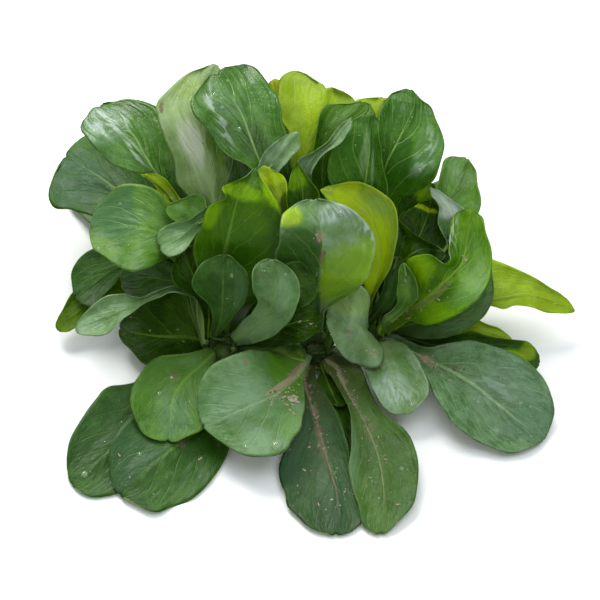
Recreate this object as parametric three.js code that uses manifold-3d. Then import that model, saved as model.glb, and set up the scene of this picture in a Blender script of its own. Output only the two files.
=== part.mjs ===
// A picked clump of corn salad: three short leafy shoots that share one cut crown.
// Each leaf is a closed spoon-shaped shell: a narrow, thicker stalk that widens into a thin, rounded, cupped blade.
// Units are millimetres, +Z is up, and the clump rests on the flat cut face of the crown at z = 0.
// The row of points below gives each leaf's middle surface: GRID_ROWS steps from the stalk's foot to the tip,
// and GRID_COLS points across, from one edge over the midrib to the other edge, in hundredths of a millimetre.
import * as THREE from "three";
import { mergeVertices } from "three/addons/utils/BufferGeometryUtils.js";
import Module from "manifold-3d";

// Driving dimensions, in millimetres
const BLADE_THICKNESS = 0.55; // a leaf's blade
const STALK_THICKNESS = 1.2; // a leaf's stalk at its foot
const STALK_SHARE = 0.3; // the share of a leaf's length over which the stalk thins to the blade
const LEAF_CLEARANCE = 0.3; // free space between a leaf's foot and the socket that holds it in the crown
const CROWN_HEIGHT = 9.0; // from the cut face to the top of a shoot's short stem
const STEM_LOW_RADIUS = 5.2; // a shoot's stem at the cut face
const STEM_MID_RADIUS = 4.7; // where the lowest leaves leave it
const STEM_HIGH_RADIUS = 3.8; // where the upper leaves leave it
const STEM_TOP_RADIUS = 2.2;
const STEM_MID_HEIGHT = 2.8;
const STEM_HIGH_HEIGHT = 6.6;
const BRIDGE_WIDTH = 6.4; // the root stock that joins the three stems
const BRIDGE_HEIGHT = 2.2;
const STEM_SIDES = 16;
const LEFT_SHOOT = [-27.77, -20.04];
const MIDDLE_SHOOT = [3.57, -19.25];
const RIGHT_SHOOT = [21.51, -15.23];

const GRID_ROWS = 12;
const GRID_COLS = 5;
const GRID_UNIT = 0.01;
const TIP_END = 0.985; // the leaf's last row, as a share of its length

const TONES = {
  leaf_deep_green: [0.045, 0.13, 0.03],
  leaf_mid_green: [0.09, 0.22, 0.055],
  leaf_yellow_green: [0.23, 0.38, 0.035],
  leaf_bluish_green: [0.17, 0.31, 0.15],
  crown: [0.16, 0.2, 0.07],
};

const LEAVES = [
  { name: "left_shoot_leaf_01", tone: "leaf_deep_green", grid: [-3214,-1307,95,-3164,-1264,95,-3115,-1221,95,-3065,-1173,95,-3016,-1124,95,-3706,-408,114,-3628,-365,85,-3546,-372,98,-3521,-269,94,-3492,-216,137,-4179,296,281,-4091,404,209,-3992,409,235,-3967,502,224,-3932,492,311,-4671,909,574,-4570,1077,469,-4450,1083,512,-4373,1252,499,-4278,1258,635,-5189,1673,780,-5083,1850,666,-4952,1826,733,-4701,2207,742,-4425,2387,932,-5887,2457,826,-5721,2668,732,-5526,2675,817,-5215,3200,868,-4876,3521,1100,-6713,3178,741,-6455,3486,671,-6163,3585,781,-5837,4190,847,-5479,4588,1092,-7508,4092,563,-7164,4443,529,-6781,4583,674,-6439,5233,728,-6061,5672,962,-8209,5007,392,-7801,5413,381,-7352,5603,551,-7039,6298,581,-6688,6779,792,-8772,5866,274,-8361,6334,255,-7906,6584,416,-7674,7291,416,-7400,7780,596,-9214,6747,222,-8907,7250,193,-8492,7531,259,-8369,8165,251,-8142,8575,338,-9274,8080,133,-9225,8329,109,-9068,8424,102,-9050,8670,110,-8925,8759,137] },
  { name: "left_shoot_leaf_02", tone: "leaf_deep_green", grid: [-2873,-1372,247,-2813,-1362,237,-2752,-1353,234,-2691,-1344,239,-2631,-1335,251,-2992,-456,305,-2924,-450,267,-2851,-494,276,-2791,-433,268,-2728,-420,308,-3096,304,419,-3027,358,339,-2949,308,356,-2889,375,341,-2821,339,423,-3311,974,651,-3183,1078,535,-3042,1020,567,-2902,1120,541,-2750,1057,663,-3752,1747,819,-3456,1877,688,-3144,1806,738,-2771,1956,707,-2386,1903,856,-4154,2731,864,-3716,2829,746,-3259,2721,807,-2763,2919,781,-2253,2911,935,-4499,3811,806,-3952,3885,701,-3385,3747,776,-2819,4002,746,-2238,4045,896,-4769,4966,664,-4154,5011,578,-3521,4839,671,-2923,5156,627,-2308,5256,763,-4978,6153,504,-4328,6148,431,-3660,5921,539,-3064,6286,479,-2450,6429,600,-5042,7321,358,-4423,7263,286,-3785,6980,394,-3231,7345,324,-2659,7485,435,-4876,8334,248,-4395,8330,200,-3887,8038,248,-3458,8388,214,-3003,8450,275,-4252,9048,136,-4123,9152,112,-3976,9058,107,-3856,9150,113,-3719,9044,137] },
  { name: "middle_shoot_leaf_01", tone: "leaf_deep_green", grid: [509,-1391,319,570,-1380,320,632,-1370,321,693,-1359,321,754,-1349,322,422,-646,505,490,-640,466,557,-683,474,622,-620,471,686,-606,515,341,55,691,409,110,610,475,62,627,544,127,620,612,88,710,87,829,853,241,933,734,393,875,763,570,975,746,743,911,877,-417,1711,955,-47,1846,814,323,1778,853,742,1924,823,1157,1868,973,-770,2840,971,-241,2917,831,288,2786,871,859,2961,833,1426,2928,975,-1008,4048,895,-361,4071,766,287,3881,817,961,4107,764,1631,4120,892,-1141,5330,733,-425,5291,625,290,5033,697,1020,5320,621,1747,5389,725,-1173,6604,548,-436,6502,459,299,6178,550,1039,6525,454,1779,6650,539,-1043,7780,380,-366,7651,296,308,7295,392,989,7674,292,1670,7826,371,-710,8790,250,-196,8747,199,315,8397,242,839,8767,197,1361,8830,247,35,9445,130,179,9556,106,322,9455,101,465,9555,106,606,9444,130] },
  { name: "right_shoot_leaf_01", tone: "leaf_deep_green", grid: [1890,-897,293,1956,-883,294,2022,-870,294,2088,-854,293,2155,-839,292,2018,562,191,2257,199,139,2490,-210,134,2728,-394,108,2962,-625,130,2060,919,313,2477,702,205,2884,383,193,3270,323,141,3646,160,187,2153,1188,669,2628,1131,509,3090,911,498,3477,896,419,3847,720,489,2494,1809,929,2903,1775,743,3295,1541,736,3687,1504,642,4058,1269,728,3009,2674,1039,3279,2595,854,3530,2312,848,3918,2176,753,4282,1839,838,3413,3678,1015,3661,3513,834,3889,3140,832,4253,2974,727,4591,2602,802,3778,4677,883,4047,4456,708,4293,4023,713,4659,3913,585,4998,3593,637,4143,5695,717,4420,5412,553,4671,4914,569,5059,4817,426,5419,4506,462,4594,6622,526,4832,6304,380,5043,5770,414,5424,5651,277,5774,5315,320,5097,7366,307,5303,7081,232,5439,6591,252,5783,6449,195,6055,6102,233,5687,7631,129,5795,7570,103,5827,7370,95,5974,7349,102,6047,7190,127] },
  { name: "left_shoot_leaf_03", tone: "leaf_deep_green", grid: [-3261,-2419,346,-3208,-2457,343,-3155,-2496,341,-3101,-2534,338,-3048,-2573,335,-4035,-2545,509,-3826,-2620,441,-3612,-2743,420,-3476,-2979,385,-3337,-3259,398,-4602,-2981,623,-4293,-3145,486,-3975,-3402,445,-3771,-3581,377,-3559,-3851,405,-5140,-3381,672,-4766,-3611,464,-4375,-3980,406,-4123,-4225,298,-3858,-4607,339,-5694,-3819,732,-5249,-4103,461,-4780,-4554,369,-4477,-4891,222,-4155,-5387,254,-6365,-4001,792,-5787,-4477,479,-5187,-5113,345,-4826,-5584,168,-4446,-6208,170,-6764,-4539,798,-6188,-5010,476,-5588,-5639,334,-5182,-6211,136,-4758,-6928,118,-7020,-5176,754,-6513,-5569,455,-5978,-6118,336,-5551,-6744,121,-5106,-7509,86,-7293,-5771,661,-6833,-6075,400,-6343,-6534,319,-5938,-7113,102,-5512,-7831,65,-7466,-6332,531,-7081,-6547,316,-6662,-6917,280,-6334,-7388,88,-5980,-8001,76,-7514,-6792,297,-7273,-7019,201,-6966,-7257,199,-6767,-7646,120,-6504,-8041,135,-7358,-7371,129,-7332,-7487,109,-7255,-7554,108,-7195,-7667,107,-7085,-7731,124] },
  { name: "left_shoot_leaf_04", tone: "leaf_deep_green", grid: [-3440,-1945,213,-3416,-2016,233,-3393,-2086,251,-3372,-2151,259,-3353,-2214,263,-3304,-1577,229,-3275,-1578,172,-3247,-1623,147,-3466,-1725,136,-3656,-1890,236,-3345,253,421,-3302,-498,283,-3264,-1321,220,-3529,-1588,165,-3758,-1966,276,-3497,379,575,-3569,-413,361,-3627,-1338,293,-3749,-1631,241,-3851,-2072,346,-3934,343,814,-3978,-422,520,-4001,-1354,406,-4039,-1706,332,-4056,-2233,438,-4336,186,1103,-4363,-569,744,-4369,-1493,565,-4436,-1891,472,-4479,-2462,559,-4675,-44,1294,-4711,-747,916,-4724,-1623,719,-4817,-2069,607,-4886,-2687,674,-5008,-281,1326,-5050,-879,971,-5068,-1653,795,-5173,-2239,661,-5251,-2991,706,-5342,-416,1257,-5382,-920,945,-5394,-1603,812,-5505,-2023,664,-5586,-2615,696,-5652,-507,1121,-5691,-911,866,-5701,-1496,790,-5800,-1741,649,-5869,-2164,688,-5981,-607,879,-6025,-920,770,-5999,-1350,756,-6093,-1537,691,-6116,-1841,722,-6275,-962,728,-6307,-1060,713,-6278,-1198,716,-6304,-1264,710,-6268,-1371,723] },
  { name: "right_shoot_leaf_02", tone: "leaf_yellow_green", grid: [2779,-1155,145,2783,-1219,144,2787,-1284,144,2792,-1346,141,2797,-1408,137,3130,-406,426,3146,-497,334,3157,-637,289,3230,-688,256,3298,-789,271,3826,138,695,3809,-69,509,3782,-377,420,3811,-522,358,3830,-767,394,4434,433,955,4468,98,681,4483,-391,555,4515,-584,472,4528,-931,537,4987,788,1282,5094,301,937,5174,-373,773,5222,-597,700,5242,-1007,806,5670,1056,1597,5776,450,1216,5850,-341,1015,5872,-515,975,5863,-878,1115,6418,1128,1790,6481,496,1421,6508,-321,1232,6505,-435,1194,6467,-740,1335,7105,719,1817,7143,323,1510,7143,-265,1383,7138,-466,1311,7096,-856,1418,7855,356,1669,7828,187,1433,7759,-177,1377,7708,-427,1272,7617,-867,1346,8422,94,1451,8384,0,1266,8301,-289,1261,8216,-507,1150,8089,-914,1219,8883,-87,1175,8872,-213,1085,8807,-419,1091,8721,-616,1044,8582,-891,1093,9217,-398,943,9263,-481,914,9269,-555,904,9211,-634,913,9112,-703,941] },
  { name: "right_shoot_leaf_03", tone: "leaf_yellow_green", grid: [1572,-1058,327,1633,-1069,323,1694,-1082,320,1754,-1097,318,1814,-1114,318,1719,-459,900,1786,-484,846,1850,-558,839,1917,-518,833,1982,-528,873,1830,-30,1555,1929,9,1445,2022,-57,1433,2096,-17,1420,2162,-82,1505,1840,339,2315,2009,442,2147,2169,377,2128,2301,415,2106,2421,286,2233,1786,652,3130,2019,826,2908,2242,791,2866,2425,849,2836,2593,699,2986,1704,956,3997,1959,1150,3738,2204,1127,3660,2403,1199,3631,2587,1055,3782,1647,1287,4829,1897,1454,4557,2136,1395,4464,2355,1464,4436,2558,1310,4588,1641,1593,5585,1889,1729,5318,2126,1631,5231,2350,1684,5205,2559,1507,5359,1667,2064,6143,1923,2141,5897,2168,1979,5831,2389,2028,5802,2594,1841,5953,1723,2696,6529,1999,2671,6324,2260,2402,6298,2475,2449,6253,2673,2254,6387,1740,3519,6740,2106,3307,6667,2438,2860,6689,2628,2918,6641,2785,2741,6689,2434,3412,6958,2559,3440,6983,2648,3306,7027,2761,3361,6983,2837,3254,6956] },
  { name: "middle_shoot_leaf_02", tone: "leaf_yellow_green", grid: [-211,-1476,292,-150,-1472,291,-88,-1468,292,-27,-1465,293,35,-1462,294,-262,-601,718,-187,-605,672,-112,-659,674,-51,-599,673,10,-589,720,-337,1,1340,-235,62,1245,-132,18,1247,-60,73,1247,11,23,1343,-465,354,2201,-320,496,2060,-173,471,2067,-35,534,2060,103,429,2202,-637,570,3161,-459,790,2988,-278,799,2995,-108,892,2981,61,774,3147,-848,843,4067,-660,1092,3884,-469,1125,3881,-298,1226,3867,-127,1108,4032,-1033,1235,4869,-838,1480,4687,-637,1500,4684,-460,1600,4665,-280,1474,4825,-1160,1680,5559,-953,1919,5386,-739,1925,5393,-556,2035,5366,-371,1912,5518,-1251,2187,6120,-1038,2415,5962,-819,2403,5984,-638,2533,5945,-454,2421,6086,-1317,2755,6552,-1112,2972,6415,-900,2942,6459,-738,3090,6400,-572,2991,6521,-1361,3478,6801,-1178,3657,6749,-985,3639,6792,-850,3762,6740,-708,3688,6782,-1177,4187,7001,-1127,4349,7019,-1067,4370,7057,-975,4450,7018,-872,4388,6997] },
  { name: "right_shoot_leaf_04", tone: "leaf_yellow_green", grid: [2768,-1604,245,2736,-1660,242,2704,-1717,239,2672,-1773,236,2640,-1830,233,2969,-1209,426,2970,-1234,357,2967,-1307,335,3022,-1337,313,3073,-1416,338,3352,-728,606,3340,-801,466,3318,-974,423,3363,-1134,381,3399,-1391,436,3888,-718,769,3843,-794,565,3782,-1024,509,3760,-1233,441,3722,-1592,523,4290,-855,955,4278,-942,707,4243,-1216,640,4231,-1483,548,4196,-1929,636,4725,-925,1104,4728,-1029,843,4706,-1319,761,4703,-1629,655,4676,-2118,728,5187,-1023,1191,5185,-1117,936,5155,-1398,861,5145,-1731,741,5108,-2241,801,5610,-1210,1215,5611,-1248,987,5581,-1474,939,5566,-1806,805,5522,-2316,850,6020,-1349,1165,6017,-1341,971,5981,-1520,956,5940,-1833,814,5868,-2323,852,6397,-1444,1077,6385,-1435,914,6340,-1612,932,6280,-1861,797,6188,-2290,842,6702,-1550,946,6709,-1606,871,6670,-1744,890,6623,-1942,828,6532,-2220,860,6919,-1780,854,6962,-1817,839,6979,-1861,843,6943,-1906,837,6881,-1958,850] },
  { name: "middle_shoot_leaf_03", tone: "leaf_deep_green", grid: [498,-2494,239,559,-2468,239,620,-2442,245,681,-2416,254,743,-2391,265,535,-2809,152,607,-2737,118,679,-2711,135,762,-2694,132,844,-2724,176,570,-3195,129,656,-3087,75,740,-3071,102,841,-3030,83,940,-3082,162,593,-3686,178,707,-3530,83,818,-3514,136,945,-3439,105,1067,-3505,222,617,-4119,173,769,-3927,62,917,-3903,121,1078,-3808,85,1233,-3882,229,675,-4542,187,847,-4341,68,1016,-4306,129,1211,-4216,101,1400,-4294,254,753,-4949,210,934,-4746,91,1110,-4707,152,1335,-4615,126,1553,-4689,280,842,-5303,220,1020,-5111,104,1192,-5081,169,1427,-4994,138,1654,-5070,287,936,-5608,213,1099,-5432,103,1257,-5418,172,1487,-5338,133,1709,-5419,273,1037,-5874,197,1176,-5718,92,1309,-5721,167,1513,-5642,115,1707,-5723,243,1160,-6091,171,1263,-6025,118,1358,-6010,160,1486,-5965,126,1604,-5971,188,1347,-6236,154,1378,-6261,144,1404,-6276,152,1427,-6245,144,1445,-6203,154] },
  { name: "middle_shoot_leaf_04", tone: "leaf_deep_green", grid: [399,-2572,353,465,-2556,363,530,-2539,370,595,-2522,372,660,-2504,369,459,-2848,384,522,-2783,366,584,-2763,388,669,-2726,380,752,-2734,409,476,-3056,378,559,-2954,324,640,-2945,365,744,-2887,346,844,-2922,423,415,-3262,329,557,-3104,245,697,-3089,309,822,-3012,277,942,-3079,396,376,-3533,356,564,-3334,250,749,-3308,324,900,-3227,288,1045,-3319,431,413,-3776,375,609,-3561,263,802,-3516,331,977,-3447,300,1146,-3551,449,484,-3982,373,671,-3759,260,855,-3705,326,1047,-3639,297,1232,-3744,447,572,-4146,361,742,-3930,251,907,-3883,322,1115,-3813,289,1315,-3913,437,673,-4291,362,817,-4092,258,956,-4062,334,1173,-3987,294,1384,-4082,435,783,-4411,368,894,-4236,269,1000,-4230,349,1211,-4155,297,1414,-4249,426,908,-4464,345,982,-4387,293,1044,-4365,336,1215,-4349,303,1372,-4390,366,1047,-4476,319,1070,-4484,308,1085,-4483,315,1121,-4487,309,1148,-4483,320] },
  { name: "left_shoot_leaf_05", tone: "leaf_deep_green", grid: [-2842,-1443,383,-2786,-1416,397,-2729,-1388,406,-2673,-1359,407,-2616,-1329,401,-3205,-443,513,-3115,-426,476,-3021,-459,487,-2984,-387,501,-2944,-364,563,-3550,197,951,-3431,288,873,-3303,275,892,-3262,336,919,-3212,292,1043,-3930,515,1665,-3781,699,1550,-3615,718,1584,-3398,905,1625,-3166,926,1814,-4499,777,2325,-4289,1051,2192,-4056,1120,2240,-3805,1457,2311,-3535,1586,2562,-5301,984,2804,-4976,1378,2682,-4622,1564,2739,-4387,2024,2855,-4127,2270,3150,-6094,1236,3045,-5699,1768,2957,-5268,2091,3048,-5039,2738,3188,-4780,3171,3508,-6932,1697,3031,-6472,2296,3009,-5972,2684,3168,-5746,3479,3320,-5486,4060,3652,-7757,2226,2966,-7231,2875,2994,-6659,3311,3201,-6441,4187,3342,-6183,4848,3663,-8459,2484,2948,-7911,3351,2968,-7311,4011,3168,-7151,4995,3260,-6949,5765,3532,-9009,3085,2998,-8587,4019,2984,-7986,4729,3066,-7971,5723,3089,-7786,6483,3208,-8763,4914,2964,-8771,5232,2944,-8645,5420,2942,-8639,5682,2947,-8500,5812,2971] },
  { name: "left_shoot_leaf_06", tone: "leaf_yellow_green", grid: [-3435,-1845,333,-3375,-1821,328,-3316,-1797,328,-3259,-1775,335,-3203,-1752,346,-3726,-1020,524,-3626,-990,480,-3522,-1008,484,-3487,-950,481,-3447,-941,525,-3976,-456,837,-3836,-338,747,-3686,-323,753,-3663,-265,744,-3631,-310,833,-4096,-38,1299,-4050,146,1158,-3987,168,1167,-4060,94,1146,-4115,-141,1274,-4692,465,1530,-4682,499,1345,-4649,334,1340,-4669,167,1304,-4666,-194,1448,-5463,469,1610,-5427,486,1395,-5363,304,1360,-5362,122,1315,-5332,-253,1449,-6237,510,1552,-6160,468,1323,-6052,229,1274,-6016,2,1212,-5951,-418,1330,-6959,499,1419,-6839,395,1186,-6684,95,1134,-6606,-168,1047,-6495,-620,1140,-7596,351,1250,-7434,212,1028,-7235,-120,986,-7125,-375,878,-6980,-817,951,-8073,32,1047,-7907,-89,853,-7701,-401,839,-7583,-608,729,-7429,-1001,799,-8355,-365,790,-8258,-521,699,-8111,-739,704,-8008,-938,655,-7857,-1197,700,-8516,-862,607,-8524,-975,584,-8489,-1057,579,-8430,-1147,582,-8328,-1206,604] },
  { name: "right_shoot_leaf_05", tone: "leaf_mid_green", grid: [2540,-1015,279,2594,-1051,283,2648,-1088,287,2702,-1121,287,2757,-1155,286,2815,-439,600,2862,-469,551,2905,-549,550,2984,-541,546,3059,-584,589,3042,-121,1123,3102,-93,1023,3152,-170,1019,3244,-174,1013,3326,-283,1104,3060,144,1858,3236,154,1705,3397,1,1701,3587,-73,1686,3759,-310,1820,3206,443,2551,3449,423,2358,3673,198,2344,3974,36,2316,4250,-325,2469,3548,662,3175,3779,647,2959,3988,423,2923,4378,197,2888,4739,-232,3033,3884,932,3701,4110,920,3472,4312,695,3423,4777,439,3381,5208,-24,3519,4165,1265,4136,4400,1256,3899,4610,1029,3842,5116,790,3793,5587,339,3924,4414,1692,4465,4656,1666,4235,4871,1417,4184,5376,1225,4126,5845,816,4249,4577,2246,4682,4856,2153,4483,5105,1833,4464,5517,1731,4395,5894,1405,4506,4781,2880,4766,5080,2691,4689,5326,2280,4708,5590,2259,4657,5801,2018,4702,5343,2886,4881,5458,2873,4894,5529,2721,4924,5615,2725,4893,5658,2590,4879] },
  { name: "middle_shoot_leaf_05", tone: "leaf_yellow_green", grid: [132,-1344,332,193,-1335,333,254,-1327,333,315,-1318,334,377,-1310,334,23,-701,950,95,-714,905,167,-777,907,235,-699,905,302,-672,951,-127,-264,1664,-27,-215,1573,73,-272,1578,178,-194,1574,282,-221,1666,-413,83,2521,-211,201,2366,-8,152,2359,225,243,2351,455,166,2491,-570,458,3519,-317,596,3268,-63,524,3197,230,624,3196,520,513,3375,-614,872,4582,-353,967,4232,-89,840,4062,251,953,4081,587,847,4279,-524,1250,5501,-301,1320,5099,-75,1159,4877,320,1292,4896,712,1199,5095,-412,1816,6206,-219,1810,5792,-25,1566,5557,430,1687,5556,882,1576,5736,-760,2587,6720,-327,2424,6325,108,2018,6109,612,2092,6083,1110,1926,6237,-862,3372,7042,-255,3045,6708,348,2472,6554,894,2603,6501,1433,2488,6627,-778,4564,7082,-87,3978,6950,547,3027,6914,1168,3254,6860,1739,3105,6901,404,3987,7171,580,3920,7188,715,3603,7223,884,3701,7180,1012,3550,7155] },
  { name: "middle_shoot_leaf_06", tone: "leaf_mid_green", grid: [-203,-2235,331,-159,-2283,328,-115,-2331,324,-72,-2379,321,-28,-2427,318,-526,-3180,425,-445,-3200,365,-364,-3265,353,-317,-3431,314,-270,-3641,323,-1196,-3497,555,-1107,-3587,436,-1016,-3769,413,-960,-4036,337,-902,-4391,358,-1968,-3969,699,-1832,-4057,520,-1688,-4285,489,-1553,-4599,370,-1413,-5047,401,-2778,-4363,730,-2564,-4480,499,-2339,-4764,449,-2167,-5124,289,-1987,-5641,309,-3661,-4633,728,-3325,-4844,466,-2974,-5220,384,-2706,-5726,192,-2430,-6382,181,-4509,-4853,719,-4047,-5196,438,-3569,-5698,337,-3198,-6362,122,-2818,-7166,88,-5247,-5187,762,-4683,-5631,467,-4102,-6230,353,-3668,-6965,118,-3225,-7833,62,-5801,-5729,750,-5200,-6151,462,-4578,-6725,355,-4147,-7415,115,-3705,-8239,62,-6112,-6418,647,-5563,-6728,400,-4992,-7190,333,-4603,-7786,123,-4199,-8518,92,-6150,-7038,377,-5798,-7334,269,-5368,-7617,255,-5110,-8144,169,-4776,-8650,179,-5905,-7784,185,-5842,-7925,164,-5716,-7999,163,-5647,-8113,161,-5516,-8160,178] },
  { name: "middle_shoot_leaf_07", tone: "leaf_deep_green", grid: [95,-2535,353,161,-2548,352,227,-2562,351,293,-2576,351,358,-2591,352,-171,-3503,517,-91,-3421,485,-10,-3384,500,205,-3432,505,419,-3525,557,-121,-4429,594,-11,-4263,529,99,-4189,561,356,-4098,571,612,-4099,678,-56,-5166,544,116,-4951,450,289,-4872,504,613,-4763,511,933,-4792,667,-340,-5926,409,57,-5639,310,456,-5513,391,816,-5451,390,1169,-5552,569,-752,-6689,264,-77,-6341,183,603,-6149,283,987,-6128,275,1365,-6265,448,-784,-7399,186,-22,-7015,107,747,-6780,209,1125,-6776,187,1495,-6927,345,-651,-8064,202,113,-7665,108,884,-7413,195,1220,-7431,148,1547,-7600,281,-529,-8454,211,226,-8150,103,984,-7992,175,1300,-8054,106,1608,-8262,216,-245,-8842,189,374,-8613,80,993,-8528,151,1365,-8606,69,1728,-8829,168,117,-9273,139,537,-9166,83,962,-9031,122,1282,-9165,78,1604,-9271,129,723,-9536,99,826,-9557,87,934,-9493,93,1025,-9544,87,1122,-9509,99] },
  { name: "left_shoot_leaf_07", tone: "leaf_bluish_green", grid: [-3232,-1561,397,-3172,-1554,394,-3113,-1546,391,-3055,-1536,385,-2997,-1527,381,-3375,-516,704,-3288,-536,666,-3198,-606,674,-3149,-561,690,-3095,-565,754,-3491,131,1325,-3368,166,1245,-3235,95,1262,-3187,122,1294,-3130,43,1424,-3671,379,2279,-3494,512,2153,-3301,478,2175,-3133,521,2224,-2951,395,2421,-4007,572,3186,-3800,834,3008,-3571,886,3010,-3384,1025,3090,-3181,951,3350,-4543,942,3986,-4316,1200,3772,-4064,1242,3738,-3817,1479,3862,-3549,1496,4165,-4998,1576,4577,-4800,1735,4373,-4574,1670,4350,-4275,2010,4492,-3952,2124,4814,-5683,1911,4962,-5395,2146,4821,-5076,2151,4860,-4709,2567,5001,-4314,2751,5322,-6540,2115,5277,-6037,2531,5194,-5495,2715,5292,-5055,3241,5411,-4584,3531,5711,-6963,2373,5568,-6453,2969,5504,-5899,3331,5620,-5545,4011,5689,-5154,4452,5939,-7343,2811,5723,-6947,3556,5687,-6435,4053,5746,-6311,4587,5753,-6079,4859,5855,-7355,4346,5781,-7265,4524,5779,-7062,4579,5795,-7024,4716,5781,-6872,4731,5785] },
  { name: "left_shoot_leaf_08", tone: "leaf_yellow_green", grid: [-2987,-1446,557,-2929,-1426,559,-2870,-1405,556,-2812,-1381,549,-2753,-1357,541,-3164,-873,823,-3093,-849,784,-3019,-873,794,-2967,-821,797,-2911,-818,848,-3328,-522,1288,-3247,-444,1206,-3157,-469,1220,-3101,-426,1229,-3037,-488,1335,-3496,-348,1924,-3399,-205,1800,-3288,-225,1824,-3219,-182,1833,-3137,-303,1990,-3690,-181,2563,-3569,14,2411,-3430,7,2440,-3313,72,2452,-3180,-65,2645,-3900,41,3130,-3763,265,2972,-3605,282,2993,-3466,373,3018,-3308,256,3222,-4125,315,3617,-3991,548,3460,-3834,570,3482,-3711,675,3508,-3568,568,3715,-4349,604,4052,-4233,822,3902,-4093,823,3932,-3990,933,3952,-3866,826,4152,-4558,976,4372,-4469,1166,4233,-4354,1135,4275,-4284,1250,4281,-4190,1143,4467,-4811,1314,4609,-4746,1478,4489,-4653,1418,4548,-4560,1627,4529,-4442,1611,4690,-5126,1531,4819,-5081,1621,4777,-5001,1567,4829,-4921,1790,4796,-4806,1870,4858,-5503,1684,5038,-5446,1723,5057,-5335,1679,5095,-5301,1760,5060,-5213,1757,5043] },
  { name: "right_shoot_leaf_06", tone: "leaf_deep_green", grid: [2318,-2124,329,2378,-2097,333,2437,-2069,337,2497,-2041,340,2557,-2012,342,2777,-1540,471,2799,-1559,434,2818,-1627,444,2922,-1697,437,3023,-1815,477,3384,-1211,639,3363,-1317,558,3332,-1521,575,3364,-1707,557,3386,-1990,637,3975,-1518,838,3931,-1614,708,3870,-1862,726,3876,-2083,690,3865,-2451,804,4490,-1813,1055,4465,-1895,866,4417,-2160,857,4439,-2424,799,4438,-2865,921,5072,-2017,1236,5035,-2094,998,4972,-2354,941,4995,-2658,864,4992,-3136,967,5675,-2031,1311,5608,-2179,1050,5512,-2507,968,5523,-2841,871,5505,-3347,954,6222,-2187,1291,6140,-2314,1025,6026,-2623,939,6021,-2975,815,5985,-3498,871,6754,-2189,1202,6647,-2358,950,6505,-2707,878,6491,-3057,736,6443,-3577,773,7259,-2091,1049,7122,-2346,833,6948,-2779,796,6935,-3099,658,6886,-3590,700,7651,-2092,803,7555,-2421,705,7381,-2823,703,7393,-3137,642,7326,-3523,677,7828,-2582,632,7847,-2693,611,7800,-2809,609,7787,-2909,609,7709,-3014,627] },
  { name: "middle_shoot_leaf_08", tone: "leaf_mid_green", grid: [511,-2523,531,571,-2494,532,631,-2464,534,691,-2435,535,751,-2405,536,837,-3291,575,950,-3098,540,1063,-2950,552,1378,-2797,556,1692,-2689,608,1120,-3968,615,1203,-3813,540,1282,-3750,562,1636,-3554,571,1986,-3451,676,1404,-4759,630,1493,-4559,520,1575,-4498,558,1872,-4295,565,2160,-4231,721,1474,-5577,597,1679,-5315,474,1875,-5215,531,2211,-5064,542,2534,-5078,733,1429,-6405,545,1772,-6098,432,2108,-5949,500,2599,-5771,521,3077,-5754,722,1375,-7095,498,1837,-6798,387,2293,-6655,456,2888,-6528,469,3467,-6558,661,1409,-7701,448,1902,-7434,329,2387,-7319,390,2979,-7251,373,3553,-7337,537,1517,-8233,392,1976,-8007,268,2427,-7929,323,2939,-7911,276,3433,-8041,409,1623,-8691,317,2024,-8514,197,2415,-8483,257,2821,-8506,191,3210,-8674,306,1758,-9124,211,2055,-9061,149,2355,-8998,182,2615,-9062,146,2876,-9125,206,2106,-9487,125,2194,-9515,108,2293,-9467,109,2373,-9500,108,2464,-9457,124] },
  { name: "middle_shoot_leaf_09", tone: "leaf_deep_green", grid: [634,-1469,508,695,-1471,509,756,-1473,509,817,-1474,509,879,-1475,509,631,-920,1178,702,-941,1140,771,-1012,1150,840,-961,1151,907,-960,1200,582,-527,1908,686,-492,1830,787,-561,1849,883,-517,1853,975,-579,1954,396,-178,2711,595,-78,2587,790,-146,2612,986,-99,2610,1177,-219,2757,338,133,3599,555,277,3426,768,211,3434,1031,271,3422,1286,121,3590,312,399,4531,518,561,4319,722,506,4287,1035,589,4267,1340,454,4428,233,675,5393,429,846,5154,622,790,5095,974,919,5061,1319,823,5207,229,1102,6113,404,1247,5854,577,1159,5775,966,1245,5717,1348,1099,5839,347,1707,6645,532,1781,6382,714,1612,6300,1090,1616,6218,1456,1381,6316,508,2553,6975,775,2420,6740,1036,2042,6686,1386,1983,6583,1724,1682,6661,1074,2984,7037,1303,2844,6934,1477,2491,6927,1825,2406,6854,2115,2110,6876,1719,2992,7073,1845,3053,7078,1902,2974,7101,2072,3013,7067,2173,2911,7052] },
  { name: "right_shoot_leaf_07", tone: "leaf_deep_green", grid: [2259,-891,338,2318,-916,337,2376,-941,336,2434,-965,334,2492,-990,332,2421,-472,677,2476,-485,628,2527,-547,626,2600,-535,621,2668,-573,663,2547,-257,1160,2614,-210,1061,2674,-266,1059,2757,-260,1050,2831,-357,1138,2640,-151,1793,2733,-60,1645,2815,-131,1647,2923,-135,1631,3017,-302,1763,2672,46,2399,2826,133,2220,2964,18,2222,3125,-13,2204,3267,-243,2367,2766,349,2911,2958,398,2722,3134,240,2714,3345,177,2704,3535,-90,2874,2885,678,3364,3110,691,3165,3318,494,3147,3568,415,3130,3796,128,3293,2952,963,3822,3239,937,3610,3507,696,3579,3784,619,3538,4037,330,3678,3086,1234,4218,3402,1165,4005,3698,877,3972,3996,807,3907,4268,521,4023,3356,1403,4530,3632,1326,4343,3886,1028,4336,4192,966,4255,4472,686,4354,3688,1520,4750,3899,1424,4684,4067,1135,4714,4313,1116,4651,4515,906,4683,4106,1310,5003,4184,1313,5030,4231,1222,5075,4293,1232,5029,4324,1149,5000] },
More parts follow.
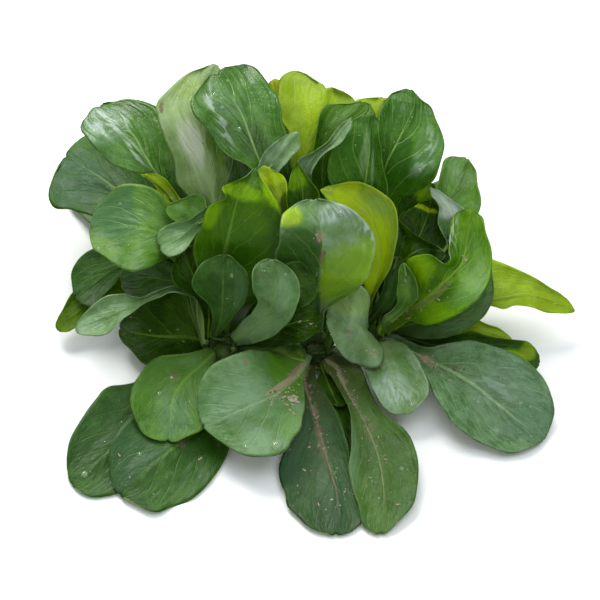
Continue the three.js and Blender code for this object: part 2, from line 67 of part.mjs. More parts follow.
  { name: "left_shoot_leaf_09", tone: "leaf_deep_green", grid: [-3500,-1838,500,-3445,-1816,499,-3391,-1796,495,-3336,-1778,489,-3279,-1763,482,-3671,-1125,724,-3583,-1102,669,-3492,-1126,656,-3450,-1085,669,-3404,-1091,725,-3853,-656,1158,-3722,-553,1047,-3580,-552,1033,-3542,-524,1054,-3495,-600,1172,-3945,-377,1774,-3833,-184,1609,-3703,-153,1592,-3686,-122,1607,-3653,-253,1771,-4115,123,2308,-4091,261,2105,-4046,198,2082,-4151,52,2063,-4233,-293,2223,-4819,640,2544,-4758,634,2327,-4671,423,2290,-4755,194,2225,-4813,-233,2341,-5648,970,2524,-5518,890,2296,-5359,604,2249,-5411,386,2150,-5434,-31,2232,-6460,1161,2362,-6254,1009,2123,-6016,654,2064,-6070,586,1938,-6092,317,1993,-7232,1283,2147,-6922,1012,1910,-6578,539,1854,-6533,329,1713,-6454,-77,1751,-7806,1091,1870,-7448,817,1661,-7054,345,1633,-6929,54,1498,-6770,-429,1542,-8079,705,1511,-7808,412,1411,-7466,90,1406,-7307,-331,1352,-7080,-779,1394,-7957,64,1234,-7929,-76,1201,-7843,-155,1186,-7782,-326,1199,-7663,-436,1231] },
  { name: "left_shoot_leaf_10", tone: "leaf_bluish_green", grid: [-2628,-1429,523,-2568,-1423,525,-2508,-1422,528,-2449,-1425,532,-2389,-1427,536,-2753,-987,1374,-2678,-1025,1365,-2600,-1114,1404,-2543,-1006,1370,-2482,-947,1384,-2898,-576,2207,-2800,-590,2189,-2694,-710,2268,-2612,-560,2199,-2522,-517,2227,-3168,-126,3019,-2989,-95,2983,-2797,-233,3097,-2501,-10,2991,-2192,44,3033,-3442,521,3774,-3189,551,3710,-2920,368,3827,-2489,647,3692,-2042,712,3736,-3873,1174,4560,-3463,1173,4473,-3035,951,4565,-2432,1225,4417,-1812,1279,4449,-4318,1540,5330,-3721,1630,5227,-3102,1490,5304,-2372,1781,5155,-1623,1843,5186,-4513,1906,6070,-3902,2043,5958,-3268,1941,6027,-2660,2282,5887,-2032,2385,5928,-4831,2544,6643,-4168,2632,6528,-3481,2475,6594,-2902,2800,6467,-2303,2880,6520,-4653,3611,7068,-4137,3488,6959,-3600,3110,7030,-3006,3219,6911,-2394,3074,6972,-3964,4216,7358,-3680,4150,7317,-3409,3809,7371,-2953,3695,7299,-2515,3310,7321,-3240,4353,7596,-3120,4439,7617,-3041,4377,7657,-2914,4350,7616,-2829,4176,7594] },
  { name: "right_shoot_leaf_08", tone: "leaf_deep_green", grid: [2758,-1571,559,2741,-1632,555,2723,-1693,551,2705,-1758,551,2687,-1823,551,2960,-1119,792,2978,-1215,716,2993,-1360,688,3057,-1440,665,3116,-1569,690,3379,-931,1079,3385,-1050,927,3382,-1270,872,3427,-1461,826,3461,-1750,877,3748,-922,1398,3787,-1055,1175,3810,-1343,1101,3875,-1655,1030,3921,-2116,1107,4116,-835,1665,4191,-1009,1396,4243,-1372,1306,4341,-1765,1214,4415,-2336,1303,4427,-719,1861,4562,-929,1575,4671,-1330,1468,4845,-1735,1370,4990,-2320,1452,4735,-477,1982,4917,-719,1695,5071,-1152,1588,5298,-1544,1487,5493,-2118,1567,5028,-159,2042,5248,-431,1767,5437,-895,1673,5671,-1204,1575,5872,-1699,1656,5303,150,2051,5548,-122,1803,5762,-588,1734,5990,-803,1638,6184,-1208,1723,5521,421,2015,5798,188,1807,6040,-241,1779,6236,-349,1684,6397,-651,1770,5830,812,1902,6070,573,1814,6259,161,1821,6382,137,1770,6455,-60,1814,6366,811,1854,6405,746,1848,6415,586,1859,6434,562,1846,6424,443,1851] },
  { name: "right_shoot_leaf_09", tone: "leaf_mid_green", grid: [2053,-885,542,2117,-892,539,2180,-902,537,2240,-916,537,2297,-935,539,2148,-512,1326,2215,-526,1270,2279,-591,1262,2349,-560,1266,2417,-580,1319,2210,-237,2146,2311,-188,2032,2406,-246,2016,2495,-225,2026,2577,-312,2133,2193,36,2989,2360,156,2817,2517,107,2794,2712,105,2804,2893,-66,2962,2247,411,3756,2420,597,3534,2579,570,3492,2833,620,3501,3070,458,3689,2404,681,4631,2501,893,4378,2583,884,4305,2878,1002,4317,3154,900,4510,2598,883,5497,2592,1110,5231,2570,1109,5145,3281,1020,5154,3964,705,5342,2437,1283,6219,2588,1438,5954,2722,1358,5869,3512,985,5865,4266,387,6042,2368,1899,6709,2710,1912,6460,3035,1683,6391,3787,1404,6371,4504,892,6530,2448,2537,7000,2892,2468,6789,3316,2153,6759,3896,2048,6718,4446,1700,6856,2672,2999,7109,3120,3005,7029,3529,2741,7044,3860,2899,7004,4150,2786,7059,3235,3472,7232,3372,3532,7246,3507,3406,7279,3596,3460,7246,3682,3327,7231] },
  { name: "left_shoot_leaf_11", tone: "leaf_deep_green", grid: [-3254,-1629,630,-3198,-1599,615,-3143,-1578,604,-3088,-1565,601,-3033,-1560,605,-3394,-1267,866,-3312,-1251,839,-3229,-1276,849,-3182,-1246,854,-3131,-1259,902,-3549,-970,1122,-3431,-911,1070,-3303,-954,1114,-3245,-923,1125,-3179,-994,1233,-3596,-797,1533,-3500,-683,1441,-3389,-729,1498,-3401,-713,1503,-3399,-856,1656,-3616,-601,2048,-3612,-510,1896,-3588,-615,1924,-3676,-742,1912,-3744,-1063,2080,-3991,-458,2462,-3994,-472,2251,-3977,-684,2220,-4051,-829,2188,-4104,-1168,2335,-4418,-312,2673,-4413,-399,2434,-4385,-684,2374,-4468,-894,2306,-4528,-1297,2418,-4833,-107,2728,-4823,-261,2486,-4787,-614,2424,-4881,-926,2296,-4950,-1428,2347,-5323,137,2665,-5262,-66,2437,-5173,-469,2389,-5227,-834,2215,-5253,-1388,2221,-5759,220,2506,-5663,19,2308,-5538,-381,2289,-5559,-737,2118,-5551,-1282,2126,-6100,276,2228,-6032,35,2132,-5893,-295,2132,-5927,-657,2062,-5891,-1103,2088,-6256,-8,1996,-6274,-95,1968,-6231,-188,1958,-6232,-314,1966,-6172,-444,1991] },
  { name: "middle_shoot_leaf_10", tone: "leaf_mid_green", grid: [-302,-1538,430,-242,-1533,427,-182,-1529,423,-121,-1526,419,-60,-1529,417,-260,-878,1171,-176,-910,1118,-92,-989,1111,-35,-949,1132,21,-958,1199,-284,-539,2107,-141,-495,1999,2,-557,1987,90,-540,2027,177,-628,2164,-452,-505,3231,-246,-314,3063,-39,-292,3044,156,-231,3103,349,-339,3311,-840,-301,4203,-601,4,3972,-358,98,3921,-169,229,4009,20,145,4277,-1268,49,5151,-1025,348,4872,-774,427,4774,-507,650,4902,-239,650,5210,-1627,563,5933,-1425,771,5656,-1214,750,5559,-833,1069,5708,-448,1157,6037,-2405,833,6469,-1988,1154,6244,-1555,1239,6199,-1059,1612,6357,-557,1746,6695,-2985,1352,6870,-2422,1707,6701,-1839,1821,6713,-1317,2291,6857,-785,2516,7181,-3415,1748,7205,-2784,2217,7073,-2129,2440,7122,-1668,3092,7212,-1192,3496,7483,-3759,2529,7447,-3185,2957,7398,-2519,3058,7444,-2148,3872,7449,-1689,4362,7549,-3194,3602,7659,-3075,3768,7678,-2877,3701,7716,-2787,4055,7680,-2619,4175,7662] },
  { name: "right_shoot_leaf_10", tone: "leaf_mid_green", grid: [1681,-1029,557,1742,-1040,557,1803,-1049,555,1865,-1057,552,1926,-1065,548,1765,-767,1328,1834,-775,1273,1901,-833,1265,1968,-793,1258,2031,-803,1300,1820,-590,2122,1918,-542,2009,2009,-600,1994,2082,-557,1981,2148,-620,2066,1673,-375,2889,1890,-258,2719,2099,-308,2697,2268,-267,2676,2426,-392,2803,1464,-241,3672,1789,-25,3453,2105,-18,3414,2411,75,3391,2703,-42,3548,1216,-24,4497,1608,188,4250,1992,185,4182,2394,286,4169,2780,171,4337,972,258,5278,1463,421,5018,1948,362,4939,2367,413,4933,2769,242,5107,735,610,5935,1360,714,5676,1978,588,5596,2336,609,5597,2677,402,5778,791,949,6455,1431,1020,6211,2063,856,6146,2299,898,6146,2519,708,6326,1077,1162,6806,1603,1284,6617,2121,1185,6591,2290,1284,6574,2444,1144,6736,1491,1647,6977,1799,1754,6900,2101,1643,6918,2283,1789,6889,2457,1718,6956,1848,2179,7131,1959,2236,7149,2069,2127,7186,2167,2245,7150,2265,2198,7133] },
  { name: "right_shoot_leaf_11", tone: "leaf_deep_green", grid: [2390,-1002,560,2447,-1031,558,2503,-1061,556,2560,-1090,554,2616,-1119,552,2553,-720,914,2607,-718,856,2657,-766,846,2729,-756,834,2797,-796,869,2694,-611,1407,2753,-545,1291,2804,-583,1272,2882,-569,1249,2951,-659,1324,2795,-645,2060,2876,-518,1884,2943,-553,1856,3048,-534,1816,3139,-677,1925,2718,-619,2775,2910,-499,2541,3087,-580,2487,3352,-636,2424,3598,-889,2540,2682,-446,3370,2978,-375,3097,3258,-508,3005,3647,-666,2924,4011,-1022,3023,2823,-127,3768,3161,-132,3488,3481,-345,3387,3915,-562,3303,4322,-980,3399,2976,228,3984,3358,176,3724,3719,-87,3644,4185,-279,3572,4623,-677,3679,3097,497,4176,3508,438,3950,3899,165,3904,4283,72,3841,4640,-231,3959,3366,675,4358,3706,643,4174,4023,394,4169,4303,372,4104,4556,135,4219,3719,811,4505,3936,781,4441,4122,565,4472,4327,583,4422,4499,416,4467,4107,740,4711,4171,764,4732,4215,702,4772,4269,712,4733,4302,636,4713] },
  { name: "right_shoot_leaf_12", tone: "leaf_mid_green", grid: [2419,-2067,536,2471,-2024,535,2523,-1981,534,2574,-1940,534,2625,-1899,533,3041,-1643,867,2976,-1701,782,2906,-1804,741,2929,-2004,739,2947,-2250,784,3594,-2330,1135,3526,-2316,967,3448,-2400,897,3431,-2595,877,3404,-2885,955,4236,-2740,1308,4130,-2748,1055,4006,-2905,951,3963,-3156,907,3903,-3549,1012,5075,-2632,1494,4842,-2912,1168,4584,-3370,1022,4397,-3927,932,4190,-4645,1022,5975,-2790,1556,5573,-3197,1182,5143,-3777,988,4819,-4453,849,4476,-5282,890,6747,-3118,1463,6210,-3565,1077,5644,-4181,870,5249,-4876,697,4836,-5720,703,7323,-3431,1279,6722,-3918,909,6092,-4571,719,5715,-5219,521,5316,-6016,502,7746,-3816,1057,7141,-4289,726,6505,-4924,575,6173,-5510,368,5814,-6244,341,7995,-4279,798,7461,-4676,526,6893,-5233,434,6629,-5718,248,6335,-6353,242,8106,-4747,424,7731,-5123,305,7275,-5505,282,7117,-5893,206,6878,-6286,226,7776,-5507,167,7734,-5655,141,7632,-5752,132,7578,-5862,138,7464,-5922,161] },
  { name: "left_shoot_leaf_12", tone: "leaf_mid_green", grid: [-3048,-1698,745,-3109,-1700,745,-3171,-1700,740,-3233,-1700,731,-3296,-1701,719,-3121,-1262,1205,-3178,-1271,1154,-3230,-1329,1150,-3312,-1311,1163,-3391,-1342,1223,-3134,-971,1799,-3210,-918,1693,-3277,-968,1683,-3397,-980,1709,-3509,-1096,1832,-3089,-584,2444,-3241,-523,2273,-3380,-627,2250,-3571,-703,2271,-3745,-942,2440,-3386,-112,3108,-3526,-114,2858,-3648,-321,2788,-3871,-482,2779,-4071,-843,2950,-3865,213,3827,-3961,116,3505,-4036,-190,3362,-4278,-366,3311,-4494,-745,3439,-4386,610,4424,-4457,331,4056,-4502,-159,3868,-4792,-808,3760,-5050,-1646,3831,-4955,1241,4786,-5008,658,4388,-5033,-131,4170,-5264,-934,3979,-5462,-1920,3967,-5712,1518,4800,-5665,886,4406,-5588,49,4192,-5740,-747,3943,-5857,-1727,3874,-6437,1530,4521,-6304,1017,4187,-6138,296,4033,-6218,-420,3796,-6263,-1326,3739,-6969,1460,4020,-6878,1012,3873,-6674,473,3822,-6750,-172,3732,-6714,-897,3737,-7173,883,3644,-7217,745,3609,-7175,612,3592,-7211,416,3604,-7161,225,3635] },
  { name: "right_shoot_leaf_13", tone: "leaf_bluish_green", grid: [2613,-1490,779,2670,-1520,763,2724,-1557,754,2774,-1611,760,2817,-1677,779,2888,-1204,1224,2930,-1236,1182,2967,-1317,1187,3039,-1341,1195,3107,-1415,1249,3140,-1055,1770,3194,-1039,1684,3239,-1126,1695,3318,-1167,1700,3388,-1312,1802,3330,-1002,2472,3427,-969,2343,3508,-1097,2364,3648,-1192,2361,3770,-1447,2508,3534,-901,3160,3678,-897,3007,3800,-1093,3034,4025,-1276,3021,4224,-1656,3189,4010,-926,3664,4101,-857,3509,4167,-992,3534,4444,-1194,3518,4691,-1594,3681,4552,-980,3990,4564,-759,3842,4548,-744,3873,4884,-863,3853,5189,-1186,4013,4578,-457,4191,4709,-262,4059,4812,-277,4106,5186,-303,4083,5528,-539,4241,4442,-90,4444,4685,137,4328,4901,149,4391,5203,288,4362,5474,212,4512,4439,111,4723,4586,382,4619,4707,436,4695,4885,618,4648,5034,581,4781,4279,415,4945,4344,604,4903,4409,650,4956,4516,770,4912,4621,747,4963,4133,729,5144,4128,822,5159,4134,862,5193,4184,876,5159,4246,838,5144] },
  { name: "middle_shoot_leaf_11", tone: "leaf_mid_green", grid: [40,-1427,587,97,-1400,583,154,-1374,578,211,-1353,574,268,-1337,569,-133,-1291,1429,-58,-1262,1376,16,-1282,1370,74,-1220,1369,131,-1208,1415,-311,-1220,2292,-214,-1115,2184,-118,-1114,2173,-44,-1054,2169,29,-1098,2263,-529,-1108,3112,-398,-916,2950,-264,-890,2938,-135,-808,2926,-7,-891,3064,-768,-938,3891,-606,-687,3694,-440,-643,3676,-272,-543,3656,-102,-649,3816,-1016,-662,4589,-834,-401,4378,-647,-351,4347,-485,-262,4325,-322,-387,4483,-1242,-330,5190,-1057,-65,4976,-866,-19,4943,-722,61,4916,-576,-78,5069,-1456,90,5699,-1288,319,5491,-1112,324,5462,-984,397,5427,-851,246,5572,-1499,685,6141,-1341,810,5947,-1174,704,5933,-1030,723,5887,-882,513,6022,-1206,1162,6501,-1067,1196,6335,-922,993,6349,-740,891,6288,-556,556,6408,-836,1478,6729,-685,1429,6669,-558,1205,6704,-395,1097,6653,-259,815,6696,-372,1498,6955,-279,1502,6978,-218,1422,7020,-186,1379,6978,-186,1251,6954] },
  { name: "middle_shoot_leaf_12", tone: "leaf_bluish_green", grid: [306,-1340,513,367,-1338,507,428,-1338,504,489,-1340,505,551,-1344,509,294,-1192,1519,369,-1208,1485,444,-1274,1498,506,-1238,1505,567,-1252,1559,246,-1047,2422,357,-1012,2352,467,-1082,2380,546,-1063,2394,624,-1149,2505,130,-790,3208,292,-679,3100,451,-735,3141,612,-707,3151,769,-847,3311,-15,-508,3964,162,-323,3823,338,-347,3861,494,-298,3856,645,-460,4030,-174,-172,4723,-6,26,4562,162,7,4582,309,47,4560,453,-129,4719,-302,175,5433,-155,370,5267,-7,342,5280,132,378,5246,269,191,5393,-324,652,6066,-198,783,5905,-73,684,5925,77,667,5882,224,421,6019,167,895,6522,227,1054,6373,286,978,6404,379,928,6352,469,645,6480,652,1109,6848,724,1220,6717,791,1089,6769,864,1071,6706,931,821,6817,1015,1431,7095,1113,1490,7046,1192,1390,7092,1286,1309,7042,1359,1072,7085,1409,1683,7322,1479,1744,7343,1532,1744,7382,1533,1686,7343,1517,1569,7322] },
  { name: "right_shoot_leaf_14", tone: "leaf_bluish_green", grid: [2041,-2119,536,2109,-2116,536,2176,-2114,537,2243,-2111,537,2311,-2108,537,2053,-2266,704,2193,-2126,712,2330,-2034,767,2427,-2079,795,2519,-2172,870,1988,-3057,774,2250,-2646,791,2508,-2328,905,2777,-2242,963,3037,-2254,1118,2032,-3438,777,2333,-3009,780,2626,-2722,933,3001,-2554,1008,3361,-2535,1233,2043,-3719,915,2406,-3333,855,2759,-3120,975,3187,-2981,1053,3597,-3021,1310,2065,-4085,1089,2472,-3707,949,2869,-3501,989,3338,-3414,1063,3787,-3505,1316,2154,-4480,1137,2555,-4084,966,2947,-3856,975,3437,-3801,1031,3906,-3919,1267,2284,-4743,1070,2653,-4375,915,3013,-4175,941,3505,-4137,965,3977,-4271,1169,2424,-4926,972,2752,-4607,842,3068,-4455,893,3519,-4450,883,3948,-4615,1053,2581,-5079,887,2852,-4808,771,3108,-4704,836,3453,-4718,799,3778,-4900,942,2802,-5164,794,2972,-5035,735,3132,-4937,771,3360,-4991,745,3574,-5076,814,3078,-5155,719,3116,-5167,703,3150,-5150,705,3202,-5169,703,3250,-5158,720] },
  { name: "left_shoot_leaf_13", tone: "leaf_bluish_green", grid: [-3467,-1936,585,-3405,-1940,595,-3342,-1940,602,-3281,-1938,606,-3221,-1929,604,-3550,-1652,1204,-3456,-1628,1154,-3357,-1655,1150,-3308,-1620,1153,-3256,-1629,1198,-3603,-1591,1907,-3484,-1478,1793,-3355,-1469,1777,-3330,-1428,1780,-3295,-1490,1879,-3600,-1415,2527,-3580,-1263,2370,-3563,-1272,2352,-3629,-1351,2348,-3675,-1590,2494,-4130,-1380,2907,-4133,-1290,2714,-4114,-1397,2700,-4145,-1464,2694,-4155,-1726,2868,-4729,-1795,3021,-4718,-1662,2828,-4681,-1725,2816,-4708,-1815,2810,-4711,-2097,2985,-5279,-2102,3001,-5247,-1997,2802,-5187,-2085,2783,-5233,-2139,2756,-5250,-2385,2908,-5881,-1881,2964,-5806,-1994,2746,-5700,-2299,2709,-5718,-2410,2630,-5706,-2710,2732,-6414,-1929,2877,-6322,-2077,2653,-6197,-2415,2609,-6158,-2644,2488,-6088,-3058,2546,-6845,-2110,2711,-6768,-2216,2511,-6655,-2512,2491,-6577,-2815,2362,-6466,-3299,2414,-7196,-2299,2441,-7171,-2418,2347,-7090,-2611,2348,-7018,-2895,2293,-6890,-3251,2333,-7441,-2598,2235,-7485,-2673,2210,-7483,-2734,2203,-7453,-2858,2209,-7377,-2968,2232] },
  { name: "right_shoot_leaf_15", tone: "leaf_deep_green", grid: [2409,-1042,739,2468,-1062,739,2526,-1083,739,2584,-1107,742,2641,-1131,744,2483,-912,1175,2542,-908,1123,2596,-957,1119,2667,-965,1124,2733,-1023,1177,2505,-952,1721,2578,-892,1617,2643,-936,1609,2736,-954,1617,2820,-1076,1722,2442,-1015,2388,2582,-925,2214,2710,-996,2189,2885,-1059,2180,3046,-1282,2320,2419,-892,3061,2631,-836,2781,2829,-982,2681,3066,-1095,2616,3284,-1405,2731,2596,-657,3665,2806,-675,3278,3002,-898,3072,3263,-1052,2937,3505,-1403,2982,2788,-258,4054,3016,-434,3636,3227,-816,3398,3474,-1028,3219,3700,-1437,3220,3010,381,4305,3256,-128,3928,3481,-839,3731,3687,-1100,3527,3870,-1560,3503,3517,-410,4326,3654,-487,4013,3770,-774,3880,3879,-1092,3669,3965,-1609,3639,3957,-770,4243,4025,-677,3994,4070,-794,3926,4094,-1082,3734,4094,-1570,3722,4281,-871,4127,4332,-891,4029,4337,-1009,4025,4359,-1235,3934,4337,-1554,3938,4522,-1113,4112,4567,-1165,4112,4582,-1226,4129,4574,-1270,4108,4535,-1325,4105] },
  { name: "middle_shoot_leaf_13", tone: "leaf_yellow_green", grid: [-36,-1541,612,27,-1555,612,89,-1562,611,151,-1563,608,211,-1557,605,-45,-1545,1490,21,-1542,1452,87,-1589,1461,150,-1550,1456,213,-1561,1498,-56,-1534,2245,23,-1482,2167,102,-1533,2185,168,-1497,2175,234,-1565,2263,-115,-1308,2811,0,-1205,2696,115,-1266,2729,221,-1228,2713,325,-1354,2846,-244,-1153,3437,-65,-1015,3304,114,-1078,3351,324,-1045,3341,530,-1213,3511,-367,-952,4004,-140,-801,3877,87,-856,3929,348,-823,3938,605,-996,4127,-485,-727,4530,-226,-570,4409,34,-624,4467,322,-584,4484,606,-756,4681,-592,-521,5048,-306,-369,4933,-19,-434,4998,280,-395,5013,575,-573,5209,-670,-258,5469,-359,-116,5361,-47,-193,5434,229,-147,5440,501,-322,5626,-578,1,5803,-329,154,5707,-78,83,5791,134,157,5774,343,6,5938,-461,289,6065,-311,423,6032,-156,390,6094,-51,445,6063,58,333,6128,-306,597,6301,-281,676,6321,-250,693,6360,-219,684,6325,-182,612,6308] },
  { name: "left_shoot_leaf_14", tone: "leaf_mid_green", grid: [-3202,-2446,546,-3145,-2480,544,-3087,-2513,542,-3030,-2546,540,-2973,-2579,537,-3257,-2302,861,-3142,-2357,785,-3023,-2459,757,-3029,-2713,739,-3032,-3011,769,-3620,-2696,1097,-3445,-2772,944,-3260,-2945,887,-3182,-3087,853,-3095,-3324,916,-4018,-2931,1206,-3781,-3046,983,-3529,-3306,908,-3387,-3500,854,-3232,-3835,949,-4628,-3099,1265,-4219,-3295,998,-3791,-3666,911,-3549,-3935,842,-3292,-4373,953,-5181,-3530,1280,-4612,-3703,1004,-4021,-4050,908,-3636,-4390,836,-3239,-4895,944,-5506,-4220,1237,-4862,-4255,978,-4193,-4461,899,-3708,-4715,821,-3210,-5134,924,-5586,-5010,1128,-4946,-4864,914,-4278,-4885,881,-3737,-5040,795,-3182,-5359,889,-5492,-5411,966,-4895,-5249,799,-4270,-5252,813,-3755,-5442,721,-3225,-5794,808,-5325,-5647,807,-4817,-5519,670,-4283,-5553,714,-3895,-5701,621,-3490,-6008,708,-5090,-5925,650,-4709,-5882,582,-4310,-5830,608,-4061,-5988,564,-3797,-6137,616,-4530,-6107,526,-4437,-6128,505,-4337,-6080,503,-4274,-6137,504,-4205,-6124,524] },
  { name: "left_shoot_leaf_15", tone: "leaf_yellow_green", grid: [-3074,-1690,927,-3015,-1671,922,-2956,-1652,917,-2897,-1637,917,-2838,-1622,917,-3135,-1658,1571,-3072,-1615,1515,-3004,-1622,1507,-2949,-1575,1507,-2889,-1577,1555,-3210,-1516,2063,-3142,-1409,1953,-3065,-1404,1939,-3005,-1362,1939,-2936,-1423,2036,-3319,-1160,2360,-3239,-989,2206,-3145,-980,2200,-3072,-936,2204,-2986,-1052,2357,-3440,-936,2768,-3337,-733,2609,-3216,-728,2630,-3094,-659,2663,-2957,-789,2876,-3576,-685,3126,-3447,-479,2997,-3300,-474,3048,-3132,-371,3131,-2948,-472,3394,-3734,-454,3480,-3574,-240,3376,-3395,-231,3451,-3223,-105,3560,-3034,-189,3849,-3905,-309,3857,-3714,-76,3773,-3502,-52,3870,-3328,128,3987,-3136,95,4284,-4077,-180,4161,-3879,88,4092,-3658,145,4204,-3460,444,4309,-3242,528,4594,-4218,-141,4396,-4055,207,4334,-3869,342,4453,-3710,806,4516,-3528,1053,4759,-4367,-52,4551,-4302,277,4524,-4183,464,4592,-4151,746,4597,-4065,884,4696,-4561,326,4657,-4563,433,4661,-4513,497,4684,-4494,578,4666,-4423,615,4667] },
  { name: "right_shoot_leaf_16", tone: "leaf_yellow_green", grid: [2074,-913,760,2121,-964,757,2172,-1007,751,2226,-1043,742,2282,-1077,731,2222,-949,1119,2269,-971,1062,2319,-1033,1047,2379,-1055,1026,2438,-1123,1051,2305,-1112,1578,2387,-1079,1455,2462,-1148,1429,2542,-1173,1392,2615,-1299,1452,2377,-1376,2090,2481,-1275,1911,2573,-1333,1881,2696,-1365,1831,2806,-1554,1929,2458,-1473,2455,2570,-1326,2247,2668,-1373,2219,2810,-1400,2176,2936,-1619,2312,2546,-1435,2718,2654,-1282,2510,2748,-1324,2481,2895,-1361,2465,3025,-1592,2628,2607,-1325,2924,2720,-1179,2721,2818,-1230,2698,2966,-1266,2694,3095,-1498,2870,2633,-1210,3110,2762,-1076,2918,2877,-1141,2905,3019,-1162,2903,3143,-1381,3081,2657,-1127,3304,2796,-1010,3128,2920,-1094,3132,3056,-1095,3123,3173,-1296,3294,2709,-1063,3485,2840,-967,3334,2954,-1074,3363,3086,-1048,3337,3200,-1223,3491,2801,-971,3603,2902,-939,3544,2986,-1049,3580,3118,-1002,3549,3232,-1099,3614,2969,-1009,3741,2998,-990,3752,3018,-1027,3782,3061,-998,3754,3094,-1026,3744] },
  { name: "middle_shoot_leaf_14", tone: "leaf_yellow_green", grid: [-263,-1680,535,-202,-1687,537,-141,-1691,538,-80,-1691,539,-19,-1683,539,-335,-1763,1503,-265,-1748,1456,-194,-1781,1457,-137,-1744,1463,-79,-1755,1516,-411,-1858,2362,-326,-1782,2266,-240,-1809,2267,-180,-1782,2278,-119,-1858,2386,-519,-1747,3037,-406,-1612,2896,-291,-1639,2904,-209,-1616,2916,-128,-1754,3077,-670,-1562,3646,-517,-1395,3485,-361,-1428,3504,-208,-1388,3521,-56,-1550,3717,-850,-1342,4203,-665,-1172,4048,-477,-1208,4074,-296,-1147,4104,-114,-1293,4313,-1070,-1120,4732,-863,-961,4583,-651,-1012,4613,-486,-952,4651,-320,-1104,4869,-1268,-861,5238,-1036,-735,5092,-799,-825,5125,-632,-794,5169,-464,-979,5393,-1381,-556,5632,-1118,-443,5493,-848,-549,5533,-695,-523,5572,-539,-718,5791,-1459,-270,5916,-1190,-138,5794,-914,-229,5853,-727,-138,5865,-537,-271,6058,-1535,148,6095,-1301,233,6051,-1048,130,6102,-894,264,6086,-722,209,6165,-1392,590,6264,-1301,603,6279,-1186,492,6312,-1142,532,6283,-1076,449,6273] },
  { name: "left_shoot_leaf_16", tone: "leaf_deep_green", grid: [-3359,-1930,891,-3298,-1930,890,-3238,-1923,887,-3178,-1911,886,-3118,-1895,885,-3331,-2104,1599,-3265,-2067,1539,-3194,-2078,1526,-3137,-2049,1517,-3076,-2069,1555,-3330,-2187,2102,-3248,-2084,1979,-3157,-2081,1954,-3096,-2043,1935,-3027,-2106,2013,-3409,-1988,2319,-3290,-1810,2142,-3156,-1789,2113,-3065,-1731,2084,-2961,-1830,2205,-3523,-1832,2513,-3367,-1572,2310,-3199,-1503,2283,-3043,-1386,2260,-2870,-1463,2417,-3724,-1736,2739,-3504,-1435,2556,-3320,-1326,2521,-3150,-1141,2514,-2953,-1151,2693,-4027,-1686,2981,-3770,-1366,2794,-3496,-1241,2785,-3294,-1027,2794,-3066,-1012,2987,-4298,-1621,3182,-3987,-1275,3010,-3651,-1127,3019,-3412,-914,3043,-3154,-902,3247,-4414,-1378,3368,-4105,-1098,3217,-3772,-1018,3247,-3521,-812,3270,-3251,-809,3473,-4350,-1095,3543,-4117,-901,3414,-3861,-911,3464,-3622,-719,3466,-3363,-731,3647,-4192,-882,3690,-4066,-759,3639,-3915,-802,3682,-3734,-594,3662,-3530,-553,3736,-4010,-743,3848,-3991,-685,3860,-3958,-704,3890,-3910,-628,3862,-3849,-628,3852] },
  { name: "left_shoot_leaf_17", tone: "leaf_bluish_green", grid: [-2634,-1454,778,-2694,-1444,778,-2755,-1434,776,-2816,-1425,772,-2878,-1418,767,-2566,-1457,1626,-2637,-1453,1580,-2704,-1499,1581,-2770,-1468,1590,-2832,-1487,1647,-2476,-1464,2415,-2569,-1398,2321,-2654,-1437,2323,-2735,-1420,2343,-2808,-1507,2460,-2277,-1288,3065,-2450,-1158,2914,-2614,-1192,2911,-2773,-1177,2927,-2920,-1327,3093,-2107,-931,3633,-2343,-761,3411,-2568,-795,3369,-2781,-768,3365,-2978,-944,3540,-2027,-342,4254,-2274,-291,3971,-2510,-452,3867,-2746,-475,3835,-2966,-705,3984,-2284,381,4732,-2482,241,4433,-2667,-114,4314,-2867,-305,4244,-3050,-705,4355,-3186,241,4918,-3156,197,4649,-3108,-64,4560,-3185,-199,4434,-3245,-545,4489,-3650,-398,4881,-3619,-292,4654,-3568,-402,4607,-3590,-521,4439,-3592,-851,4452,-4201,-333,4710,-4083,-411,4517,-3942,-701,4505,-3928,-883,4339,-3893,-1273,4353,-4613,-283,4397,-4504,-509,4294,-4338,-804,4286,-4300,-1141,4222,-4206,-1542,4253,-4794,-617,4089,-4793,-732,4050,-4728,-816,4031,-4717,-988,4045,-4643,-1129,4079] },
  { name: "left_shoot_leaf_18", tone: "leaf_mid_green", grid: [-2229,-2193,725,-2267,-2246,722,-2305,-2300,719,-2342,-2352,715,-2380,-2405,711,-2291,-1894,680,-2323,-1944,620,-2352,-2042,608,-2252,-2189,594,-2151,-2383,627,-2011,-1949,736,-2052,-1961,616,-2088,-2071,592,-2077,-2214,568,-2061,-2452,641,-1712,-2095,902,-1765,-2092,723,-1812,-2240,692,-1834,-2398,653,-1849,-2703,762,-1403,-2235,1066,-1474,-2254,843,-1538,-2454,799,-1555,-2646,747,-1564,-3014,874,-1123,-2330,1173,-1201,-2394,928,-1273,-2639,864,-1261,-2875,807,-1244,-3286,930,-856,-2344,1190,-937,-2453,941,-1013,-2742,873,-991,-2993,804,-964,-3418,915,-597,-2302,1121,-683,-2445,884,-767,-2768,827,-738,-3016,735,-707,-3437,824,-362,-2208,985,-450,-2383,771,-537,-2737,737,-499,-2970,628,-460,-3376,699,-154,-2150,818,-239,-2328,639,-323,-2685,640,-277,-2906,530,-231,-3301,600,22,-2218,672,-25,-2413,597,-114,-2696,618,-51,-2918,564,-30,-3225,605,90,-2575,620,105,-2646,611,80,-2727,621,114,-2790,612,106,-2863,622] },
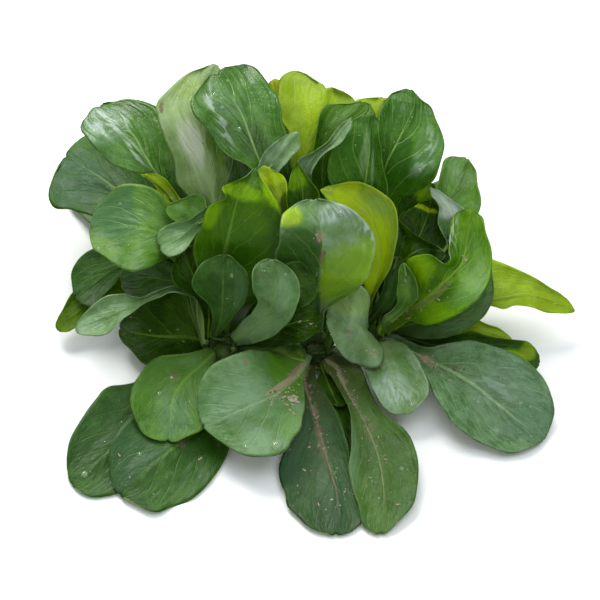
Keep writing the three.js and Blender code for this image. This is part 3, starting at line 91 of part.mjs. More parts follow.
  { name: "middle_shoot_leaf_15", tone: "leaf_bluish_green", grid: [22,-2451,765,85,-2473,763,148,-2496,760,211,-2519,759,273,-2542,757,-843,-2723,1000,-413,-2886,888,16,-3095,823,49,-3137,795,80,-3225,815,-1163,-2857,1278,-692,-3216,1049,-223,-3666,918,-122,-3799,863,-22,-4026,906,-1529,-3103,1569,-1032,-3580,1234,-537,-4195,1047,-266,-4601,953,2,-5139,1008,-1793,-3356,1810,-1333,-3934,1399,-873,-4677,1167,-500,-5342,1011,-133,-6155,1035,-2105,-3587,1971,-1677,-4227,1524,-1247,-5029,1258,-884,-5902,1040,-526,-6911,1002,-2538,-3893,2002,-2082,-4511,1560,-1621,-5289,1298,-1280,-6161,1050,-941,-7167,982,-2931,-4063,1886,-2456,-4689,1487,-1976,-5473,1269,-1684,-6256,1017,-1391,-7177,946,-3208,-4330,1698,-2761,-4890,1360,-2306,-5609,1202,-2079,-6291,966,-1846,-7116,909,-3371,-4693,1472,-2998,-5120,1203,-2613,-5707,1115,-2458,-6187,911,-2294,-6819,888,-3439,-5038,1155,-3212,-5394,1040,-2910,-5792,1020,-2845,-6135,936,-2705,-6520,948,-3272,-5662,949,-3263,-5775,928,-3188,-5866,925,-3179,-5988,925,-3105,-6089,942] },
  { name: "right_shoot_leaf_17", tone: "leaf_yellow_green", grid: [2715,-1650,825,2696,-1703,816,2678,-1754,802,2661,-1807,788,2642,-1860,775,2579,-1391,1254,2600,-1460,1179,2618,-1580,1154,2767,-1679,1145,2909,-1809,1159,3004,-1532,1814,3040,-1518,1652,3067,-1606,1588,3161,-1756,1558,3245,-2006,1626,3472,-1835,2465,3499,-1694,2225,3509,-1712,2134,3695,-2065,2092,3862,-2568,2199,3483,-1438,3341,3716,-1653,3028,3928,-2063,2896,4219,-2556,2857,4480,-3229,2999,3451,-1331,4053,3895,-1666,3693,4314,-2198,3513,4712,-2726,3496,5075,-3435,3659,4061,-1631,4434,4393,-1760,4082,4699,-2091,3909,5137,-2549,3906,5537,-3195,4082,4652,-1917,4452,4863,-1683,4163,5048,-1653,4054,5502,-1896,4060,5917,-2337,4246,4635,-1262,4473,4936,-1096,4254,5209,-1139,4216,5624,-1224,4221,6003,-1515,4406,4697,-643,4551,5013,-549,4382,5300,-667,4394,5636,-672,4379,5937,-887,4544,4814,-67,4625,5106,-45,4559,5367,-230,4589,5639,-154,4559,5878,-285,4625,5236,236,4743,5343,275,4752,5428,173,4780,5532,242,4752,5614,168,4743] },
  { name: "left_shoot_leaf_19", tone: "leaf_mid_green", grid: [-2761,-1584,728,-2699,-1582,706,-2635,-1572,684,-2571,-1559,666,-2505,-1546,655,-2887,-1909,1979,-2813,-1875,1896,-2735,-1890,1860,-2188,-1629,1852,-1633,-1416,1890,-3127,-2119,2907,-2977,-1984,2739,-2818,-1954,2667,-2072,-1816,2651,-1318,-1782,2732,-3428,-1783,3472,-3139,-1611,3222,-2833,-1603,3120,-1982,-1674,3093,-1128,-1907,3215,-3592,-1264,3939,-3177,-1103,3619,-2741,-1146,3479,-1849,-1392,3447,-959,-1836,3595,-3482,-1073,4611,-3047,-915,4250,-2592,-968,4070,-1690,-1236,4044,-791,-1706,4199,-3284,-1008,5292,-2870,-868,4936,-2437,-943,4760,-1576,-1164,4742,-716,-1593,4903,-3012,-717,5725,-2670,-642,5421,-2310,-786,5296,-1519,-1002,5286,-730,-1431,5457,-2509,-681,6021,-2348,-511,5778,-2172,-562,5714,-1480,-836,5707,-789,-1324,5880,-2421,-263,6227,-2216,-166,6037,-1997,-296,6026,-1453,-562,6004,-908,-1046,6161,-1939,-53,6278,-1853,89,6203,-1782,53,6222,-1495,-92,6196,-1226,-411,6265,-1641,312,6335,-1600,395,6341,-1571,423,6365,-1545,366,6342,-1530,253,6337] },
  { name: "right_shoot_leaf_18", tone: "leaf_mid_green", grid: [2613,-1692,1170,2631,-1752,1165,2651,-1810,1160,2672,-1868,1156,2694,-1926,1151,2554,-1923,1761,2601,-1942,1701,2644,-2010,1689,2712,-2039,1683,2776,-2117,1724,2725,-2009,2175,2755,-2007,2058,2777,-2106,2039,2822,-2193,2030,2859,-2382,2118,2890,-2018,2361,2942,-1947,2192,2981,-2032,2172,3032,-2110,2159,3068,-2342,2295,3020,-2002,2560,3099,-1882,2364,3160,-1955,2348,3243,-2029,2341,3307,-2292,2515,3049,-2021,2841,3169,-1879,2646,3271,-1930,2630,3419,-2009,2642,3546,-2279,2834,2987,-2030,3145,3161,-1876,2955,3317,-1917,2945,3508,-1981,2961,3677,-2240,3156,2963,-1961,3349,3157,-1790,3169,3334,-1816,3169,3492,-1839,3176,3629,-2057,3362,2989,-1899,3544,3161,-1721,3379,3315,-1741,3393,3443,-1725,3384,3549,-1908,3554,3042,-1807,3711,3170,-1642,3567,3280,-1678,3604,3378,-1636,3572,3455,-1795,3721,3117,-1642,3795,3186,-1547,3735,3245,-1579,3770,3305,-1544,3739,3356,-1634,3802,3196,-1507,3885,3208,-1472,3891,3218,-1473,3915,3234,-1472,3892,3248,-1507,3887] },
  { name: "right_shoot_leaf_19", tone: "leaf_yellow_green", grid: [1721,-1094,793,1777,-1127,792,1835,-1149,788,1896,-1164,784,1959,-1174,779,1895,-1194,1712,1959,-1188,1642,2021,-1231,1619,2086,-1237,1631,2147,-1293,1691,2020,-1363,2579,2111,-1282,2437,2196,-1307,2392,2267,-1337,2419,2331,-1473,2543,1731,-1266,3291,2048,-1163,3092,2356,-1225,3042,2491,-1286,3085,2612,-1511,3276,1622,-1260,3852,2037,-1045,3649,2443,-1034,3625,2658,-1067,3702,2855,-1304,3958,1559,-1225,4294,1997,-895,4129,2427,-771,4143,2752,-713,4267,3059,-866,4571,1464,-1191,4701,1871,-740,4560,2272,-497,4600,2664,-292,4739,3039,-304,5059,1334,-1105,5080,1677,-586,4952,2014,-278,5005,2331,3,5132,2634,64,5440,1190,-1001,5371,1437,-452,5254,1679,-116,5317,1888,208,5414,2086,309,5692,1013,-806,5584,1157,-319,5478,1295,-48,5552,1411,233,5602,1517,290,5831,786,-557,5728,819,-257,5682,882,-86,5731,936,144,5726,1019,242,5816,551,-245,5846,506,-181,5853,490,-150,5878,534,-71,5854,607,-24,5849] },
  { name: "right_shoot_leaf_20", tone: "leaf_bluish_green", grid: [1612,-1305,753,1601,-1363,745,1589,-1421,737,1578,-1479,729,1567,-1537,721,1885,-1701,1150,1828,-1624,1009,1767,-1597,917,1854,-1573,836,1938,-1598,803,1946,-1968,1607,1951,-1847,1327,1950,-1827,1144,2142,-1812,989,2329,-1898,931,2050,-1900,2096,2080,-1896,1687,2100,-2050,1426,2364,-2268,1170,2617,-2635,1061,2146,-1758,2580,2034,-1897,2069,1909,-2230,1737,2182,-2686,1300,2441,-3318,1043,1940,-1521,2876,1828,-1847,2308,1704,-2365,1920,1820,-2681,1294,1926,-3180,848,1656,-1371,2910,1586,-1796,2354,1507,-2410,1978,1518,-2600,1337,1521,-2977,877,1402,-1242,2730,1369,-1697,2254,1328,-2337,1958,1304,-2599,1483,1272,-3044,1187,1139,-1256,2494,1156,-1652,2118,1166,-2235,1922,1100,-2510,1627,1029,-2966,1513,917,-1418,2274,970,-1678,1989,1017,-2126,1883,950,-2319,1687,878,-2696,1670,785,-1572,2006,812,-1745,1891,874,-2037,1872,812,-2163,1789,785,-2406,1800,750,-1865,1874,733,-1897,1863,741,-1961,1870,732,-1995,1860,749,-2063,1868] },
  { name: "middle_shoot_leaf_16", tone: "leaf_bluish_green", grid: [318,-1413,860,383,-1439,892,450,-1455,901,517,-1457,883,584,-1450,846,311,-1630,1404,392,-1641,1327,473,-1701,1296,548,-1687,1336,622,-1722,1423,302,-1772,2124,418,-1677,1964,532,-1684,1901,605,-1721,1985,675,-1861,2167,115,-1984,2873,321,-1757,2634,525,-1690,2544,1095,-1656,2665,1656,-1783,2934,-426,-2006,3676,19,-1793,3378,467,-1780,3260,1174,-1934,3413,1863,-2285,3746,-842,-1959,4349,-164,-1765,4021,520,-1775,3872,1319,-1986,4056,2095,-2398,4420,-910,-1968,4886,-175,-1729,4550,568,-1696,4393,1421,-1814,4583,2251,-2139,4953,-847,-2037,5363,-137,-1729,5037,583,-1630,4892,1372,-1595,5067,2145,-1771,5423,-808,-1945,5681,-134,-1604,5384,550,-1476,5268,1200,-1330,5409,1839,-1401,5731,-759,-1652,5855,-141,-1349,5610,483,-1261,5546,951,-1065,5628,1411,-1086,5890,-540,-1095,5854,-87,-927,5759,390,-999,5759,655,-764,5765,940,-769,5865,113,-720,5902,193,-663,5909,293,-730,5935,361,-643,5909,448,-680,5902] },
  { name: "left_shoot_leaf_20", tone: "leaf_mid_green", grid: [-2216,-1855,764,-2211,-1919,761,-2207,-1982,757,-2203,-2046,753,-2198,-2109,749,-2147,-1687,959,-2147,-1786,891,-2144,-1932,870,-2040,-2067,850,-1933,-2249,877,-1876,-1717,1210,-1865,-1804,1074,-1848,-1989,1036,-1805,-2169,999,-1757,-2445,1058,-1608,-1776,1516,-1578,-1858,1313,-1543,-2094,1258,-1476,-2329,1200,-1404,-2712,1291,-1325,-1789,1808,-1284,-1893,1549,-1237,-2184,1470,-1147,-2481,1396,-1053,-2957,1503,-1041,-1828,2094,-991,-1957,1800,-936,-2274,1687,-822,-2598,1609,-706,-3100,1711,-739,-1877,2365,-697,-2022,2051,-653,-2356,1916,-522,-2692,1826,-391,-3206,1916,-405,-1981,2651,-395,-2138,2323,-384,-2484,2175,-269,-2830,2063,-154,-3354,2131,-68,-2008,2779,-98,-2186,2459,-128,-2553,2320,-47,-2868,2191,32,-3364,2242,205,-2113,2714,160,-2240,2439,113,-2556,2344,173,-2794,2218,231,-3215,2272,414,-1983,2340,403,-2132,2210,349,-2380,2176,409,-2581,2126,428,-2878,2171,553,-2040,1998,582,-2078,1963,573,-2137,1947,583,-2212,1958,554,-2309,1989] },
  { name: "left_shoot_leaf_21", tone: "leaf_mid_green", grid: [-2266,-1693,836,-2294,-1691,899,-2324,-1690,961,-2362,-1679,1006,-2414,-1649,1017,-2693,-2066,1077,-2691,-1987,1024,-2688,-1955,1016,-2715,-1920,1037,-2745,-1925,1092,-3114,-2474,1544,-3038,-2333,1414,-2954,-2291,1380,-2871,-2237,1411,-2780,-2284,1538,-3033,-2496,2122,-2941,-2343,1927,-2836,-2344,1880,-2708,-2369,1922,-2569,-2547,2112,-2974,-2478,2568,-2869,-2278,2327,-2748,-2268,2266,-2498,-2294,2327,-2238,-2510,2569,-3165,-2405,2988,-2935,-2199,2727,-2688,-2186,2647,-2326,-2207,2737,-1956,-2419,3007,-3473,-2360,3366,-3077,-2133,3099,-2662,-2101,3012,-2252,-2115,3112,-1834,-2324,3391,-3627,-2249,3682,-3148,-2024,3419,-2648,-1997,3335,-2223,-1987,3428,-1790,-2175,3701,-3540,-2043,3927,-3102,-1862,3681,-2645,-1881,3615,-2251,-1852,3686,-1847,-2024,3937,-3353,-1800,4094,-3004,-1678,3887,-2637,-1759,3860,-2316,-1705,3890,-1983,-1852,4100,-3087,-1561,4153,-2857,-1508,4074,-2619,-1638,4090,-2405,-1525,4075,-2185,-1594,4156,-2711,-1512,4261,-2656,-1474,4273,-2601,-1522,4303,-2550,-1469,4273,-2498,-1502,4261] },
  { name: "left_shoot_leaf_22", tone: "leaf_mid_green", grid: [-2379,-1756,1092,-2348,-1809,1084,-2313,-1852,1061,-2277,-1890,1032,-2240,-1928,1002,-2168,-1756,1468,-2109,-1820,1401,-2045,-1930,1377,-1948,-2038,1364,-1850,-2195,1400,-1967,-1896,1947,-1890,-1915,1815,-1808,-2035,1779,-1689,-2165,1755,-1568,-2394,1828,-1751,-2000,2418,-1662,-1975,2212,-1565,-2108,2154,-1428,-2262,2113,-1286,-2569,2220,-1522,-2062,2928,-1424,-2024,2636,-1319,-2179,2524,-1163,-2355,2463,-1002,-2719,2582,-1281,-2089,3467,-1180,-2087,3099,-1072,-2282,2911,-902,-2495,2837,-729,-2896,2943,-1037,-2153,3934,-933,-2186,3528,-824,-2419,3302,-637,-2662,3212,-448,-3092,3301,-737,-2169,4340,-663,-2275,3923,-586,-2582,3686,-406,-2855,3574,-226,-3316,3642,-361,-2045,4451,-354,-2209,4054,-345,-2574,3838,-210,-2874,3711,-76,-3364,3763,-32,-1980,4327,-67,-2143,3994,-103,-2504,3841,5,-2789,3715,111,-3263,3770,189,-1964,4017,187,-2161,3876,136,-2466,3830,243,-2701,3770,300,-3040,3806,352,-2223,3819,380,-2303,3803,359,-2410,3805,386,-2478,3797,364,-2571,3808] },
  { name: "left_shoot_leaf_23", tone: "leaf_bluish_green", grid: [-2216,-2056,966,-2236,-2115,960,-2256,-2173,953,-2275,-2231,946,-2295,-2290,939,-2313,-1959,1390,-2272,-2064,1317,-2227,-2210,1283,-2031,-2369,1265,-1835,-2579,1300,-2095,-2071,1840,-2012,-2148,1682,-1925,-2324,1620,-1794,-2578,1602,-1661,-2927,1681,-1871,-2252,2309,-1755,-2267,2078,-1631,-2437,1996,-1455,-2726,1978,-1274,-3164,2108,-1672,-2533,2829,-1522,-2466,2557,-1365,-2590,2465,-1100,-2883,2480,-833,-3358,2674,-1497,-2782,3377,-1324,-2675,3096,-1144,-2761,2995,-794,-3045,3066,-447,-3514,3317,-1565,-2909,3862,-1284,-2780,3579,-994,-2845,3475,-592,-3051,3566,-193,-3447,3837,-1647,-2896,4150,-1292,-2707,3867,-928,-2715,3765,-522,-2809,3841,-119,-3098,4097,-1705,-2821,4373,-1318,-2596,4106,-921,-2570,4019,-577,-2552,4066,-233,-2733,4292,-1710,-2595,4517,-1337,-2414,4292,-955,-2433,4247,-686,-2348,4257,-414,-2464,4446,-1564,-2255,4548,-1290,-2191,4462,-1001,-2310,4471,-824,-2182,4450,-634,-2236,4523,-1163,-2138,4641,-1106,-2123,4652,-1040,-2194,4681,-994,-2144,4652,-939,-2181,4640] },
];

function material(tone) {
  const made = new THREE.MeshStandardMaterial({ roughness: 0.5, metalness: 0 });
  made.color.setRGB(...TONES[tone]);
  return made;
}

// The share of the leaf's length at row i
function along(i) {
  const x = i / (GRID_ROWS - 1);
  return TIP_END * (x + 0.1 * Math.sin(Math.PI * x) * x);
}

function thicknessAt(u) {
  const stalk = Math.min(Math.max((STALK_SHARE - u) / STALK_SHARE, 0), 1);
  return BLADE_THICKNESS + (STALK_THICKNESS - BLADE_THICKNESS) * stalk;
}

// A closed shell of the leaf's thickness plus extra, around its middle surface
function leafShell(grid, extra) {
  const point = (i, j) => {
    const k = (i * GRID_COLS + j) * 3;
    return new THREE.Vector3(grid[k], grid[k + 1], grid[k + 2]).multiplyScalar(GRID_UNIT);
  };
  const middle = [];
  for (let i = 0; i < GRID_ROWS; i++)
    for (let j = 0; j < GRID_COLS; j++) middle.push(point(i, j));
  const id = (i, j) => i * GRID_COLS + j;
  // a larger shell also reaches further at its foot and at both edges
  const reach = (k, from) => {
    const out = new THREE.Vector3().subVectors(middle[k], middle[from]);
    middle[k].add(out.setLength(extra / 2));
  };
  if (extra > 0) {
    for (let j = 0; j < GRID_COLS; j++) reach(id(0, j), id(1, j));
    for (let i = 0; i < GRID_ROWS; i++) {
      reach(id(i, 0), id(i, 1));
      reach(id(i, GRID_COLS - 1), id(i, GRID_COLS - 2));
    }
  }
  const normal = (i, j) => {
    const du = new THREE.Vector3().subVectors(
      middle[id(Math.min(i + 1, GRID_ROWS - 1), j)],
      middle[id(Math.max(i - 1, 0), j)],
    );
    const dv = new THREE.Vector3().subVectors(
      middle[id(i, Math.min(j + 1, GRID_COLS - 1))],
      middle[id(i, Math.max(j - 1, 0))],
    );
    return du.cross(dv).normalize();
  };
  const count = GRID_ROWS * GRID_COLS;
  const positions = new Float32Array(count * 6);
  for (let i = 0; i < GRID_ROWS; i++) {
    const half = 0.5 * (thicknessAt(along(i)) + extra);
    for (let j = 0; j < GRID_COLS; j++) {
      const k = id(i, j);
      const n = normal(i, j).multiplyScalar(half);
      middle[k].clone().add(n).toArray(positions, k * 3);
      middle[k].clone().sub(n).toArray(positions, (count + k) * 3);
    }
  }
  const faces = [];
  const both = (a, b, c) => faces.push([a, b, c], [count + a, count + c, count + b]);
  for (let i = 0; i < GRID_ROWS - 1; i++)
    for (let j = 0; j < GRID_COLS - 1; j++) {
      const a = id(i, j), b = id(i + 1, j), c = id(i + 1, j + 1), d = id(i, j + 1);
      if (middle[a].distanceTo(middle[c]) <= middle[b].distanceTo(middle[d])) {
        both(a, b, c);
        both(a, c, d);
      } else {
        both(a, b, d);
        both(b, c, d);
      }
    }
  const rim = [];
  for (let i = 0; i < GRID_ROWS; i++) rim.push(id(i, 0));
  for (let j = 1; j < GRID_COLS; j++) rim.push(id(GRID_ROWS - 1, j));
  for (let i = GRID_ROWS - 2; i >= 0; i--) rim.push(id(i, GRID_COLS - 1));
  for (let j = GRID_COLS - 2; j > 0; j--) rim.push(id(0, j));
  rim.forEach((a, k) => {
    const b = rim[(k + 1) % rim.length];
    faces.push([a, count + a, count + b], [a, count + b, b]);
  });
  // turn every face outwards
  let volume = 0;
  const at = (k) => new THREE.Vector3().fromArray(positions, k * 3);
  for (const [a, b, c] of faces) volume += at(a).dot(at(b).cross(at(c)));
  const index = [];
  for (const [a, b, c] of faces) index.push(a, volume > 0 ? b : c, volume > 0 ? c : b);
  const geometry = new THREE.BufferGeometry();
  geometry.setAttribute("position", new THREE.BufferAttribute(positions, 3));
  geometry.setIndex(index);
  return geometry;
}

const wasm = await Module();
wasm.setup();

function solid(geometry) {
  const bare = geometry.clone();
  bare.deleteAttribute("normal");
  bare.deleteAttribute("uv");
  const merged = mergeVertices(bare, 1e-4);
  return new wasm.Manifold(
    new wasm.Mesh({
      numProp: 3,
      vertProperties: new Float32Array(merged.attributes.position.array),
      triVerts: new Uint32Array(merged.index.array),
    }),
  );
}

// A short tapered stem from z0 to z1
function stem([x, y], z0, z1, r0, r1) {
  const part = new THREE.CylinderGeometry(r1, r0, z1 - z0, STEM_SIDES);
  part.rotateX(Math.PI / 2);
  part.translate(x, y, (z0 + z1) / 2);
  return solid(part);
}

function bridge([x0, y0], [x1, y1]) {
  const part = new THREE.BoxGeometry(Math.hypot(x1 - x0, y1 - y0), BRIDGE_WIDTH, BRIDGE_HEIGHT);
  part.rotateZ(Math.atan2(y1 - y0, x1 - x0));
  part.translate((x0 + x1) / 2, (y0 + y1) / 2, BRIDGE_HEIGHT / 2);
  return solid(part);
}

// The cut crown: three stems on one root stock, with a socket round each leaf's foot
function crown() {
  const pieces = [];
  for (const shoot of [LEFT_SHOOT, MIDDLE_SHOOT, RIGHT_SHOOT]) {
    pieces.push(stem(shoot, 0, STEM_MID_HEIGHT, STEM_LOW_RADIUS, STEM_MID_RADIUS));
    pieces.push(stem(shoot, STEM_MID_HEIGHT, STEM_HIGH_HEIGHT, STEM_MID_RADIUS, STEM_HIGH_RADIUS));
    pieces.push(stem(shoot, STEM_HIGH_HEIGHT, CROWN_HEIGHT, STEM_HIGH_RADIUS, STEM_TOP_RADIUS));
  }
  pieces.push(bridge(LEFT_SHOOT, MIDDLE_SHOOT), bridge(MIDDLE_SHOOT, RIGHT_SHOOT));
  let body = pieces.reduce((sum, piece) => sum.add(piece));
  for (const leaf of LEAVES)
    for (const extra of [2 * LEAF_CLEARANCE, 0]) {
      const socket = solid(leafShell(leaf.grid, extra));
      if (body.intersect(socket).volume() > 1e-6) body = body.subtract(socket);
    }
  const largest = body.decompose().sort((a, b) => b.volume() - a.volume())[0];
  const mesh = largest.simplify(0.03).getMesh();
  const geometry = new THREE.BufferGeometry();
  geometry.setAttribute("position", new THREE.BufferAttribute(new Float32Array(mesh.vertProperties), 3));
  geometry.setIndex(new THREE.BufferAttribute(new Uint32Array(mesh.triVerts), 1));
  return geometry;
}

const clump = new THREE.Group();
clump.name = "corn_salad";
for (const leaf of LEAVES) {
  const mesh = new THREE.Mesh(leafShell(leaf.grid, 0), material(leaf.tone));
  mesh.name = leaf.name;
  clump.add(mesh);
}
const crownMesh = new THREE.Mesh(crown(), material("crown"));
crownMesh.name = "crown";
clump.add(crownMesh);

export default clump;
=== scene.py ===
# A picked clump of corn salad on a plain pale floor.
# Each leaf gets a fine two-sided surface around the same middle surface as its solid:
# a midrib, side veins, a thin rim with a paler margin and a painted rim highlight, and slightly wavy blades, with water
# drops and sand on it.
import math, random
import numpy as np
import bpy
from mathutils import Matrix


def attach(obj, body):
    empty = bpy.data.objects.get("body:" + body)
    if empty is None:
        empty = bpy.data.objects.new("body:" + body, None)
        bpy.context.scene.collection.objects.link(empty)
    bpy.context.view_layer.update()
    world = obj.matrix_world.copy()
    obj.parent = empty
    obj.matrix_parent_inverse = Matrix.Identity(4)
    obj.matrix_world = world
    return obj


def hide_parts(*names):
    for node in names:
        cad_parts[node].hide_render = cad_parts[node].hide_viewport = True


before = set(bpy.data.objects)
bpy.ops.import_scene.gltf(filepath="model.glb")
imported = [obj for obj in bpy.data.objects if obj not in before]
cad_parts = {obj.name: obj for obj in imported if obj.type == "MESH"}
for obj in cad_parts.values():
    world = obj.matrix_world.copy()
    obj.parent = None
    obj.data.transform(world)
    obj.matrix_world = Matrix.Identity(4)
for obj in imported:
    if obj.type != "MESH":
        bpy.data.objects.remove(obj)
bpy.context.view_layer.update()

MM = 0.001
NU, NV = 66, 33              # fine rows along a leaf and columns across it
ROWS, COLS = 23, 9           # rows and columns of a leaf's control points
BLADE_MM, STALK_MM = 0.50, 1.15
CAMERA_MM = (-1.530, -371.478, 355.421)
CAMERA_DOWN_DEG = 43.0
FOCAL_PX = 1470.588

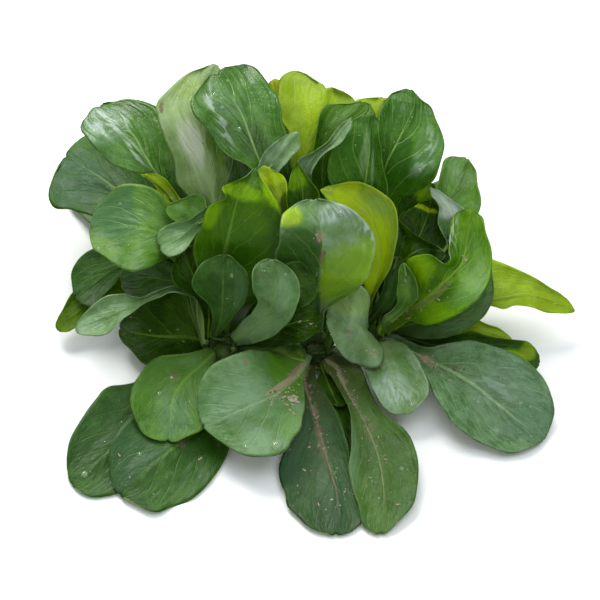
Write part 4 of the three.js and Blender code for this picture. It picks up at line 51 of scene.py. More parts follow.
# name, middle surface in hundredths of a millimetre (row by row from the stalk's foot to the tip),
# look name, and the phase of its small waves
LEAVES = [
("left_shoot_leaf_01", "B1", "back", -1, 1.0, 3, [-3214,-1307,95,-3189,-1285,95,-3164,-1264,95,-3139,-1243,95,-3115,-1221,95,-3090,-1197,95,-3065,-1173,95,-3041,-1149,95,-3016,-1124,95,-3481,-815,97,-3443,-804,90,-3405,-799,90,-3367,-800,90,-3327,-807,97,-3315,-753,93,-3303,-705,95,-3290,-664,103,-3276,-628,117,-3706,-408,114,-3668,-380,92,-3628,-365,85,-3588,-362,85,-3546,-372,98,-3534,-314,90,-3521,-269,94,-3507,-237,109,-3492,-216,137,-3940,-26,165,-3900,20,130,-3858,48,114,-3814,56,115,-3769,46,134,-3756,104,121,-3741,144,126,-3724,165,149,-3705,167,190,-4179,296,281,-4136,363,233,-4091,404,209,-4043,419,210,-3992,409,235,-3981,468,218,-3967,502,224,-3951,510,256,-3932,492,311,-4420,581,435,-4375,669,375,-4326,725,345,-4273,748,346,-4217,738,378,-4203,808,357,-4186,845,366,-4165,849,405,-4140,820,476,-4671,909,574,-4623,1013,503,-4570,1077,469,-4513,1100,472,-4450,1083,512,-4414,1188,487,-4373,1252,499,-4328,1275,548,-4278,1258,635,-4918,1278,688,-4871,1393,608,-4818,1460,571,-4759,1478,578,-4695,1449,629,-4616,1610,603,-4532,1724,620,-4441,1789,680,-4346,1805,785,-5189,1673,780,-5139,1787,701,-5083,1850,666,-5021,1863,677,-4952,1826,733,-4830,2041,715,-4701,2207,742,-4566,2323,814,-4425,2387,932,-5509,2080,827,-5449,2195,752,-5382,2260,722,-5308,2273,737,-5227,2236,797,-5083,2494,790,-4930,2702,829,-4771,2859,913,-4606,2965,1041,-5887,2457,826,-5808,2588,756,-5721,2668,732,-5627,2697,752,-5526,2675,817,-5375,2962,820,-5215,3200,868,-5049,3387,962,-4876,3521,1100,-6297,2810,795,-6195,2966,730,-6085,3071,711,-5967,3125,737,-5842,3126,808,-5687,3436,817,-5524,3695,871,-5354,3903,970,-5176,4058,1114,-6713,3178,741,-6589,3358,684,-6455,3486,671,-6313,3562,704,-6163,3585,781,-6004,3913,791,-5837,4190,847,-5661,4416,947,-5479,4588,1092,-7120,3616,659,-6973,3809,610,-6817,3949,606,-6652,4037,648,-6479,4072,734,-6314,4412,742,-6141,4702,796,-5959,4939,894,-5769,5122,1038,-7508,4092,563,-7341,4294,523,-7164,4443,529,-6977,4540,579,-6781,4583,674,-6615,4934,679,-6439,5233,728,-6254,5480,823,-6061,5672,962,-7874,4556,472,-7688,4771,440,-7492,4933,453,-7286,5042,511,-7071,5096,613,-6909,5459,612,-6738,5770,657,-6556,6027,746,-6366,6230,880,-8209,5007,392,-8011,5236,364,-7801,5413,381,-7581,5535,443,-7352,5603,551,-7201,5977,543,-7039,6298,581,-6868,6566,664,-6688,6779,792,-8509,5442,324,-8305,5687,297,-8089,5878,315,-7863,6015,378,-7626,6097,485,-7493,6479,471,-7350,6809,502,-7196,7084,578,-7033,7304,699,-8772,5866,274,-8572,6127,242,-8361,6334,255,-8139,6487,313,-7906,6584,416,-7795,6964,393,-7674,7291,416,-7542,7564,484,-7400,7780,596,-9010,6291,239,-8829,6558,213,-8633,6777,221,-8422,6946,263,-8197,7064,340,-8111,7423,323,-8012,7732,341,-7898,7992,393,-7770,8201,479,-9214,6747,222,-9074,7025,196,-8907,7250,193,-8712,7418,214,-8492,7531,259,-8444,7875,243,-8369,8165,251,-8269,8399,283,-8142,8575,338,-9347,7326,186,-9264,7581,163,-9142,7776,155,-8982,7910,160,-8783,7982,179,-8774,8282,169,-8726,8521,174,-8640,8697,192,-8515,8811,224,-9274,8080,133,-9263,8224,118,-9225,8329,109,-9160,8396,103,-9068,8424,102,-9072,8567,104,-9050,8670,110,-9001,8734,121,-8925,8759,137]),
("left_shoot_leaf_02", "B2", "back", -1, 1.0, 10, [-2873,-1372,247,-2843,-1367,241,-2813,-1362,237,-2782,-1358,235,-2752,-1353,234,-2722,-1348,236,-2691,-1344,239,-2661,-1339,244,-2631,-1335,251,-2937,-873,299,-2904,-879,285,-2870,-892,276,-2836,-910,271,-2801,-934,271,-2772,-901,272,-2743,-874,278,-2714,-853,288,-2684,-838,303,-2992,-456,305,-2958,-447,280,-2924,-450,267,-2888,-466,265,-2851,-494,276,-2822,-457,266,-2791,-433,268,-2760,-420,282,-2728,-420,308,-3049,-55,333,-3014,-30,294,-2978,-24,274,-2941,-37,271,-2902,-69,286,-2871,-26,272,-2839,-2,275,-2805,3,297,-2770,-11,336,-3096,304,419,-3062,344,367,-3027,358,339,-2989,346,335,-2949,308,356,-2920,355,337,-2889,375,341,-2856,370,370,-2821,339,423,-3167,627,540,-3128,684,475,-3086,708,441,-3042,699,437,-2995,656,464,-2959,711,439,-2921,732,444,-2881,721,480,-2838,676,547,-3311,974,651,-3248,1047,574,-3183,1078,535,-3114,1070,532,-3042,1020,567,-2974,1090,535,-2902,1120,541,-2828,1109,583,-2750,1057,663,-3523,1348,743,-3422,1435,656,-3316,1473,613,-3206,1463,613,-3092,1405,657,-2963,1494,618,-2831,1535,624,-2696,1527,672,-2557,1471,765,-3752,1747,819,-3606,1838,731,-3456,1877,688,-3302,1867,691,-3144,1806,738,-2959,1906,700,-2771,1956,707,-2580,1955,759,-2386,1903,856,-3960,2215,859,-3777,2299,774,-3589,2332,734,-3396,2313,739,-3199,2244,789,-2979,2357,753,-2756,2418,761,-2528,2429,815,-2298,2388,913,-4154,2731,864,-3938,2806,782,-3716,2829,746,-3489,2801,754,-3259,2721,807,-3013,2846,772,-2763,2919,781,-2509,2941,836,-2253,2911,935,-4336,3267,845,-4090,3335,767,-3838,3350,733,-3581,3313,745,-3321,3224,801,-3055,3364,765,-2785,3451,775,-2511,3486,829,-2234,3468,928,-4499,3811,806,-4228,3875,731,-3952,3885,701,-3670,3842,716,-3385,3747,776,-3105,3901,739,-2819,4002,746,-2530,4050,799,-2238,4045,896,-4643,4384,742,-4353,4441,671,-4057,4444,646,-3756,4393,666,-3452,4289,730,-3161,4458,689,-2865,4575,694,-2565,4637,743,-2263,4646,837,-4769,4966,664,-4464,5015,598,-4154,5011,578,-3839,4952,602,-3521,4839,671,-3224,5024,627,-2923,5156,627,-2617,5234,673,-2308,5256,763,-4883,5555,585,-4568,5594,523,-4246,5578,506,-3920,5508,535,-3591,5382,608,-3293,5582,559,-2989,5726,556,-2681,5817,597,-2370,5851,684,-4978,6153,504,-4656,6179,445,-4328,6148,431,-3996,6062,463,-3660,5921,539,-3365,6131,487,-3064,6286,479,-2759,6385,517,-2450,6429,600,-5039,6748,427,-4718,6758,369,-4391,6711,357,-4060,6609,389,-3725,6451,466,-3438,6664,411,-3145,6822,401,-2847,6924,436,-2546,6969,516,-5042,7321,358,-4735,7321,300,-4423,7263,286,-4106,7150,317,-3785,6980,394,-3511,7190,336,-3231,7345,324,-2947,7443,357,-2659,7485,435,-4987,7852,299,-4708,7851,253,-4423,7793,242,-4133,7680,264,-3839,7511,321,-3587,7712,278,-3330,7858,270,-3067,7947,296,-2800,7981,356,-4876,8334,248,-4639,8368,212,-4395,8330,200,-4144,8220,212,-3887,8038,248,-3676,8249,219,-3458,8388,214,-3233,8455,233,-3003,8450,275,-4665,8756,193,-4493,8831,168,-4313,8822,157,-4126,8729,159,-3931,8554,176,-3786,8745,162,-3632,8853,161,-3472,8877,175,-3305,8818,202,-4252,9048,136,-4190,9125,122,-4123,9152,112,-4052,9129,108,-3976,9058,107,-3918,9128,108,-3856,9150,113,-3789,9121,122,-3719,9044,137]),
("middle_shoot_leaf_01", "B3", "back", -1, 1.0, 17, [509,-1391,319,540,-1385,320,570,-1380,320,601,-1375,320,632,-1370,321,662,-1365,321,693,-1359,321,723,-1354,322,754,-1349,322,462,-971,410,496,-977,398,529,-990,392,563,-1008,391,596,-1032,396,626,-998,393,656,-970,395,686,-948,403,716,-932,416,422,-646,505,456,-637,479,490,-640,466,524,-655,464,557,-683,474,590,-645,467,622,-620,471,654,-607,487,686,-606,515,379,-305,598,414,-280,560,448,-273,539,483,-286,536,517,-318,551,552,-277,540,586,-254,546,621,-251,571,654,-267,614,341,55,691,375,96,638,409,110,610,442,99,606,475,62,627,510,108,611,544,127,620,578,121,653,612,88,710,265,434,779,308,489,713,350,512,678,392,501,674,433,457,700,479,511,679,524,532,689,568,520,730,612,474,802,87,829,853,164,901,775,241,933,734,317,924,730,393,875,763,481,945,736,570,975,746,657,963,793,743,911,877,-173,1241,912,-41,1332,822,92,1375,776,224,1369,773,355,1315,814,511,1404,779,667,1444,787,821,1435,839,974,1378,935,-417,1711,955,-233,1804,862,-47,1846,814,138,1837,811,323,1778,853,533,1876,815,742,1924,823,951,1921,876,1157,1868,973,-606,2254,975,-381,2335,882,-154,2364,833,73,2342,830,299,2269,872,551,2374,833,801,2427,839,1051,2430,890,1298,2381,986,-770,2840,971,-506,2905,878,-241,2917,831,23,2877,829,288,2786,871,574,2899,830,859,2961,833,1144,2970,882,1426,2928,975,-905,3441,945,-608,3491,854,-310,3488,809,-12,3432,808,285,3325,853,600,3450,808,915,3523,809,1229,3543,854,1540,3511,944,-1008,4048,895,-685,4086,808,-361,4071,766,-36,4003,769,287,3881,817,624,4021,768,961,4107,764,1297,4140,806,1631,4120,892,-1085,4681,821,-742,4705,739,-398,4675,702,-54,4592,710,288,4454,763,641,4610,708,995,4711,699,1348,4759,735,1698,4753,815,-1141,5330,733,-784,5338,657,-425,5291,625,-67,5189,639,290,5033,697,655,5203,637,1020,5320,621,1385,5382,651,1747,5389,725,-1172,5973,642,-806,5965,571,-438,5900,544,-71,5781,563,294,5607,627,665,5793,561,1036,5925,540,1408,6001,564,1777,6022,633,-1173,6604,548,-804,6581,481,-436,6502,459,-67,6368,482,299,6178,550,669,6379,480,1039,6525,454,1410,6616,474,1779,6650,539,-1132,7210,459,-773,7177,394,-413,7087,375,-53,6940,400,304,6738,470,663,6952,398,1024,7110,370,1385,7212,387,1744,7257,449,-1043,7780,380,-705,7744,315,-366,7651,296,-28,7501,321,308,7295,392,648,7512,319,989,7674,292,1330,7779,309,1670,7826,371,-906,8306,312,-601,8279,262,-296,8194,246,9,8050,264,312,7850,316,621,8062,262,932,8218,242,1242,8315,257,1551,8354,305,-710,8790,250,-453,8807,213,-196,8747,199,60,8610,208,315,8397,242,577,8620,208,839,8767,197,1101,8837,210,1361,8830,247,-415,9186,190,-231,9256,164,-47,9237,152,136,9129,154,319,8932,170,504,9132,154,690,9245,152,874,9268,163,1058,9201,189,35,9445,130,107,9527,116,179,9556,106,251,9532,101,322,9455,101,394,9531,101,465,9555,106,536,9526,116,606,9444,130]),
("right_shoot_leaf_01", "B4", "back", -1, 1.0, 24, [1890,-897,293,1923,-890,293,1956,-883,294,1989,-876,294,2022,-870,294,2055,-862,294,2088,-854,293,2121,-847,293,2155,-839,292,2010,-51,243,2071,-166,228,2131,-287,218,2191,-413,214,2250,-545,216,2326,-582,207,2401,-625,203,2476,-674,205,2550,-730,213,2018,562,191,2138,386,159,2257,199,139,2374,0,131,2490,-210,134,2610,-296,115,2728,-394,108,2846,-504,113,2962,-625,130,2039,813,198,2211,664,148,2381,496,117,2549,311,104,2715,107,108,2899,21,80,3081,-83,80,3261,-205,80,3439,-346,103,2060,919,313,2269,823,247,2477,702,205,2682,555,187,2884,383,193,3078,366,155,3270,323,141,3460,254,152,3646,160,187,2083,959,498,2315,927,415,2545,862,362,2772,764,340,2997,633,349,3189,647,301,3378,628,284,3565,576,298,3747,492,342,2153,1188,669,2392,1180,570,2628,1131,509,2861,1041,485,3090,911,498,3285,924,440,3477,896,419,3664,828,436,3847,720,489,2290,1508,809,2522,1508,697,2750,1458,629,2975,1361,604,3195,1216,623,3390,1229,555,3582,1195,531,3768,1112,551,3949,982,614,2494,1809,929,2700,1817,813,2903,1775,743,3101,1683,717,3295,1541,736,3494,1547,667,3687,1504,642,3876,1411,663,4058,1269,728,2759,2196,1006,2925,2200,890,3088,2154,819,3247,2057,793,3400,1909,812,3600,1895,743,3795,1830,718,3984,1715,739,4167,1551,804,3009,2674,1039,3146,2661,924,3279,2595,854,3407,2479,829,3530,2312,848,3727,2269,778,3918,2176,753,4103,2033,773,4282,1839,838,3220,3176,1040,3346,3141,926,3468,3054,857,3585,2914,833,3697,2724,854,3886,2664,782,4071,2554,755,4249,2393,774,4420,2181,837,3413,3678,1015,3540,3622,902,3661,3513,834,3778,3352,810,3889,3140,832,4074,3083,757,4253,2974,727,4425,2813,742,4591,2602,802,3600,4177,958,3731,4105,846,3857,3981,779,3978,3804,758,4092,3575,781,4276,3531,700,4453,3435,665,4624,3287,674,4788,3087,729,3778,4677,883,3915,4594,773,4047,4456,708,4173,4266,688,4293,4023,713,4479,3994,626,4659,3913,585,4832,3779,589,4998,3593,637,3954,5186,803,4096,5087,696,4232,4935,633,4362,4729,615,4485,4471,643,4677,4450,552,4862,4375,505,5041,4247,504,5212,4067,548,4143,5695,717,4285,5581,612,4420,5412,553,4549,5189,539,4671,4914,569,4868,4892,475,5059,4817,426,5243,4688,421,5419,4506,462,4356,6183,624,4490,6055,524,4619,5872,468,4740,5636,458,4855,5346,492,5054,5320,398,5246,5240,348,5432,5106,344,5609,4919,384,4594,6622,526,4716,6491,431,4832,6304,380,4941,6064,375,5043,5770,414,5237,5738,323,5424,5651,277,5603,5510,276,5774,5315,320,4842,7012,423,4956,6878,349,5060,6695,310,5155,6464,305,5240,6186,334,5425,6139,267,5601,6043,233,5767,5900,234,5923,5709,270,5097,7366,307,5209,7250,258,5303,7081,232,5380,6862,230,5439,6591,252,5620,6546,212,5783,6449,195,5929,6301,202,6055,6102,233,5364,7644,209,5472,7564,179,5553,7427,163,5608,7233,160,5636,6985,172,5802,6966,154,5941,6891,151,6054,6760,161,6139,6574,185,5687,7631,129,5750,7618,114,5795,7570,103,5820,7487,97,5827,7370,95,5910,7377,96,5974,7349,102,6020,7287,112,6047,7190,127]),
("left_shoot_leaf_03", "L9", "deep", 1, 1.0, 31, [-3261,-2419,346,-3234,-2438,345,-3208,-2457,343,-3181,-2476,342,-3155,-2496,341,-3128,-2515,339,-3101,-2534,338,-3075,-2554,337,-3048,-2573,335,-3715,-2260,426,-3638,-2296,406,-3562,-2337,391,-3484,-2383,382,-3406,-2436,380,-3369,-2573,367,-3331,-2715,361,-3293,-2863,360,-3255,-3015,365,-4035,-2545,509,-3931,-2577,469,-3826,-2620,441,-3719,-2676,425,-3612,-2743,420,-3545,-2855,397,-3476,-2979,385,-3407,-3114,385,-3337,-3259,398,-4332,-2782,580,-4200,-2831,519,-4066,-2897,477,-3930,-2981,453,-3792,-3082,446,-3700,-3155,412,-3606,-3246,395,-3510,-3354,396,-3413,-3478,415,-4602,-2981,623,-4449,-3051,542,-4293,-3145,486,-4135,-3262,453,-3975,-3402,445,-3874,-3480,399,-3771,-3581,377,-3666,-3705,379,-3559,-3851,405,-4868,-3169,648,-4699,-3256,547,-4527,-3373,476,-4351,-3519,435,-4172,-3693,426,-4061,-3785,367,-3948,-3905,339,-3831,-4054,341,-3712,-4231,374,-5140,-3381,672,-4956,-3478,549,-4766,-3611,464,-4572,-3778,416,-4375,-3980,406,-4251,-4085,333,-4123,-4225,298,-3992,-4399,300,-3858,-4607,339,-5408,-3616,699,-5209,-3718,556,-5003,-3861,456,-4793,-4045,400,-4577,-4269,388,-4441,-4390,300,-4299,-4551,257,-4153,-4751,256,-4003,-4990,300,-5694,-3819,732,-5475,-3940,574,-5249,-4103,461,-5017,-4309,392,-4780,-4554,369,-4631,-4702,273,-4477,-4891,222,-4318,-5120,215,-4155,-5387,254,-6019,-3939,765,-5769,-4101,595,-5513,-4306,470,-5251,-4551,390,-4984,-4837,355,-4821,-5018,251,-4654,-5240,192,-4481,-5501,178,-4305,-5800,209,-6365,-4001,792,-6079,-4218,613,-5787,-4477,479,-5489,-4776,389,-5187,-5113,345,-5009,-5329,234,-4826,-5584,168,-4638,-5878,147,-4446,-6208,170,-6619,-4211,804,-6321,-4444,620,-6015,-4717,481,-5704,-5030,387,-5389,-5381,338,-5198,-5626,221,-5001,-5910,149,-4800,-6230,122,-4596,-6586,141,-6764,-4539,798,-6480,-4754,615,-6188,-5010,476,-5891,-5305,383,-5588,-5639,334,-5388,-5906,213,-5182,-6211,136,-4972,-6552,105,-4758,-6928,118,-6889,-4862,782,-6623,-5059,603,-6350,-5296,469,-6070,-5572,380,-5785,-5887,335,-5577,-6172,209,-5364,-6494,128,-5147,-6851,92,-4926,-7243,101,-7020,-5176,754,-6771,-5352,582,-6513,-5569,455,-6248,-5825,373,-5978,-6118,336,-5767,-6413,206,-5551,-6744,121,-5331,-7109,81,-5106,-7509,86,-7163,-5472,712,-6925,-5628,548,-6679,-5824,430,-6425,-6059,357,-6165,-6332,329,-5958,-6621,197,-5745,-6947,111,-5527,-7307,69,-5305,-7701,72,-7293,-5771,661,-7067,-5903,508,-6833,-6075,400,-6591,-6285,337,-6343,-6534,319,-6144,-6805,188,-5938,-7113,102,-5728,-7455,62,-5512,-7831,65,-7392,-6068,604,-7183,-6174,462,-6966,-6320,364,-6740,-6505,311,-6507,-6728,303,-6323,-6975,176,-6132,-7258,94,-5934,-7576,62,-5732,-7929,65,-7466,-6332,531,-7278,-6420,401,-7081,-6547,316,-6875,-6713,275,-6662,-6917,280,-6502,-7134,161,-6334,-7388,88,-6160,-7677,62,-5980,-8001,76,-7509,-6569,432,-7351,-6666,334,-7182,-6786,270,-7004,-6930,240,-6815,-7096,244,-6687,-7296,156,-6549,-7519,102,-6402,-7763,82,-6246,-8027,96,-7514,-6792,297,-7402,-6904,237,-7273,-7019,201,-7128,-7136,188,-6966,-7257,199,-6875,-7450,148,-6767,-7646,120,-6643,-7843,115,-6504,-8041,135,-7474,-7055,196,-7415,-7163,164,-7335,-7258,146,-7235,-7339,142,-7114,-7407,152,-7061,-7571,129,-6987,-7720,119,-6893,-7855,124,-6779,-7977,142,-7358,-7371,129,-7351,-7435,117,-7332,-7487,109,-7300,-7526,106,-7255,-7554,108,-7231,-7616,105,-7195,-7667,107,-7146,-7705,113,-7085,-7731,124]),
("left_shoot_leaf_04", "L6", "shade", 1, 1.0, 38, [-3440,-1945,213,-3428,-1980,223,-3416,-2016,233,-3404,-2051,242,-3393,-2086,251,-3382,-2118,256,-3372,-2151,259,-3362,-2183,262,-3353,-2214,263,-3380,-1718,174,-3372,-1740,157,-3362,-1769,147,-3352,-1804,146,-3340,-1846,153,-3305,-1805,139,-3268,-1773,137,-3228,-1747,147,-3186,-1728,166,-3304,-1577,229,-3290,-1572,196,-3275,-1578,172,-3261,-1595,155,-3247,-1623,147,-3362,-1665,122,-3466,-1725,136,-3561,-1802,181,-3656,-1890,236,-3182,-1357,340,-3174,-1343,282,-3165,-1346,241,-3155,-1367,215,-3145,-1406,205,-3303,-1499,155,-3451,-1615,137,-3582,-1760,180,-3708,-1922,251,-3345,253,421,-3324,-111,340,-3302,-498,283,-3277,-904,250,-3264,-1321,220,-3400,-1441,177,-3529,-1588,165,-3645,-1765,206,-3758,-1966,276,-3414,353,490,-3424,-35,387,-3431,-450,315,-3436,-893,273,-3447,-1354,245,-3545,-1472,206,-3637,-1622,201,-3722,-1805,240,-3805,-2016,308,-3497,379,575,-3535,0,450,-3569,-413,361,-3599,-860,310,-3627,-1338,293,-3690,-1466,248,-3749,-1631,241,-3802,-1834,274,-3851,-2072,346,-3665,346,682,-3709,-11,532,-3748,-410,426,-3783,-849,364,-3813,-1328,345,-3842,-1465,290,-3866,-1645,279,-3885,-1869,312,-3899,-2134,390,-3934,343,814,-3959,-17,645,-3978,-422,520,-3992,-868,441,-4001,-1354,406,-4023,-1508,346,-4039,-1706,332,-4050,-1948,362,-4056,-2233,438,-4153,293,956,-4169,-69,769,-4181,-475,626,-4187,-923,529,-4187,-1411,477,-4213,-1578,413,-4234,-1789,394,-4249,-2044,419,-4259,-2341,490,-4336,186,1103,-4352,-169,901,-4363,-569,744,-4369,-1011,632,-4369,-1493,565,-4405,-1670,496,-4436,-1891,472,-4460,-2155,493,-4479,-2462,559,-4504,59,1224,-4523,-283,1014,-4537,-671,849,-4545,-1102,729,-4547,-1573,654,-4591,-1758,580,-4629,-1987,551,-4662,-2260,567,-4688,-2575,628,-4675,-44,1294,-4696,-373,1083,-4711,-747,916,-4721,-1165,795,-4724,-1623,719,-4774,-1824,640,-4817,-2069,607,-4855,-2357,618,-4886,-2687,674,-4847,-156,1325,-4869,-463,1117,-4885,-816,955,-4894,-1212,837,-4898,-1650,764,-4954,-1876,680,-5004,-2146,641,-5048,-2458,647,-5084,-2813,698,-5008,-281,1326,-5032,-557,1126,-5050,-879,971,-5062,-1245,860,-5068,-1653,795,-5124,-1924,705,-5173,-2239,661,-5216,-2594,661,-5251,-2991,706,-5176,-372,1303,-5200,-621,1113,-5218,-916,967,-5229,-1255,867,-5234,-1638,811,-5294,-1878,717,-5348,-2163,668,-5395,-2489,664,-5434,-2857,705,-5342,-416,1257,-5365,-645,1078,-5382,-920,945,-5391,-1240,856,-5394,-1603,812,-5453,-1791,716,-5505,-2023,664,-5549,-2298,658,-5586,-2615,696,-5500,-453,1197,-5523,-661,1031,-5538,-914,910,-5547,-1213,834,-5549,-1555,803,-5606,-1694,707,-5656,-1878,655,-5699,-2107,649,-5734,-2378,687,-5652,-507,1121,-5676,-685,971,-5691,-911,866,-5700,-1182,805,-5701,-1496,790,-5755,-1596,697,-5800,-1741,649,-5838,-1931,646,-5869,-2164,688,-5812,-570,1021,-5837,-730,908,-5852,-927,830,-5857,-1159,785,-5852,-1427,775,-5904,-1516,705,-5947,-1641,669,-5979,-1801,667,-6000,-1997,700,-5981,-607,879,-6012,-749,812,-6025,-920,770,-6021,-1121,751,-5999,-1350,756,-6054,-1429,712,-6093,-1537,691,-6113,-1675,695,-6116,-1841,722,-6137,-714,782,-6172,-820,749,-6185,-948,731,-6174,-1099,726,-6141,-1272,735,-6192,-1331,713,-6220,-1412,704,-6226,-1515,710,-6208,-1641,729,-6275,-962,728,-6299,-1006,719,-6307,-1060,713,-6300,-1124,712,-6278,-1198,716,-6299,-1226,711,-6304,-1264,710,-6293,-1313,714,-6268,-1371,723]),
("right_shoot_leaf_02", "H19", "yellow", -1, 1.0, 45, [2779,-1155,145,2781,-1187,145,2783,-1219,144,2785,-1252,144,2787,-1284,144,2790,-1315,142,2792,-1346,141,2794,-1377,139,2797,-1408,137,2945,-767,288,2951,-806,260,2956,-851,238,2960,-902,222,2964,-958,211,2994,-959,200,3023,-966,195,3051,-979,195,3079,-997,201,3130,-406,426,3139,-445,374,3146,-497,334,3152,-561,306,3157,-637,289,3194,-656,267,3230,-688,256,3265,-733,257,3298,-789,271,3455,-71,564,3455,-134,486,3453,-215,425,3449,-316,383,3443,-435,358,3472,-481,325,3499,-547,311,3523,-631,314,3546,-733,335,3826,138,695,3819,48,589,3809,-69,509,3797,-210,452,3782,-377,420,3798,-437,377,3811,-522,358,3822,-632,364,3830,-767,394,4161,297,819,4159,178,688,4153,25,588,4144,-159,518,4131,-375,479,4144,-445,427,4154,-548,405,4160,-682,415,4162,-847,454,4434,433,955,4453,286,799,4468,98,681,4478,-128,599,4483,-391,555,4501,-468,495,4515,-584,472,4524,-739,485,4528,-931,537,4695,592,1111,4738,416,932,4775,193,797,4806,-75,705,4830,-388,657,4857,-466,591,4877,-590,569,4891,-758,591,4899,-972,657,4987,788,1282,5044,568,1087,5094,301,937,5137,-13,833,5174,-373,773,5201,-461,714,5222,-597,700,5236,-779,730,5242,-1007,806,5309,963,1444,5372,705,1238,5427,398,1078,5474,45,962,5514,-352,891,5539,-444,841,5556,-583,836,5566,-769,875,5568,-1000,960,5670,1056,1597,5727,777,1384,5776,450,1216,5817,76,1093,5850,-341,1015,5865,-404,972,5872,-515,975,5872,-673,1022,5863,-878,1115,6040,1101,1719,6088,812,1506,6127,474,1337,6158,90,1213,6181,-338,1134,6184,-353,1095,6179,-416,1101,6166,-526,1152,6144,-685,1248,6418,1128,1790,6454,836,1583,6481,496,1421,6499,110,1304,6508,-321,1232,6511,-354,1190,6505,-435,1194,6490,-563,1242,6467,-740,1335,6758,941,1824,6790,700,1630,6812,411,1482,6825,74,1379,6829,-308,1321,6829,-390,1271,6820,-521,1267,6802,-698,1308,6775,-923,1393,7105,719,1817,7129,545,1641,7143,323,1510,7148,52,1424,7143,-265,1383,7146,-341,1324,7138,-466,1311,7122,-637,1342,7096,-856,1418,7486,506,1762,7494,404,1604,7491,252,1492,7478,52,1424,7455,-197,1402,7451,-291,1334,7436,-434,1310,7411,-624,1332,7377,-860,1399,7855,356,1669,7847,296,1529,7828,187,1433,7799,29,1382,7759,-177,1377,7739,-278,1302,7708,-427,1272,7667,-624,1286,7617,-867,1346,8169,230,1563,8152,191,1436,8125,102,1354,8087,-35,1317,8038,-220,1326,8006,-314,1247,7964,-456,1214,7911,-645,1225,7847,-881,1282,8422,94,1451,8408,71,1336,8384,0,1266,8348,-120,1241,8301,-289,1261,8264,-374,1183,8216,-507,1150,8158,-687,1162,8089,-914,1219,8656,-14,1327,8649,-46,1240,8630,-114,1187,8601,-217,1168,8560,-354,1184,8520,-443,1126,8469,-566,1103,8407,-724,1113,8335,-916,1158,8883,-87,1175,8884,-140,1118,8872,-213,1085,8846,-307,1076,8807,-419,1091,8771,-508,1056,8721,-616,1044,8658,-744,1057,8582,-891,1093,9086,-186,1045,9098,-254,1012,9095,-327,992,9076,-405,986,9042,-488,994,9013,-568,979,8969,-653,978,8910,-743,991,8835,-838,1018,9217,-398,943,9245,-441,926,9263,-481,914,9271,-519,907,9269,-555,904,9245,-596,906,9211,-634,913,9166,-670,925,9112,-703,941]),
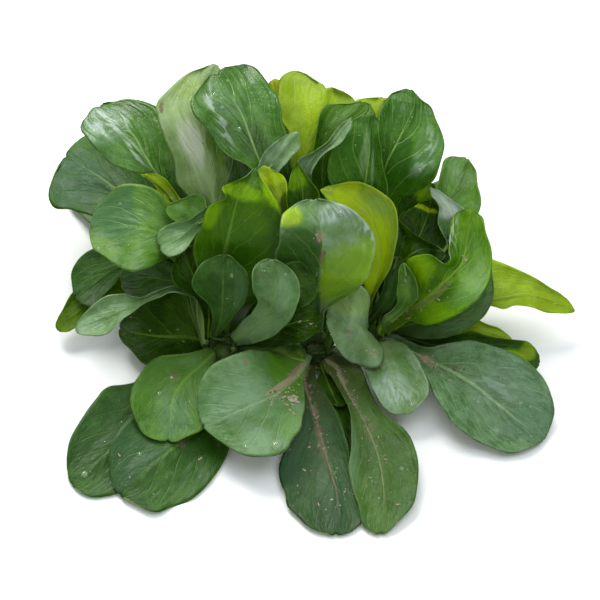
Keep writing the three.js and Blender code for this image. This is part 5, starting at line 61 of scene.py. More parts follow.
("right_shoot_leaf_03", "A9", "yellow", -1, 1.0, 52, [1572,-1058,327,1603,-1063,325,1633,-1069,323,1664,-1075,321,1694,-1082,320,1724,-1089,319,1754,-1097,318,1784,-1105,318,1814,-1114,318,1658,-690,603,1687,-707,582,1716,-729,566,1745,-755,555,1774,-788,549,1808,-769,548,1842,-757,553,1875,-750,564,1908,-749,579,1719,-459,900,1753,-465,867,1786,-484,846,1818,-515,837,1850,-558,839,1884,-532,830,1917,-518,833,1950,-517,847,1982,-528,873,1778,-239,1209,1820,-224,1160,1860,-229,1128,1899,-253,1114,1937,-296,1118,1971,-266,1105,2005,-255,1109,2037,-264,1131,2068,-292,1172,1830,-30,1555,1880,3,1488,1929,9,1445,1977,-11,1427,2022,-57,1433,2060,-24,1414,2096,-17,1420,2130,-36,1451,2162,-82,1505,1850,166,1927,1916,216,1843,1980,232,1789,2042,215,1766,2101,163,1773,2148,199,1750,2193,202,1757,2236,170,1795,2276,105,1863,1840,339,2315,1926,412,2213,2009,442,2147,2090,431,2119,2169,377,2128,2236,417,2099,2301,415,2106,2362,372,2151,2421,286,2233,1817,506,2714,1921,602,2593,2023,648,2515,2122,643,2481,2219,589,2491,2304,638,2454,2387,636,2461,2466,585,2512,2541,484,2606,1786,652,3130,1904,766,2996,2019,826,2908,2132,835,2865,2242,791,2866,2335,846,2829,2425,849,2836,2511,800,2888,2593,699,2986,1746,805,3559,1871,928,3415,1995,996,3317,2116,1011,3263,2233,973,3255,2331,1034,3218,2425,1041,3226,2515,994,3278,2601,895,3376,1704,956,3997,1832,1080,3845,1959,1150,3738,2083,1166,3677,2204,1127,3660,2305,1190,3623,2403,1199,3631,2497,1154,3684,2587,1055,3782,1668,1122,4426,1797,1241,4269,1923,1303,4157,2047,1310,4090,2168,1263,4068,2273,1327,4031,2376,1336,4039,2474,1290,4092,2569,1189,4190,1647,1287,4829,1773,1399,4671,1897,1454,4557,2018,1452,4488,2136,1395,4464,2247,1457,4428,2355,1464,4436,2458,1415,4490,2558,1310,4588,1639,1435,5223,1764,1540,5065,1886,1587,4951,2005,1577,4883,2121,1510,4859,2236,1568,4824,2347,1570,4833,2454,1515,4887,2557,1403,4986,1641,1593,5585,1766,1690,5429,1889,1729,5318,2009,1709,5252,2126,1631,5231,2240,1687,5195,2350,1684,5205,2457,1625,5259,2559,1507,5359,1651,1803,5890,1778,1888,5739,1902,1914,5632,2023,1880,5570,2141,1789,5553,2254,1844,5518,2364,1841,5527,2469,1779,5581,2570,1659,5681,1667,2064,6143,1796,2133,5998,1923,2141,5897,2047,2089,5841,2168,1979,5831,2280,2033,5794,2389,2028,5802,2494,1964,5855,2594,1841,5953,1690,2361,6355,1824,2408,6218,1954,2394,6125,2082,2319,6077,2206,2185,6074,2318,2239,6034,2426,2233,6040,2530,2167,6091,2629,2040,6186,1723,2696,6529,1862,2714,6404,1999,2671,6324,2131,2567,6288,2260,2402,6298,2370,2456,6253,2475,2449,6253,2577,2382,6297,2673,2254,6387,1750,3079,6661,1903,3047,6571,2052,2960,6515,2197,2821,6493,2337,2628,6505,2440,2672,6467,2540,2662,6462,2634,2598,6492,2724,2482,6556,1740,3519,6740,1927,3443,6691,2106,3307,6667,2277,3113,6666,2438,2860,6689,2537,2919,6653,2628,2918,6641,2711,2859,6653,2785,2741,6689,2043,3569,6837,2188,3544,6822,2321,3455,6820,2440,3303,6833,2546,3088,6859,2650,3155,6829,2741,3160,6812,2818,3101,6809,2882,2979,6820,2434,3412,6958,2501,3446,6969,2559,3440,6983,2608,3393,7003,2648,3306,7027,2709,3354,7003,2761,3361,6983,2804,3327,6967,2837,3254,6956]),
("middle_shoot_leaf_02", "A6", "yellow", -1, 1.0, 59, [-211,-1476,292,-180,-1474,291,-150,-1472,291,-119,-1470,291,-88,-1468,292,-58,-1467,292,-27,-1465,293,4,-1464,293,35,-1462,294,-237,-981,507,-203,-995,493,-169,-1016,484,-135,-1042,482,-102,-1074,485,-71,-1039,482,-41,-1009,484,-11,-986,493,19,-968,507,-262,-601,718,-225,-597,689,-187,-605,672,-150,-626,667,-112,-659,674,-81,-623,667,-51,-599,673,-20,-588,690,10,-589,720,-295,-258,985,-252,-235,940,-208,-231,914,-165,-246,906,-121,-280,916,-89,-242,907,-57,-223,915,-25,-223,942,7,-243,987,-337,1,1340,-286,45,1280,-235,62,1245,-183,53,1234,-132,18,1247,-96,59,1235,-60,73,1247,-24,61,1283,11,23,1343,-395,194,1758,-333,261,1683,-272,294,1639,-210,293,1625,-148,258,1643,-100,302,1626,-52,313,1640,-5,290,1685,43,233,1760,-465,354,2201,-393,446,2112,-320,496,2060,-246,505,2044,-173,471,2067,-104,523,2045,-35,534,2060,34,502,2112,103,429,2202,-545,479,2672,-463,597,2569,-380,665,2509,-297,683,2493,-213,651,2520,-130,717,2491,-47,733,2506,36,699,2565,118,614,2667,-637,570,3161,-549,706,3052,-459,790,2988,-369,821,2969,-278,799,2995,-193,872,2965,-108,892,2981,-23,859,3041,61,774,3147,-741,687,3628,-649,834,3516,-556,928,3448,-462,969,3426,-367,956,3449,-283,1032,3420,-199,1054,3436,-114,1022,3496,-30,937,3602,-848,843,4067,-755,995,3953,-660,1092,3884,-565,1136,3860,-469,1125,3881,-384,1203,3851,-298,1226,3867,-213,1194,3927,-127,1108,4032,-949,1026,4483,-854,1179,4368,-758,1276,4299,-661,1318,4274,-563,1304,4294,-477,1382,4263,-390,1404,4278,-302,1371,4337,-215,1282,4441,-1033,1235,4869,-936,1385,4755,-838,1480,4687,-738,1518,4663,-637,1500,4684,-549,1578,4652,-460,1600,4665,-370,1565,4723,-280,1474,4825,-1102,1450,5230,-1002,1600,5118,-900,1692,5051,-797,1728,5029,-693,1706,5052,-603,1787,5018,-512,1810,5029,-421,1776,5085,-329,1684,5186,-1160,1680,5559,-1057,1828,5450,-953,1919,5386,-846,1951,5367,-739,1925,5393,-648,2009,5357,-556,2035,5366,-463,2003,5420,-371,1912,5518,-1210,1929,5853,-1105,2076,5748,-998,2163,5687,-890,2192,5672,-780,2161,5702,-689,2249,5663,-596,2279,5669,-504,2249,5720,-411,2159,5816,-1251,2187,6120,-1146,2331,6019,-1038,2415,5962,-929,2440,5951,-819,2403,5984,-729,2498,5942,-638,2533,5945,-546,2507,5993,-454,2421,6086,-1284,2457,6356,-1181,2599,6258,-1075,2680,6206,-967,2699,6199,-859,2658,6237,-773,2759,6191,-685,2799,6190,-597,2778,6234,-509,2696,6323,-1317,2755,6552,-1216,2895,6461,-1112,2972,6415,-1007,2988,6414,-900,2942,6459,-820,3047,6407,-738,3090,6400,-655,3072,6438,-572,2991,6521,-1348,3095,6700,-1249,3217,6634,-1149,3288,6603,-1047,3306,6606,-943,3272,6643,-869,3364,6599,-794,3403,6589,-717,3389,6613,-640,3324,6672,-1361,3478,6801,-1271,3592,6763,-1178,3657,6749,-1083,3673,6758,-985,3639,6792,-919,3725,6754,-850,3762,6740,-780,3750,6749,-708,3688,6782,-1328,3859,6897,-1257,3971,6883,-1183,4035,6883,-1107,4048,6896,-1027,4013,6924,-963,4095,6894,-897,4129,6878,-828,4112,6875,-756,4046,6887,-1177,4187,7001,-1153,4286,7008,-1127,4349,7019,-1098,4377,7036,-1067,4370,7057,-1022,4428,7035,-975,4450,7018,-925,4437,7005,-872,4388,6997]),
("right_shoot_leaf_04", "H22", "yellow", -1, 1.0, 66, [2768,-1604,245,2752,-1632,244,2736,-1660,242,2720,-1688,240,2704,-1717,239,2688,-1745,238,2672,-1773,236,2656,-1802,235,2640,-1830,233,2873,-1408,334,2865,-1427,313,2856,-1452,298,2847,-1483,289,2837,-1519,286,2853,-1521,277,2868,-1530,274,2882,-1544,276,2896,-1564,284,2969,-1209,426,2970,-1215,386,2970,-1234,357,2969,-1265,340,2967,-1307,335,2995,-1316,318,3022,-1337,313,3048,-1370,319,3073,-1416,338,3103,-964,519,3110,-972,458,3114,-998,415,3118,-1044,390,3119,-1107,382,3155,-1142,357,3189,-1195,350,3221,-1266,361,3252,-1355,390,3352,-728,606,3347,-752,524,3340,-801,466,3330,-875,433,3318,-974,423,3342,-1042,390,3363,-1134,381,3382,-1250,396,3399,-1391,436,3638,-679,686,3620,-701,584,3600,-756,513,3576,-842,472,3549,-960,462,3552,-1040,420,3552,-1152,408,3548,-1294,427,3541,-1468,477,3888,-718,769,3868,-736,648,3843,-794,565,3815,-890,518,3782,-1024,509,3773,-1109,457,3760,-1233,441,3743,-1394,463,3722,-1592,523,4099,-788,861,4085,-804,723,4066,-865,629,4042,-973,578,4012,-1124,571,4002,-1218,507,3987,-1357,488,3967,-1539,511,3941,-1764,579,4290,-855,955,4287,-875,809,4278,-942,707,4263,-1056,651,4243,-1216,640,4240,-1327,571,4231,-1483,548,4216,-1684,570,4196,-1929,636,4499,-896,1036,4502,-920,886,4499,-991,780,4490,-1110,719,4475,-1274,703,4477,-1397,631,4472,-1565,604,4462,-1779,622,4446,-2036,685,4725,-925,1104,4730,-953,951,4728,-1029,843,4720,-1151,779,4706,-1319,761,4708,-1452,685,4703,-1629,655,4693,-1852,669,4676,-2118,728,4956,-963,1157,4960,-991,1004,4958,-1067,896,4949,-1190,832,4933,-1359,814,4934,-1499,735,4928,-1684,701,4915,-1913,712,4897,-2187,768,5187,-1023,1191,5190,-1046,1041,5185,-1117,936,5174,-1235,876,5155,-1398,861,5154,-1542,779,5145,-1731,741,5130,-1964,749,5108,-2241,801,5402,-1113,1211,5405,-1125,1067,5401,-1184,968,5390,-1290,914,5371,-1441,905,5369,-1585,819,5359,-1775,778,5343,-2008,781,5319,-2285,830,5610,-1210,1215,5614,-1206,1079,5611,-1248,987,5600,-1338,941,5581,-1474,939,5577,-1617,849,5566,-1806,805,5548,-2039,805,5522,-2316,850,5818,-1291,1199,5821,-1272,1071,5817,-1301,987,5805,-1375,949,5785,-1496,956,5776,-1637,864,5760,-1823,817,5736,-2054,814,5704,-2328,857,6020,-1349,1165,6022,-1321,1045,6017,-1341,971,6003,-1407,941,5981,-1520,956,5964,-1653,863,5940,-1833,814,5908,-2056,811,5868,-2323,852,6214,-1403,1124,6214,-1371,1012,6206,-1387,945,6189,-1449,923,6165,-1557,946,6142,-1677,853,6111,-1844,805,6072,-2054,802,6026,-2309,844,6397,-1444,1077,6396,-1417,973,6385,-1435,914,6367,-1501,901,6340,-1612,932,6314,-1714,842,6280,-1861,797,6238,-2054,797,6188,-2290,842,6563,-1486,1021,6563,-1483,943,6553,-1514,899,6535,-1580,889,6508,-1679,914,6484,-1775,846,6451,-1904,812,6409,-2067,812,6359,-2262,846,6702,-1550,946,6711,-1568,896,6709,-1606,871,6695,-1665,869,6670,-1744,890,6652,-1833,847,6623,-1942,828,6583,-2071,832,6532,-2220,860,6814,-1653,890,6835,-1678,863,6845,-1711,850,6842,-1754,851,6827,-1805,866,6815,-1871,843,6791,-1947,835,6755,-2030,841,6707,-2123,860,6919,-1780,854,6944,-1798,844,6962,-1817,839,6974,-1838,839,6979,-1861,843,6965,-1883,838,6943,-1906,837,6916,-1931,842,6881,-1958,850]),
# F4 lies under F1 and F2 in the darkest look: mostly a dark leaf filling a gap that holds only shade (painted shade),
# with a small real tip showing
("middle_shoot_leaf_03", "F4", "shade", 1, 1.0, 73, [498,-2494,239,528,-2480,239,559,-2468,239,589,-2455,242,620,-2442,245,651,-2429,250,681,-2416,254,712,-2404,260,743,-2391,265,517,-2665,191,550,-2633,178,583,-2608,172,616,-2588,173,649,-2574,182,687,-2567,181,725,-2566,187,762,-2571,198,800,-2581,216,535,-2809,152,571,-2767,129,607,-2737,118,643,-2718,120,679,-2711,135,721,-2697,127,762,-2694,132,803,-2703,148,844,-2724,176,553,-2980,125,593,-2927,92,632,-2891,80,670,-2872,81,709,-2871,104,755,-2848,88,800,-2843,91,845,-2855,112,890,-2884,151,570,-3195,129,613,-3130,86,656,-3087,75,698,-3067,75,740,-3071,102,791,-3039,80,841,-3030,83,891,-3044,110,940,-3082,162,584,-3441,157,633,-3361,102,681,-3310,78,729,-3288,85,776,-3296,122,833,-3253,94,889,-3238,97,944,-3253,131,998,-3298,196,593,-3686,178,650,-3590,112,707,-3530,83,763,-3504,91,818,-3514,136,882,-3459,102,945,-3439,105,1007,-3454,145,1067,-3505,222,602,-3910,179,670,-3798,101,736,-3728,67,802,-3699,77,866,-3711,131,939,-3645,89,1010,-3619,92,1079,-3635,138,1147,-3692,228,617,-4119,173,694,-4002,93,769,-3927,62,844,-3894,66,917,-3903,121,999,-3834,80,1078,-3808,85,1157,-3824,135,1233,-3882,229,642,-4328,176,725,-4209,94,807,-4131,62,888,-4094,66,968,-4100,119,1058,-4034,81,1146,-4009,88,1233,-4026,140,1318,-4086,237,675,-4542,187,761,-4421,105,847,-4341,68,932,-4303,76,1016,-4306,129,1114,-4240,93,1211,-4216,101,1306,-4234,155,1400,-4294,254,713,-4753,201,802,-4631,119,890,-4549,81,977,-4509,89,1063,-4510,142,1170,-4444,106,1275,-4420,116,1379,-4436,170,1480,-4495,270,753,-4949,210,844,-4827,128,934,-4746,91,1022,-4706,99,1110,-4707,152,1223,-4641,117,1335,-4615,126,1446,-4631,180,1553,-4689,280,796,-5132,216,887,-5012,135,977,-4933,99,1066,-4895,108,1153,-4897,162,1271,-4832,125,1387,-4807,134,1501,-4824,187,1612,-4882,286,842,-5303,220,931,-5187,140,1020,-5111,104,1107,-5075,114,1192,-5081,169,1311,-5017,131,1427,-4994,138,1542,-5011,190,1654,-5070,287,889,-5460,219,975,-5348,140,1060,-5277,106,1144,-5245,117,1227,-5254,173,1345,-5192,133,1461,-5171,138,1576,-5190,188,1687,-5250,283,936,-5608,213,1018,-5500,136,1099,-5432,103,1179,-5405,115,1257,-5418,172,1373,-5358,130,1487,-5338,133,1600,-5358,181,1709,-5419,273,985,-5746,206,1062,-5643,129,1137,-5579,98,1212,-5555,112,1284,-5572,170,1396,-5513,125,1505,-5493,125,1613,-5515,170,1718,-5576,260,1037,-5874,197,1107,-5776,122,1176,-5718,92,1244,-5700,107,1309,-5721,167,1412,-5662,119,1513,-5642,115,1611,-5662,156,1707,-5723,243,1093,-5990,186,1156,-5919,129,1217,-5875,107,1276,-5858,118,1334,-5869,164,1421,-5825,127,1506,-5808,124,1589,-5819,155,1670,-5858,220,1160,-6091,171,1212,-6052,133,1263,-6025,118,1312,-6011,127,1358,-6010,160,1423,-5981,131,1486,-5965,126,1546,-5962,145,1604,-5971,188,1246,-6172,160,1283,-6164,138,1318,-6156,130,1351,-6150,136,1381,-6146,156,1420,-6128,137,1458,-6112,133,1493,-6098,143,1525,-6084,166,1347,-6236,154,1363,-6250,146,1378,-6261,144,1391,-6270,145,1404,-6276,152,1416,-6261,146,1427,-6245,144,1437,-6225,147,1445,-6203,154]),
("middle_shoot_leaf_04", "F3", "shade", 1, 1.0, 80, [399,-2572,353,432,-2564,358,465,-2556,363,497,-2548,367,530,-2539,370,563,-2531,372,595,-2522,372,627,-2513,371,660,-2504,369,435,-2730,369,465,-2702,366,496,-2679,367,527,-2662,373,557,-2651,383,595,-2635,380,633,-2625,380,670,-2620,384,707,-2621,391,459,-2848,384,491,-2809,369,522,-2783,366,554,-2767,372,584,-2763,388,627,-2739,380,669,-2726,380,710,-2724,389,752,-2734,409,476,-2959,393,511,-2910,365,545,-2878,356,579,-2863,363,612,-2866,386,659,-2833,371,706,-2818,372,752,-2820,390,797,-2839,425,476,-3056,378,518,-2993,339,559,-2954,324,600,-2938,333,640,-2945,365,692,-2904,344,744,-2887,346,795,-2893,372,844,-2922,423,451,-3151,347,506,-3072,297,561,-3022,278,615,-3001,290,669,-3010,331,726,-2962,303,783,-2942,306,838,-2952,339,892,-2993,405,415,-3262,329,486,-3165,268,557,-3104,245,627,-3079,258,697,-3089,309,760,-3033,274,822,-3012,277,883,-3028,318,942,-3079,396,386,-3394,336,471,-3281,265,556,-3210,237,640,-3181,252,723,-3193,312,793,-3130,270,861,-3109,273,928,-3130,320,993,-3193,410,376,-3533,356,470,-3412,280,564,-3334,250,657,-3299,265,749,-3308,324,825,-3246,284,900,-3227,288,973,-3251,337,1045,-3319,431,389,-3659,370,486,-3534,293,584,-3452,260,680,-3412,273,775,-3416,331,858,-3357,292,939,-3342,298,1019,-3369,349,1097,-3440,445,413,-3776,375,511,-3647,296,609,-3561,263,706,-3517,274,802,-3516,331,890,-3460,293,977,-3447,300,1062,-3478,352,1146,-3551,449,446,-3884,375,542,-3752,296,639,-3663,262,734,-3616,273,828,-3612,328,921,-3558,291,1013,-3546,299,1103,-3578,351,1191,-3652,449,484,-3982,373,578,-3849,294,671,-3759,260,764,-3711,271,855,-3705,326,952,-3651,289,1047,-3639,297,1141,-3670,349,1232,-3744,447,526,-4068,367,616,-3937,289,706,-3847,255,794,-3800,267,881,-3795,324,982,-3740,286,1081,-3727,293,1179,-3757,345,1275,-3830,442,572,-4146,361,657,-4017,283,742,-3930,251,825,-3885,264,907,-3883,322,1012,-3827,283,1115,-3813,289,1216,-3841,341,1315,-3913,437,622,-4219,358,701,-4094,282,779,-4011,251,856,-3970,265,932,-3971,325,1040,-3914,284,1146,-3899,289,1250,-3926,339,1353,-3996,434,673,-4291,362,745,-4170,287,817,-4092,258,887,-4056,273,956,-4062,334,1065,-4003,292,1173,-3987,294,1280,-4014,342,1384,-4082,435,727,-4356,368,792,-4242,294,855,-4169,266,917,-4138,282,978,-4149,344,1088,-4091,299,1196,-4074,299,1302,-4100,345,1406,-4168,435,783,-4411,368,839,-4303,296,894,-4236,269,948,-4212,286,1000,-4230,349,1106,-4171,301,1211,-4155,297,1313,-4181,339,1414,-4249,426,842,-4447,360,890,-4367,305,936,-4316,284,980,-4294,298,1023,-4301,345,1121,-4261,308,1217,-4251,306,1312,-4270,337,1404,-4318,403,908,-4464,345,946,-4418,307,982,-4387,293,1015,-4369,303,1044,-4365,336,1131,-4350,308,1215,-4349,303,1295,-4362,323,1372,-4390,366,977,-4470,331,1005,-4456,308,1029,-4444,300,1049,-4434,305,1065,-4425,325,1124,-4437,307,1180,-4450,304,1231,-4466,314,1279,-4483,338,1047,-4476,319,1059,-4481,311,1070,-4484,308,1079,-4485,309,1085,-4483,315,1104,-4486,310,1121,-4487,309,1135,-4486,312,1148,-4483,320]),
("left_shoot_leaf_05", "A1", "deep2", -1, 1.0, 87, [-2842,-1443,383,-2814,-1429,390,-2786,-1416,397,-2758,-1402,402,-2729,-1388,406,-2701,-1373,407,-2673,-1359,407,-2645,-1344,405,-2616,-1329,401,-3040,-880,427,-3000,-885,418,-2959,-896,416,-2918,-913,420,-2876,-936,432,-2857,-890,428,-2838,-851,430,-2818,-819,440,-2798,-792,457,-3205,-443,513,-3160,-428,488,-3115,-426,476,-3068,-437,476,-3021,-459,487,-3003,-417,488,-2984,-387,501,-2964,-369,526,-2944,-364,563,-3372,-61,670,-3322,-26,633,-3271,-9,613,-3218,-12,611,-3163,-33,627,-3149,7,629,-3132,27,648,-3115,29,685,-3096,12,741,-3550,197,951,-3491,255,900,-3431,288,873,-3368,294,870,-3303,275,892,-3283,318,893,-3262,336,919,-3238,327,969,-3212,292,1043,-3733,354,1311,-3667,440,1247,-3597,493,1213,-3524,513,1210,-3448,499,1238,-3393,567,1240,-3335,601,1272,-3273,602,1335,-3209,569,1429,-3930,515,1665,-3858,627,1589,-3781,699,1550,-3700,729,1548,-3615,718,1584,-3508,832,1586,-3398,905,1625,-3283,937,1701,-3166,926,1814,-4175,673,2001,-4094,811,1914,-4007,900,1871,-3915,939,1872,-3818,930,1916,-3693,1094,1919,-3563,1210,1966,-3428,1276,2056,-3290,1291,2190,-4499,777,2325,-4397,940,2236,-4289,1051,2192,-4175,1111,2194,-4056,1120,2240,-3933,1314,2253,-3805,1457,2311,-3672,1548,2414,-3535,1586,2562,-4887,875,2593,-4757,1067,2506,-4619,1207,2464,-4475,1295,2467,-4325,1331,2515,-4209,1553,2540,-4088,1722,2609,-3960,1839,2724,-3828,1902,2884,-5301,984,2804,-5143,1207,2720,-4976,1378,2682,-4802,1497,2688,-4622,1564,2739,-4508,1820,2775,-4387,2024,2855,-4260,2174,2980,-4127,2270,3150,-5702,1106,2958,-5524,1362,2881,-5336,1567,2849,-5139,1719,2861,-4936,1818,2919,-4823,2119,2961,-4703,2368,3049,-4577,2563,3181,-4444,2704,3359,-6094,1236,3045,-5902,1528,2978,-5699,1768,2957,-5488,1956,2980,-5268,2091,3048,-5157,2440,3096,-5039,2738,3188,-4913,2982,3326,-4780,3171,3508,-6507,1423,3058,-6299,1741,3007,-6081,2008,3001,-5854,2221,3041,-5618,2382,3125,-5508,2774,3177,-5390,3114,3274,-5264,3400,3415,-5130,3631,3602,-6932,1697,3031,-6708,2022,2997,-6472,2296,3009,-6227,2517,3066,-5972,2684,3168,-5863,3107,3221,-5746,3479,3320,-5620,3797,3464,-5486,4060,3652,-7358,1987,2997,-7115,2316,2978,-6861,2594,3005,-6596,2819,3076,-6321,2989,3193,-6213,3433,3246,-6095,3826,3343,-5968,4165,3486,-5832,4449,3674,-7757,2226,2966,-7500,2576,2957,-7231,2875,2994,-6950,3120,3075,-6659,3311,3201,-6555,3775,3249,-6441,4187,3342,-6317,4546,3480,-6183,4848,3663,-8118,2390,2947,-7853,2785,2941,-7576,3128,2980,-7286,3419,3063,-6984,3655,3192,-6893,4144,3231,-6790,4582,3315,-6678,4966,3444,-6556,5294,3618,-8459,2484,2948,-8192,2942,2935,-7911,3351,2968,-7617,3708,3045,-7311,4011,3168,-7236,4528,3192,-7151,4995,3260,-7055,5408,3374,-6949,5765,3532,-8790,2631,2964,-8537,3135,2953,-8262,3595,2976,-7965,4007,3034,-7647,4371,3126,-7603,4895,3143,-7541,5372,3194,-7460,5800,3280,-7360,6177,3400,-9009,3085,2998,-8820,3579,2979,-8587,4019,2984,-8308,4403,3013,-7986,4729,3066,-7999,5254,3066,-7971,5723,3089,-7900,6133,3137,-7786,6483,3208,-8995,3892,2995,-8915,4281,2976,-8776,4610,2970,-8577,4878,2979,-8319,5083,3001,-8376,5510,2996,-8374,5877,3005,-8314,6180,3027,-8194,6420,3064,-8763,4914,2964,-8784,5089,2952,-8771,5232,2944,-8724,5342,2941,-8645,5420,2942,-8658,5568,2942,-8639,5682,2947,-8586,5764,2957,-8500,5812,2971]),
("left_shoot_leaf_06", "L2", "olive", 1, 1.0, 94, [-3435,-1845,333,-3405,-1833,330,-3375,-1821,328,-3345,-1809,328,-3316,-1797,328,-3287,-1786,331,-3259,-1775,335,-3231,-1763,340,-3203,-1752,346,-3598,-1386,432,-3558,-1383,415,-3517,-1385,402,-3476,-1394,394,-3433,-1408,390,-3413,-1375,396,-3393,-1347,406,-3371,-1325,420,-3349,-1309,437,-3726,-1020,524,-3677,-999,496,-3626,-990,480,-3575,-993,476,-3522,-1008,484,-3505,-973,477,-3487,-950,481,-3467,-939,497,-3447,-941,525,-3867,-689,637,-3804,-645,594,-3738,-619,570,-3671,-613,564,-3602,-625,575,-3584,-586,563,-3564,-565,570,-3543,-564,594,-3520,-581,636,-3976,-456,837,-3907,-384,780,-3836,-338,747,-3762,-318,738,-3686,-323,753,-3676,-281,737,-3663,-265,744,-3648,-274,776,-3631,-310,833,-4029,-287,1089,-3976,-186,1016,-3920,-117,974,-3860,-80,963,-3796,-77,982,-3809,-42,960,-3818,-39,968,-3824,-70,1008,-3827,-133,1077,-4096,-38,1299,-4075,74,1210,-4050,146,1158,-4021,177,1144,-3987,168,1167,-4026,151,1138,-4060,94,1146,-4090,-3,1191,-4115,-141,1274,-4301,350,1435,-4308,414,1330,-4309,430,1268,-4304,398,1250,-4295,319,1276,-4323,266,1238,-4346,165,1244,-4363,18,1293,-4375,-176,1387,-4692,465,1530,-4690,507,1415,-4682,499,1345,-4668,441,1320,-4649,334,1340,-4662,275,1299,-4669,167,1304,-4670,10,1353,-4666,-194,1448,-5075,448,1592,-5067,488,1469,-5053,477,1391,-5032,417,1358,-5006,308,1369,-5014,252,1327,-5016,147,1330,-5011,-7,1377,-5001,-209,1470,-5463,469,1610,-5449,502,1480,-5427,486,1395,-5399,420,1355,-5363,304,1360,-5366,238,1315,-5362,122,1315,-5350,-42,1359,-5332,-253,1449,-5859,499,1591,-5834,519,1457,-5801,489,1367,-5761,409,1323,-5714,280,1323,-5708,201,1274,-5695,73,1270,-5675,-103,1312,-5648,-327,1398,-6237,510,1552,-6203,514,1415,-6160,468,1323,-6110,373,1276,-6052,229,1274,-6038,140,1220,-6016,2,1212,-5987,-185,1249,-5951,-418,1330,-6604,516,1493,-6560,504,1354,-6507,441,1260,-6445,329,1212,-6376,169,1208,-6353,71,1149,-6322,-75,1134,-6283,-269,1165,-6236,-509,1240,-6959,499,1419,-6904,471,1280,-6839,395,1186,-6766,269,1138,-6684,95,1134,-6649,-13,1068,-6606,-168,1047,-6554,-371,1071,-6495,-620,1140,-7291,436,1339,-7225,400,1202,-7149,314,1110,-7064,179,1063,-6971,-4,1060,-6926,-114,988,-6872,-271,962,-6810,-475,980,-6739,-726,1043,-7596,351,1250,-7520,306,1116,-7434,212,1028,-7339,70,984,-7235,-120,986,-7185,-224,909,-7125,-375,878,-7057,-573,892,-6980,-817,951,-7866,222,1153,-7784,177,1025,-7691,82,942,-7589,-60,904,-7477,-250,911,-7424,-344,833,-7361,-485,799,-7289,-673,811,-7209,-907,868,-8073,32,1047,-7995,-5,927,-7907,-89,853,-7809,-222,823,-7701,-401,839,-7647,-481,761,-7583,-608,729,-7511,-781,741,-7429,-1001,799,-8232,-174,929,-8167,-223,838,-8092,-305,781,-8006,-421,758,-7911,-569,770,-7859,-653,712,-7797,-770,689,-7726,-918,699,-7645,-1099,744,-8355,-365,790,-8312,-436,733,-8258,-521,699,-8190,-623,690,-8111,-739,704,-8066,-831,667,-8008,-938,655,-7939,-1060,666,-7857,-1197,700,-8454,-583,684,-8439,-665,652,-8408,-746,634,-8363,-825,630,-8302,-903,640,-8265,-1003,623,-8213,-1100,619,-8145,-1197,630,-8063,-1292,654,-8516,-862,607,-8525,-922,593,-8524,-975,584,-8512,-1020,579,-8489,-1057,579,-8465,-1106,578,-8430,-1147,582,-8384,-1180,591,-8328,-1206,604]),
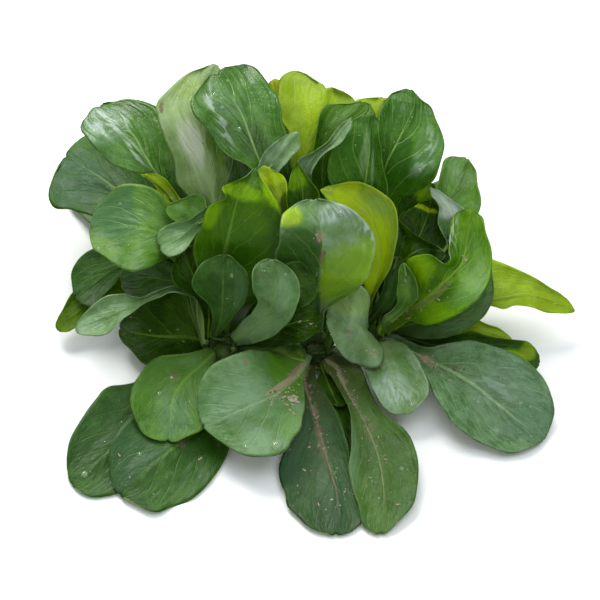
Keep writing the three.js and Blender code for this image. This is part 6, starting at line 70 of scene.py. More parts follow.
("right_shoot_leaf_05", "H17", "light", -1, 1.0, 101, [2540,-1015,279,2567,-1033,281,2594,-1051,283,2621,-1069,285,2648,-1088,287,2675,-1105,287,2702,-1121,287,2730,-1138,287,2757,-1155,286,2692,-689,436,2714,-713,421,2736,-744,413,2756,-781,411,2777,-824,415,2813,-816,410,2850,-815,411,2885,-820,418,2921,-831,430,2815,-439,600,2839,-448,570,2862,-469,551,2884,-503,545,2905,-549,550,2945,-539,542,2984,-541,546,3022,-556,561,3059,-584,589,2934,-243,816,2961,-232,770,2986,-241,741,3009,-268,731,3031,-315,739,3074,-303,727,3115,-310,734,3155,-335,759,3193,-380,801,3042,-121,1123,3073,-94,1061,3102,-93,1023,3128,-118,1009,3152,-170,1019,3199,-159,1004,3244,-174,1013,3286,-216,1047,3326,-283,1104,3089,-14,1491,3139,18,1413,3186,17,1365,3231,-17,1347,3272,-85,1361,3336,-84,1341,3397,-116,1352,3455,-181,1393,3509,-279,1465,3060,144,1858,3150,169,1763,3236,154,1705,3318,98,1685,3397,1,1701,3494,-16,1675,3587,-73,1686,3675,-171,1735,3759,-310,1820,3081,314,2207,3200,334,2096,3315,305,2029,3425,227,2005,3531,101,2025,3659,65,1991,3783,-18,2001,3901,-150,2054,4013,-329,2151,3206,443,2551,3330,459,2432,3449,423,2358,3564,336,2328,3673,198,2344,3827,142,2308,3974,36,2316,4116,-120,2370,4250,-325,2469,3372,554,2875,3493,569,2750,3610,533,2670,3721,444,2634,3827,305,2644,4003,230,2606,4173,105,2613,4336,-71,2665,4491,-296,2763,3548,662,3175,3666,681,3044,3779,647,2959,3886,561,2918,3988,423,2923,4187,336,2883,4378,197,2888,4563,8,2938,4739,-232,3033,3725,790,3450,3840,810,3315,3949,777,3226,4053,690,3182,4151,552,3183,4370,456,3141,4581,308,3144,4785,109,3192,4981,-141,3285,3884,932,3701,4000,953,3564,4110,920,3472,4214,834,3425,4312,695,3423,4548,593,3379,4777,439,3381,4997,233,3427,5208,-24,3519,4026,1088,3930,4145,1111,3791,4259,1079,3696,4366,993,3647,4467,853,3642,4715,752,3597,4956,599,3597,5188,393,3642,5411,136,3732,4165,1265,4136,4286,1289,3995,4400,1256,3899,4509,1170,3848,4610,1029,3842,4867,936,3795,5116,790,3793,5357,590,3836,5587,339,3924,4296,1465,4315,4418,1487,4175,4534,1452,4079,4643,1362,4029,4744,1217,4023,5004,1135,3974,5256,998,3970,5499,807,4011,5732,564,4097,4414,1692,4465,4538,1707,4328,4656,1666,4235,4767,1569,4187,4871,1417,4184,5127,1349,4133,5376,1225,4126,5615,1048,4165,5845,816,4249,4506,1955,4588,4638,1957,4456,4762,1901,4368,4880,1790,4326,4990,1622,4328,5232,1574,4275,5466,1471,4266,5691,1312,4303,5906,1099,4384,4577,2246,4682,4720,2229,4560,4856,2153,4483,4985,2021,4451,5105,1833,4464,5315,1810,4407,5517,1731,4395,5710,1596,4428,5894,1405,4506,4665,2546,4744,4816,2499,4655,4959,2401,4599,5093,2252,4578,5219,2053,4591,5385,2043,4545,5543,1982,4534,5691,1871,4556,5830,1710,4613,4781,2880,4766,4937,2813,4716,5080,2691,4689,5210,2512,4687,5326,2280,4708,5464,2297,4671,5590,2259,4657,5702,2166,4668,5801,2018,4702,5018,3024,4812,5146,2984,4792,5257,2883,4787,5352,2723,4795,5429,2504,4817,5543,2545,4789,5640,2527,4776,5721,2449,4776,5784,2312,4790,5343,2886,4881,5406,2897,4885,5458,2873,4894,5499,2815,4907,5529,2721,4924,5577,2741,4906,5615,2725,4893,5642,2675,4884,5658,2590,4879]),
("middle_shoot_leaf_05", "A7", "yellow", -1, 1.0, 108, [132,-1344,332,163,-1339,332,193,-1335,333,224,-1331,333,254,-1327,333,285,-1323,333,315,-1318,334,346,-1314,334,377,-1310,334,75,-953,639,110,-969,625,144,-992,616,178,-1021,613,212,-1056,617,242,-1017,613,273,-984,616,303,-956,624,334,-935,639,23,-701,950,59,-702,921,95,-714,905,131,-739,900,167,-777,907,201,-732,900,235,-699,905,268,-679,922,302,-672,951,-36,-468,1286,3,-449,1244,42,-450,1219,81,-471,1213,119,-510,1224,158,-462,1213,196,-433,1221,233,-423,1246,271,-432,1290,-127,-264,1664,-77,-227,1607,-27,-215,1573,23,-230,1563,73,-272,1578,125,-220,1564,178,-194,1574,230,-194,1608,282,-221,1666,-274,-92,2078,-198,-32,2003,-122,-5,1958,-47,-13,1944,29,-54,1961,114,5,1942,200,30,1954,284,21,1997,369,-22,2071,-413,83,2521,-312,163,2425,-211,201,2366,-109,198,2344,-8,152,2359,108,218,2336,225,243,2351,340,226,2402,455,166,2491,-503,269,3000,-388,364,2877,-272,408,2798,-155,402,2763,-38,345,2772,96,420,2745,230,444,2762,364,418,2822,496,342,2926,-570,458,3519,-444,554,3371,-317,596,3268,-190,586,3210,-63,524,3197,84,600,3174,230,624,3196,376,595,3263,520,513,3375,-612,669,4050,-480,756,3876,-347,789,3747,-214,768,3663,-80,693,3624,77,772,3607,234,798,3635,391,771,3708,545,689,3826,-614,872,4582,-484,947,4384,-353,967,4232,-221,931,4124,-89,840,4062,81,923,4049,251,953,4081,420,927,4158,587,847,4279,-575,1053,5076,-454,1121,4861,-332,1132,4692,-210,1087,4568,-87,986,4488,97,1074,4477,281,1108,4510,464,1085,4589,645,1007,4712,-524,1250,5501,-413,1314,5277,-301,1320,5099,-188,1268,4966,-75,1159,4877,123,1254,4864,320,1292,4896,517,1274,4973,712,1199,5095,-478,1496,5877,-374,1549,5649,-268,1542,5465,-161,1477,5326,-55,1354,5233,157,1452,5216,370,1493,5243,581,1476,5316,791,1401,5434,-412,1816,6206,-316,1844,5976,-219,1810,5792,-122,1717,5652,-25,1566,5557,203,1655,5534,430,1687,5556,657,1661,5624,882,1576,5736,-522,2230,6487,-387,2211,6260,-251,2131,6078,-114,1990,5941,22,1791,5848,264,1864,5819,506,1877,5835,747,1832,5896,985,1727,6002,-760,2587,6720,-544,2537,6500,-327,2424,6325,-109,2251,6194,108,2018,6109,360,2085,6074,612,2092,6083,863,2039,6138,1110,1926,6237,-829,2962,6908,-564,2873,6699,-298,2720,6535,-31,2507,6416,233,2234,6341,493,2318,6300,753,2341,6304,1010,2303,6352,1265,2204,6446,-862,3372,7042,-559,3240,6852,-255,3045,6708,47,2788,6608,348,2472,6554,621,2568,6505,894,2603,6501,1165,2576,6542,1433,2488,6627,-875,3862,7109,-536,3673,6967,-200,3422,6859,131,3109,6785,455,2737,6746,745,2842,6703,1031,2886,6694,1313,2867,6719,1589,2786,6779,-778,4564,7082,-426,4318,7004,-87,3978,6950,238,3547,6920,547,3027,6914,863,3187,6875,1168,3254,6860,1461,3227,6869,1739,3105,6901,-232,4826,7101,12,4623,7072,238,4302,7058,445,3866,7057,633,3321,7070,882,3512,7037,1114,3587,7019,1329,3547,7015,1525,3390,7024,404,3987,7171,497,3985,7177,580,3920,7188,653,3792,7203,715,3603,7223,804,3683,7199,884,3701,7180,953,3656,7165,1012,3550,7155]),
("middle_shoot_leaf_06", "L8", "deep", 1, 1.0, 115, [-203,-2235,331,-181,-2259,329,-159,-2283,328,-137,-2307,326,-115,-2331,324,-93,-2355,323,-72,-2379,321,-50,-2403,320,-28,-2427,318,-263,-2908,377,-245,-2879,359,-228,-2855,346,-211,-2837,340,-193,-2824,339,-169,-2868,325,-145,-2917,318,-121,-2972,316,-96,-3032,320,-526,-3180,425,-486,-3184,390,-445,-3200,365,-404,-3227,353,-364,-3265,353,-340,-3342,328,-317,-3431,314,-293,-3531,312,-270,-3641,323,-838,-3335,481,-797,-3362,427,-756,-3405,391,-715,-3466,374,-674,-3543,374,-655,-3649,336,-636,-3771,317,-618,-3909,315,-599,-4064,332,-1196,-3497,555,-1152,-3530,483,-1107,-3587,436,-1062,-3667,412,-1016,-3769,413,-988,-3891,363,-960,-4036,337,-931,-4203,336,-902,-4391,358,-1582,-3718,638,-1528,-3749,548,-1473,-3809,489,-1416,-3898,460,-1359,-4015,462,-1310,-4148,398,-1259,-4309,365,-1208,-4498,363,-1157,-4714,392,-1968,-3969,699,-1901,-3995,591,-1832,-4057,520,-1761,-4154,486,-1688,-4285,489,-1621,-4425,411,-1553,-4599,370,-1484,-4807,367,-1413,-5047,401,-2361,-4188,724,-2278,-4212,597,-2193,-4278,514,-2105,-4385,474,-2015,-4531,479,-1936,-4682,385,-1856,-4871,336,-1774,-5100,330,-1691,-5366,368,-2778,-4363,730,-2672,-4401,592,-2564,-4480,499,-2453,-4601,452,-2339,-4764,449,-2254,-4924,347,-2167,-5124,289,-2078,-5363,276,-1987,-5641,309,-3218,-4509,734,-3084,-4568,588,-2945,-4669,486,-2804,-4812,430,-2659,-4995,419,-2573,-5166,309,-2485,-5378,243,-2394,-5628,222,-2300,-5917,246,-3661,-4633,728,-3496,-4718,574,-3325,-4844,466,-3151,-5012,402,-2974,-5220,384,-2842,-5454,266,-2706,-5726,192,-2569,-6036,164,-2430,-6382,181,-4098,-4741,716,-3900,-4857,558,-3696,-5014,444,-3489,-5212,375,-3279,-5450,351,-3118,-5732,227,-2955,-6052,147,-2790,-6407,113,-2623,-6798,123,-4509,-4853,719,-4280,-5004,556,-4047,-5196,438,-3810,-5427,365,-3569,-5698,337,-3385,-6011,207,-3198,-6362,122,-3009,-6747,82,-2818,-7166,88,-4894,-5008,741,-4638,-5187,574,-4377,-5407,452,-4112,-5666,375,-3844,-5964,342,-3639,-6300,207,-3433,-6673,116,-3224,-7079,71,-3014,-7518,70,-5247,-5187,762,-4968,-5389,592,-4683,-5631,467,-4394,-5912,388,-4102,-6230,353,-3886,-6580,213,-3668,-6965,118,-3447,-7383,67,-3225,-7833,62,-5570,-5397,764,-5272,-5610,594,-4968,-5863,470,-4659,-6154,390,-4348,-6482,355,-4129,-6829,212,-3908,-7211,115,-3684,-7626,62,-3459,-8073,62,-5801,-5729,750,-5504,-5920,584,-5200,-6151,462,-4891,-6419,386,-4578,-6725,355,-4364,-7052,213,-4147,-7415,115,-3927,-7811,63,-3705,-8239,62,-5984,-6080,715,-5694,-6242,556,-5398,-6444,442,-5097,-6683,373,-4791,-6960,349,-4587,-7262,212,-4379,-7600,119,-4168,-7972,71,-3953,-8375,69,-6112,-6418,647,-5841,-6554,501,-5563,-6728,400,-5280,-6940,344,-4992,-7190,333,-4800,-7470,205,-4603,-7786,123,-4403,-8136,85,-4199,-8518,92,-6168,-6739,536,-5938,-6875,426,-5696,-7033,350,-5445,-7211,308,-5184,-7410,300,-5016,-7694,205,-4839,-7997,144,-4654,-8317,118,-4460,-8655,125,-6150,-7038,377,-5984,-7188,311,-5798,-7334,269,-5593,-7477,250,-5368,-7617,255,-5248,-7883,200,-5110,-8144,169,-4952,-8399,162,-4776,-8650,179,-6066,-7374,259,-5973,-7515,225,-5855,-7634,205,-5712,-7733,199,-5545,-7811,207,-5481,-8001,183,-5392,-8170,172,-5278,-8317,176,-5140,-8444,194,-5905,-7784,185,-5881,-7863,172,-5842,-7925,164,-5786,-7970,161,-5716,-7999,163,-5689,-8064,160,-5647,-8113,161,-5589,-8145,167,-5516,-8160,178]),
("middle_shoot_leaf_07", "F1", "lower", 1, 0.7, 122, [95,-2535,353,128,-2542,352,161,-2548,352,194,-2555,352,227,-2562,351,260,-2569,351,293,-2576,351,326,-2583,351,358,-2591,352,-82,-2994,432,-38,-2977,422,6,-2966,417,50,-2960,417,94,-2960,424,159,-3008,422,224,-3063,426,289,-3123,436,353,-3188,451,-171,-3503,517,-131,-3457,495,-91,-3421,485,-50,-3397,487,-10,-3384,500,98,-3403,497,205,-3432,505,312,-3473,525,419,-3525,557,-171,-4012,578,-125,-3936,544,-79,-3878,529,-33,-3836,531,13,-3812,552,134,-3789,547,256,-3783,560,378,-3794,591,499,-3823,640,-121,-4429,594,-66,-4335,549,-11,-4263,529,44,-4215,533,99,-4189,561,228,-4132,554,356,-4098,571,485,-4087,613,612,-4099,678,-73,-4798,578,-6,-4690,522,61,-4610,497,128,-4558,503,195,-4535,539,339,-4467,529,482,-4428,550,625,-4417,601,767,-4435,683,-56,-5166,544,30,-5042,478,116,-4951,450,203,-4895,458,289,-4872,504,451,-4800,489,613,-4763,511,773,-4760,571,933,-4792,667,-151,-5545,487,-19,-5399,413,113,-5292,383,246,-5225,396,378,-5197,453,552,-5130,432,726,-5104,453,898,-5117,519,1069,-5171,628,-340,-5926,409,-142,-5763,337,57,-5639,310,257,-5556,328,456,-5513,391,636,-5462,368,816,-5451,390,993,-5481,457,1169,-5552,569,-586,-6313,333,-309,-6134,266,-31,-5994,244,249,-5894,267,528,-5833,335,715,-5792,311,900,-5791,332,1084,-5831,398,1265,-5911,509,-752,-6689,264,-416,-6496,201,-77,-6341,183,263,-6226,211,603,-6149,283,796,-6118,257,987,-6128,275,1177,-6176,339,1365,-6265,448,-814,-7047,210,-444,-6844,150,-72,-6678,134,302,-6551,164,677,-6462,238,873,-6439,209,1068,-6455,224,1262,-6510,285,1452,-6604,390,-784,-7399,186,-405,-7188,124,-22,-7015,107,363,-6878,136,747,-6780,209,937,-6759,176,1125,-6776,187,1311,-6832,244,1495,-6927,345,-719,-7772,189,-339,-7549,124,44,-7363,104,429,-7214,129,814,-7102,199,994,-7083,159,1172,-7102,165,1348,-7159,216,1522,-7255,311,-651,-8064,202,-270,-7847,133,113,-7665,108,498,-7521,129,884,-7413,195,1052,-7403,149,1220,-7431,148,1385,-7497,192,1547,-7600,281,-596,-8272,210,-214,-8077,137,172,-7917,108,558,-7794,125,945,-7709,186,1104,-7711,134,1263,-7750,127,1418,-7827,165,1572,-7941,248,-529,-8454,211,-153,-8284,135,226,-8150,103,605,-8053,117,984,-7992,175,1143,-8004,118,1300,-8054,106,1455,-8140,138,1608,-8262,216,-416,-8632,204,-64,-8486,126,289,-8376,94,644,-8301,106,997,-8264,163,1164,-8283,102,1329,-8339,86,1491,-8432,115,1651,-8560,189,-245,-8842,189,64,-8710,112,374,-8613,80,684,-8552,93,993,-8528,151,1180,-8549,88,1365,-8606,69,1548,-8699,96,1728,-8829,168,-78,-9073,167,185,-8973,108,449,-8891,84,714,-8829,93,979,-8785,137,1176,-8832,89,1372,-8898,74,1566,-8982,94,1758,-9085,149,117,-9273,139,326,-9223,99,537,-9166,83,749,-9102,91,962,-9031,122,1122,-9102,88,1282,-9165,78,1443,-9221,92,1604,-9271,129,365,-9438,116,507,-9436,93,651,-9407,84,797,-9351,89,946,-9267,107,1057,-9346,88,1169,-9398,82,1284,-9423,91,1401,-9420,113,723,-9536,99,774,-9557,91,826,-9557,87,879,-9536,88,934,-9493,93,979,-9529,88,1025,-9544,87,1073,-9537,91,1122,-9509,99]),
("left_shoot_leaf_07", "A2", "gloss", -1, 1.0, 129, [-3232,-1561,397,-3202,-1558,396,-3172,-1554,394,-3143,-1550,393,-3113,-1546,391,-3084,-1541,388,-3055,-1536,385,-3026,-1532,383,-2997,-1527,381,-3315,-978,535,-3279,-993,520,-3242,-1014,508,-3204,-1040,499,-3166,-1070,492,-3140,-1038,496,-3113,-1011,506,-3085,-991,522,-3057,-976,543,-3375,-516,704,-3332,-520,679,-3288,-536,666,-3244,-565,664,-3198,-606,674,-3174,-577,676,-3149,-561,690,-3122,-557,716,-3095,-565,754,-3432,-109,943,-3382,-100,904,-3330,-109,884,-3276,-139,881,-3221,-187,897,-3199,-159,900,-3176,-151,921,-3152,-162,960,-3126,-193,1017,-3491,131,1325,-3431,161,1273,-3368,166,1245,-3302,144,1241,-3235,95,1262,-3212,122,1266,-3187,122,1294,-3160,96,1347,-3130,43,1424,-3571,259,1804,-3496,316,1737,-3419,339,1701,-3338,328,1696,-3255,283,1721,-3210,311,1726,-3163,305,1762,-3113,264,1828,-3061,190,1925,-3671,379,2279,-3585,467,2197,-3494,512,2153,-3399,516,2145,-3301,478,2175,-3219,520,2181,-3133,521,2224,-3043,479,2304,-2951,395,2421,-3807,486,2732,-3712,614,2633,-3612,691,2578,-3507,718,2566,-3397,695,2599,-3300,769,2606,-3198,792,2656,-3093,765,2751,-2984,687,2889,-4007,572,3186,-3906,729,3074,-3800,834,3008,-3688,886,2987,-3571,886,3010,-3480,982,3028,-3384,1025,3090,-3285,1015,3198,-3181,951,3350,-4271,711,3609,-4164,878,3488,-4051,992,3411,-3931,1052,3379,-3806,1059,3392,-3708,1177,3421,-3605,1242,3495,-3497,1253,3615,-3385,1208,3779,-4543,942,3986,-4433,1098,3857,-4316,1200,3772,-4193,1248,3733,-4064,1242,3738,-3943,1388,3778,-3817,1479,3862,-3685,1516,3991,-3549,1496,4165,-4785,1234,4311,-4678,1372,4179,-4563,1455,4093,-4442,1482,4052,-4315,1454,4056,-4176,1630,4102,-4031,1751,4192,-3881,1817,4328,-3726,1825,4508,-4998,1576,4577,-4903,1684,4452,-4800,1735,4373,-4691,1731,4339,-4574,1670,4350,-4428,1868,4398,-4275,2010,4492,-4116,2096,4630,-3952,2124,4814,-5171,2038,4788,-5097,2089,4678,-5016,2082,4613,-4928,2018,4593,-4832,1898,4618,-4682,2107,4667,-4524,2260,4761,-4359,2355,4901,-4189,2392,5085,-5683,1911,4962,-5544,2057,4869,-5395,2146,4821,-5239,2177,4818,-5076,2151,4860,-4896,2388,4908,-4709,2567,5001,-4515,2689,5139,-4314,2751,5322,-6165,1992,5117,-5962,2188,5041,-5749,2327,5009,-5527,2408,5023,-5296,2431,5081,-5089,2689,5125,-4873,2891,5214,-4650,3033,5348,-4421,3115,5527,-6540,2115,5277,-6294,2352,5213,-6037,2531,5194,-5770,2653,5221,-5495,2715,5292,-5280,3007,5329,-5055,3241,5411,-4823,3416,5539,-4584,3531,5711,-6796,2261,5433,-6532,2539,5377,-6255,2760,5365,-5968,2922,5398,-5672,3025,5476,-5476,3369,5504,-5270,3655,5577,-5055,3881,5694,-4833,4047,5857,-6963,2373,5568,-6714,2699,5513,-6453,2969,5504,-6181,3179,5539,-5899,3331,5620,-5727,3700,5632,-5545,4011,5689,-5353,4262,5791,-5154,4452,5939,-7148,2560,5662,-6923,2923,5622,-6682,3232,5616,-6425,3488,5644,-6153,3687,5706,-6032,4025,5713,-5897,4308,5754,-5748,4534,5829,-5586,4702,5938,-7343,2811,5723,-7160,3214,5693,-6947,3556,5687,-6706,3836,5705,-6435,4053,5746,-6387,4352,5738,-6311,4587,5753,-6209,4756,5792,-6079,4859,5855,-7634,3433,5757,-7483,3750,5739,-7286,4007,5734,-7042,4202,5744,-6751,4336,5767,-6757,4563,5755,-6717,4728,5756,-6632,4829,5771,-6502,4867,5799,-7355,4346,5781,-7324,4450,5778,-7265,4524,5779,-7178,4567,5785,-7062,4579,5795,-7057,4663,5786,-7024,4716,5781,-6962,4739,5781,-6872,4731,5785]),
("left_shoot_leaf_08", "A2b", "yellow", -1, 1.0, 136, [-2987,-1446,557,-2958,-1436,559,-2929,-1426,559,-2899,-1416,558,-2870,-1405,556,-2841,-1393,553,-2812,-1381,549,-2782,-1369,545,-2753,-1357,541,-3085,-1126,707,-3051,-1125,698,-3016,-1129,694,-2981,-1139,694,-2945,-1154,698,-2920,-1118,688,-2894,-1088,684,-2868,-1065,687,-2841,-1048,697,-3164,-873,823,-3129,-855,798,-3093,-849,784,-3056,-855,783,-3019,-873,794,-2993,-841,789,-2967,-821,797,-2940,-813,817,-2911,-818,848,-3247,-662,1019,-3210,-627,980,-3172,-612,959,-3132,-615,956,-3090,-638,970,-3065,-605,965,-3037,-591,977,-3008,-596,1008,-2978,-620,1056,-3328,-522,1288,-3289,-470,1235,-3247,-444,1206,-3203,-443,1201,-3157,-469,1220,-3130,-435,1213,-3101,-426,1229,-3070,-444,1270,-3037,-488,1335,-3409,-432,1603,-3367,-360,1536,-3321,-322,1499,-3273,-317,1494,-3222,-345,1518,-3193,-308,1508,-3161,-305,1528,-3127,-334,1579,-3090,-398,1661,-3496,-348,1924,-3450,-256,1843,-3399,-205,1800,-3345,-195,1793,-3288,-225,1824,-3255,-184,1810,-3219,-182,1833,-3180,-222,1893,-3137,-303,1990,-3591,-261,2243,-3539,-150,2150,-3483,-87,2100,-3422,-73,2093,-3357,-107,2131,-3315,-55,2112,-3269,-52,2137,-3219,-98,2205,-3165,-192,2318,-3690,-181,2563,-3632,-58,2465,-3569,14,2411,-3502,35,2403,-3430,7,2440,-3374,65,2423,-3313,72,2452,-3248,29,2526,-3180,-65,2645,-3793,-81,2861,-3730,50,2760,-3662,130,2705,-3589,158,2694,-3511,136,2729,-3444,201,2716,-3373,216,2748,-3297,179,2826,-3218,90,2948,-3900,41,3130,-3835,179,3028,-3763,265,2972,-3687,299,2960,-3605,282,2993,-3538,354,2983,-3466,373,3018,-3389,341,3097,-3308,256,3222,-4012,177,3380,-3946,319,3278,-3873,409,3221,-3796,446,3209,-3713,431,3242,-3650,507,3233,-3582,530,3268,-3508,501,3349,-3431,418,3475,-4125,315,3617,-4061,458,3516,-3991,548,3460,-3915,585,3448,-3834,570,3482,-3775,649,3473,-3711,675,3508,-3642,648,3589,-3568,568,3715,-4237,451,3845,-4177,592,3745,-4111,680,3690,-4039,714,3681,-3962,695,3716,-3907,777,3706,-3847,806,3740,-3782,781,3820,-3711,702,3944,-4349,604,4052,-4294,740,3955,-4233,822,3902,-4166,850,3895,-4093,823,3932,-4044,905,3920,-3990,933,3952,-3930,907,4029,-3866,826,4152,-4455,781,4229,-4406,910,4134,-4351,985,4084,-4289,1005,4080,-4221,971,4120,-4183,1049,4104,-4139,1074,4133,-4090,1043,4208,-4035,957,4327,-4558,976,4372,-4517,1098,4280,-4469,1166,4233,-4414,1178,4232,-4354,1135,4275,-4322,1220,4256,-4284,1250,4281,-4240,1224,4351,-4190,1143,4467,-4673,1160,4494,-4639,1276,4406,-4598,1337,4363,-4550,1342,4365,-4496,1291,4412,-4457,1398,4388,-4411,1450,4408,-4359,1446,4474,-4301,1386,4584,-4811,1314,4609,-4782,1424,4526,-4746,1478,4489,-4703,1476,4496,-4653,1418,4548,-4610,1550,4516,-4560,1627,4529,-4504,1647,4587,-4442,1611,4690,-4963,1437,4719,-4939,1521,4660,-4908,1560,4636,-4870,1555,4646,-4826,1504,4690,-4782,1639,4663,-4732,1729,4669,-4675,1774,4710,-4612,1774,4785,-5126,1531,4819,-5108,1594,4786,-5081,1621,4777,-5045,1612,4791,-5001,1567,4829,-4965,1696,4801,-4921,1790,4796,-4868,1848,4815,-4806,1870,4858,-5293,1592,4926,-5280,1642,4915,-5255,1663,4918,-5219,1657,4934,-5172,1622,4965,-5148,1727,4939,-5112,1805,4926,-5065,1855,4928,-5007,1876,4944,-5503,1684,5038,-5481,1714,5046,-5446,1723,5057,-5397,1712,5074,-5335,1679,5095,-5325,1730,5075,-5301,1760,5060,-5264,1769,5049,-5213,1757,5043]),
("right_shoot_leaf_06", "H21", "shade", -1, 1.0, 143, [2318,-2124,329,2348,-2110,331,2378,-2097,333,2408,-2083,335,2437,-2069,337,2467,-2055,338,2497,-2041,340,2527,-2027,341,2557,-2012,342,2587,-1777,400,2598,-1787,389,2607,-1804,383,2617,-1826,384,2626,-1854,390,2678,-1848,386,2729,-1849,387,2781,-1855,395,2831,-1868,408,2777,-1540,471,2789,-1544,447,2799,-1559,434,2809,-1587,433,2818,-1627,444,2871,-1656,435,2922,-1697,437,2973,-1750,451,3023,-1815,477,3035,-1291,549,3043,-1310,511,3049,-1349,490,3053,-1405,488,3056,-1480,504,3095,-1547,489,3132,-1633,492,3167,-1737,513,3201,-1858,552,3384,-1211,639,3374,-1252,586,3363,-1317,558,3348,-1407,554,3332,-1521,575,3349,-1602,554,3364,-1707,557,3377,-1837,585,3386,-1990,637,3700,-1342,738,3681,-1379,671,3658,-1447,634,3632,-1546,628,3603,-1677,652,3609,-1762,625,3612,-1878,627,3611,-2024,661,3607,-2201,725,3975,-1518,838,3955,-1547,754,3931,-1614,708,3902,-1719,698,3870,-1862,726,3875,-1954,690,3876,-2083,690,3873,-2249,728,3865,-2451,804,4228,-1675,943,4214,-1697,841,4195,-1764,782,4170,-1876,766,4140,-2031,794,4151,-2130,748,4157,-2273,745,4157,-2458,785,4152,-2686,869,4490,-1813,1055,4481,-1831,938,4465,-1895,866,4444,-2005,839,4417,-2160,857,4431,-2270,806,4439,-2424,799,4442,-2623,837,4438,-2865,921,4773,-1939,1155,4763,-1952,1025,4747,-2011,940,4724,-2115,901,4695,-2264,906,4710,-2385,850,4719,-2550,839,4722,-2759,873,4718,-3011,952,5072,-2017,1236,5057,-2032,1095,5035,-2094,998,5007,-2202,947,4972,-2354,941,4987,-2484,880,4995,-2658,864,4997,-2875,893,4992,-3136,967,5381,-1994,1289,5357,-2036,1140,5327,-2123,1035,5289,-2256,976,5244,-2434,962,5258,-2572,896,5264,-2754,875,5263,-2979,900,5255,-3247,969,5675,-2031,1311,5645,-2082,1158,5608,-2179,1050,5563,-2321,986,5512,-2507,968,5521,-2652,897,5523,-2841,871,5518,-3073,890,5505,-3347,954,5950,-2124,1311,5918,-2167,1155,5877,-2256,1045,5828,-2391,980,5772,-2570,959,5778,-2720,881,5776,-2914,848,5766,-3151,861,5748,-3430,918,6222,-2187,1291,6185,-2228,1136,6140,-2314,1025,6087,-2446,960,6026,-2623,939,6027,-2777,855,6021,-2975,815,6007,-3215,821,5985,-3498,871,6490,-2204,1255,6448,-2252,1102,6397,-2346,994,6338,-2486,931,6270,-2669,913,6269,-2825,822,6260,-3024,777,6243,-3265,777,6217,-3549,822,6754,-2189,1202,6705,-2250,1053,6647,-2358,950,6580,-2511,891,6505,-2707,878,6502,-2860,784,6491,-3057,736,6471,-3296,732,6443,-3577,773,7015,-2142,1135,6957,-2225,993,6890,-2353,896,6814,-2526,845,6729,-2743,838,6726,-2890,744,6714,-3081,694,6693,-3314,690,6664,-3589,731,7259,-2091,1049,7195,-2196,919,7122,-2346,833,7039,-2541,792,6948,-2779,796,6946,-2917,704,6935,-3099,658,6915,-3324,657,6886,-3590,700,7476,-2052,943,7416,-2194,843,7344,-2367,778,7260,-2573,747,7166,-2809,751,7169,-2953,682,7160,-3127,648,7140,-3333,648,7109,-3569,682,7651,-2092,803,7613,-2248,742,7555,-2421,705,7478,-2613,692,7381,-2823,703,7397,-2971,660,7393,-3137,642,7369,-3322,648,7326,-3523,677,7780,-2257,700,7773,-2385,668,7740,-2522,649,7680,-2666,645,7594,-2818,655,7620,-2941,635,7619,-3072,628,7592,-3211,636,7539,-3358,658,7828,-2582,632,7846,-2636,619,7847,-2693,611,7832,-2750,608,7800,-2809,609,7802,-2858,607,7787,-2909,609,7756,-2961,616,7709,-3014,627]),
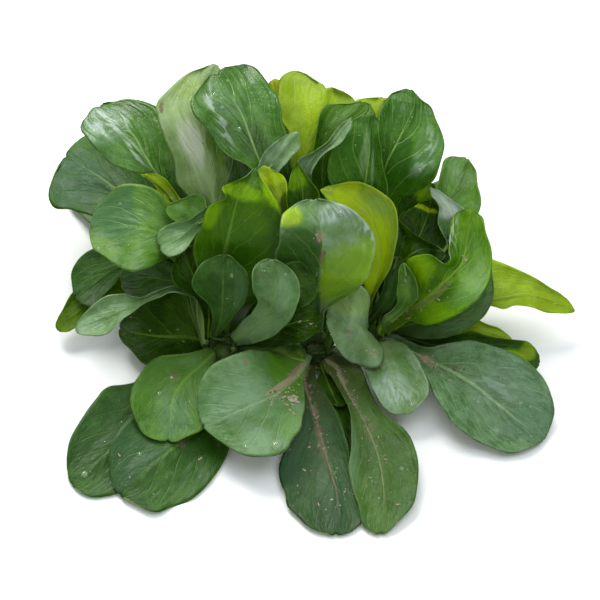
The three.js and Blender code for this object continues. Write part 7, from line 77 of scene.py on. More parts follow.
("middle_shoot_leaf_08", "F2", "lower2", 1, 0.7, 150, [511,-2523,531,541,-2509,532,571,-2494,532,601,-2479,533,631,-2464,534,661,-2449,535,691,-2435,535,721,-2420,536,751,-2405,536,684,-3076,553,718,-2980,545,752,-2890,543,787,-2805,545,822,-2726,551,897,-2613,545,972,-2506,546,1046,-2404,554,1120,-2308,570,837,-3291,575,894,-3189,552,950,-3098,540,1007,-3019,541,1063,-2950,552,1221,-2868,548,1378,-2797,556,1535,-2737,576,1692,-2689,608,953,-3557,597,1006,-3481,561,1058,-3422,542,1110,-3381,541,1160,-3356,559,1347,-3264,553,1533,-3188,565,1718,-3130,596,1903,-3089,644,1120,-3968,615,1162,-3879,565,1203,-3813,540,1243,-3770,539,1282,-3750,562,1459,-3640,554,1636,-3554,571,1812,-3491,611,1986,-3451,676,1270,-4359,627,1310,-4259,565,1348,-4187,533,1386,-4145,533,1422,-4131,563,1585,-4012,552,1748,-3922,571,1909,-3860,622,2069,-3828,703,1404,-4759,630,1449,-4642,556,1493,-4559,520,1535,-4511,520,1575,-4498,558,1724,-4379,543,1872,-4295,565,2017,-4246,625,2160,-4231,721,1473,-5169,620,1542,-5030,536,1609,-4930,496,1675,-4870,500,1737,-4851,547,1883,-4745,527,2026,-4680,551,2166,-4655,619,2304,-4671,730,1474,-5577,597,1578,-5426,513,1679,-5315,474,1778,-5244,480,1875,-5215,531,2044,-5119,514,2211,-5064,542,2374,-5050,615,2534,-5078,733,1459,-5994,570,1596,-5832,489,1731,-5709,453,1865,-5626,461,1996,-5583,515,2204,-5481,501,2410,-5418,533,2612,-5397,609,2810,-5416,730,1429,-6405,545,1601,-6232,466,1772,-6098,432,1941,-6003,443,2108,-5949,500,2355,-5840,488,2599,-5771,521,2840,-5742,599,3077,-5754,722,1400,-6771,521,1605,-6596,444,1810,-6460,411,2012,-6363,424,2212,-6305,481,2495,-6202,469,2774,-6139,501,3050,-6115,579,3322,-6131,701,1375,-7095,498,1606,-6927,420,1837,-6798,387,2066,-6707,399,2293,-6655,456,2592,-6572,440,2888,-6528,469,3180,-6523,543,3467,-6558,661,1376,-7402,474,1621,-7243,394,1866,-7122,359,2108,-7038,369,2348,-6993,425,2651,-6927,402,2951,-6899,424,3246,-6909,491,3536,-6959,603,1409,-7701,448,1656,-7549,366,1902,-7434,329,2146,-7358,337,2387,-7319,390,2685,-7266,359,2979,-7251,373,3268,-7275,432,3553,-7337,537,1457,-7981,422,1699,-7837,338,1939,-7731,299,2177,-7663,305,2413,-7631,356,2695,-7591,317,2974,-7588,323,3248,-7623,374,3517,-7696,471,1517,-8233,392,1747,-8102,308,1976,-8007,268,2203,-7950,273,2427,-7929,323,2685,-7901,277,2939,-7911,276,3188,-7957,320,3433,-8041,409,1575,-8466,358,1791,-8347,273,2006,-8265,234,2219,-8219,240,2428,-8211,291,2662,-8197,239,2892,-8219,233,3119,-8279,272,3340,-8375,355,1623,-8691,317,1824,-8585,234,2024,-8514,197,2221,-8480,204,2415,-8483,257,2620,-8476,201,2821,-8506,191,3018,-8572,226,3210,-8674,306,1684,-8912,268,1862,-8839,205,2039,-8787,176,2214,-8756,181,2388,-8747,220,2556,-8757,178,2721,-8790,171,2884,-8843,197,3044,-8917,258,1758,-9124,211,1906,-9093,168,2055,-9061,149,2205,-9030,154,2355,-8998,182,2485,-9030,152,2615,-9062,146,2746,-9094,164,2876,-9125,206,1874,-9327,164,1981,-9333,138,2092,-9320,126,2206,-9288,128,2323,-9237,145,2412,-9283,128,2504,-9310,125,2599,-9318,137,2697,-9306,162,2106,-9487,125,2149,-9510,114,2194,-9515,108,2242,-9500,106,2293,-9467,109,2332,-9493,106,2373,-9500,108,2417,-9488,114,2464,-9457,124]),
("middle_shoot_leaf_09", "A8", "mid", -1, 1.0, 157, [634,-1469,508,665,-1470,509,695,-1471,509,726,-1472,509,756,-1473,509,787,-1473,509,817,-1474,509,848,-1475,509,879,-1475,509,636,-1138,840,668,-1155,827,700,-1179,821,732,-1209,820,763,-1245,825,795,-1214,823,828,-1188,826,860,-1169,834,892,-1156,849,631,-920,1178,666,-924,1154,702,-941,1140,737,-970,1139,771,-1012,1150,806,-980,1145,840,-961,1151,874,-954,1170,907,-960,1200,620,-721,1533,661,-707,1495,701,-713,1476,741,-738,1474,780,-782,1490,817,-749,1483,854,-734,1493,891,-739,1522,927,-763,1568,582,-527,1908,634,-496,1856,686,-492,1830,737,-513,1827,787,-561,1849,835,-526,1838,883,-517,1853,929,-535,1891,975,-579,1954,488,-349,2300,565,-298,2234,641,-281,2200,717,-297,2196,791,-348,2222,864,-309,2208,936,-305,2225,1007,-334,2273,1076,-397,2351,396,-178,2711,496,-107,2631,595,-78,2587,693,-91,2581,790,-146,2612,889,-101,2592,986,-99,2610,1082,-138,2665,1177,-219,2757,354,-13,3146,462,75,3048,570,113,2994,677,102,2984,783,40,3017,899,93,2990,1015,96,3007,1128,49,3067,1240,-48,3172,338,133,3599,446,231,3490,555,277,3426,662,270,3408,768,211,3434,900,267,3405,1031,271,3422,1159,222,3483,1286,121,3590,328,277,4061,434,381,3942,540,431,3868,645,427,3838,748,370,3854,894,431,3825,1038,439,3840,1180,394,3900,1320,295,4005,312,399,4531,415,508,4402,518,561,4319,621,561,4280,722,506,4287,879,574,4254,1035,589,4267,1189,549,4325,1340,454,4428,277,517,4983,379,630,4847,481,687,4756,582,690,4710,683,637,4709,848,719,4673,1012,746,4683,1175,717,4738,1335,634,4837,233,675,5393,331,789,5251,429,846,5154,526,846,5102,622,790,5095,799,882,5056,974,919,5061,1148,899,5111,1319,823,5207,207,872,5773,300,981,5625,392,1032,5522,483,1026,5465,574,962,5452,763,1048,5407,952,1078,5407,1138,1050,5452,1323,966,5541,229,1102,6113,317,1204,5961,404,1247,5854,491,1232,5792,577,1159,5775,772,1231,5724,966,1245,5717,1159,1201,5756,1348,1099,5839,280,1375,6403,367,1466,6248,454,1497,6139,540,1469,6075,625,1382,6055,818,1437,5998,1011,1433,5985,1201,1371,6018,1389,1250,6095,347,1707,6645,440,1774,6491,532,1781,6382,624,1726,6318,714,1612,6300,903,1644,6236,1090,1616,6218,1275,1528,6245,1456,1381,6316,415,2109,6838,525,2132,6688,635,2094,6583,744,1994,6523,851,1835,6509,1034,1846,6440,1214,1797,6417,1393,1688,6439,1567,1520,6506,508,2553,6975,642,2518,6835,775,2420,6740,907,2261,6691,1036,2042,6686,1212,2043,6612,1386,1983,6583,1557,1863,6600,1724,1682,6661,738,2876,7047,874,2801,6940,1006,2672,6868,1132,2490,6829,1253,2255,6825,1426,2245,6762,1593,2181,6734,1754,2065,6740,1909,1896,6780,1074,2984,7037,1196,2941,6973,1303,2844,6934,1397,2694,6918,1477,2491,6927,1658,2475,6878,1825,2406,6854,1977,2284,6853,2115,2110,6876,1400,3000,7041,1509,3019,7013,1595,2981,6999,1657,2886,6999,1695,2734,7013,1892,2730,6979,2064,2668,6960,2212,2551,6954,2335,2378,6963,1719,2992,7073,1791,3040,7073,1845,3053,7078,1882,3031,7087,1902,2974,7101,1995,3011,7082,2072,3013,7067,2131,2979,7057,2173,2911,7052]),
("right_shoot_leaf_07", "H18", "shade", -1, 1.0, 164, [2259,-891,338,2289,-903,338,2318,-916,337,2347,-928,336,2376,-941,336,2405,-953,335,2434,-965,334,2463,-977,333,2492,-990,332,2348,-647,505,2375,-663,490,2400,-685,481,2426,-713,477,2451,-748,480,2486,-738,475,2521,-734,476,2555,-737,483,2589,-745,496,2421,-472,677,2449,-472,646,2476,-485,628,2502,-510,621,2527,-547,626,2564,-535,618,2600,-535,621,2635,-548,636,2668,-573,663,2486,-335,885,2517,-316,840,2547,-317,812,2575,-337,802,2602,-376,810,2642,-361,797,2680,-366,803,2716,-390,826,2751,-433,868,2547,-257,1160,2581,-220,1098,2614,-210,1061,2645,-225,1048,2674,-266,1059,2716,-250,1042,2757,-260,1050,2795,-295,1082,2831,-357,1138,2600,-211,1476,2640,-158,1399,2677,-138,1353,2712,-152,1337,2743,-199,1352,2791,-182,1331,2835,-197,1340,2877,-246,1380,2915,-328,1451,2640,-151,1793,2688,-85,1700,2733,-60,1645,2776,-75,1627,2815,-131,1647,2870,-113,1620,2923,-135,1631,2971,-198,1678,3017,-302,1763,2657,-60,2099,2720,13,1993,2780,38,1930,2836,14,1911,2888,-57,1936,2957,-39,1903,3021,-69,1914,3081,-146,1969,3137,-272,2067,2672,46,2399,2751,115,2287,2826,133,2220,2898,100,2198,2964,18,2222,3047,28,2190,3125,-13,2204,3198,-103,2263,3267,-243,2367,2709,180,2672,2799,240,2557,2886,249,2488,2968,207,2463,3046,114,2484,3142,114,2455,3233,64,2472,3319,-37,2533,3401,-188,2639,2766,349,2911,2864,400,2794,2958,398,2722,3048,345,2696,3134,240,2714,3242,234,2686,3345,177,2704,3443,69,2767,3535,-90,2874,2827,523,3134,2933,564,3015,3035,553,2941,3132,490,2913,3225,375,2929,3344,364,2901,3457,301,2918,3565,187,2980,3668,22,3087,2885,678,3364,2999,711,3242,3110,691,3165,3216,619,3134,3318,494,3147,3445,480,3116,3568,415,3130,3685,298,3189,3796,128,3293,2929,819,3597,3056,844,3472,3180,815,3391,3298,733,3356,3412,599,3366,3547,586,3330,3677,519,3338,3801,401,3392,3919,230,3491,2952,963,3822,3098,977,3694,3239,937,3610,3375,843,3572,3507,696,3579,3648,684,3536,3784,619,3538,3913,501,3585,4037,330,3678,2994,1110,4031,3153,1111,3901,3308,1057,3816,3458,949,3776,3602,788,3781,3748,778,3732,3888,715,3728,4022,599,3769,4150,429,3855,3086,1234,4218,3246,1227,4089,3402,1165,4005,3553,1048,3966,3698,877,3972,3849,869,3917,3996,807,3907,4135,691,3942,4268,521,4023,3210,1329,4384,3364,1319,4259,3512,1253,4179,3655,1132,4144,3792,958,4153,3949,950,4094,4100,889,4081,4244,773,4112,4381,603,4188,3356,1403,4530,3497,1393,4414,3632,1326,4343,3762,1205,4317,3886,1028,4336,4042,1025,4273,4192,966,4255,4336,853,4282,4472,686,4354,3513,1463,4655,3640,1441,4571,3759,1371,4522,3872,1253,4506,3978,1087,4525,4124,1084,4472,4263,1034,4454,4394,935,4470,4518,790,4520,3688,1520,4750,3798,1496,4706,3899,1424,4684,3988,1303,4687,4067,1135,4714,4195,1150,4670,4313,1116,4651,4420,1035,4655,4515,906,4683,3887,1475,4868,3972,1469,4854,4045,1417,4855,4105,1321,4869,4151,1179,4898,4249,1210,4863,4335,1197,4843,4406,1138,4836,4465,1034,4844,4106,1310,5003,4148,1323,5014,4184,1313,5030,4211,1279,5050,4231,1222,5075,4266,1239,5050,4293,1232,5029,4312,1202,5012,4324,1149,5000]),
("left_shoot_leaf_09", "L1", "deep", 1, 1.0, 171, [-3500,-1838,500,-3472,-1827,500,-3445,-1816,499,-3418,-1806,497,-3391,-1796,495,-3364,-1787,492,-3336,-1778,489,-3308,-1770,485,-3279,-1763,482,-3607,-1434,563,-3577,-1429,536,-3546,-1431,516,-3514,-1437,502,-3482,-1450,492,-3460,-1419,482,-3436,-1394,478,-3412,-1375,479,-3388,-1360,486,-3671,-1125,724,-3628,-1107,691,-3583,-1102,669,-3538,-1108,657,-3492,-1126,656,-3471,-1100,657,-3450,-1085,669,-3427,-1082,691,-3404,-1091,725,-3765,-843,897,-3711,-804,847,-3655,-784,815,-3597,-782,800,-3537,-800,804,-3519,-773,803,-3499,-766,820,-3477,-777,855,-3454,-807,908,-3853,-656,1158,-3789,-592,1090,-3722,-553,1047,-3652,-540,1028,-3580,-552,1033,-3562,-525,1031,-3542,-524,1054,-3519,-549,1101,-3495,-600,1172,-3915,-530,1474,-3848,-437,1389,-3778,-378,1335,-3705,-352,1312,-3628,-359,1319,-3613,-329,1314,-3596,-333,1340,-3575,-369,1397,-3551,-439,1484,-3945,-377,1774,-3891,-260,1673,-3833,-184,1609,-3770,-148,1582,-3703,-153,1592,-3697,-117,1581,-3686,-122,1607,-3671,-167,1670,-3653,-253,1771,-3986,-177,2055,-3956,-49,1938,-3919,32,1864,-3878,64,1835,-3832,47,1849,-3869,54,1826,-3901,13,1847,-3927,-76,1912,-3949,-213,2020,-4115,123,2308,-4106,217,2184,-4091,261,2105,-4071,254,2071,-4046,198,2082,-4101,150,2050,-4151,52,2063,-4195,-96,2120,-4233,-293,2223,-4427,412,2474,-4414,463,2347,-4395,462,2264,-4370,411,2226,-4340,310,2233,-4391,230,2190,-4436,101,2192,-4474,-78,2238,-4507,-306,2330,-4819,640,2544,-4792,663,2413,-4758,634,2327,-4717,554,2286,-4671,423,2290,-4716,334,2235,-4755,194,2225,-4788,5,2261,-4813,-233,2341,-5236,847,2550,-5191,847,2417,-5139,794,2328,-5080,691,2285,-5015,537,2286,-5053,442,2222,-5084,298,2203,-5108,103,2228,-5125,-140,2299,-5648,970,2524,-5587,956,2387,-5518,890,2296,-5442,772,2250,-5359,604,2249,-5389,520,2177,-5411,386,2150,-5426,202,2169,-5434,-31,2232,-6049,1054,2456,-5972,1028,2317,-5887,951,2222,-5795,821,2172,-5695,642,2168,-5723,595,2089,-5744,498,2055,-5756,351,2067,-5761,154,2123,-6460,1161,2362,-6361,1111,2220,-6254,1009,2123,-6139,857,2071,-6016,654,2064,-6047,645,1979,-6070,586,1938,-6085,477,1943,-6092,317,1993,-6863,1249,2261,-6738,1167,2118,-6603,1033,2021,-6461,849,1968,-6311,615,1960,-6317,572,1870,-6316,479,1825,-6306,336,1825,-6288,144,1870,-7232,1283,2147,-7082,1173,2006,-6922,1012,1910,-6754,800,1859,-6578,539,1854,-6560,459,1761,-6533,329,1713,-6497,150,1709,-6454,-77,1751,-7557,1244,2017,-7387,1120,1881,-7207,946,1790,-7019,721,1745,-6823,449,1744,-6787,349,1651,-6743,199,1602,-6690,1,1598,-6628,-245,1640,-7806,1091,1870,-7632,980,1743,-7448,817,1661,-7255,605,1625,-7054,345,1633,-6996,224,1543,-6929,54,1498,-6854,-164,1498,-6770,-429,1542,-7969,892,1704,-7810,773,1607,-7639,621,1544,-7458,436,1515,-7267,220,1520,-7196,60,1454,-7114,-132,1422,-7021,-354,1424,-6919,-608,1461,-8079,705,1511,-7952,562,1449,-7808,412,1411,-7645,255,1397,-7466,90,1406,-7395,-117,1367,-7307,-331,1352,-7202,-552,1361,-7080,-779,1394,-8067,429,1355,-7999,290,1319,-7908,166,1297,-7793,57,1288,-7657,-36,1294,-7609,-246,1279,-7538,-439,1277,-7445,-618,1290,-7330,-780,1316,-7957,64,1234,-7950,-14,1215,-7929,-76,1201,-7893,-123,1192,-7843,-155,1186,-7820,-248,1191,-7782,-326,1199,-7730,-388,1213,-7663,-436,1231]),
("left_shoot_leaf_10", "A4", "under", -1, 1.0, 178, [-2628,-1429,523,-2598,-1425,524,-2568,-1423,525,-2538,-1422,526,-2508,-1422,528,-2478,-1423,530,-2449,-1425,532,-2419,-1426,534,-2389,-1427,536,-2696,-1116,939,-2660,-1127,931,-2624,-1145,928,-2587,-1171,932,-2550,-1208,943,-2525,-1177,938,-2499,-1152,938,-2472,-1130,942,-2445,-1110,952,-2753,-987,1374,-2716,-1000,1363,-2678,-1025,1365,-2640,-1063,1378,-2600,-1114,1404,-2572,-1054,1381,-2543,-1006,1370,-2513,-970,1372,-2482,-947,1384,-2815,-781,1793,-2775,-787,1777,-2733,-813,1780,-2690,-857,1801,-2646,-921,1840,-2619,-848,1805,-2591,-795,1789,-2561,-761,1790,-2530,-747,1809,-2898,-576,2207,-2850,-570,2186,-2800,-590,2189,-2748,-637,2217,-2694,-710,2268,-2654,-622,2222,-2612,-560,2199,-2568,-525,2201,-2522,-517,2227,-3020,-374,2618,-2955,-350,2590,-2887,-361,2593,-2817,-405,2627,-2744,-484,2691,-2655,-374,2632,-2563,-297,2603,-2468,-255,2606,-2372,-247,2639,-3168,-126,3019,-3080,-89,2983,-2989,-95,2983,-2894,-143,3021,-2797,-233,3097,-2651,-101,3025,-2501,-10,2991,-2348,38,2993,-2192,44,3033,-3309,179,3399,-3201,224,3352,-3090,219,3348,-2975,163,3387,-2856,57,3471,-2672,212,3386,-2485,316,3346,-2293,369,3348,-2098,372,3395,-3442,521,3774,-3318,563,3719,-3189,551,3710,-3057,486,3746,-2920,368,3827,-2707,534,3737,-2489,647,3692,-2267,706,3692,-2042,712,3736,-3615,854,4163,-3464,889,4103,-3308,869,4087,-3147,795,4117,-2983,667,4192,-2735,837,4098,-2482,953,4050,-2225,1015,4046,-1964,1022,4087,-3873,1174,4560,-3671,1202,4494,-3463,1173,4473,-3250,1090,4496,-3035,951,4565,-2736,1116,4469,-2432,1225,4417,-2124,1280,4411,-1812,1279,4449,-4218,1342,4951,-3939,1398,4880,-3653,1397,4854,-3362,1340,4873,-3068,1227,4936,-2727,1388,4839,-2379,1494,4786,-2028,1543,4778,-1673,1536,4816,-4318,1540,5330,-4023,1614,5256,-3721,1630,5227,-3413,1589,5243,-3102,1490,5304,-2740,1664,5207,-2372,1781,5155,-1999,1841,5148,-1623,1843,5186,-4395,1689,5712,-4096,1785,5635,-3790,1822,5604,-3479,1801,5617,-3164,1722,5676,-2834,1910,5581,-2498,2041,5531,-2158,2112,5526,-1814,2125,5566,-4513,1906,6070,-4211,2004,5992,-3902,2043,5958,-3587,2021,5970,-3268,1941,6027,-2967,2141,5934,-2660,2282,5887,-2348,2363,5885,-2032,2385,5928,-4664,2163,6379,-4352,2261,6299,-4033,2299,6265,-3707,2276,6275,-3377,2192,6331,-3092,2386,6242,-2800,2519,6198,-2503,2592,6199,-2202,2604,6245,-4831,2544,6643,-4504,2619,6563,-4168,2632,6528,-3827,2584,6538,-3481,2475,6594,-3195,2668,6508,-2902,2800,6467,-2605,2871,6471,-2303,2880,6520,-4928,3147,6872,-4602,3147,6792,-4268,3085,6757,-3929,2959,6768,-3585,2772,6823,-3285,2925,6740,-2978,3015,6702,-2665,3043,6708,-2350,3008,6760,-4653,3611,7068,-4399,3581,6991,-4137,3488,6959,-3871,3330,6972,-3600,3110,7030,-3306,3196,6948,-3006,3219,6911,-2702,3178,6919,-2394,3074,6972,-4330,3972,7230,-4137,3937,7175,-3940,3841,7154,-3740,3684,7167,-3538,3467,7214,-3268,3477,7149,-2996,3427,7117,-2721,3316,7120,-2445,3146,7157,-3964,4216,7358,-3821,4217,7326,-3680,4150,7317,-3543,4013,7332,-3409,3809,7371,-3180,3786,7323,-2953,3695,7299,-2732,3536,7298,-2515,3310,7321,-3589,4296,7477,-3480,4344,7466,-3383,4328,7468,-3298,4248,7485,-3226,4103,7515,-3059,4095,7481,-2905,4022,7461,-2763,3886,7455,-2635,3687,7463,-3240,4353,7596,-3175,4414,7604,-3120,4439,7617,-3076,4426,7635,-3041,4377,7657,-2973,4382,7634,-2914,4350,7616,-2866,4281,7603,-2829,4176,7594]),
("right_shoot_leaf_08", "H20", "deep", -1, 1.0, 185, [2758,-1571,559,2750,-1601,557,2741,-1632,555,2732,-1662,553,2723,-1693,551,2714,-1725,551,2705,-1758,551,2696,-1790,551,2687,-1823,551,2839,-1356,673,2843,-1389,650,2846,-1428,634,2849,-1473,623,2852,-1524,618,2879,-1542,610,2906,-1565,607,2932,-1595,610,2958,-1631,619,2960,-1119,792,2970,-1161,748,2978,-1215,716,2986,-1282,696,2993,-1360,688,3025,-1394,671,3057,-1440,665,3087,-1498,672,3116,-1569,690,3166,-976,925,3171,-1022,859,3174,-1087,811,3176,-1170,781,3176,-1272,769,3205,-1325,743,3231,-1395,735,3256,-1484,745,3279,-1592,773,3379,-931,1079,3383,-978,990,3385,-1050,927,3385,-1148,887,3382,-1270,872,3406,-1353,837,3427,-1461,826,3445,-1593,839,3461,-1750,877,3571,-930,1243,3582,-976,1134,3589,-1055,1054,3594,-1166,1006,3595,-1308,988,3620,-1425,944,3641,-1573,930,3659,-1751,947,3673,-1960,994,3748,-922,1398,3770,-969,1268,3787,-1055,1175,3801,-1180,1120,3810,-1343,1101,3844,-1480,1047,3875,-1655,1030,3900,-1867,1050,3921,-2116,1107,3934,-881,1538,3964,-931,1389,3990,-1028,1285,4010,-1170,1224,4026,-1357,1207,4069,-1513,1142,4107,-1713,1120,4139,-1956,1143,4165,-2242,1209,4116,-835,1665,4156,-898,1508,4191,-1009,1396,4220,-1167,1328,4243,-1372,1306,4295,-1545,1238,4341,-1765,1214,4381,-2029,1236,4415,-2336,1303,4278,-785,1774,4332,-859,1611,4380,-982,1494,4423,-1152,1421,4459,-1368,1394,4529,-1550,1324,4593,-1777,1299,4650,-2049,1319,4700,-2364,1384,4427,-719,1861,4497,-800,1695,4562,-929,1575,4620,-1106,1499,4671,-1330,1468,4762,-1509,1397,4845,-1735,1370,4921,-2005,1388,4990,-2320,1452,4579,-617,1930,4663,-704,1763,4740,-840,1641,4811,-1023,1564,4875,-1253,1532,4982,-1432,1460,5082,-1657,1432,5174,-1927,1450,5258,-2241,1512,4735,-477,1982,4829,-574,1816,4917,-719,1695,4998,-912,1619,5071,-1152,1588,5188,-1325,1515,5298,-1544,1487,5400,-1809,1505,5493,-2118,1567,4885,-320,2019,4989,-426,1855,5086,-580,1736,5176,-782,1663,5259,-1031,1634,5379,-1185,1562,5492,-1386,1535,5597,-1633,1552,5693,-1924,1615,5028,-159,2042,5142,-270,1882,5248,-431,1767,5346,-640,1698,5437,-895,1673,5558,-1026,1602,5671,-1204,1575,5776,-1429,1593,5872,-1699,1656,5168,-1,2053,5289,-115,1899,5402,-278,1790,5508,-489,1726,5605,-748,1707,5726,-855,1636,5838,-1010,1610,5942,-1212,1629,6037,-1460,1693,5303,150,2051,5429,39,1904,5548,-122,1803,5659,-332,1746,5762,-588,1734,5880,-672,1664,5990,-803,1638,6092,-982,1658,6184,-1208,1723,5412,281,2039,5548,180,1901,5676,28,1808,5795,-172,1760,5906,-420,1757,6021,-479,1687,6128,-586,1662,6226,-741,1682,6315,-944,1747,5521,421,2015,5663,330,1888,5798,188,1807,5923,-3,1770,6040,-241,1779,6143,-271,1709,6236,-349,1684,6321,-476,1705,6397,-651,1770,5644,585,1973,5787,490,1879,5922,353,1818,6047,173,1792,6162,-48,1801,6245,-60,1747,6319,-115,1728,6384,-212,1743,6439,-350,1793,5830,812,1902,5956,714,1846,6070,573,1814,6171,388,1806,6259,161,1821,6327,171,1784,6382,137,1770,6425,60,1780,6455,-60,1814,6112,1002,1863,6188,911,1837,6251,776,1824,6301,598,1825,6338,377,1840,6384,397,1818,6417,375,1809,6438,308,1814,6445,198,1834,6366,811,1854,6389,790,1849,6405,746,1848,6414,678,1851,6415,586,1859,6428,586,1851,6434,562,1846,6433,514,1846,6424,443,1851]),
("right_shoot_leaf_09", "A10", "gloss2", -1, 1.0, 192, [2053,-885,542,2085,-888,540,2117,-892,539,2149,-896,537,2180,-902,537,2210,-908,536,2240,-916,537,2269,-925,537,2297,-935,539,2113,-632,927,2146,-646,908,2178,-665,893,2211,-689,885,2243,-719,882,2274,-702,883,2305,-692,890,2336,-687,903,2366,-688,921,2148,-512,1326,2181,-513,1292,2215,-526,1270,2247,-552,1260,2279,-591,1262,2314,-570,1258,2349,-560,1266,2383,-564,1287,2417,-580,1319,2186,-371,1728,2227,-353,1677,2267,-354,1644,2305,-375,1628,2343,-415,1631,2380,-392,1626,2417,-388,1639,2452,-404,1670,2485,-439,1719,2210,-237,2146,2262,-199,2077,2311,-188,2032,2359,-203,2012,2406,-246,2016,2452,-222,2009,2495,-225,2026,2537,-255,2068,2577,-312,2133,2203,-104,2572,2272,-46,2486,2339,-22,2430,2403,-33,2404,2465,-78,2409,2534,-59,2400,2600,-75,2421,2663,-125,2472,2723,-209,2555,2193,36,2989,2278,118,2885,2360,156,2817,2440,153,2787,2517,107,2794,2616,127,2780,2712,105,2804,2804,40,2864,2893,-66,2962,2211,208,3376,2302,315,3253,2390,372,3174,2475,378,3138,2557,333,3147,2677,370,3128,2793,356,3152,2905,292,3221,3012,177,3333,2247,411,3756,2335,530,3623,2420,597,3534,2501,610,3490,2579,570,3492,2708,622,3474,2833,620,3501,2954,566,3572,3070,458,3689,2303,575,4171,2379,703,4029,2451,777,3932,2520,797,3880,2585,762,3873,2717,828,3857,2845,839,3885,2969,796,3958,3088,699,4077,2404,681,4631,2454,815,4482,2501,893,4378,2544,916,4319,2583,884,4305,2733,971,4289,2878,1002,4317,3019,979,4391,3154,900,4510,2522,763,5087,2542,903,4933,2558,986,4825,2570,1013,4761,2577,984,4743,2850,1032,4726,3119,1025,4755,3382,961,4828,3639,842,4946,2598,883,5497,2597,1025,5342,2592,1110,5231,2583,1138,5166,2570,1109,5145,2928,1093,5127,3281,1020,5154,3627,890,5226,3964,705,5342,2553,1044,5880,2573,1179,5723,2589,1256,5612,2601,1275,5546,2608,1236,5525,3001,1137,5504,3388,981,5528,3767,768,5597,4136,500,5712,2437,1283,6219,2514,1391,6064,2588,1438,5954,2657,1427,5889,2722,1358,5869,3121,1200,5845,3512,985,5865,3894,714,5931,4266,387,6042,2367,1591,6496,2500,1658,6344,2630,1665,6236,2756,1611,6174,2877,1499,6157,3273,1356,6129,3663,1156,6146,4043,898,6207,4413,585,6314,2368,1899,6709,2541,1936,6562,2710,1912,6460,2875,1827,6403,3035,1683,6391,3414,1573,6358,3787,1404,6371,4151,1177,6428,4504,892,6530,2387,2245,6875,2590,2253,6735,2790,2200,6640,2985,2085,6590,3174,1910,6585,3524,1829,6548,3868,1688,6556,4204,1487,6610,4529,1227,6708,2448,2537,7000,2672,2534,6872,2892,2468,6789,3107,2341,6752,3316,2153,6759,3609,2131,6716,3896,2048,6718,4176,1904,6765,4446,1700,6856,2547,2746,7082,2786,2749,6989,3018,2695,6930,3243,2584,6905,3460,2416,6914,3675,2458,6879,3883,2443,6877,4082,2371,6910,4272,2242,6977,2672,2999,7109,2900,3036,7057,3120,3005,7029,3330,2907,7025,3529,2741,7044,3699,2854,7013,3860,2899,7004,4011,2876,7020,4150,2786,7059,2847,3270,7157,3021,3335,7138,3192,3325,7132,3360,3240,7140,3523,3081,7162,3628,3192,7136,3729,3228,7124,3826,3189,7126,3918,3076,7141,3235,3472,7232,3304,3525,7237,3372,3532,7246,3440,3493,7261,3507,3406,7279,3552,3456,7260,3596,3460,7246,3639,3417,7236,3682,3327,7231]),
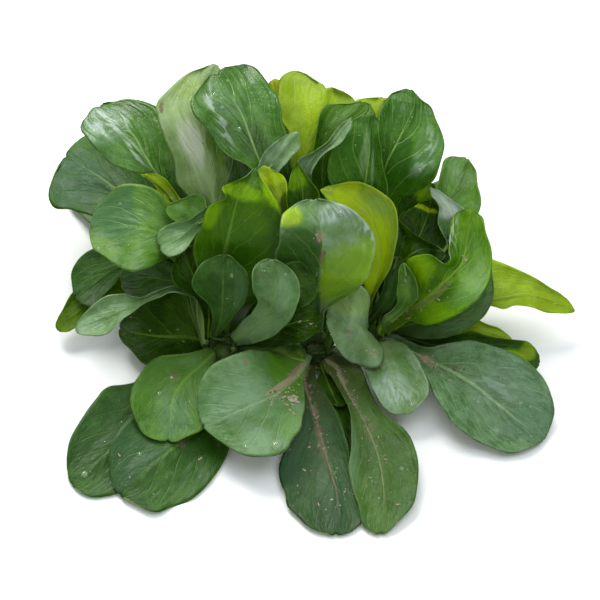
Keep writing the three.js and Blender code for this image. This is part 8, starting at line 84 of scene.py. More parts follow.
("left_shoot_leaf_11", "L4", "deep", 1, 1.0, 199, [-3254,-1629,630,-3225,-1613,622,-3198,-1599,615,-3170,-1587,609,-3143,-1578,604,-3116,-1571,602,-3088,-1565,601,-3061,-1562,602,-3033,-1560,605,-3318,-1420,774,-3283,-1411,758,-3249,-1407,744,-3215,-1408,733,-3182,-1414,725,-3158,-1396,725,-3134,-1384,730,-3109,-1376,738,-3085,-1374,752,-3394,-1267,866,-3353,-1253,848,-3312,-1251,839,-3271,-1258,840,-3229,-1276,849,-3206,-1256,846,-3182,-1246,854,-3157,-1247,872,-3131,-1259,902,-3475,-1094,965,-3426,-1068,937,-3376,-1061,926,-3323,-1072,934,-3270,-1102,959,-3245,-1077,954,-3218,-1070,968,-3190,-1082,999,-3161,-1113,1048,-3549,-970,1122,-3491,-928,1084,-3431,-911,1070,-3368,-920,1080,-3303,-954,1114,-3275,-926,1107,-3245,-923,1125,-3213,-945,1167,-3179,-994,1233,-3591,-877,1319,-3533,-818,1269,-3472,-792,1249,-3407,-798,1260,-3340,-837,1302,-3320,-805,1292,-3297,-805,1312,-3271,-838,1363,-3243,-904,1445,-3596,-797,1533,-3550,-720,1469,-3500,-683,1441,-3446,-686,1451,-3389,-729,1498,-3397,-701,1482,-3401,-713,1503,-3402,-764,1561,-3399,-856,1656,-3591,-727,1779,-3565,-636,1697,-3535,-593,1658,-3501,-597,1662,-3463,-648,1710,-3504,-647,1685,-3540,-693,1704,-3573,-785,1766,-3600,-925,1872,-3616,-601,2048,-3616,-531,1949,-3612,-510,1896,-3602,-538,1888,-3588,-615,1924,-3635,-654,1896,-3676,-742,1912,-3713,-878,1973,-3744,-1063,2080,-3782,-474,2281,-3787,-442,2167,-3787,-459,2098,-3783,-525,2074,-3773,-641,2095,-3812,-695,2063,-3845,-798,2075,-3873,-949,2133,-3896,-1149,2235,-3991,-458,2462,-3995,-440,2334,-3994,-472,2251,-3988,-553,2213,-3977,-684,2220,-4017,-732,2181,-4051,-829,2188,-4081,-974,2239,-4104,-1168,2335,-4205,-411,2591,-4207,-406,2454,-4204,-452,2361,-4195,-547,2313,-4181,-692,2311,-4225,-750,2264,-4263,-858,2263,-4295,-1014,2307,-4322,-1218,2396,-4418,-312,2673,-4419,-330,2531,-4413,-399,2434,-4402,-517,2382,-4385,-684,2374,-4429,-765,2318,-4468,-894,2306,-4501,-1072,2340,-4528,-1297,2418,-4622,-214,2718,-4622,-251,2574,-4617,-339,2475,-4605,-476,2420,-4587,-663,2411,-4636,-765,2340,-4678,-916,2314,-4713,-1116,2333,-4742,-1362,2396,-4833,-107,2728,-4831,-159,2585,-4823,-261,2486,-4808,-413,2433,-4787,-614,2424,-4837,-746,2337,-4881,-926,2296,-4919,-1153,2299,-4950,-1428,2347,-5070,22,2710,-5058,-43,2569,-5039,-160,2473,-5014,-326,2422,-4982,-540,2416,-5024,-691,2316,-5061,-890,2261,-5090,-1137,2251,-5112,-1430,2285,-5323,137,2665,-5296,61,2528,-5262,-66,2437,-5221,-243,2390,-5173,-469,2389,-5203,-627,2279,-5227,-834,2215,-5243,-1088,2196,-5253,-1388,2221,-5555,193,2597,-5517,115,2467,-5471,-13,2381,-5417,-191,2341,-5358,-417,2346,-5377,-576,2233,-5389,-783,2166,-5394,-1037,2143,-5392,-1338,2166,-5759,220,2506,-5715,145,2385,-5663,19,2308,-5604,-157,2276,-5538,-381,2289,-5552,-535,2181,-5559,-737,2118,-5559,-986,2100,-5551,-1282,2126,-5941,248,2386,-5900,155,2293,-5849,25,2234,-5788,-141,2209,-5717,-343,2218,-5733,-506,2137,-5738,-704,2091,-5734,-937,2078,-5719,-1204,2100,-6100,276,2228,-6075,167,2168,-6032,35,2132,-5971,-119,2120,-5893,-295,2132,-5919,-465,2085,-5927,-657,2062,-5918,-870,2064,-5891,-1103,2088,-6223,213,2096,-6220,113,2062,-6192,4,2041,-6140,-114,2035,-6064,-241,2042,-6099,-386,2023,-6110,-539,2018,-6096,-701,2027,-6059,-870,2050,-6256,-8,1996,-6273,-51,1980,-6274,-95,1968,-6260,-141,1961,-6231,-188,1958,-6239,-250,1960,-6232,-314,1966,-6210,-378,1976,-6172,-444,1991]),
("middle_shoot_leaf_10", "A5", "gloss", -1, 1.0, 206, [-302,-1538,430,-272,-1536,428,-242,-1533,427,-212,-1531,425,-182,-1529,423,-151,-1527,421,-121,-1526,419,-91,-1527,418,-60,-1529,417,-289,-1101,776,-260,-1101,749,-232,-1106,728,-205,-1114,711,-179,-1126,699,-148,-1098,702,-116,-1078,712,-85,-1064,728,-53,-1057,749,-260,-878,1171,-218,-888,1139,-176,-910,1118,-134,-944,1109,-92,-989,1111,-64,-963,1116,-35,-949,1132,-7,-947,1160,21,-958,1199,-255,-654,1592,-200,-645,1543,-146,-655,1512,-92,-684,1499,-38,-733,1504,-11,-709,1510,16,-706,1534,43,-721,1576,70,-756,1635,-284,-539,2107,-213,-504,2040,-141,-495,1999,-70,-513,1981,2,-557,1987,46,-535,1995,90,-540,2027,133,-571,2084,177,-628,2164,-342,-521,2681,-254,-449,2597,-166,-411,2544,-77,-407,2521,11,-438,2529,95,-411,2539,179,-418,2579,262,-460,2650,344,-536,2751,-452,-505,3231,-349,-388,3128,-246,-314,3063,-143,-282,3035,-39,-292,3044,59,-240,3055,156,-231,3103,253,-264,3188,349,-339,3311,-624,-430,3725,-512,-271,3602,-398,-163,3523,-284,-105,3488,-170,-97,3496,-78,-19,3509,13,8,3565,104,-16,3664,194,-91,3807,-840,-301,4203,-721,-122,4065,-601,4,3972,-480,77,3924,-358,98,3921,-264,190,3942,-169,229,4009,-74,214,4121,20,145,4277,-1066,-130,4681,-943,52,4529,-819,179,4423,-693,253,4361,-566,272,4344,-453,383,4377,-340,439,4454,-227,441,4577,-114,387,4744,-1268,49,5151,-1148,226,4989,-1025,348,4872,-900,415,4801,-774,427,4774,-641,566,4816,-507,650,4902,-373,678,5034,-239,650,5210,-1462,268,5578,-1350,428,5413,-1234,532,5292,-1117,580,5217,-997,572,5186,-837,742,5234,-676,857,5327,-514,914,5465,-352,914,5648,-1627,563,5933,-1527,696,5772,-1425,771,5656,-1320,789,5585,-1214,750,5559,-1024,938,5611,-833,1069,5708,-641,1143,5850,-448,1157,6037,-1966,747,6224,-1829,892,6074,-1688,978,5969,-1544,1007,5910,-1398,977,5895,-1174,1177,5950,-948,1319,6051,-720,1403,6196,-493,1426,6386,-2405,833,6469,-2199,1023,6334,-1988,1154,6244,-1773,1226,6199,-1555,1239,6199,-1309,1455,6255,-1059,1612,6357,-808,1710,6503,-557,1746,6695,-2755,1071,6681,-2499,1273,6561,-2238,1416,6486,-1971,1499,6456,-1702,1522,6471,-1454,1751,6526,-1204,1921,6626,-951,2031,6771,-699,2079,6960,-2985,1352,6870,-2707,1559,6763,-2422,1707,6701,-2132,1795,6685,-1839,1821,6713,-1580,2086,6763,-1317,2291,6857,-1052,2435,6997,-785,2516,7181,-3189,1560,7045,-2893,1794,6948,-2590,1968,6896,-2282,2081,6889,-1970,2133,6927,-1725,2450,6967,-1476,2707,7052,-1224,2902,7182,-971,3034,7358,-3415,1748,7205,-3103,2013,7117,-2784,2217,7073,-2459,2359,7075,-2129,2440,7122,-1901,2796,7144,-1668,3092,7212,-1431,3326,7325,-1192,3496,7483,-3623,2072,7342,-3315,2329,7279,-2995,2526,7250,-2665,2663,7255,-2326,2738,7295,-2113,3123,7307,-1889,3449,7354,-1657,3715,7436,-1417,3919,7551,-3759,2529,7447,-3484,2783,7411,-3185,2957,7398,-2863,3049,7409,-2519,3058,7444,-2345,3504,7434,-2148,3872,7449,-1929,4159,7487,-1689,4362,7549,-3536,3004,7551,-3375,3244,7537,-3183,3388,7538,-2958,3435,7552,-2702,3384,7580,-2592,3808,7561,-2449,4138,7555,-2275,4371,7562,-2070,4504,7584,-3194,3602,7659,-3144,3714,7666,-3075,3768,7678,-2985,3764,7695,-2877,3701,7716,-2842,3907,7695,-2787,4055,7680,-2713,4145,7669,-2619,4175,7662]),
("right_shoot_leaf_10", "A11", "gloss2", -1, 1.0, 213, [1681,-1029,557,1712,-1034,558,1742,-1040,557,1773,-1045,557,1803,-1049,555,1834,-1053,554,1865,-1057,552,1895,-1061,550,1926,-1065,548,1742,-802,920,1774,-811,903,1805,-827,892,1836,-851,886,1866,-880,886,1899,-860,882,1931,-846,884,1963,-840,891,1994,-840,904,1765,-767,1328,1800,-764,1295,1834,-775,1273,1868,-797,1263,1901,-833,1265,1935,-807,1256,1968,-793,1258,2000,-792,1273,2031,-803,1300,1802,-685,1732,1841,-667,1681,1880,-668,1649,1918,-689,1634,1955,-729,1637,1988,-699,1623,2020,-687,1627,2052,-695,1650,2082,-722,1690,1820,-590,2122,1870,-553,2054,1918,-542,2009,1964,-558,1989,2009,-600,1994,2046,-566,1975,2082,-557,1981,2116,-575,2011,2148,-620,2066,1773,-481,2504,1847,-423,2418,1920,-400,2362,1991,-410,2337,2060,-455,2343,2114,-418,2319,2166,-414,2326,2216,-445,2364,2264,-510,2433,1673,-375,2889,1783,-296,2785,1890,-258,2719,1996,-262,2689,2099,-308,2697,2185,-267,2667,2268,-267,2676,2349,-309,2721,2426,-392,2803,1568,-303,3278,1710,-193,3157,1849,-132,3079,1986,-122,3044,2120,-161,3054,2243,-105,3019,2363,-98,3027,2480,-142,3079,2593,-235,3175,1464,-241,3672,1627,-107,3540,1789,-25,3453,1948,5,3411,2105,-18,3414,2260,54,3380,2411,75,3391,2560,43,3447,2703,-42,3548,1347,-154,4077,1526,-10,3937,1704,80,3842,1880,117,3793,2054,101,3788,2235,185,3757,2414,216,3770,2589,193,3829,2760,118,3933,1216,-24,4497,1412,109,4351,1608,188,4250,1801,214,4193,1992,185,4182,2194,262,4153,2394,286,4169,2589,255,4230,2780,171,4337,1089,119,4905,1308,237,4755,1526,301,4650,1742,310,4589,1955,264,4574,2168,326,4547,2378,333,4565,2583,286,4628,2783,184,4736,972,258,5278,1218,367,5125,1463,421,5018,1707,419,4956,1948,362,4939,2159,415,4913,2367,413,4933,2571,355,4998,2769,242,5107,859,416,5622,1135,514,5469,1411,556,5361,1685,541,5298,1956,470,5280,2157,516,5256,2354,506,5278,2547,440,5345,2734,318,5456,735,610,5935,1048,691,5783,1360,714,5676,1670,679,5614,1978,588,5596,2159,627,5574,2336,609,5597,2509,534,5665,2677,402,5778,736,804,6212,1059,870,6062,1382,877,5958,1703,826,5898,2020,718,5883,2172,759,5862,2321,743,5885,2465,670,5954,2605,538,6067,791,949,6455,1111,1014,6310,1431,1020,6211,1749,967,6156,2063,856,6146,2183,906,6124,2299,898,6146,2411,832,6214,2519,708,6326,901,1059,6656,1204,1134,6521,1505,1148,6432,1805,1107,6384,2102,1007,6381,2199,1071,6356,2293,1076,6376,2383,1022,6442,2469,909,6552,1077,1162,6806,1340,1248,6694,1603,1284,6617,1864,1265,6582,2121,1185,6591,2208,1264,6560,2290,1284,6574,2369,1244,6632,2444,1144,6736,1296,1348,6927,1504,1438,6839,1710,1478,6782,1914,1466,6759,2116,1400,6770,2203,1482,6744,2287,1511,6753,2369,1487,6796,2446,1410,6873,1491,1647,6977,1645,1727,6927,1799,1754,6900,1951,1725,6897,2101,1643,6918,2193,1743,6892,2283,1789,6889,2371,1781,6911,2457,1718,6956,1580,1993,7041,1706,2060,7023,1832,2065,7019,1958,2008,7028,2084,1891,7052,2172,2012,7028,2260,2072,7018,2348,2070,7022,2435,2007,7039,1848,2179,7131,1903,2228,7137,1959,2236,7149,2014,2202,7165,2069,2127,7186,2118,2207,7165,2167,2245,7150,2216,2242,7139,2265,2198,7133]),
("right_shoot_leaf_11", "H16", "shade", -1, 1.0, 220, [2390,-1002,560,2419,-1016,559,2447,-1031,558,2475,-1046,557,2503,-1061,556,2531,-1075,555,2560,-1090,554,2588,-1105,553,2616,-1119,552,2481,-829,735,2506,-841,717,2531,-860,706,2556,-885,700,2580,-916,700,2614,-909,693,2649,-909,692,2683,-914,697,2716,-925,708,2553,-720,914,2581,-712,879,2607,-718,856,2632,-736,845,2657,-766,846,2693,-755,834,2729,-756,834,2764,-770,845,2797,-796,869,2623,-637,1129,2652,-610,1077,2680,-603,1043,2707,-614,1027,2732,-645,1029,2772,-630,1011,2810,-635,1011,2846,-658,1030,2881,-701,1066,2694,-611,1407,2724,-565,1337,2753,-545,1291,2779,-551,1269,2804,-583,1272,2844,-563,1249,2882,-569,1249,2918,-601,1274,2951,-659,1324,2757,-633,1727,2790,-566,1639,2820,-531,1581,2848,-530,1554,2873,-562,1558,2914,-537,1528,2953,-544,1528,2989,-585,1559,3022,-658,1621,2795,-645,2060,2837,-561,1953,2876,-518,1884,2911,-515,1851,2943,-553,1856,2997,-523,1817,3048,-534,1816,3096,-585,1852,3139,-677,1925,2778,-637,2412,2843,-546,2286,2904,-503,2203,2961,-509,2165,3014,-562,2170,3103,-539,2120,3189,-564,2115,3270,-637,2153,3347,-757,2235,2718,-619,2775,2816,-534,2635,2910,-499,2541,3001,-515,2492,3087,-580,2487,3222,-583,2433,3352,-636,2424,3478,-738,2459,3598,-889,2540,2672,-557,3098,2801,-482,2948,2927,-458,2842,3050,-485,2782,3167,-562,2767,3341,-593,2708,3510,-674,2694,3674,-805,2726,3831,-984,2802,2682,-446,3370,2832,-384,3211,2978,-375,3097,3121,-416,3029,3258,-508,3005,3455,-562,2942,3647,-666,2924,3832,-819,2951,4011,-1022,3023,2743,-298,3594,2904,-254,3431,3062,-263,3313,3215,-324,3239,3364,-435,3211,3573,-507,3146,3777,-629,3126,3975,-801,3151,4165,-1023,3221,2823,-127,3768,2994,-103,3605,3161,-132,3488,3324,-213,3415,3481,-345,3387,3701,-428,3323,3915,-562,3303,4122,-746,3329,4322,-980,3399,2905,59,3889,3087,68,3730,3264,23,3616,3436,-74,3547,3603,-223,3524,3833,-307,3462,4057,-442,3445,4274,-628,3473,4483,-863,3546,2976,228,3984,3169,229,3832,3358,176,3724,3541,71,3662,3719,-87,3644,3956,-157,3586,4185,-279,3572,4408,-453,3603,4623,-677,3679,3034,366,4081,3237,365,3936,3436,310,3837,3630,201,3783,3818,41,3773,4043,-4,3717,4262,-101,3707,4474,-250,3741,4678,-451,3820,3097,497,4176,3305,495,4040,3508,438,3950,3706,328,3904,3899,165,3904,4094,145,3850,4283,72,3841,4466,-53,3878,4640,-231,3959,3199,620,4269,3398,617,4143,3593,560,4061,3782,449,4025,3965,285,4033,4130,285,3980,4289,231,3972,4442,125,4009,4587,-34,4091,3366,675,4358,3538,686,4244,3706,643,4174,3867,545,4149,4023,394,4169,4166,410,4114,4303,372,4104,4433,280,4139,4556,135,4219,3544,736,4440,3685,745,4358,3821,706,4310,3951,620,4297,4075,488,4317,4199,506,4273,4316,478,4263,4427,402,4288,4531,280,4346,3719,811,4505,3832,819,4461,3936,781,4441,4034,696,4445,4122,565,4472,4229,598,4435,4327,583,4422,4417,523,4432,4499,416,4467,3908,810,4598,3986,830,4584,4055,807,4584,4116,742,4598,4168,635,4625,4248,674,4596,4319,672,4580,4382,627,4578,4436,540,4590,4107,740,4711,4141,762,4719,4171,764,4732,4196,743,4750,4215,702,4772,4244,717,4750,4269,712,4733,4288,685,4721,4302,636,4713]),
("right_shoot_leaf_12", "H12", "wet_and_painted_sheen", -1, 1.0, 227, [2419,-2067,536,2445,-2046,536,2471,-2024,535,2497,-2003,535,2523,-1981,534,2548,-1961,534,2574,-1940,534,2599,-1920,534,2625,-1899,533,2674,-1606,690,2664,-1614,667,2654,-1628,650,2644,-1647,638,2633,-1672,632,2672,-1735,622,2711,-1805,620,2752,-1883,628,2793,-1969,646,3041,-1643,867,3009,-1666,819,2976,-1701,782,2942,-1746,756,2906,-1804,741,2917,-1897,733,2929,-2004,739,2939,-2122,756,2947,-2250,784,3323,-2016,1020,3288,-2017,949,3252,-2037,896,3213,-2074,861,3173,-2130,844,3172,-2214,828,3169,-2315,831,3164,-2434,851,3158,-2571,890,3594,-2330,1135,3562,-2311,1039,3526,-2316,967,3489,-2346,920,3448,-2400,897,3441,-2486,875,3431,-2595,877,3419,-2728,904,3404,-2885,955,3884,-2597,1224,3850,-2565,1103,3812,-2564,1013,3771,-2593,954,3726,-2653,925,3714,-2739,895,3699,-2855,896,3681,-3001,928,3659,-3177,990,4236,-2740,1308,4186,-2725,1163,4130,-2748,1055,4070,-2808,984,4006,-2905,951,3986,-3012,911,3963,-3156,907,3935,-3335,941,3903,-3549,1012,4626,-2679,1403,4551,-2732,1234,4470,-2829,1109,4383,-2970,1027,4290,-3153,989,4244,-3339,934,4192,-3567,922,4135,-3835,954,4073,-4142,1030,5075,-2632,1494,4962,-2749,1309,4842,-2912,1168,4716,-3120,1073,4584,-3370,1022,4493,-3628,955,4397,-3927,932,4296,-4267,955,4190,-4645,1022,5556,-2642,1549,5394,-2810,1350,5225,-3023,1196,5050,-3280,1087,4869,-3579,1023,4740,-3877,943,4605,-4214,909,4466,-4591,919,4323,-5006,974,5975,-2790,1556,5778,-2971,1346,5573,-3197,1182,5361,-3466,1063,5143,-3777,988,4984,-4095,896,4819,-4453,849,4649,-4849,847,4476,-5282,890,6395,-2921,1523,6158,-3119,1308,5913,-3361,1138,5661,-3646,1013,5404,-3972,933,5220,-4301,831,5030,-4668,774,4836,-5073,762,4639,-5514,795,6747,-3118,1463,6482,-3320,1248,6210,-3565,1077,5930,-3852,951,5644,-4181,870,5449,-4509,761,5249,-4876,697,5045,-5280,677,4836,-5720,703,7050,-3274,1380,6767,-3488,1167,6475,-3745,998,6176,-4044,875,5871,-4383,797,5679,-4704,681,5481,-5063,610,5278,-5459,584,5071,-5890,602,7323,-3431,1279,7027,-3653,1072,6722,-3918,909,6410,-4225,792,6092,-4571,719,5906,-4876,598,5715,-5219,521,5518,-5600,489,5316,-6016,502,7562,-3611,1171,7259,-3834,972,6947,-4100,818,6628,-4406,709,6303,-4752,645,6128,-5041,520,5946,-5369,440,5758,-5734,404,5564,-6134,414,7746,-3816,1057,7448,-4031,869,7141,-4289,726,6826,-4587,628,6505,-4924,575,6343,-5198,449,6173,-5510,368,5996,-5859,332,5814,-6244,341,7887,-4041,936,7603,-4241,761,7310,-4482,631,7008,-4763,546,6700,-5084,506,6554,-5335,382,6400,-5624,304,6239,-5951,270,6072,-6314,282,7995,-4279,798,7732,-4457,639,7461,-4676,526,7181,-4935,458,6893,-5233,434,6766,-5456,319,6629,-5718,248,6486,-6017,222,6335,-6353,242,8077,-4510,632,7847,-4690,512,7605,-4894,427,7351,-5122,376,7086,-5374,359,6984,-5580,273,6869,-5809,222,6744,-6061,204,6607,-6334,221,8106,-4747,424,7929,-4934,353,7731,-5123,305,7513,-5313,282,7275,-5505,282,7206,-5698,232,7117,-5893,206,7007,-6088,204,6878,-6286,226,7996,-5082,271,7900,-5241,233,7777,-5386,210,7630,-5515,201,7457,-5630,205,7421,-5786,184,7360,-5928,177,7273,-6054,184,7161,-6166,205,7776,-5507,167,7762,-5587,152,7734,-5655,141,7690,-5710,134,7632,-5752,132,7612,-5813,133,7578,-5862,138,7529,-5899,147,7464,-5922,161]),
("left_shoot_leaf_12", "A3", "light", 1, 1.0, 234, [-3048,-1698,745,-3079,-1700,745,-3109,-1700,745,-3140,-1700,743,-3171,-1700,740,-3202,-1700,736,-3233,-1700,731,-3265,-1700,725,-3296,-1701,719,-3095,-1427,965,-3122,-1448,960,-3149,-1472,958,-3175,-1497,957,-3203,-1524,956,-3239,-1507,954,-3275,-1493,954,-3311,-1484,958,-3347,-1481,966,-3121,-1262,1205,-3150,-1260,1174,-3178,-1271,1154,-3204,-1294,1146,-3230,-1329,1150,-3272,-1314,1151,-3312,-1311,1163,-3352,-1320,1187,-3391,-1342,1223,-3134,-1118,1493,-3166,-1096,1445,-3196,-1093,1414,-3225,-1110,1402,-3252,-1145,1408,-3301,-1132,1409,-3348,-1139,1428,-3394,-1164,1465,-3437,-1209,1521,-3134,-971,1799,-3173,-932,1734,-3210,-918,1693,-3244,-930,1676,-3277,-968,1683,-3338,-961,1684,-3397,-980,1709,-3454,-1025,1759,-3509,-1096,1832,-3102,-805,2119,-3159,-753,2036,-3213,-735,1982,-3265,-750,1960,-3314,-798,1968,-3394,-800,1966,-3471,-836,1995,-3545,-904,2054,-3616,-1006,2144,-3089,-584,2444,-3167,-533,2340,-3241,-523,2273,-3313,-555,2243,-3380,-627,2250,-3478,-645,2242,-3571,-703,2271,-3660,-802,2337,-3745,-942,2440,-3197,-330,2770,-3276,-289,2642,-3352,-297,2558,-3423,-354,2518,-3490,-460,2521,-3599,-497,2502,-3703,-583,2527,-3802,-716,2595,-3895,-898,2707,-3386,-112,3108,-3458,-87,2961,-3526,-114,2858,-3589,-192,2801,-3648,-321,2788,-3762,-377,2761,-3871,-482,2779,-3974,-638,2842,-4071,-843,2950,-3607,75,3458,-3671,78,3292,-3731,28,3171,-3785,-73,3094,-3835,-226,3063,-3952,-286,3027,-4064,-397,3035,-4171,-558,3088,-4270,-769,3187,-3865,213,3827,-3916,191,3643,-3961,116,3505,-4001,-11,3411,-4036,-190,3362,-4160,-252,3314,-4278,-366,3311,-4389,-530,3352,-4494,-745,3439,-4125,372,4163,-4167,313,3966,-4203,200,3814,-4233,34,3707,-4258,-183,3646,-4407,-369,3585,-4548,-606,3569,-4683,-892,3598,-4809,-1226,3672,-4386,610,4424,-4425,498,4217,-4457,331,4056,-4483,112,3939,-4502,-159,3868,-4651,-459,3791,-4792,-808,3760,-4926,-1205,3773,-5050,-1646,3831,-4651,932,4638,-4689,741,4422,-4720,496,4252,-4745,198,4127,-4763,-151,4046,-4899,-504,3949,-5026,-905,3897,-5145,-1352,3890,-5255,-1844,3927,-4955,1241,4786,-4985,977,4565,-5008,658,4388,-5024,288,4257,-5033,-131,4170,-5153,-509,4052,-5264,-934,3979,-5368,-1405,3950,-5462,-1920,3967,-5318,1424,4843,-5326,1128,4620,-5328,779,4441,-5321,379,4308,-5308,-70,4220,-5410,-451,4084,-5503,-879,3993,-5588,-1353,3947,-5664,-1870,3946,-5712,1518,4800,-5693,1229,4580,-5665,886,4406,-5630,492,4277,-5588,49,4192,-5668,-325,4045,-5740,-747,3943,-5803,-1215,3886,-5857,-1727,3874,-6103,1571,4686,-6056,1303,4477,-6000,981,4313,-5936,608,4194,-5864,185,4120,-5925,-176,3971,-5976,-584,3866,-6019,-1039,3807,-6054,-1539,3792,-6437,1530,4521,-6375,1300,4332,-6304,1017,4187,-6225,682,4087,-6138,296,4033,-6183,-37,3892,-6218,-420,3796,-6245,-851,3745,-6263,-1326,3739,-6705,1454,4308,-6652,1245,4164,-6585,996,4054,-6504,708,3978,-6409,383,3936,-6449,64,3832,-6475,-292,3762,-6486,-682,3725,-6483,-1106,3723,-6969,1460,4020,-6938,1247,3935,-6878,1012,3873,-6790,753,3836,-6674,473,3822,-6726,161,3765,-6750,-172,3732,-6746,-525,3722,-6714,-897,3737,-7124,1265,3797,-7132,1095,3753,-7102,919,3722,-7034,736,3706,-6929,548,3703,-7000,289,3682,-7034,25,3676,-7030,-244,3683,-6989,-517,3704,-7173,883,3644,-7206,814,3624,-7217,745,3609,-7207,678,3598,-7175,612,3592,-7204,513,3596,-7211,416,3604,-7197,320,3617,-7161,225,3635]),
("right_shoot_leaf_13", "H16b", "blue", -1, 1.0, 241, [2613,-1490,779,2642,-1505,771,2670,-1520,763,2698,-1538,757,2724,-1557,754,2750,-1583,755,2774,-1611,760,2796,-1643,768,2817,-1677,779,2760,-1326,1012,2781,-1348,995,2802,-1375,983,2822,-1407,976,2842,-1446,975,2876,-1455,980,2909,-1471,990,2941,-1493,1007,2972,-1521,1030,2888,-1204,1224,2910,-1213,1197,2930,-1236,1182,2949,-1270,1179,2967,-1317,1187,3004,-1323,1185,3039,-1341,1195,3074,-1372,1216,3107,-1415,1249,3018,-1099,1464,3042,-1093,1423,3064,-1106,1399,3085,-1138,1394,3104,-1189,1407,3143,-1196,1402,3181,-1222,1414,3216,-1266,1444,3250,-1330,1492,3140,-1055,1770,3168,-1034,1715,3194,-1039,1684,3218,-1070,1677,3239,-1126,1695,3280,-1134,1685,3318,-1167,1700,3354,-1227,1739,3388,-1312,1802,3250,-1045,2121,3285,-1012,2052,3317,-1011,2013,3346,-1044,2005,3372,-1110,2028,3422,-1122,2014,3469,-1168,2031,3512,-1246,2078,3552,-1357,2156,3330,-1002,2472,3381,-965,2389,3427,-969,2343,3470,-1013,2335,3508,-1097,2364,3581,-1125,2344,3648,-1192,2361,3712,-1300,2416,3770,-1447,2508,3404,-940,2821,3473,-906,2725,3537,-920,2674,3596,-983,2666,3650,-1093,2702,3748,-1140,2675,3840,-1234,2691,3927,-1376,2751,4008,-1564,2855,3534,-901,3160,3608,-874,3061,3678,-897,3007,3742,-970,2998,3800,-1093,3034,3916,-1160,3005,4025,-1276,3021,4128,-1441,3083,4224,-1656,3189,3757,-906,3444,3820,-869,3344,3877,-883,3289,3928,-948,3279,3973,-1063,3314,4101,-1142,3285,4222,-1270,3300,4337,-1448,3361,4444,-1676,3466,4010,-926,3664,4058,-866,3564,4101,-857,3509,4137,-899,3499,4167,-992,3534,4309,-1068,3503,4444,-1194,3518,4571,-1369,3577,4691,-1594,3681,4269,-942,3841,4303,-852,3742,4330,-813,3688,4351,-826,3679,4366,-889,3715,4524,-947,3683,4675,-1056,3697,4818,-1215,3755,4953,-1424,3858,4552,-980,3990,4561,-844,3893,4564,-759,3842,4559,-725,3835,4548,-744,3873,4720,-777,3841,4884,-863,3853,5041,-999,3911,5189,-1186,4013,4687,-801,4097,4699,-653,4004,4704,-557,3956,4702,-513,3953,4694,-521,3995,4877,-537,3962,5053,-605,3974,5221,-724,4031,5380,-896,4132,4578,-457,4191,4647,-333,4102,4709,-262,4059,4764,-243,4060,4812,-277,4106,5003,-264,4072,5186,-303,4083,5362,-395,4140,5528,-539,4241,4489,-208,4306,4599,-89,4222,4702,-23,4182,4799,-10,4188,4889,-51,4238,5071,6,4203,5246,10,4213,5412,-40,4268,5570,-144,4367,4442,-90,4444,4567,50,4363,4685,137,4328,4797,170,4337,4901,149,4391,5056,245,4354,5203,288,4362,5343,277,4414,5474,212,4512,4443,-1,4588,4550,158,4510,4651,263,4477,4745,314,4489,4832,310,4547,4950,426,4506,5061,487,4511,5165,494,4560,5260,446,4655,4439,111,4723,4516,274,4648,4586,382,4619,4650,436,4634,4707,436,4695,4799,554,4649,4885,618,4648,4963,627,4692,5034,581,4781,4387,280,4841,4436,412,4787,4481,501,4767,4523,546,4781,4559,547,4830,4629,641,4792,4695,691,4788,4757,696,4818,4814,658,4882,4279,415,4945,4312,527,4912,4344,604,4903,4377,645,4918,4409,650,4956,4462,728,4922,4516,770,4912,4568,777,4925,4621,747,4963,4153,529,5045,4175,627,5032,4202,697,5033,4232,739,5047,4265,753,5076,4303,809,5049,4344,836,5035,4388,835,5035,4437,806,5050,4133,729,5144,4129,782,5150,4128,822,5159,4129,849,5174,4134,862,5193,4158,876,5174,4184,876,5159,4213,864,5149,4246,838,5144]),
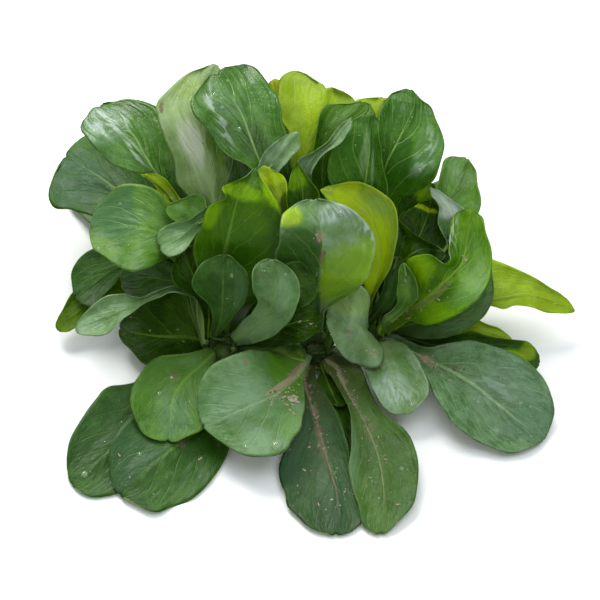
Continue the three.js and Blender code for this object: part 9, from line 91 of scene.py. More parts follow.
("middle_shoot_leaf_11", "A13", "pale", -1, 1.0, 248, [40,-1427,587,68,-1413,585,97,-1400,583,125,-1387,581,154,-1374,578,182,-1363,576,211,-1353,574,239,-1344,571,268,-1337,569,-33,-1388,1029,5,-1393,1017,40,-1396,1008,73,-1400,1001,104,-1405,998,131,-1368,993,156,-1333,991,180,-1300,993,204,-1272,1001,-133,-1291,1429,-96,-1270,1396,-58,-1262,1376,-21,-1266,1367,16,-1282,1370,45,-1245,1364,74,-1220,1369,102,-1208,1386,131,-1208,1415,-218,-1264,1867,-176,-1221,1818,-134,-1198,1787,-92,-1193,1773,-50,-1208,1778,-18,-1168,1768,13,-1147,1776,44,-1145,1802,76,-1163,1846,-311,-1220,2292,-263,-1154,2226,-214,-1115,2184,-166,-1101,2166,-118,-1114,2173,-81,-1071,2159,-44,-1054,2169,-8,-1063,2204,29,-1098,2263,-415,-1168,2706,-359,-1077,2623,-303,-1020,2571,-246,-996,2549,-189,-1006,2558,-141,-956,2540,-94,-939,2552,-46,-956,2595,1,-1006,2668,-529,-1108,3112,-464,-992,3013,-398,-916,2950,-331,-882,2926,-264,-890,2938,-200,-828,2914,-135,-808,2926,-71,-829,2977,-7,-891,3064,-649,-1031,3509,-574,-892,3394,-499,-802,3323,-423,-761,3296,-347,-769,3312,-268,-696,3281,-189,-671,3293,-110,-696,3349,-31,-771,3448,-768,-938,3891,-688,-787,3770,-606,-687,3694,-523,-639,3662,-440,-643,3676,-356,-567,3644,-272,-543,3656,-187,-570,3713,-102,-649,3816,-891,-814,4253,-806,-658,4128,-718,-554,4047,-630,-503,4012,-541,-504,4022,-458,-430,3989,-373,-408,4002,-289,-438,4059,-205,-522,4161,-1016,-662,4589,-926,-505,4461,-834,-401,4378,-741,-349,4340,-647,-351,4347,-566,-280,4314,-485,-262,4325,-404,-298,4382,-322,-387,4483,-1135,-494,4901,-1042,-337,4772,-948,-233,4687,-852,-184,4648,-755,-188,4654,-678,-119,4619,-600,-105,4629,-522,-144,4685,-444,-238,4785,-1242,-330,5190,-1151,-170,5061,-1057,-65,4976,-962,-14,4937,-866,-19,4943,-794,49,4907,-722,61,4916,-649,19,4970,-576,-78,5069,-1352,-139,5455,-1265,16,5327,-1176,116,5243,-1085,161,5204,-992,150,5211,-927,218,5173,-861,230,5180,-793,187,5232,-725,88,5329,-1456,90,5699,-1373,233,5572,-1288,319,5491,-1201,349,5454,-1112,324,5462,-1049,388,5422,-984,397,5427,-918,350,5477,-851,246,5572,-1527,380,5927,-1446,499,5804,-1362,560,5725,-1276,564,5691,-1189,512,5703,-1120,567,5660,-1050,565,5662,-979,507,5710,-907,392,5802,-1499,685,6141,-1421,777,6021,-1341,810,5947,-1258,786,5917,-1174,704,5933,-1103,743,5887,-1030,723,5887,-957,647,5932,-882,513,6022,-1383,953,6335,-1309,1020,6221,-1233,1028,6151,-1156,978,6127,-1077,869,6148,-998,881,6100,-918,834,6096,-837,730,6138,-755,568,6225,-1206,1162,6501,-1138,1209,6396,-1067,1196,6335,-995,1123,6320,-922,993,6349,-832,971,6296,-740,891,6288,-648,752,6326,-556,556,6408,-1025,1327,6634,-951,1341,6558,-878,1306,6516,-806,1222,6508,-735,1090,6535,-655,1063,6491,-576,987,6481,-498,863,6506,-422,692,6565,-836,1478,6729,-757,1475,6687,-685,1429,6669,-618,1339,6675,-558,1205,6704,-474,1173,6667,-395,1097,6653,-324,977,6662,-259,815,6696,-625,1561,6835,-548,1561,6822,-482,1520,6822,-428,1439,6836,-385,1317,6864,-307,1295,6833,-241,1232,6816,-187,1129,6813,-144,986,6824,-372,1498,6955,-322,1511,6964,-279,1502,6978,-244,1473,6997,-218,1422,7020,-198,1411,6996,-186,1379,6978,-182,1325,6964,-186,1251,6954]),
("middle_shoot_leaf_12", "A12", "pale", -1, 1.0, 255, [306,-1340,513,336,-1339,510,367,-1338,507,398,-1338,505,428,-1338,504,459,-1339,504,489,-1340,505,520,-1342,507,551,-1344,509,305,-1180,965,339,-1187,936,372,-1200,912,405,-1219,894,438,-1247,886,468,-1226,894,499,-1214,912,529,-1209,938,560,-1210,971,294,-1192,1519,331,-1194,1496,369,-1208,1485,407,-1235,1486,444,-1274,1498,475,-1250,1496,506,-1238,1505,537,-1239,1526,567,-1252,1559,277,-1146,1994,322,-1132,1959,367,-1138,1943,412,-1163,1944,457,-1208,1963,490,-1185,1959,522,-1181,1974,554,-1197,2006,586,-1232,2056,246,-1047,2422,301,-1016,2375,357,-1012,2352,412,-1034,2354,467,-1082,2380,507,-1060,2375,546,-1063,2394,585,-1093,2437,624,-1149,2505,194,-921,2819,263,-869,2759,332,-850,2731,400,-866,2732,468,-916,2765,530,-889,2757,591,-895,2779,651,-936,2832,711,-1010,2916,130,-790,3208,211,-714,3135,292,-679,3100,372,-686,3102,451,-735,3141,532,-700,3127,612,-707,3151,691,-756,3212,769,-847,3311,62,-659,3590,149,-556,3503,236,-502,3461,323,-498,3462,409,-544,3507,491,-497,3485,573,-499,3507,653,-551,3573,732,-653,3683,-15,-508,3964,73,-389,3871,162,-323,3823,250,-309,3819,338,-347,3861,416,-296,3836,494,-298,3856,570,-353,3921,645,-460,4030,-96,-341,4343,-10,-217,4244,78,-146,4191,164,-127,4182,251,-162,4219,326,-113,4190,400,-117,4206,473,-174,4267,546,-285,4373,-174,-172,4723,-90,-46,4620,-6,26,4562,79,44,4550,162,7,4582,236,54,4549,309,47,4560,382,-14,4617,453,-129,4719,-239,-2,5090,-159,125,4984,-78,197,4924,3,214,4909,83,176,4938,155,221,4901,225,212,4909,296,147,4963,365,28,5061,-302,175,5433,-229,300,5328,-155,370,5267,-81,384,5251,-7,342,5280,63,388,5241,132,378,5246,201,313,5297,269,191,5393,-350,383,5765,-283,498,5660,-217,557,5600,-150,558,5585,-83,503,5615,-10,544,5574,63,529,5577,136,457,5625,207,329,5719,-324,652,6066,-261,746,5963,-198,783,5905,-135,762,5893,-73,684,5925,2,704,5881,77,667,5882,151,573,5928,224,421,6019,-159,895,6318,-101,971,6218,-43,989,6163,15,948,6153,72,849,6188,134,854,6142,196,800,6141,256,689,6184,316,520,6273,167,895,6522,197,1004,6425,227,1054,6373,257,1045,6366,286,978,6404,333,982,6355,379,928,6352,425,816,6393,469,645,6480,434,985,6694,462,1087,6600,489,1129,6552,515,1112,6548,540,1036,6589,577,1052,6538,614,1010,6532,650,908,6571,684,747,6655,652,1109,6848,688,1194,6760,724,1220,6717,758,1185,6720,791,1089,6769,828,1110,6715,864,1071,6706,898,974,6741,931,821,6817,836,1257,6987,882,1317,6925,926,1330,6897,967,1293,6904,1006,1208,6946,1050,1199,6904,1092,1143,6896,1132,1045,6916,1169,906,6965,1015,1431,7095,1066,1481,7058,1113,1490,7046,1155,1460,7057,1192,1390,7092,1242,1369,7055,1286,1309,7042,1325,1209,7052,1359,1072,7085,1205,1572,7206,1255,1621,7193,1298,1637,7194,1335,1621,7209,1364,1573,7238,1404,1551,7208,1438,1496,7193,1464,1410,7191,1483,1292,7203,1409,1683,7322,1446,1721,7331,1479,1744,7343,1508,1751,7360,1532,1744,7382,1535,1723,7360,1533,1686,7343,1527,1635,7331,1517,1569,7322]),
("right_shoot_leaf_14", "H11", "pale", 1, 1.0, 262, [2041,-2119,536,2075,-2118,536,2109,-2116,536,2142,-2115,536,2176,-2114,537,2210,-2112,537,2243,-2111,537,2277,-2110,537,2311,-2108,537,2165,-1894,621,2188,-1930,620,2209,-1972,624,2231,-2019,634,2252,-2073,650,2291,-2083,653,2329,-2100,663,2368,-2122,678,2405,-2150,699,2053,-2266,704,2123,-2190,702,2193,-2126,712,2262,-2074,733,2330,-2034,767,2379,-2050,775,2427,-2079,795,2473,-2120,826,2519,-2172,870,1972,-2675,760,2090,-2508,758,2208,-2359,774,2325,-2226,808,2442,-2112,860,2532,-2095,872,2622,-2096,903,2709,-2116,952,2795,-2153,1019,1988,-3057,774,2119,-2840,770,2250,-2646,791,2380,-2476,836,2508,-2328,905,2643,-2273,922,2777,-2242,963,2908,-2236,1029,3037,-2254,1118,2023,-3348,767,2160,-3100,759,2296,-2880,782,2430,-2689,835,2563,-2528,920,2731,-2442,939,2897,-2387,989,3060,-2363,1070,3220,-2370,1181,2032,-3438,777,2183,-3206,760,2333,-3009,780,2481,-2847,838,2626,-2722,933,2815,-2620,952,3001,-2554,1008,3183,-2526,1102,3361,-2535,1233,2038,-3563,828,2206,-3340,794,2371,-3159,804,2534,-3019,858,2694,-2922,955,2896,-2820,971,3095,-2761,1030,3289,-2746,1133,3478,-2776,1279,2043,-3719,915,2225,-3504,862,2406,-3333,855,2584,-3204,893,2759,-3120,975,2975,-3028,992,3187,-2981,1053,3395,-2979,1159,3597,-3021,1310,2047,-3877,1009,2243,-3672,936,2438,-3509,908,2630,-3389,925,2819,-3313,987,3047,-3236,1003,3271,-3202,1064,3489,-3214,1171,3703,-3270,1322,2065,-4085,1089,2269,-3875,996,2472,-3707,949,2672,-3582,947,2869,-3501,989,3105,-3436,1003,3338,-3414,1063,3566,-3437,1167,3787,-3505,1316,2102,-4302,1134,2307,-4084,1029,2511,-3907,970,2712,-3773,955,2910,-3682,985,3154,-3627,996,3393,-3615,1051,3626,-3646,1152,3854,-3723,1297,2154,-4480,1137,2356,-4261,1029,2555,-4084,966,2753,-3949,948,2947,-3856,975,3194,-3807,981,3437,-3801,1031,3675,-3838,1127,3906,-3919,1267,2216,-4626,1112,2411,-4412,1006,2604,-4239,946,2794,-4108,931,2981,-4021,960,3230,-3975,958,3476,-3972,1002,3716,-4013,1090,3950,-4097,1223,2284,-4743,1070,2469,-4538,970,2653,-4375,915,2835,-4254,906,3013,-4175,941,3261,-4134,930,3505,-4137,965,3744,-4183,1045,3977,-4271,1169,2353,-4840,1021,2529,-4648,928,2703,-4496,880,2875,-4387,877,3042,-4320,918,3283,-4287,899,3520,-4297,925,3752,-4349,996,3978,-4445,1112,2424,-4926,972,2589,-4745,885,2752,-4607,842,2912,-4510,845,3068,-4455,893,3296,-4432,866,3519,-4450,883,3737,-4512,946,3948,-4615,1053,2497,-5006,928,2650,-4838,845,2800,-4711,807,2947,-4625,814,3090,-4582,866,3294,-4566,831,3494,-4593,841,3689,-4662,897,3877,-4773,997,2581,-5079,887,2718,-4923,807,2852,-4808,771,2982,-4735,781,3108,-4704,836,3283,-4690,795,3453,-4718,799,3618,-4788,848,3778,-4900,942,2683,-5135,843,2797,-5017,782,2909,-4926,755,3017,-4861,763,3122,-4824,804,3266,-4828,773,3407,-4858,775,3543,-4916,812,3675,-5001,883,2802,-5164,794,2888,-5096,753,2972,-5035,735,3054,-4982,741,3132,-4937,771,3247,-4960,746,3360,-4991,745,3468,-5030,767,3574,-5076,814,2935,-5172,753,2989,-5151,728,3042,-5123,717,3092,-5088,720,3141,-5045,737,3220,-5083,722,3296,-5113,720,3371,-5136,733,3443,-5152,759,3078,-5155,719,3097,-5165,709,3116,-5167,703,3133,-5162,702,3150,-5150,705,3177,-5163,702,3202,-5169,703,3227,-5167,709,3250,-5158,720]),
("left_shoot_leaf_13", "L5", "pale", 1, 1.0, 269, [-3467,-1936,585,-3436,-1938,591,-3405,-1940,595,-3373,-1940,599,-3342,-1940,602,-3312,-1940,605,-3281,-1938,606,-3251,-1934,606,-3221,-1929,604,-3504,-1742,898,-3464,-1759,894,-3424,-1781,896,-3384,-1806,900,-3345,-1831,906,-3318,-1815,910,-3290,-1801,917,-3264,-1787,926,-3237,-1774,936,-3550,-1652,1204,-3504,-1634,1172,-3456,-1628,1154,-3407,-1635,1147,-3357,-1655,1150,-3333,-1632,1146,-3308,-1620,1153,-3282,-1619,1170,-3256,-1629,1198,-3597,-1616,1553,-3539,-1576,1501,-3478,-1554,1468,-3416,-1552,1453,-3352,-1568,1455,-3326,-1539,1448,-3297,-1529,1458,-3268,-1537,1487,-3236,-1564,1533,-3603,-1591,1907,-3545,-1522,1838,-3484,-1478,1793,-3421,-1461,1773,-3355,-1469,1777,-3344,-1435,1766,-3330,-1428,1780,-3313,-1446,1817,-3295,-1490,1879,-3579,-1577,2253,-3537,-1475,2168,-3493,-1406,2113,-3447,-1370,2088,-3398,-1366,2094,-3418,-1347,2080,-3435,-1361,2095,-3450,-1407,2142,-3464,-1487,2217,-3600,-1415,2527,-3593,-1319,2429,-3580,-1263,2370,-3570,-1248,2344,-3563,-1272,2352,-3595,-1291,2333,-3629,-1351,2348,-3661,-1450,2399,-3675,-1590,2494,-3803,-1239,2757,-3816,-1183,2641,-3824,-1176,2568,-3828,-1216,2539,-3830,-1303,2552,-3851,-1323,2526,-3868,-1391,2544,-3878,-1506,2606,-3880,-1668,2714,-4130,-1380,2907,-4135,-1310,2788,-4133,-1290,2714,-4126,-1319,2684,-4114,-1397,2700,-4132,-1406,2674,-4145,-1464,2694,-4153,-1571,2758,-4155,-1726,2868,-4444,-1586,2996,-4443,-1504,2877,-4436,-1470,2803,-4423,-1486,2774,-4405,-1550,2790,-4424,-1557,2765,-4437,-1613,2786,-4444,-1717,2852,-4445,-1870,2962,-4729,-1795,3021,-4727,-1704,2902,-4718,-1662,2828,-4702,-1670,2800,-4681,-1725,2816,-4698,-1746,2791,-4708,-1815,2810,-4713,-1932,2875,-4711,-2097,2985,-4997,-1987,3010,-4993,-1894,2891,-4981,-1850,2816,-4963,-1854,2787,-4939,-1907,2803,-4961,-1918,2774,-4977,-1977,2790,-4987,-2085,2852,-4989,-2240,2958,-5279,-2102,3001,-5266,-2025,2879,-5247,-1997,2802,-5221,-2017,2770,-5187,-2085,2783,-5213,-2088,2747,-5233,-2139,2756,-5245,-2238,2809,-5250,-2385,2908,-5583,-1987,2988,-5559,-1972,2861,-5527,-2006,2780,-5488,-2087,2743,-5441,-2217,2751,-5463,-2229,2703,-5477,-2289,2700,-5484,-2397,2741,-5484,-2551,2828,-5881,-1881,2964,-5847,-1913,2833,-5806,-1994,2746,-5757,-2123,2705,-5700,-2299,2709,-5713,-2331,2647,-5718,-2410,2630,-5716,-2536,2659,-5706,-2710,2732,-6148,-1922,2928,-6112,-1959,2794,-6067,-2045,2705,-6014,-2179,2661,-5954,-2359,2661,-5955,-2417,2587,-5948,-2522,2558,-5934,-2674,2574,-5911,-2872,2635,-6414,-1929,2877,-6372,-1979,2742,-6322,-2077,2653,-6263,-2223,2609,-6197,-2415,2609,-6182,-2506,2526,-6158,-2644,2488,-6127,-2828,2494,-6088,-3058,2546,-6648,-1995,2805,-6606,-2041,2674,-6555,-2136,2589,-6496,-2278,2548,-6428,-2466,2553,-6400,-2586,2465,-6364,-2751,2422,-6319,-2962,2424,-6267,-3219,2472,-6845,-2110,2711,-6811,-2139,2588,-6768,-2216,2511,-6716,-2341,2479,-6655,-2512,2491,-6621,-2641,2404,-6577,-2815,2362,-6526,-3035,2365,-6466,-3299,2414,-7025,-2220,2591,-7004,-2253,2498,-6972,-2321,2439,-6930,-2423,2414,-6878,-2559,2423,-6841,-2700,2358,-6794,-2875,2327,-6737,-3082,2330,-6671,-3321,2368,-7196,-2299,2441,-7191,-2349,2382,-7171,-2418,2347,-7138,-2505,2336,-7090,-2611,2348,-7061,-2744,2309,-7018,-2895,2293,-6961,-3064,2301,-6890,-3251,2333,-7341,-2413,2322,-7353,-2471,2289,-7348,-2534,2270,-7328,-2601,2265,-7290,-2673,2274,-7272,-2782,2256,-7237,-2895,2253,-7186,-3012,2263,-7119,-3133,2287,-7441,-2598,2235,-7469,-2637,2221,-7485,-2673,2210,-7490,-2705,2205,-7483,-2734,2203,-7474,-2798,2204,-7453,-2858,2209,-7421,-2915,2218,-7377,-2968,2232]),
("right_shoot_leaf_15", "H15", "shade", -1, 1.0, 276, [2409,-1042,739,2439,-1052,739,2468,-1062,739,2497,-1073,739,2526,-1083,739,2555,-1095,740,2584,-1107,742,2613,-1119,743,2641,-1131,744,2464,-928,952,2491,-939,936,2518,-957,926,2544,-981,921,2570,-1012,923,2602,-1012,922,2633,-1017,927,2664,-1029,937,2694,-1046,953,2483,-912,1175,2513,-903,1143,2542,-908,1123,2570,-926,1115,2596,-957,1119,2632,-955,1115,2667,-965,1124,2700,-988,1145,2733,-1023,1177,2497,-914,1424,2529,-888,1376,2560,-882,1346,2589,-895,1335,2617,-927,1341,2658,-924,1336,2698,-939,1349,2735,-974,1379,2772,-1027,1428,2505,-952,1721,2543,-909,1657,2578,-892,1617,2611,-901,1601,2643,-936,1609,2690,-932,1601,2736,-954,1617,2779,-1002,1657,2820,-1076,1722,2488,-1009,2056,2537,-950,1972,2585,-925,1920,2630,-933,1898,2672,-973,1906,2736,-973,1893,2798,-1006,1910,2858,-1073,1958,2914,-1171,2036,2442,-1015,2388,2513,-950,2282,2582,-925,2214,2647,-940,2183,2710,-996,2189,2799,-1008,2166,2885,-1059,2180,2967,-1151,2232,3046,-1282,2320,2402,-960,2717,2497,-896,2583,2589,-881,2493,2677,-914,2447,2762,-995,2444,2870,-1016,2405,2975,-1085,2410,3074,-1201,2458,3169,-1364,2550,2419,-892,3061,2527,-839,2898,2631,-836,2781,2732,-884,2708,2829,-982,2681,2949,-1014,2626,3066,-1095,2616,3178,-1226,2651,3284,-1405,2731,2495,-798,3388,2604,-760,3197,2709,-773,3050,2811,-837,2949,2908,-951,2893,3037,-993,2820,3162,-1085,2793,3282,-1225,2810,3397,-1414,2873,2596,-657,3665,2703,-640,3449,2806,-675,3278,2906,-761,3153,3002,-898,3072,3135,-950,2982,3263,-1052,2937,3387,-1203,2937,3505,-1403,2982,2693,-478,3884,2803,-491,3654,2909,-557,3468,3011,-675,3328,3108,-843,3233,3240,-909,3130,3367,-1025,3072,3489,-1190,3058,3604,-1404,3090,2788,-258,4054,2904,-319,3822,3016,-434,3636,3124,-600,3494,3227,-816,3398,3353,-897,3286,3474,-1028,3219,3590,-1208,3197,3700,-1437,3220,2897,11,4201,3017,-120,3977,3133,-305,3798,3245,-541,3664,3351,-827,3575,3471,-918,3456,3585,-1060,3381,3694,-1252,3352,3797,-1493,3368,3010,381,4305,3136,152,4094,3256,-128,3928,3372,-459,3807,3481,-839,3731,3587,-944,3606,3687,-1100,3527,3782,-1305,3492,3870,-1560,3503,3244,-18,4346,3346,-140,4151,3443,-316,4000,3535,-543,3895,3621,-821,3835,3703,-943,3707,3780,-1116,3625,3851,-1339,3587,3915,-1611,3595,3517,-410,4326,3588,-422,4147,3654,-487,4013,3715,-605,3924,3770,-774,3880,3828,-908,3752,3879,-1092,3669,3925,-1326,3632,3965,-1609,3639,3753,-637,4285,3804,-587,4121,3849,-590,4003,3889,-645,3929,3922,-752,3900,3955,-887,3775,3982,-1072,3694,4003,-1306,3659,4017,-1590,3669,3957,-770,4243,3994,-697,4096,4025,-677,3994,4050,-710,3938,4070,-794,3926,4085,-912,3807,4094,-1082,3734,4097,-1301,3705,4094,-1570,3722,4128,-847,4200,4159,-800,4092,4183,-792,4018,4199,-822,3978,4208,-892,3973,4221,-1000,3882,4227,-1146,3825,4226,-1329,3802,4217,-1549,3814,4281,-871,4127,4312,-869,4066,4332,-891,4029,4340,-938,4015,4337,-1009,4025,4354,-1110,3968,4359,-1235,3934,4354,-1383,3925,4337,-1554,3938,4411,-949,4100,4444,-977,4074,4463,-1015,4062,4469,-1064,4063,4461,-1125,4079,4477,-1198,4047,4481,-1282,4029,4471,-1377,4025,4447,-1482,4036,4522,-1113,4112,4548,-1138,4110,4567,-1165,4112,4579,-1194,4118,4582,-1226,4129,4582,-1247,4116,4574,-1270,4108,4558,-1296,4104,4535,-1325,4105]),
("middle_shoot_leaf_13", "A14", "mid", -1, 1.0, 283, [-36,-1541,612,-4,-1549,613,27,-1555,612,58,-1559,612,89,-1562,611,120,-1563,610,151,-1563,608,181,-1561,607,211,-1557,605,-42,-1476,1038,-10,-1489,1026,22,-1505,1020,53,-1526,1019,84,-1549,1024,116,-1529,1019,147,-1511,1021,178,-1497,1027,209,-1486,1039,-45,-1545,1490,-12,-1537,1465,21,-1542,1452,54,-1559,1450,87,-1589,1461,119,-1564,1452,150,-1550,1456,182,-1550,1471,213,-1561,1498,-50,-1585,1910,-14,-1562,1872,22,-1559,1852,58,-1574,1849,94,-1608,1865,127,-1580,1852,159,-1571,1858,191,-1580,1881,223,-1609,1922,-56,-1534,2245,-17,-1495,2194,23,-1482,2167,62,-1495,2164,102,-1533,2185,135,-1502,2168,168,-1497,2175,201,-1518,2207,234,-1565,2263,-74,-1421,2525,-28,-1365,2461,18,-1342,2427,64,-1353,2424,109,-1396,2452,147,-1362,2430,185,-1361,2440,223,-1393,2479,260,-1458,2550,-115,-1308,2811,-57,-1236,2735,0,-1205,2696,58,-1215,2694,115,-1266,2729,168,-1227,2702,221,-1228,2713,274,-1271,2761,325,-1354,2846,-177,-1227,3125,-103,-1140,3037,-30,-1101,2994,44,-1111,2994,117,-1169,3038,196,-1124,3007,276,-1128,3019,354,-1181,3076,432,-1281,3175,-244,-1153,3437,-155,-1059,3348,-65,-1015,3304,25,-1021,3305,114,-1078,3351,219,-1036,3324,324,-1045,3341,427,-1104,3403,530,-1213,3511,-306,-1065,3732,-203,-966,3644,-101,-918,3601,2,-921,3603,105,-976,3650,226,-934,3628,346,-944,3651,466,-1005,3718,584,-1117,3831,-367,-952,4004,-254,-851,3918,-140,-801,3877,-26,-803,3881,87,-856,3929,218,-814,3911,348,-823,3938,478,-884,4010,605,-996,4127,-426,-835,4267,-305,-732,4182,-183,-680,4143,-60,-681,4148,62,-734,4198,201,-690,4183,339,-698,4212,476,-758,4287,611,-870,4407,-485,-727,4530,-356,-622,4447,-226,-570,4409,-96,-570,4416,34,-624,4467,178,-577,4453,322,-584,4484,465,-643,4560,606,-756,4681,-540,-628,4796,-404,-524,4714,-268,-472,4678,-131,-474,4686,6,-529,4739,154,-482,4725,302,-489,4756,449,-549,4832,594,-663,4954,-592,-521,5048,-449,-418,4968,-306,-369,4933,-162,-374,4943,-19,-434,4998,131,-387,4983,280,-395,5013,428,-457,5089,575,-573,5209,-647,-396,5271,-495,-295,5193,-342,-249,5160,-189,-257,5172,-36,-321,5229,110,-274,5212,256,-281,5241,401,-344,5314,544,-462,5432,-670,-258,5469,-515,-159,5392,-359,-116,5361,-203,-127,5375,-47,-193,5434,91,-143,5415,229,-147,5440,365,-207,5511,501,-322,5626,-636,-124,5645,-493,-25,5571,-348,20,5542,-203,8,5558,-59,-59,5619,68,0,5595,196,3,5617,322,-50,5683,447,-159,5795,-578,1,5803,-454,105,5732,-329,154,5707,-203,147,5726,-78,83,5791,28,148,5760,134,157,5774,239,110,5834,343,6,5938,-520,137,5942,-419,232,5893,-317,280,5878,-214,280,5897,-111,233,5950,-35,284,5924,41,288,5933,117,244,5975,192,153,6052,-461,289,6065,-387,377,6037,-311,423,6032,-234,427,6051,-156,390,6094,-104,438,6067,-51,445,6063,3,410,6083,58,333,6128,-393,445,6183,-349,520,6174,-303,561,6178,-255,570,6196,-204,545,6228,-173,579,6203,-139,580,6192,-103,547,6195,-64,481,6212,-306,597,6301,-294,644,6309,-281,676,6321,-266,692,6338,-250,693,6360,-235,696,6340,-219,684,6325,-201,656,6314,-182,612,6308]),
("left_shoot_leaf_14", "L7", "light", 1, 1.0, 290, [-3202,-2446,546,-3173,-2463,545,-3145,-2480,544,-3116,-2496,543,-3087,-2513,542,-3059,-2529,541,-3030,-2546,540,-3001,-2562,538,-2973,-2579,537,-3060,-2250,700,-3046,-2280,678,-3032,-2316,662,-3017,-2358,652,-3002,-2406,648,-2999,-2499,640,-2996,-2598,637,-2993,-2702,641,-2989,-2812,651,-3257,-2302,861,-3200,-2323,817,-3142,-2357,785,-3083,-2402,765,-3023,-2459,757,-3027,-2580,742,-3029,-2713,739,-3031,-2856,748,-3032,-3011,769,-3447,-2532,1001,-3373,-2553,935,-3297,-2591,887,-3219,-2648,856,-3139,-2722,844,-3123,-2813,822,-3105,-2921,818,-3085,-3047,832,-3064,-3189,864,-3620,-2696,1097,-3534,-2722,1008,-3445,-2772,944,-3354,-2846,903,-3260,-2945,887,-3222,-3004,858,-3182,-3087,853,-3139,-3194,872,-3095,-3324,916,-3798,-2825,1159,-3701,-2856,1048,-3601,-2917,969,-3498,-3009,919,-3392,-3131,901,-3339,-3192,864,-3283,-3283,857,-3225,-3404,882,-3164,-3555,937,-4018,-2931,1206,-3901,-2970,1076,-3781,-3046,983,-3656,-3158,927,-3529,-3306,908,-3459,-3385,862,-3387,-3500,854,-3311,-3650,883,-3232,-3835,949,-4306,-3025,1242,-4153,-3076,1094,-3994,-3169,990,-3831,-3306,930,-3663,-3484,913,-3572,-3576,858,-3477,-3710,847,-3378,-3886,879,-3276,-4102,956,-4628,-3099,1265,-4426,-3174,1109,-4219,-3295,998,-4007,-3459,932,-3791,-3666,911,-3672,-3779,854,-3549,-3935,842,-3422,-4133,875,-3292,-4373,953,-4940,-3234,1278,-4691,-3324,1118,-4435,-3458,1003,-4175,-3635,934,-3910,-3855,909,-3756,-3994,852,-3596,-4175,839,-3434,-4398,871,-3269,-4661,949,-5181,-3530,1280,-4900,-3594,1120,-4612,-3703,1004,-4319,-3855,934,-4021,-4050,908,-3831,-4199,850,-3636,-4390,836,-3439,-4622,867,-3239,-4895,944,-5354,-3876,1269,-5054,-3905,1110,-4747,-3978,997,-4434,-4094,929,-4116,-4253,905,-3898,-4386,845,-3676,-4560,831,-3451,-4776,861,-3223,-5032,936,-5506,-4220,1237,-5188,-4215,1085,-4862,-4255,978,-4530,-4337,916,-4193,-4461,899,-3953,-4567,838,-3708,-4715,821,-3460,-4904,850,-3210,-5134,924,-5589,-4612,1190,-5265,-4564,1048,-4932,-4558,952,-4593,-4595,900,-4249,-4675,893,-3991,-4753,830,-3729,-4873,812,-3463,-5035,838,-3195,-5237,910,-5586,-5010,1128,-5270,-4916,999,-4946,-4864,914,-4615,-4854,875,-4278,-4885,881,-4010,-4942,815,-3737,-5040,795,-3460,-5179,820,-3182,-5359,889,-5545,-5270,1051,-5240,-5160,934,-4925,-5092,863,-4604,-5065,836,-4277,-5080,854,-4009,-5149,787,-3736,-5259,764,-3460,-5410,787,-3181,-5601,855,-5492,-5411,966,-5198,-5309,860,-4895,-5249,799,-4585,-5230,784,-4270,-5252,813,-4015,-5327,744,-3755,-5442,721,-3491,-5598,742,-3225,-5794,808,-5419,-5521,883,-5143,-5431,786,-4859,-5382,734,-4568,-5374,727,-4272,-5407,765,-4046,-5474,695,-3816,-5582,671,-3582,-5730,691,-3345,-5917,757,-5325,-5647,807,-5075,-5562,716,-4817,-5519,670,-4552,-5516,670,-4283,-5553,714,-4091,-5607,645,-3895,-5701,621,-3694,-5835,642,-3490,-6008,708,-5222,-5795,732,-4999,-5735,664,-4769,-5699,629,-4535,-5686,629,-4296,-5696,663,-4137,-5758,611,-3975,-5843,594,-3809,-5951,610,-3641,-6082,661,-5090,-5925,650,-4902,-5905,604,-4709,-5882,582,-4511,-5857,583,-4310,-5830,608,-4187,-5910,574,-4061,-5988,564,-3931,-6064,578,-3797,-6137,616,-4880,-6039,581,-4746,-6053,554,-4609,-6044,540,-4468,-6012,540,-4324,-5957,554,-4240,-6045,537,-4153,-6111,534,-4063,-6153,545,-3970,-6173,569,-4530,-6107,526,-4484,-6126,513,-4437,-6128,505,-4388,-6113,502,-4337,-6080,503,-4306,-6117,501,-4274,-6137,504,-4240,-6139,512,-4205,-6124,524]),
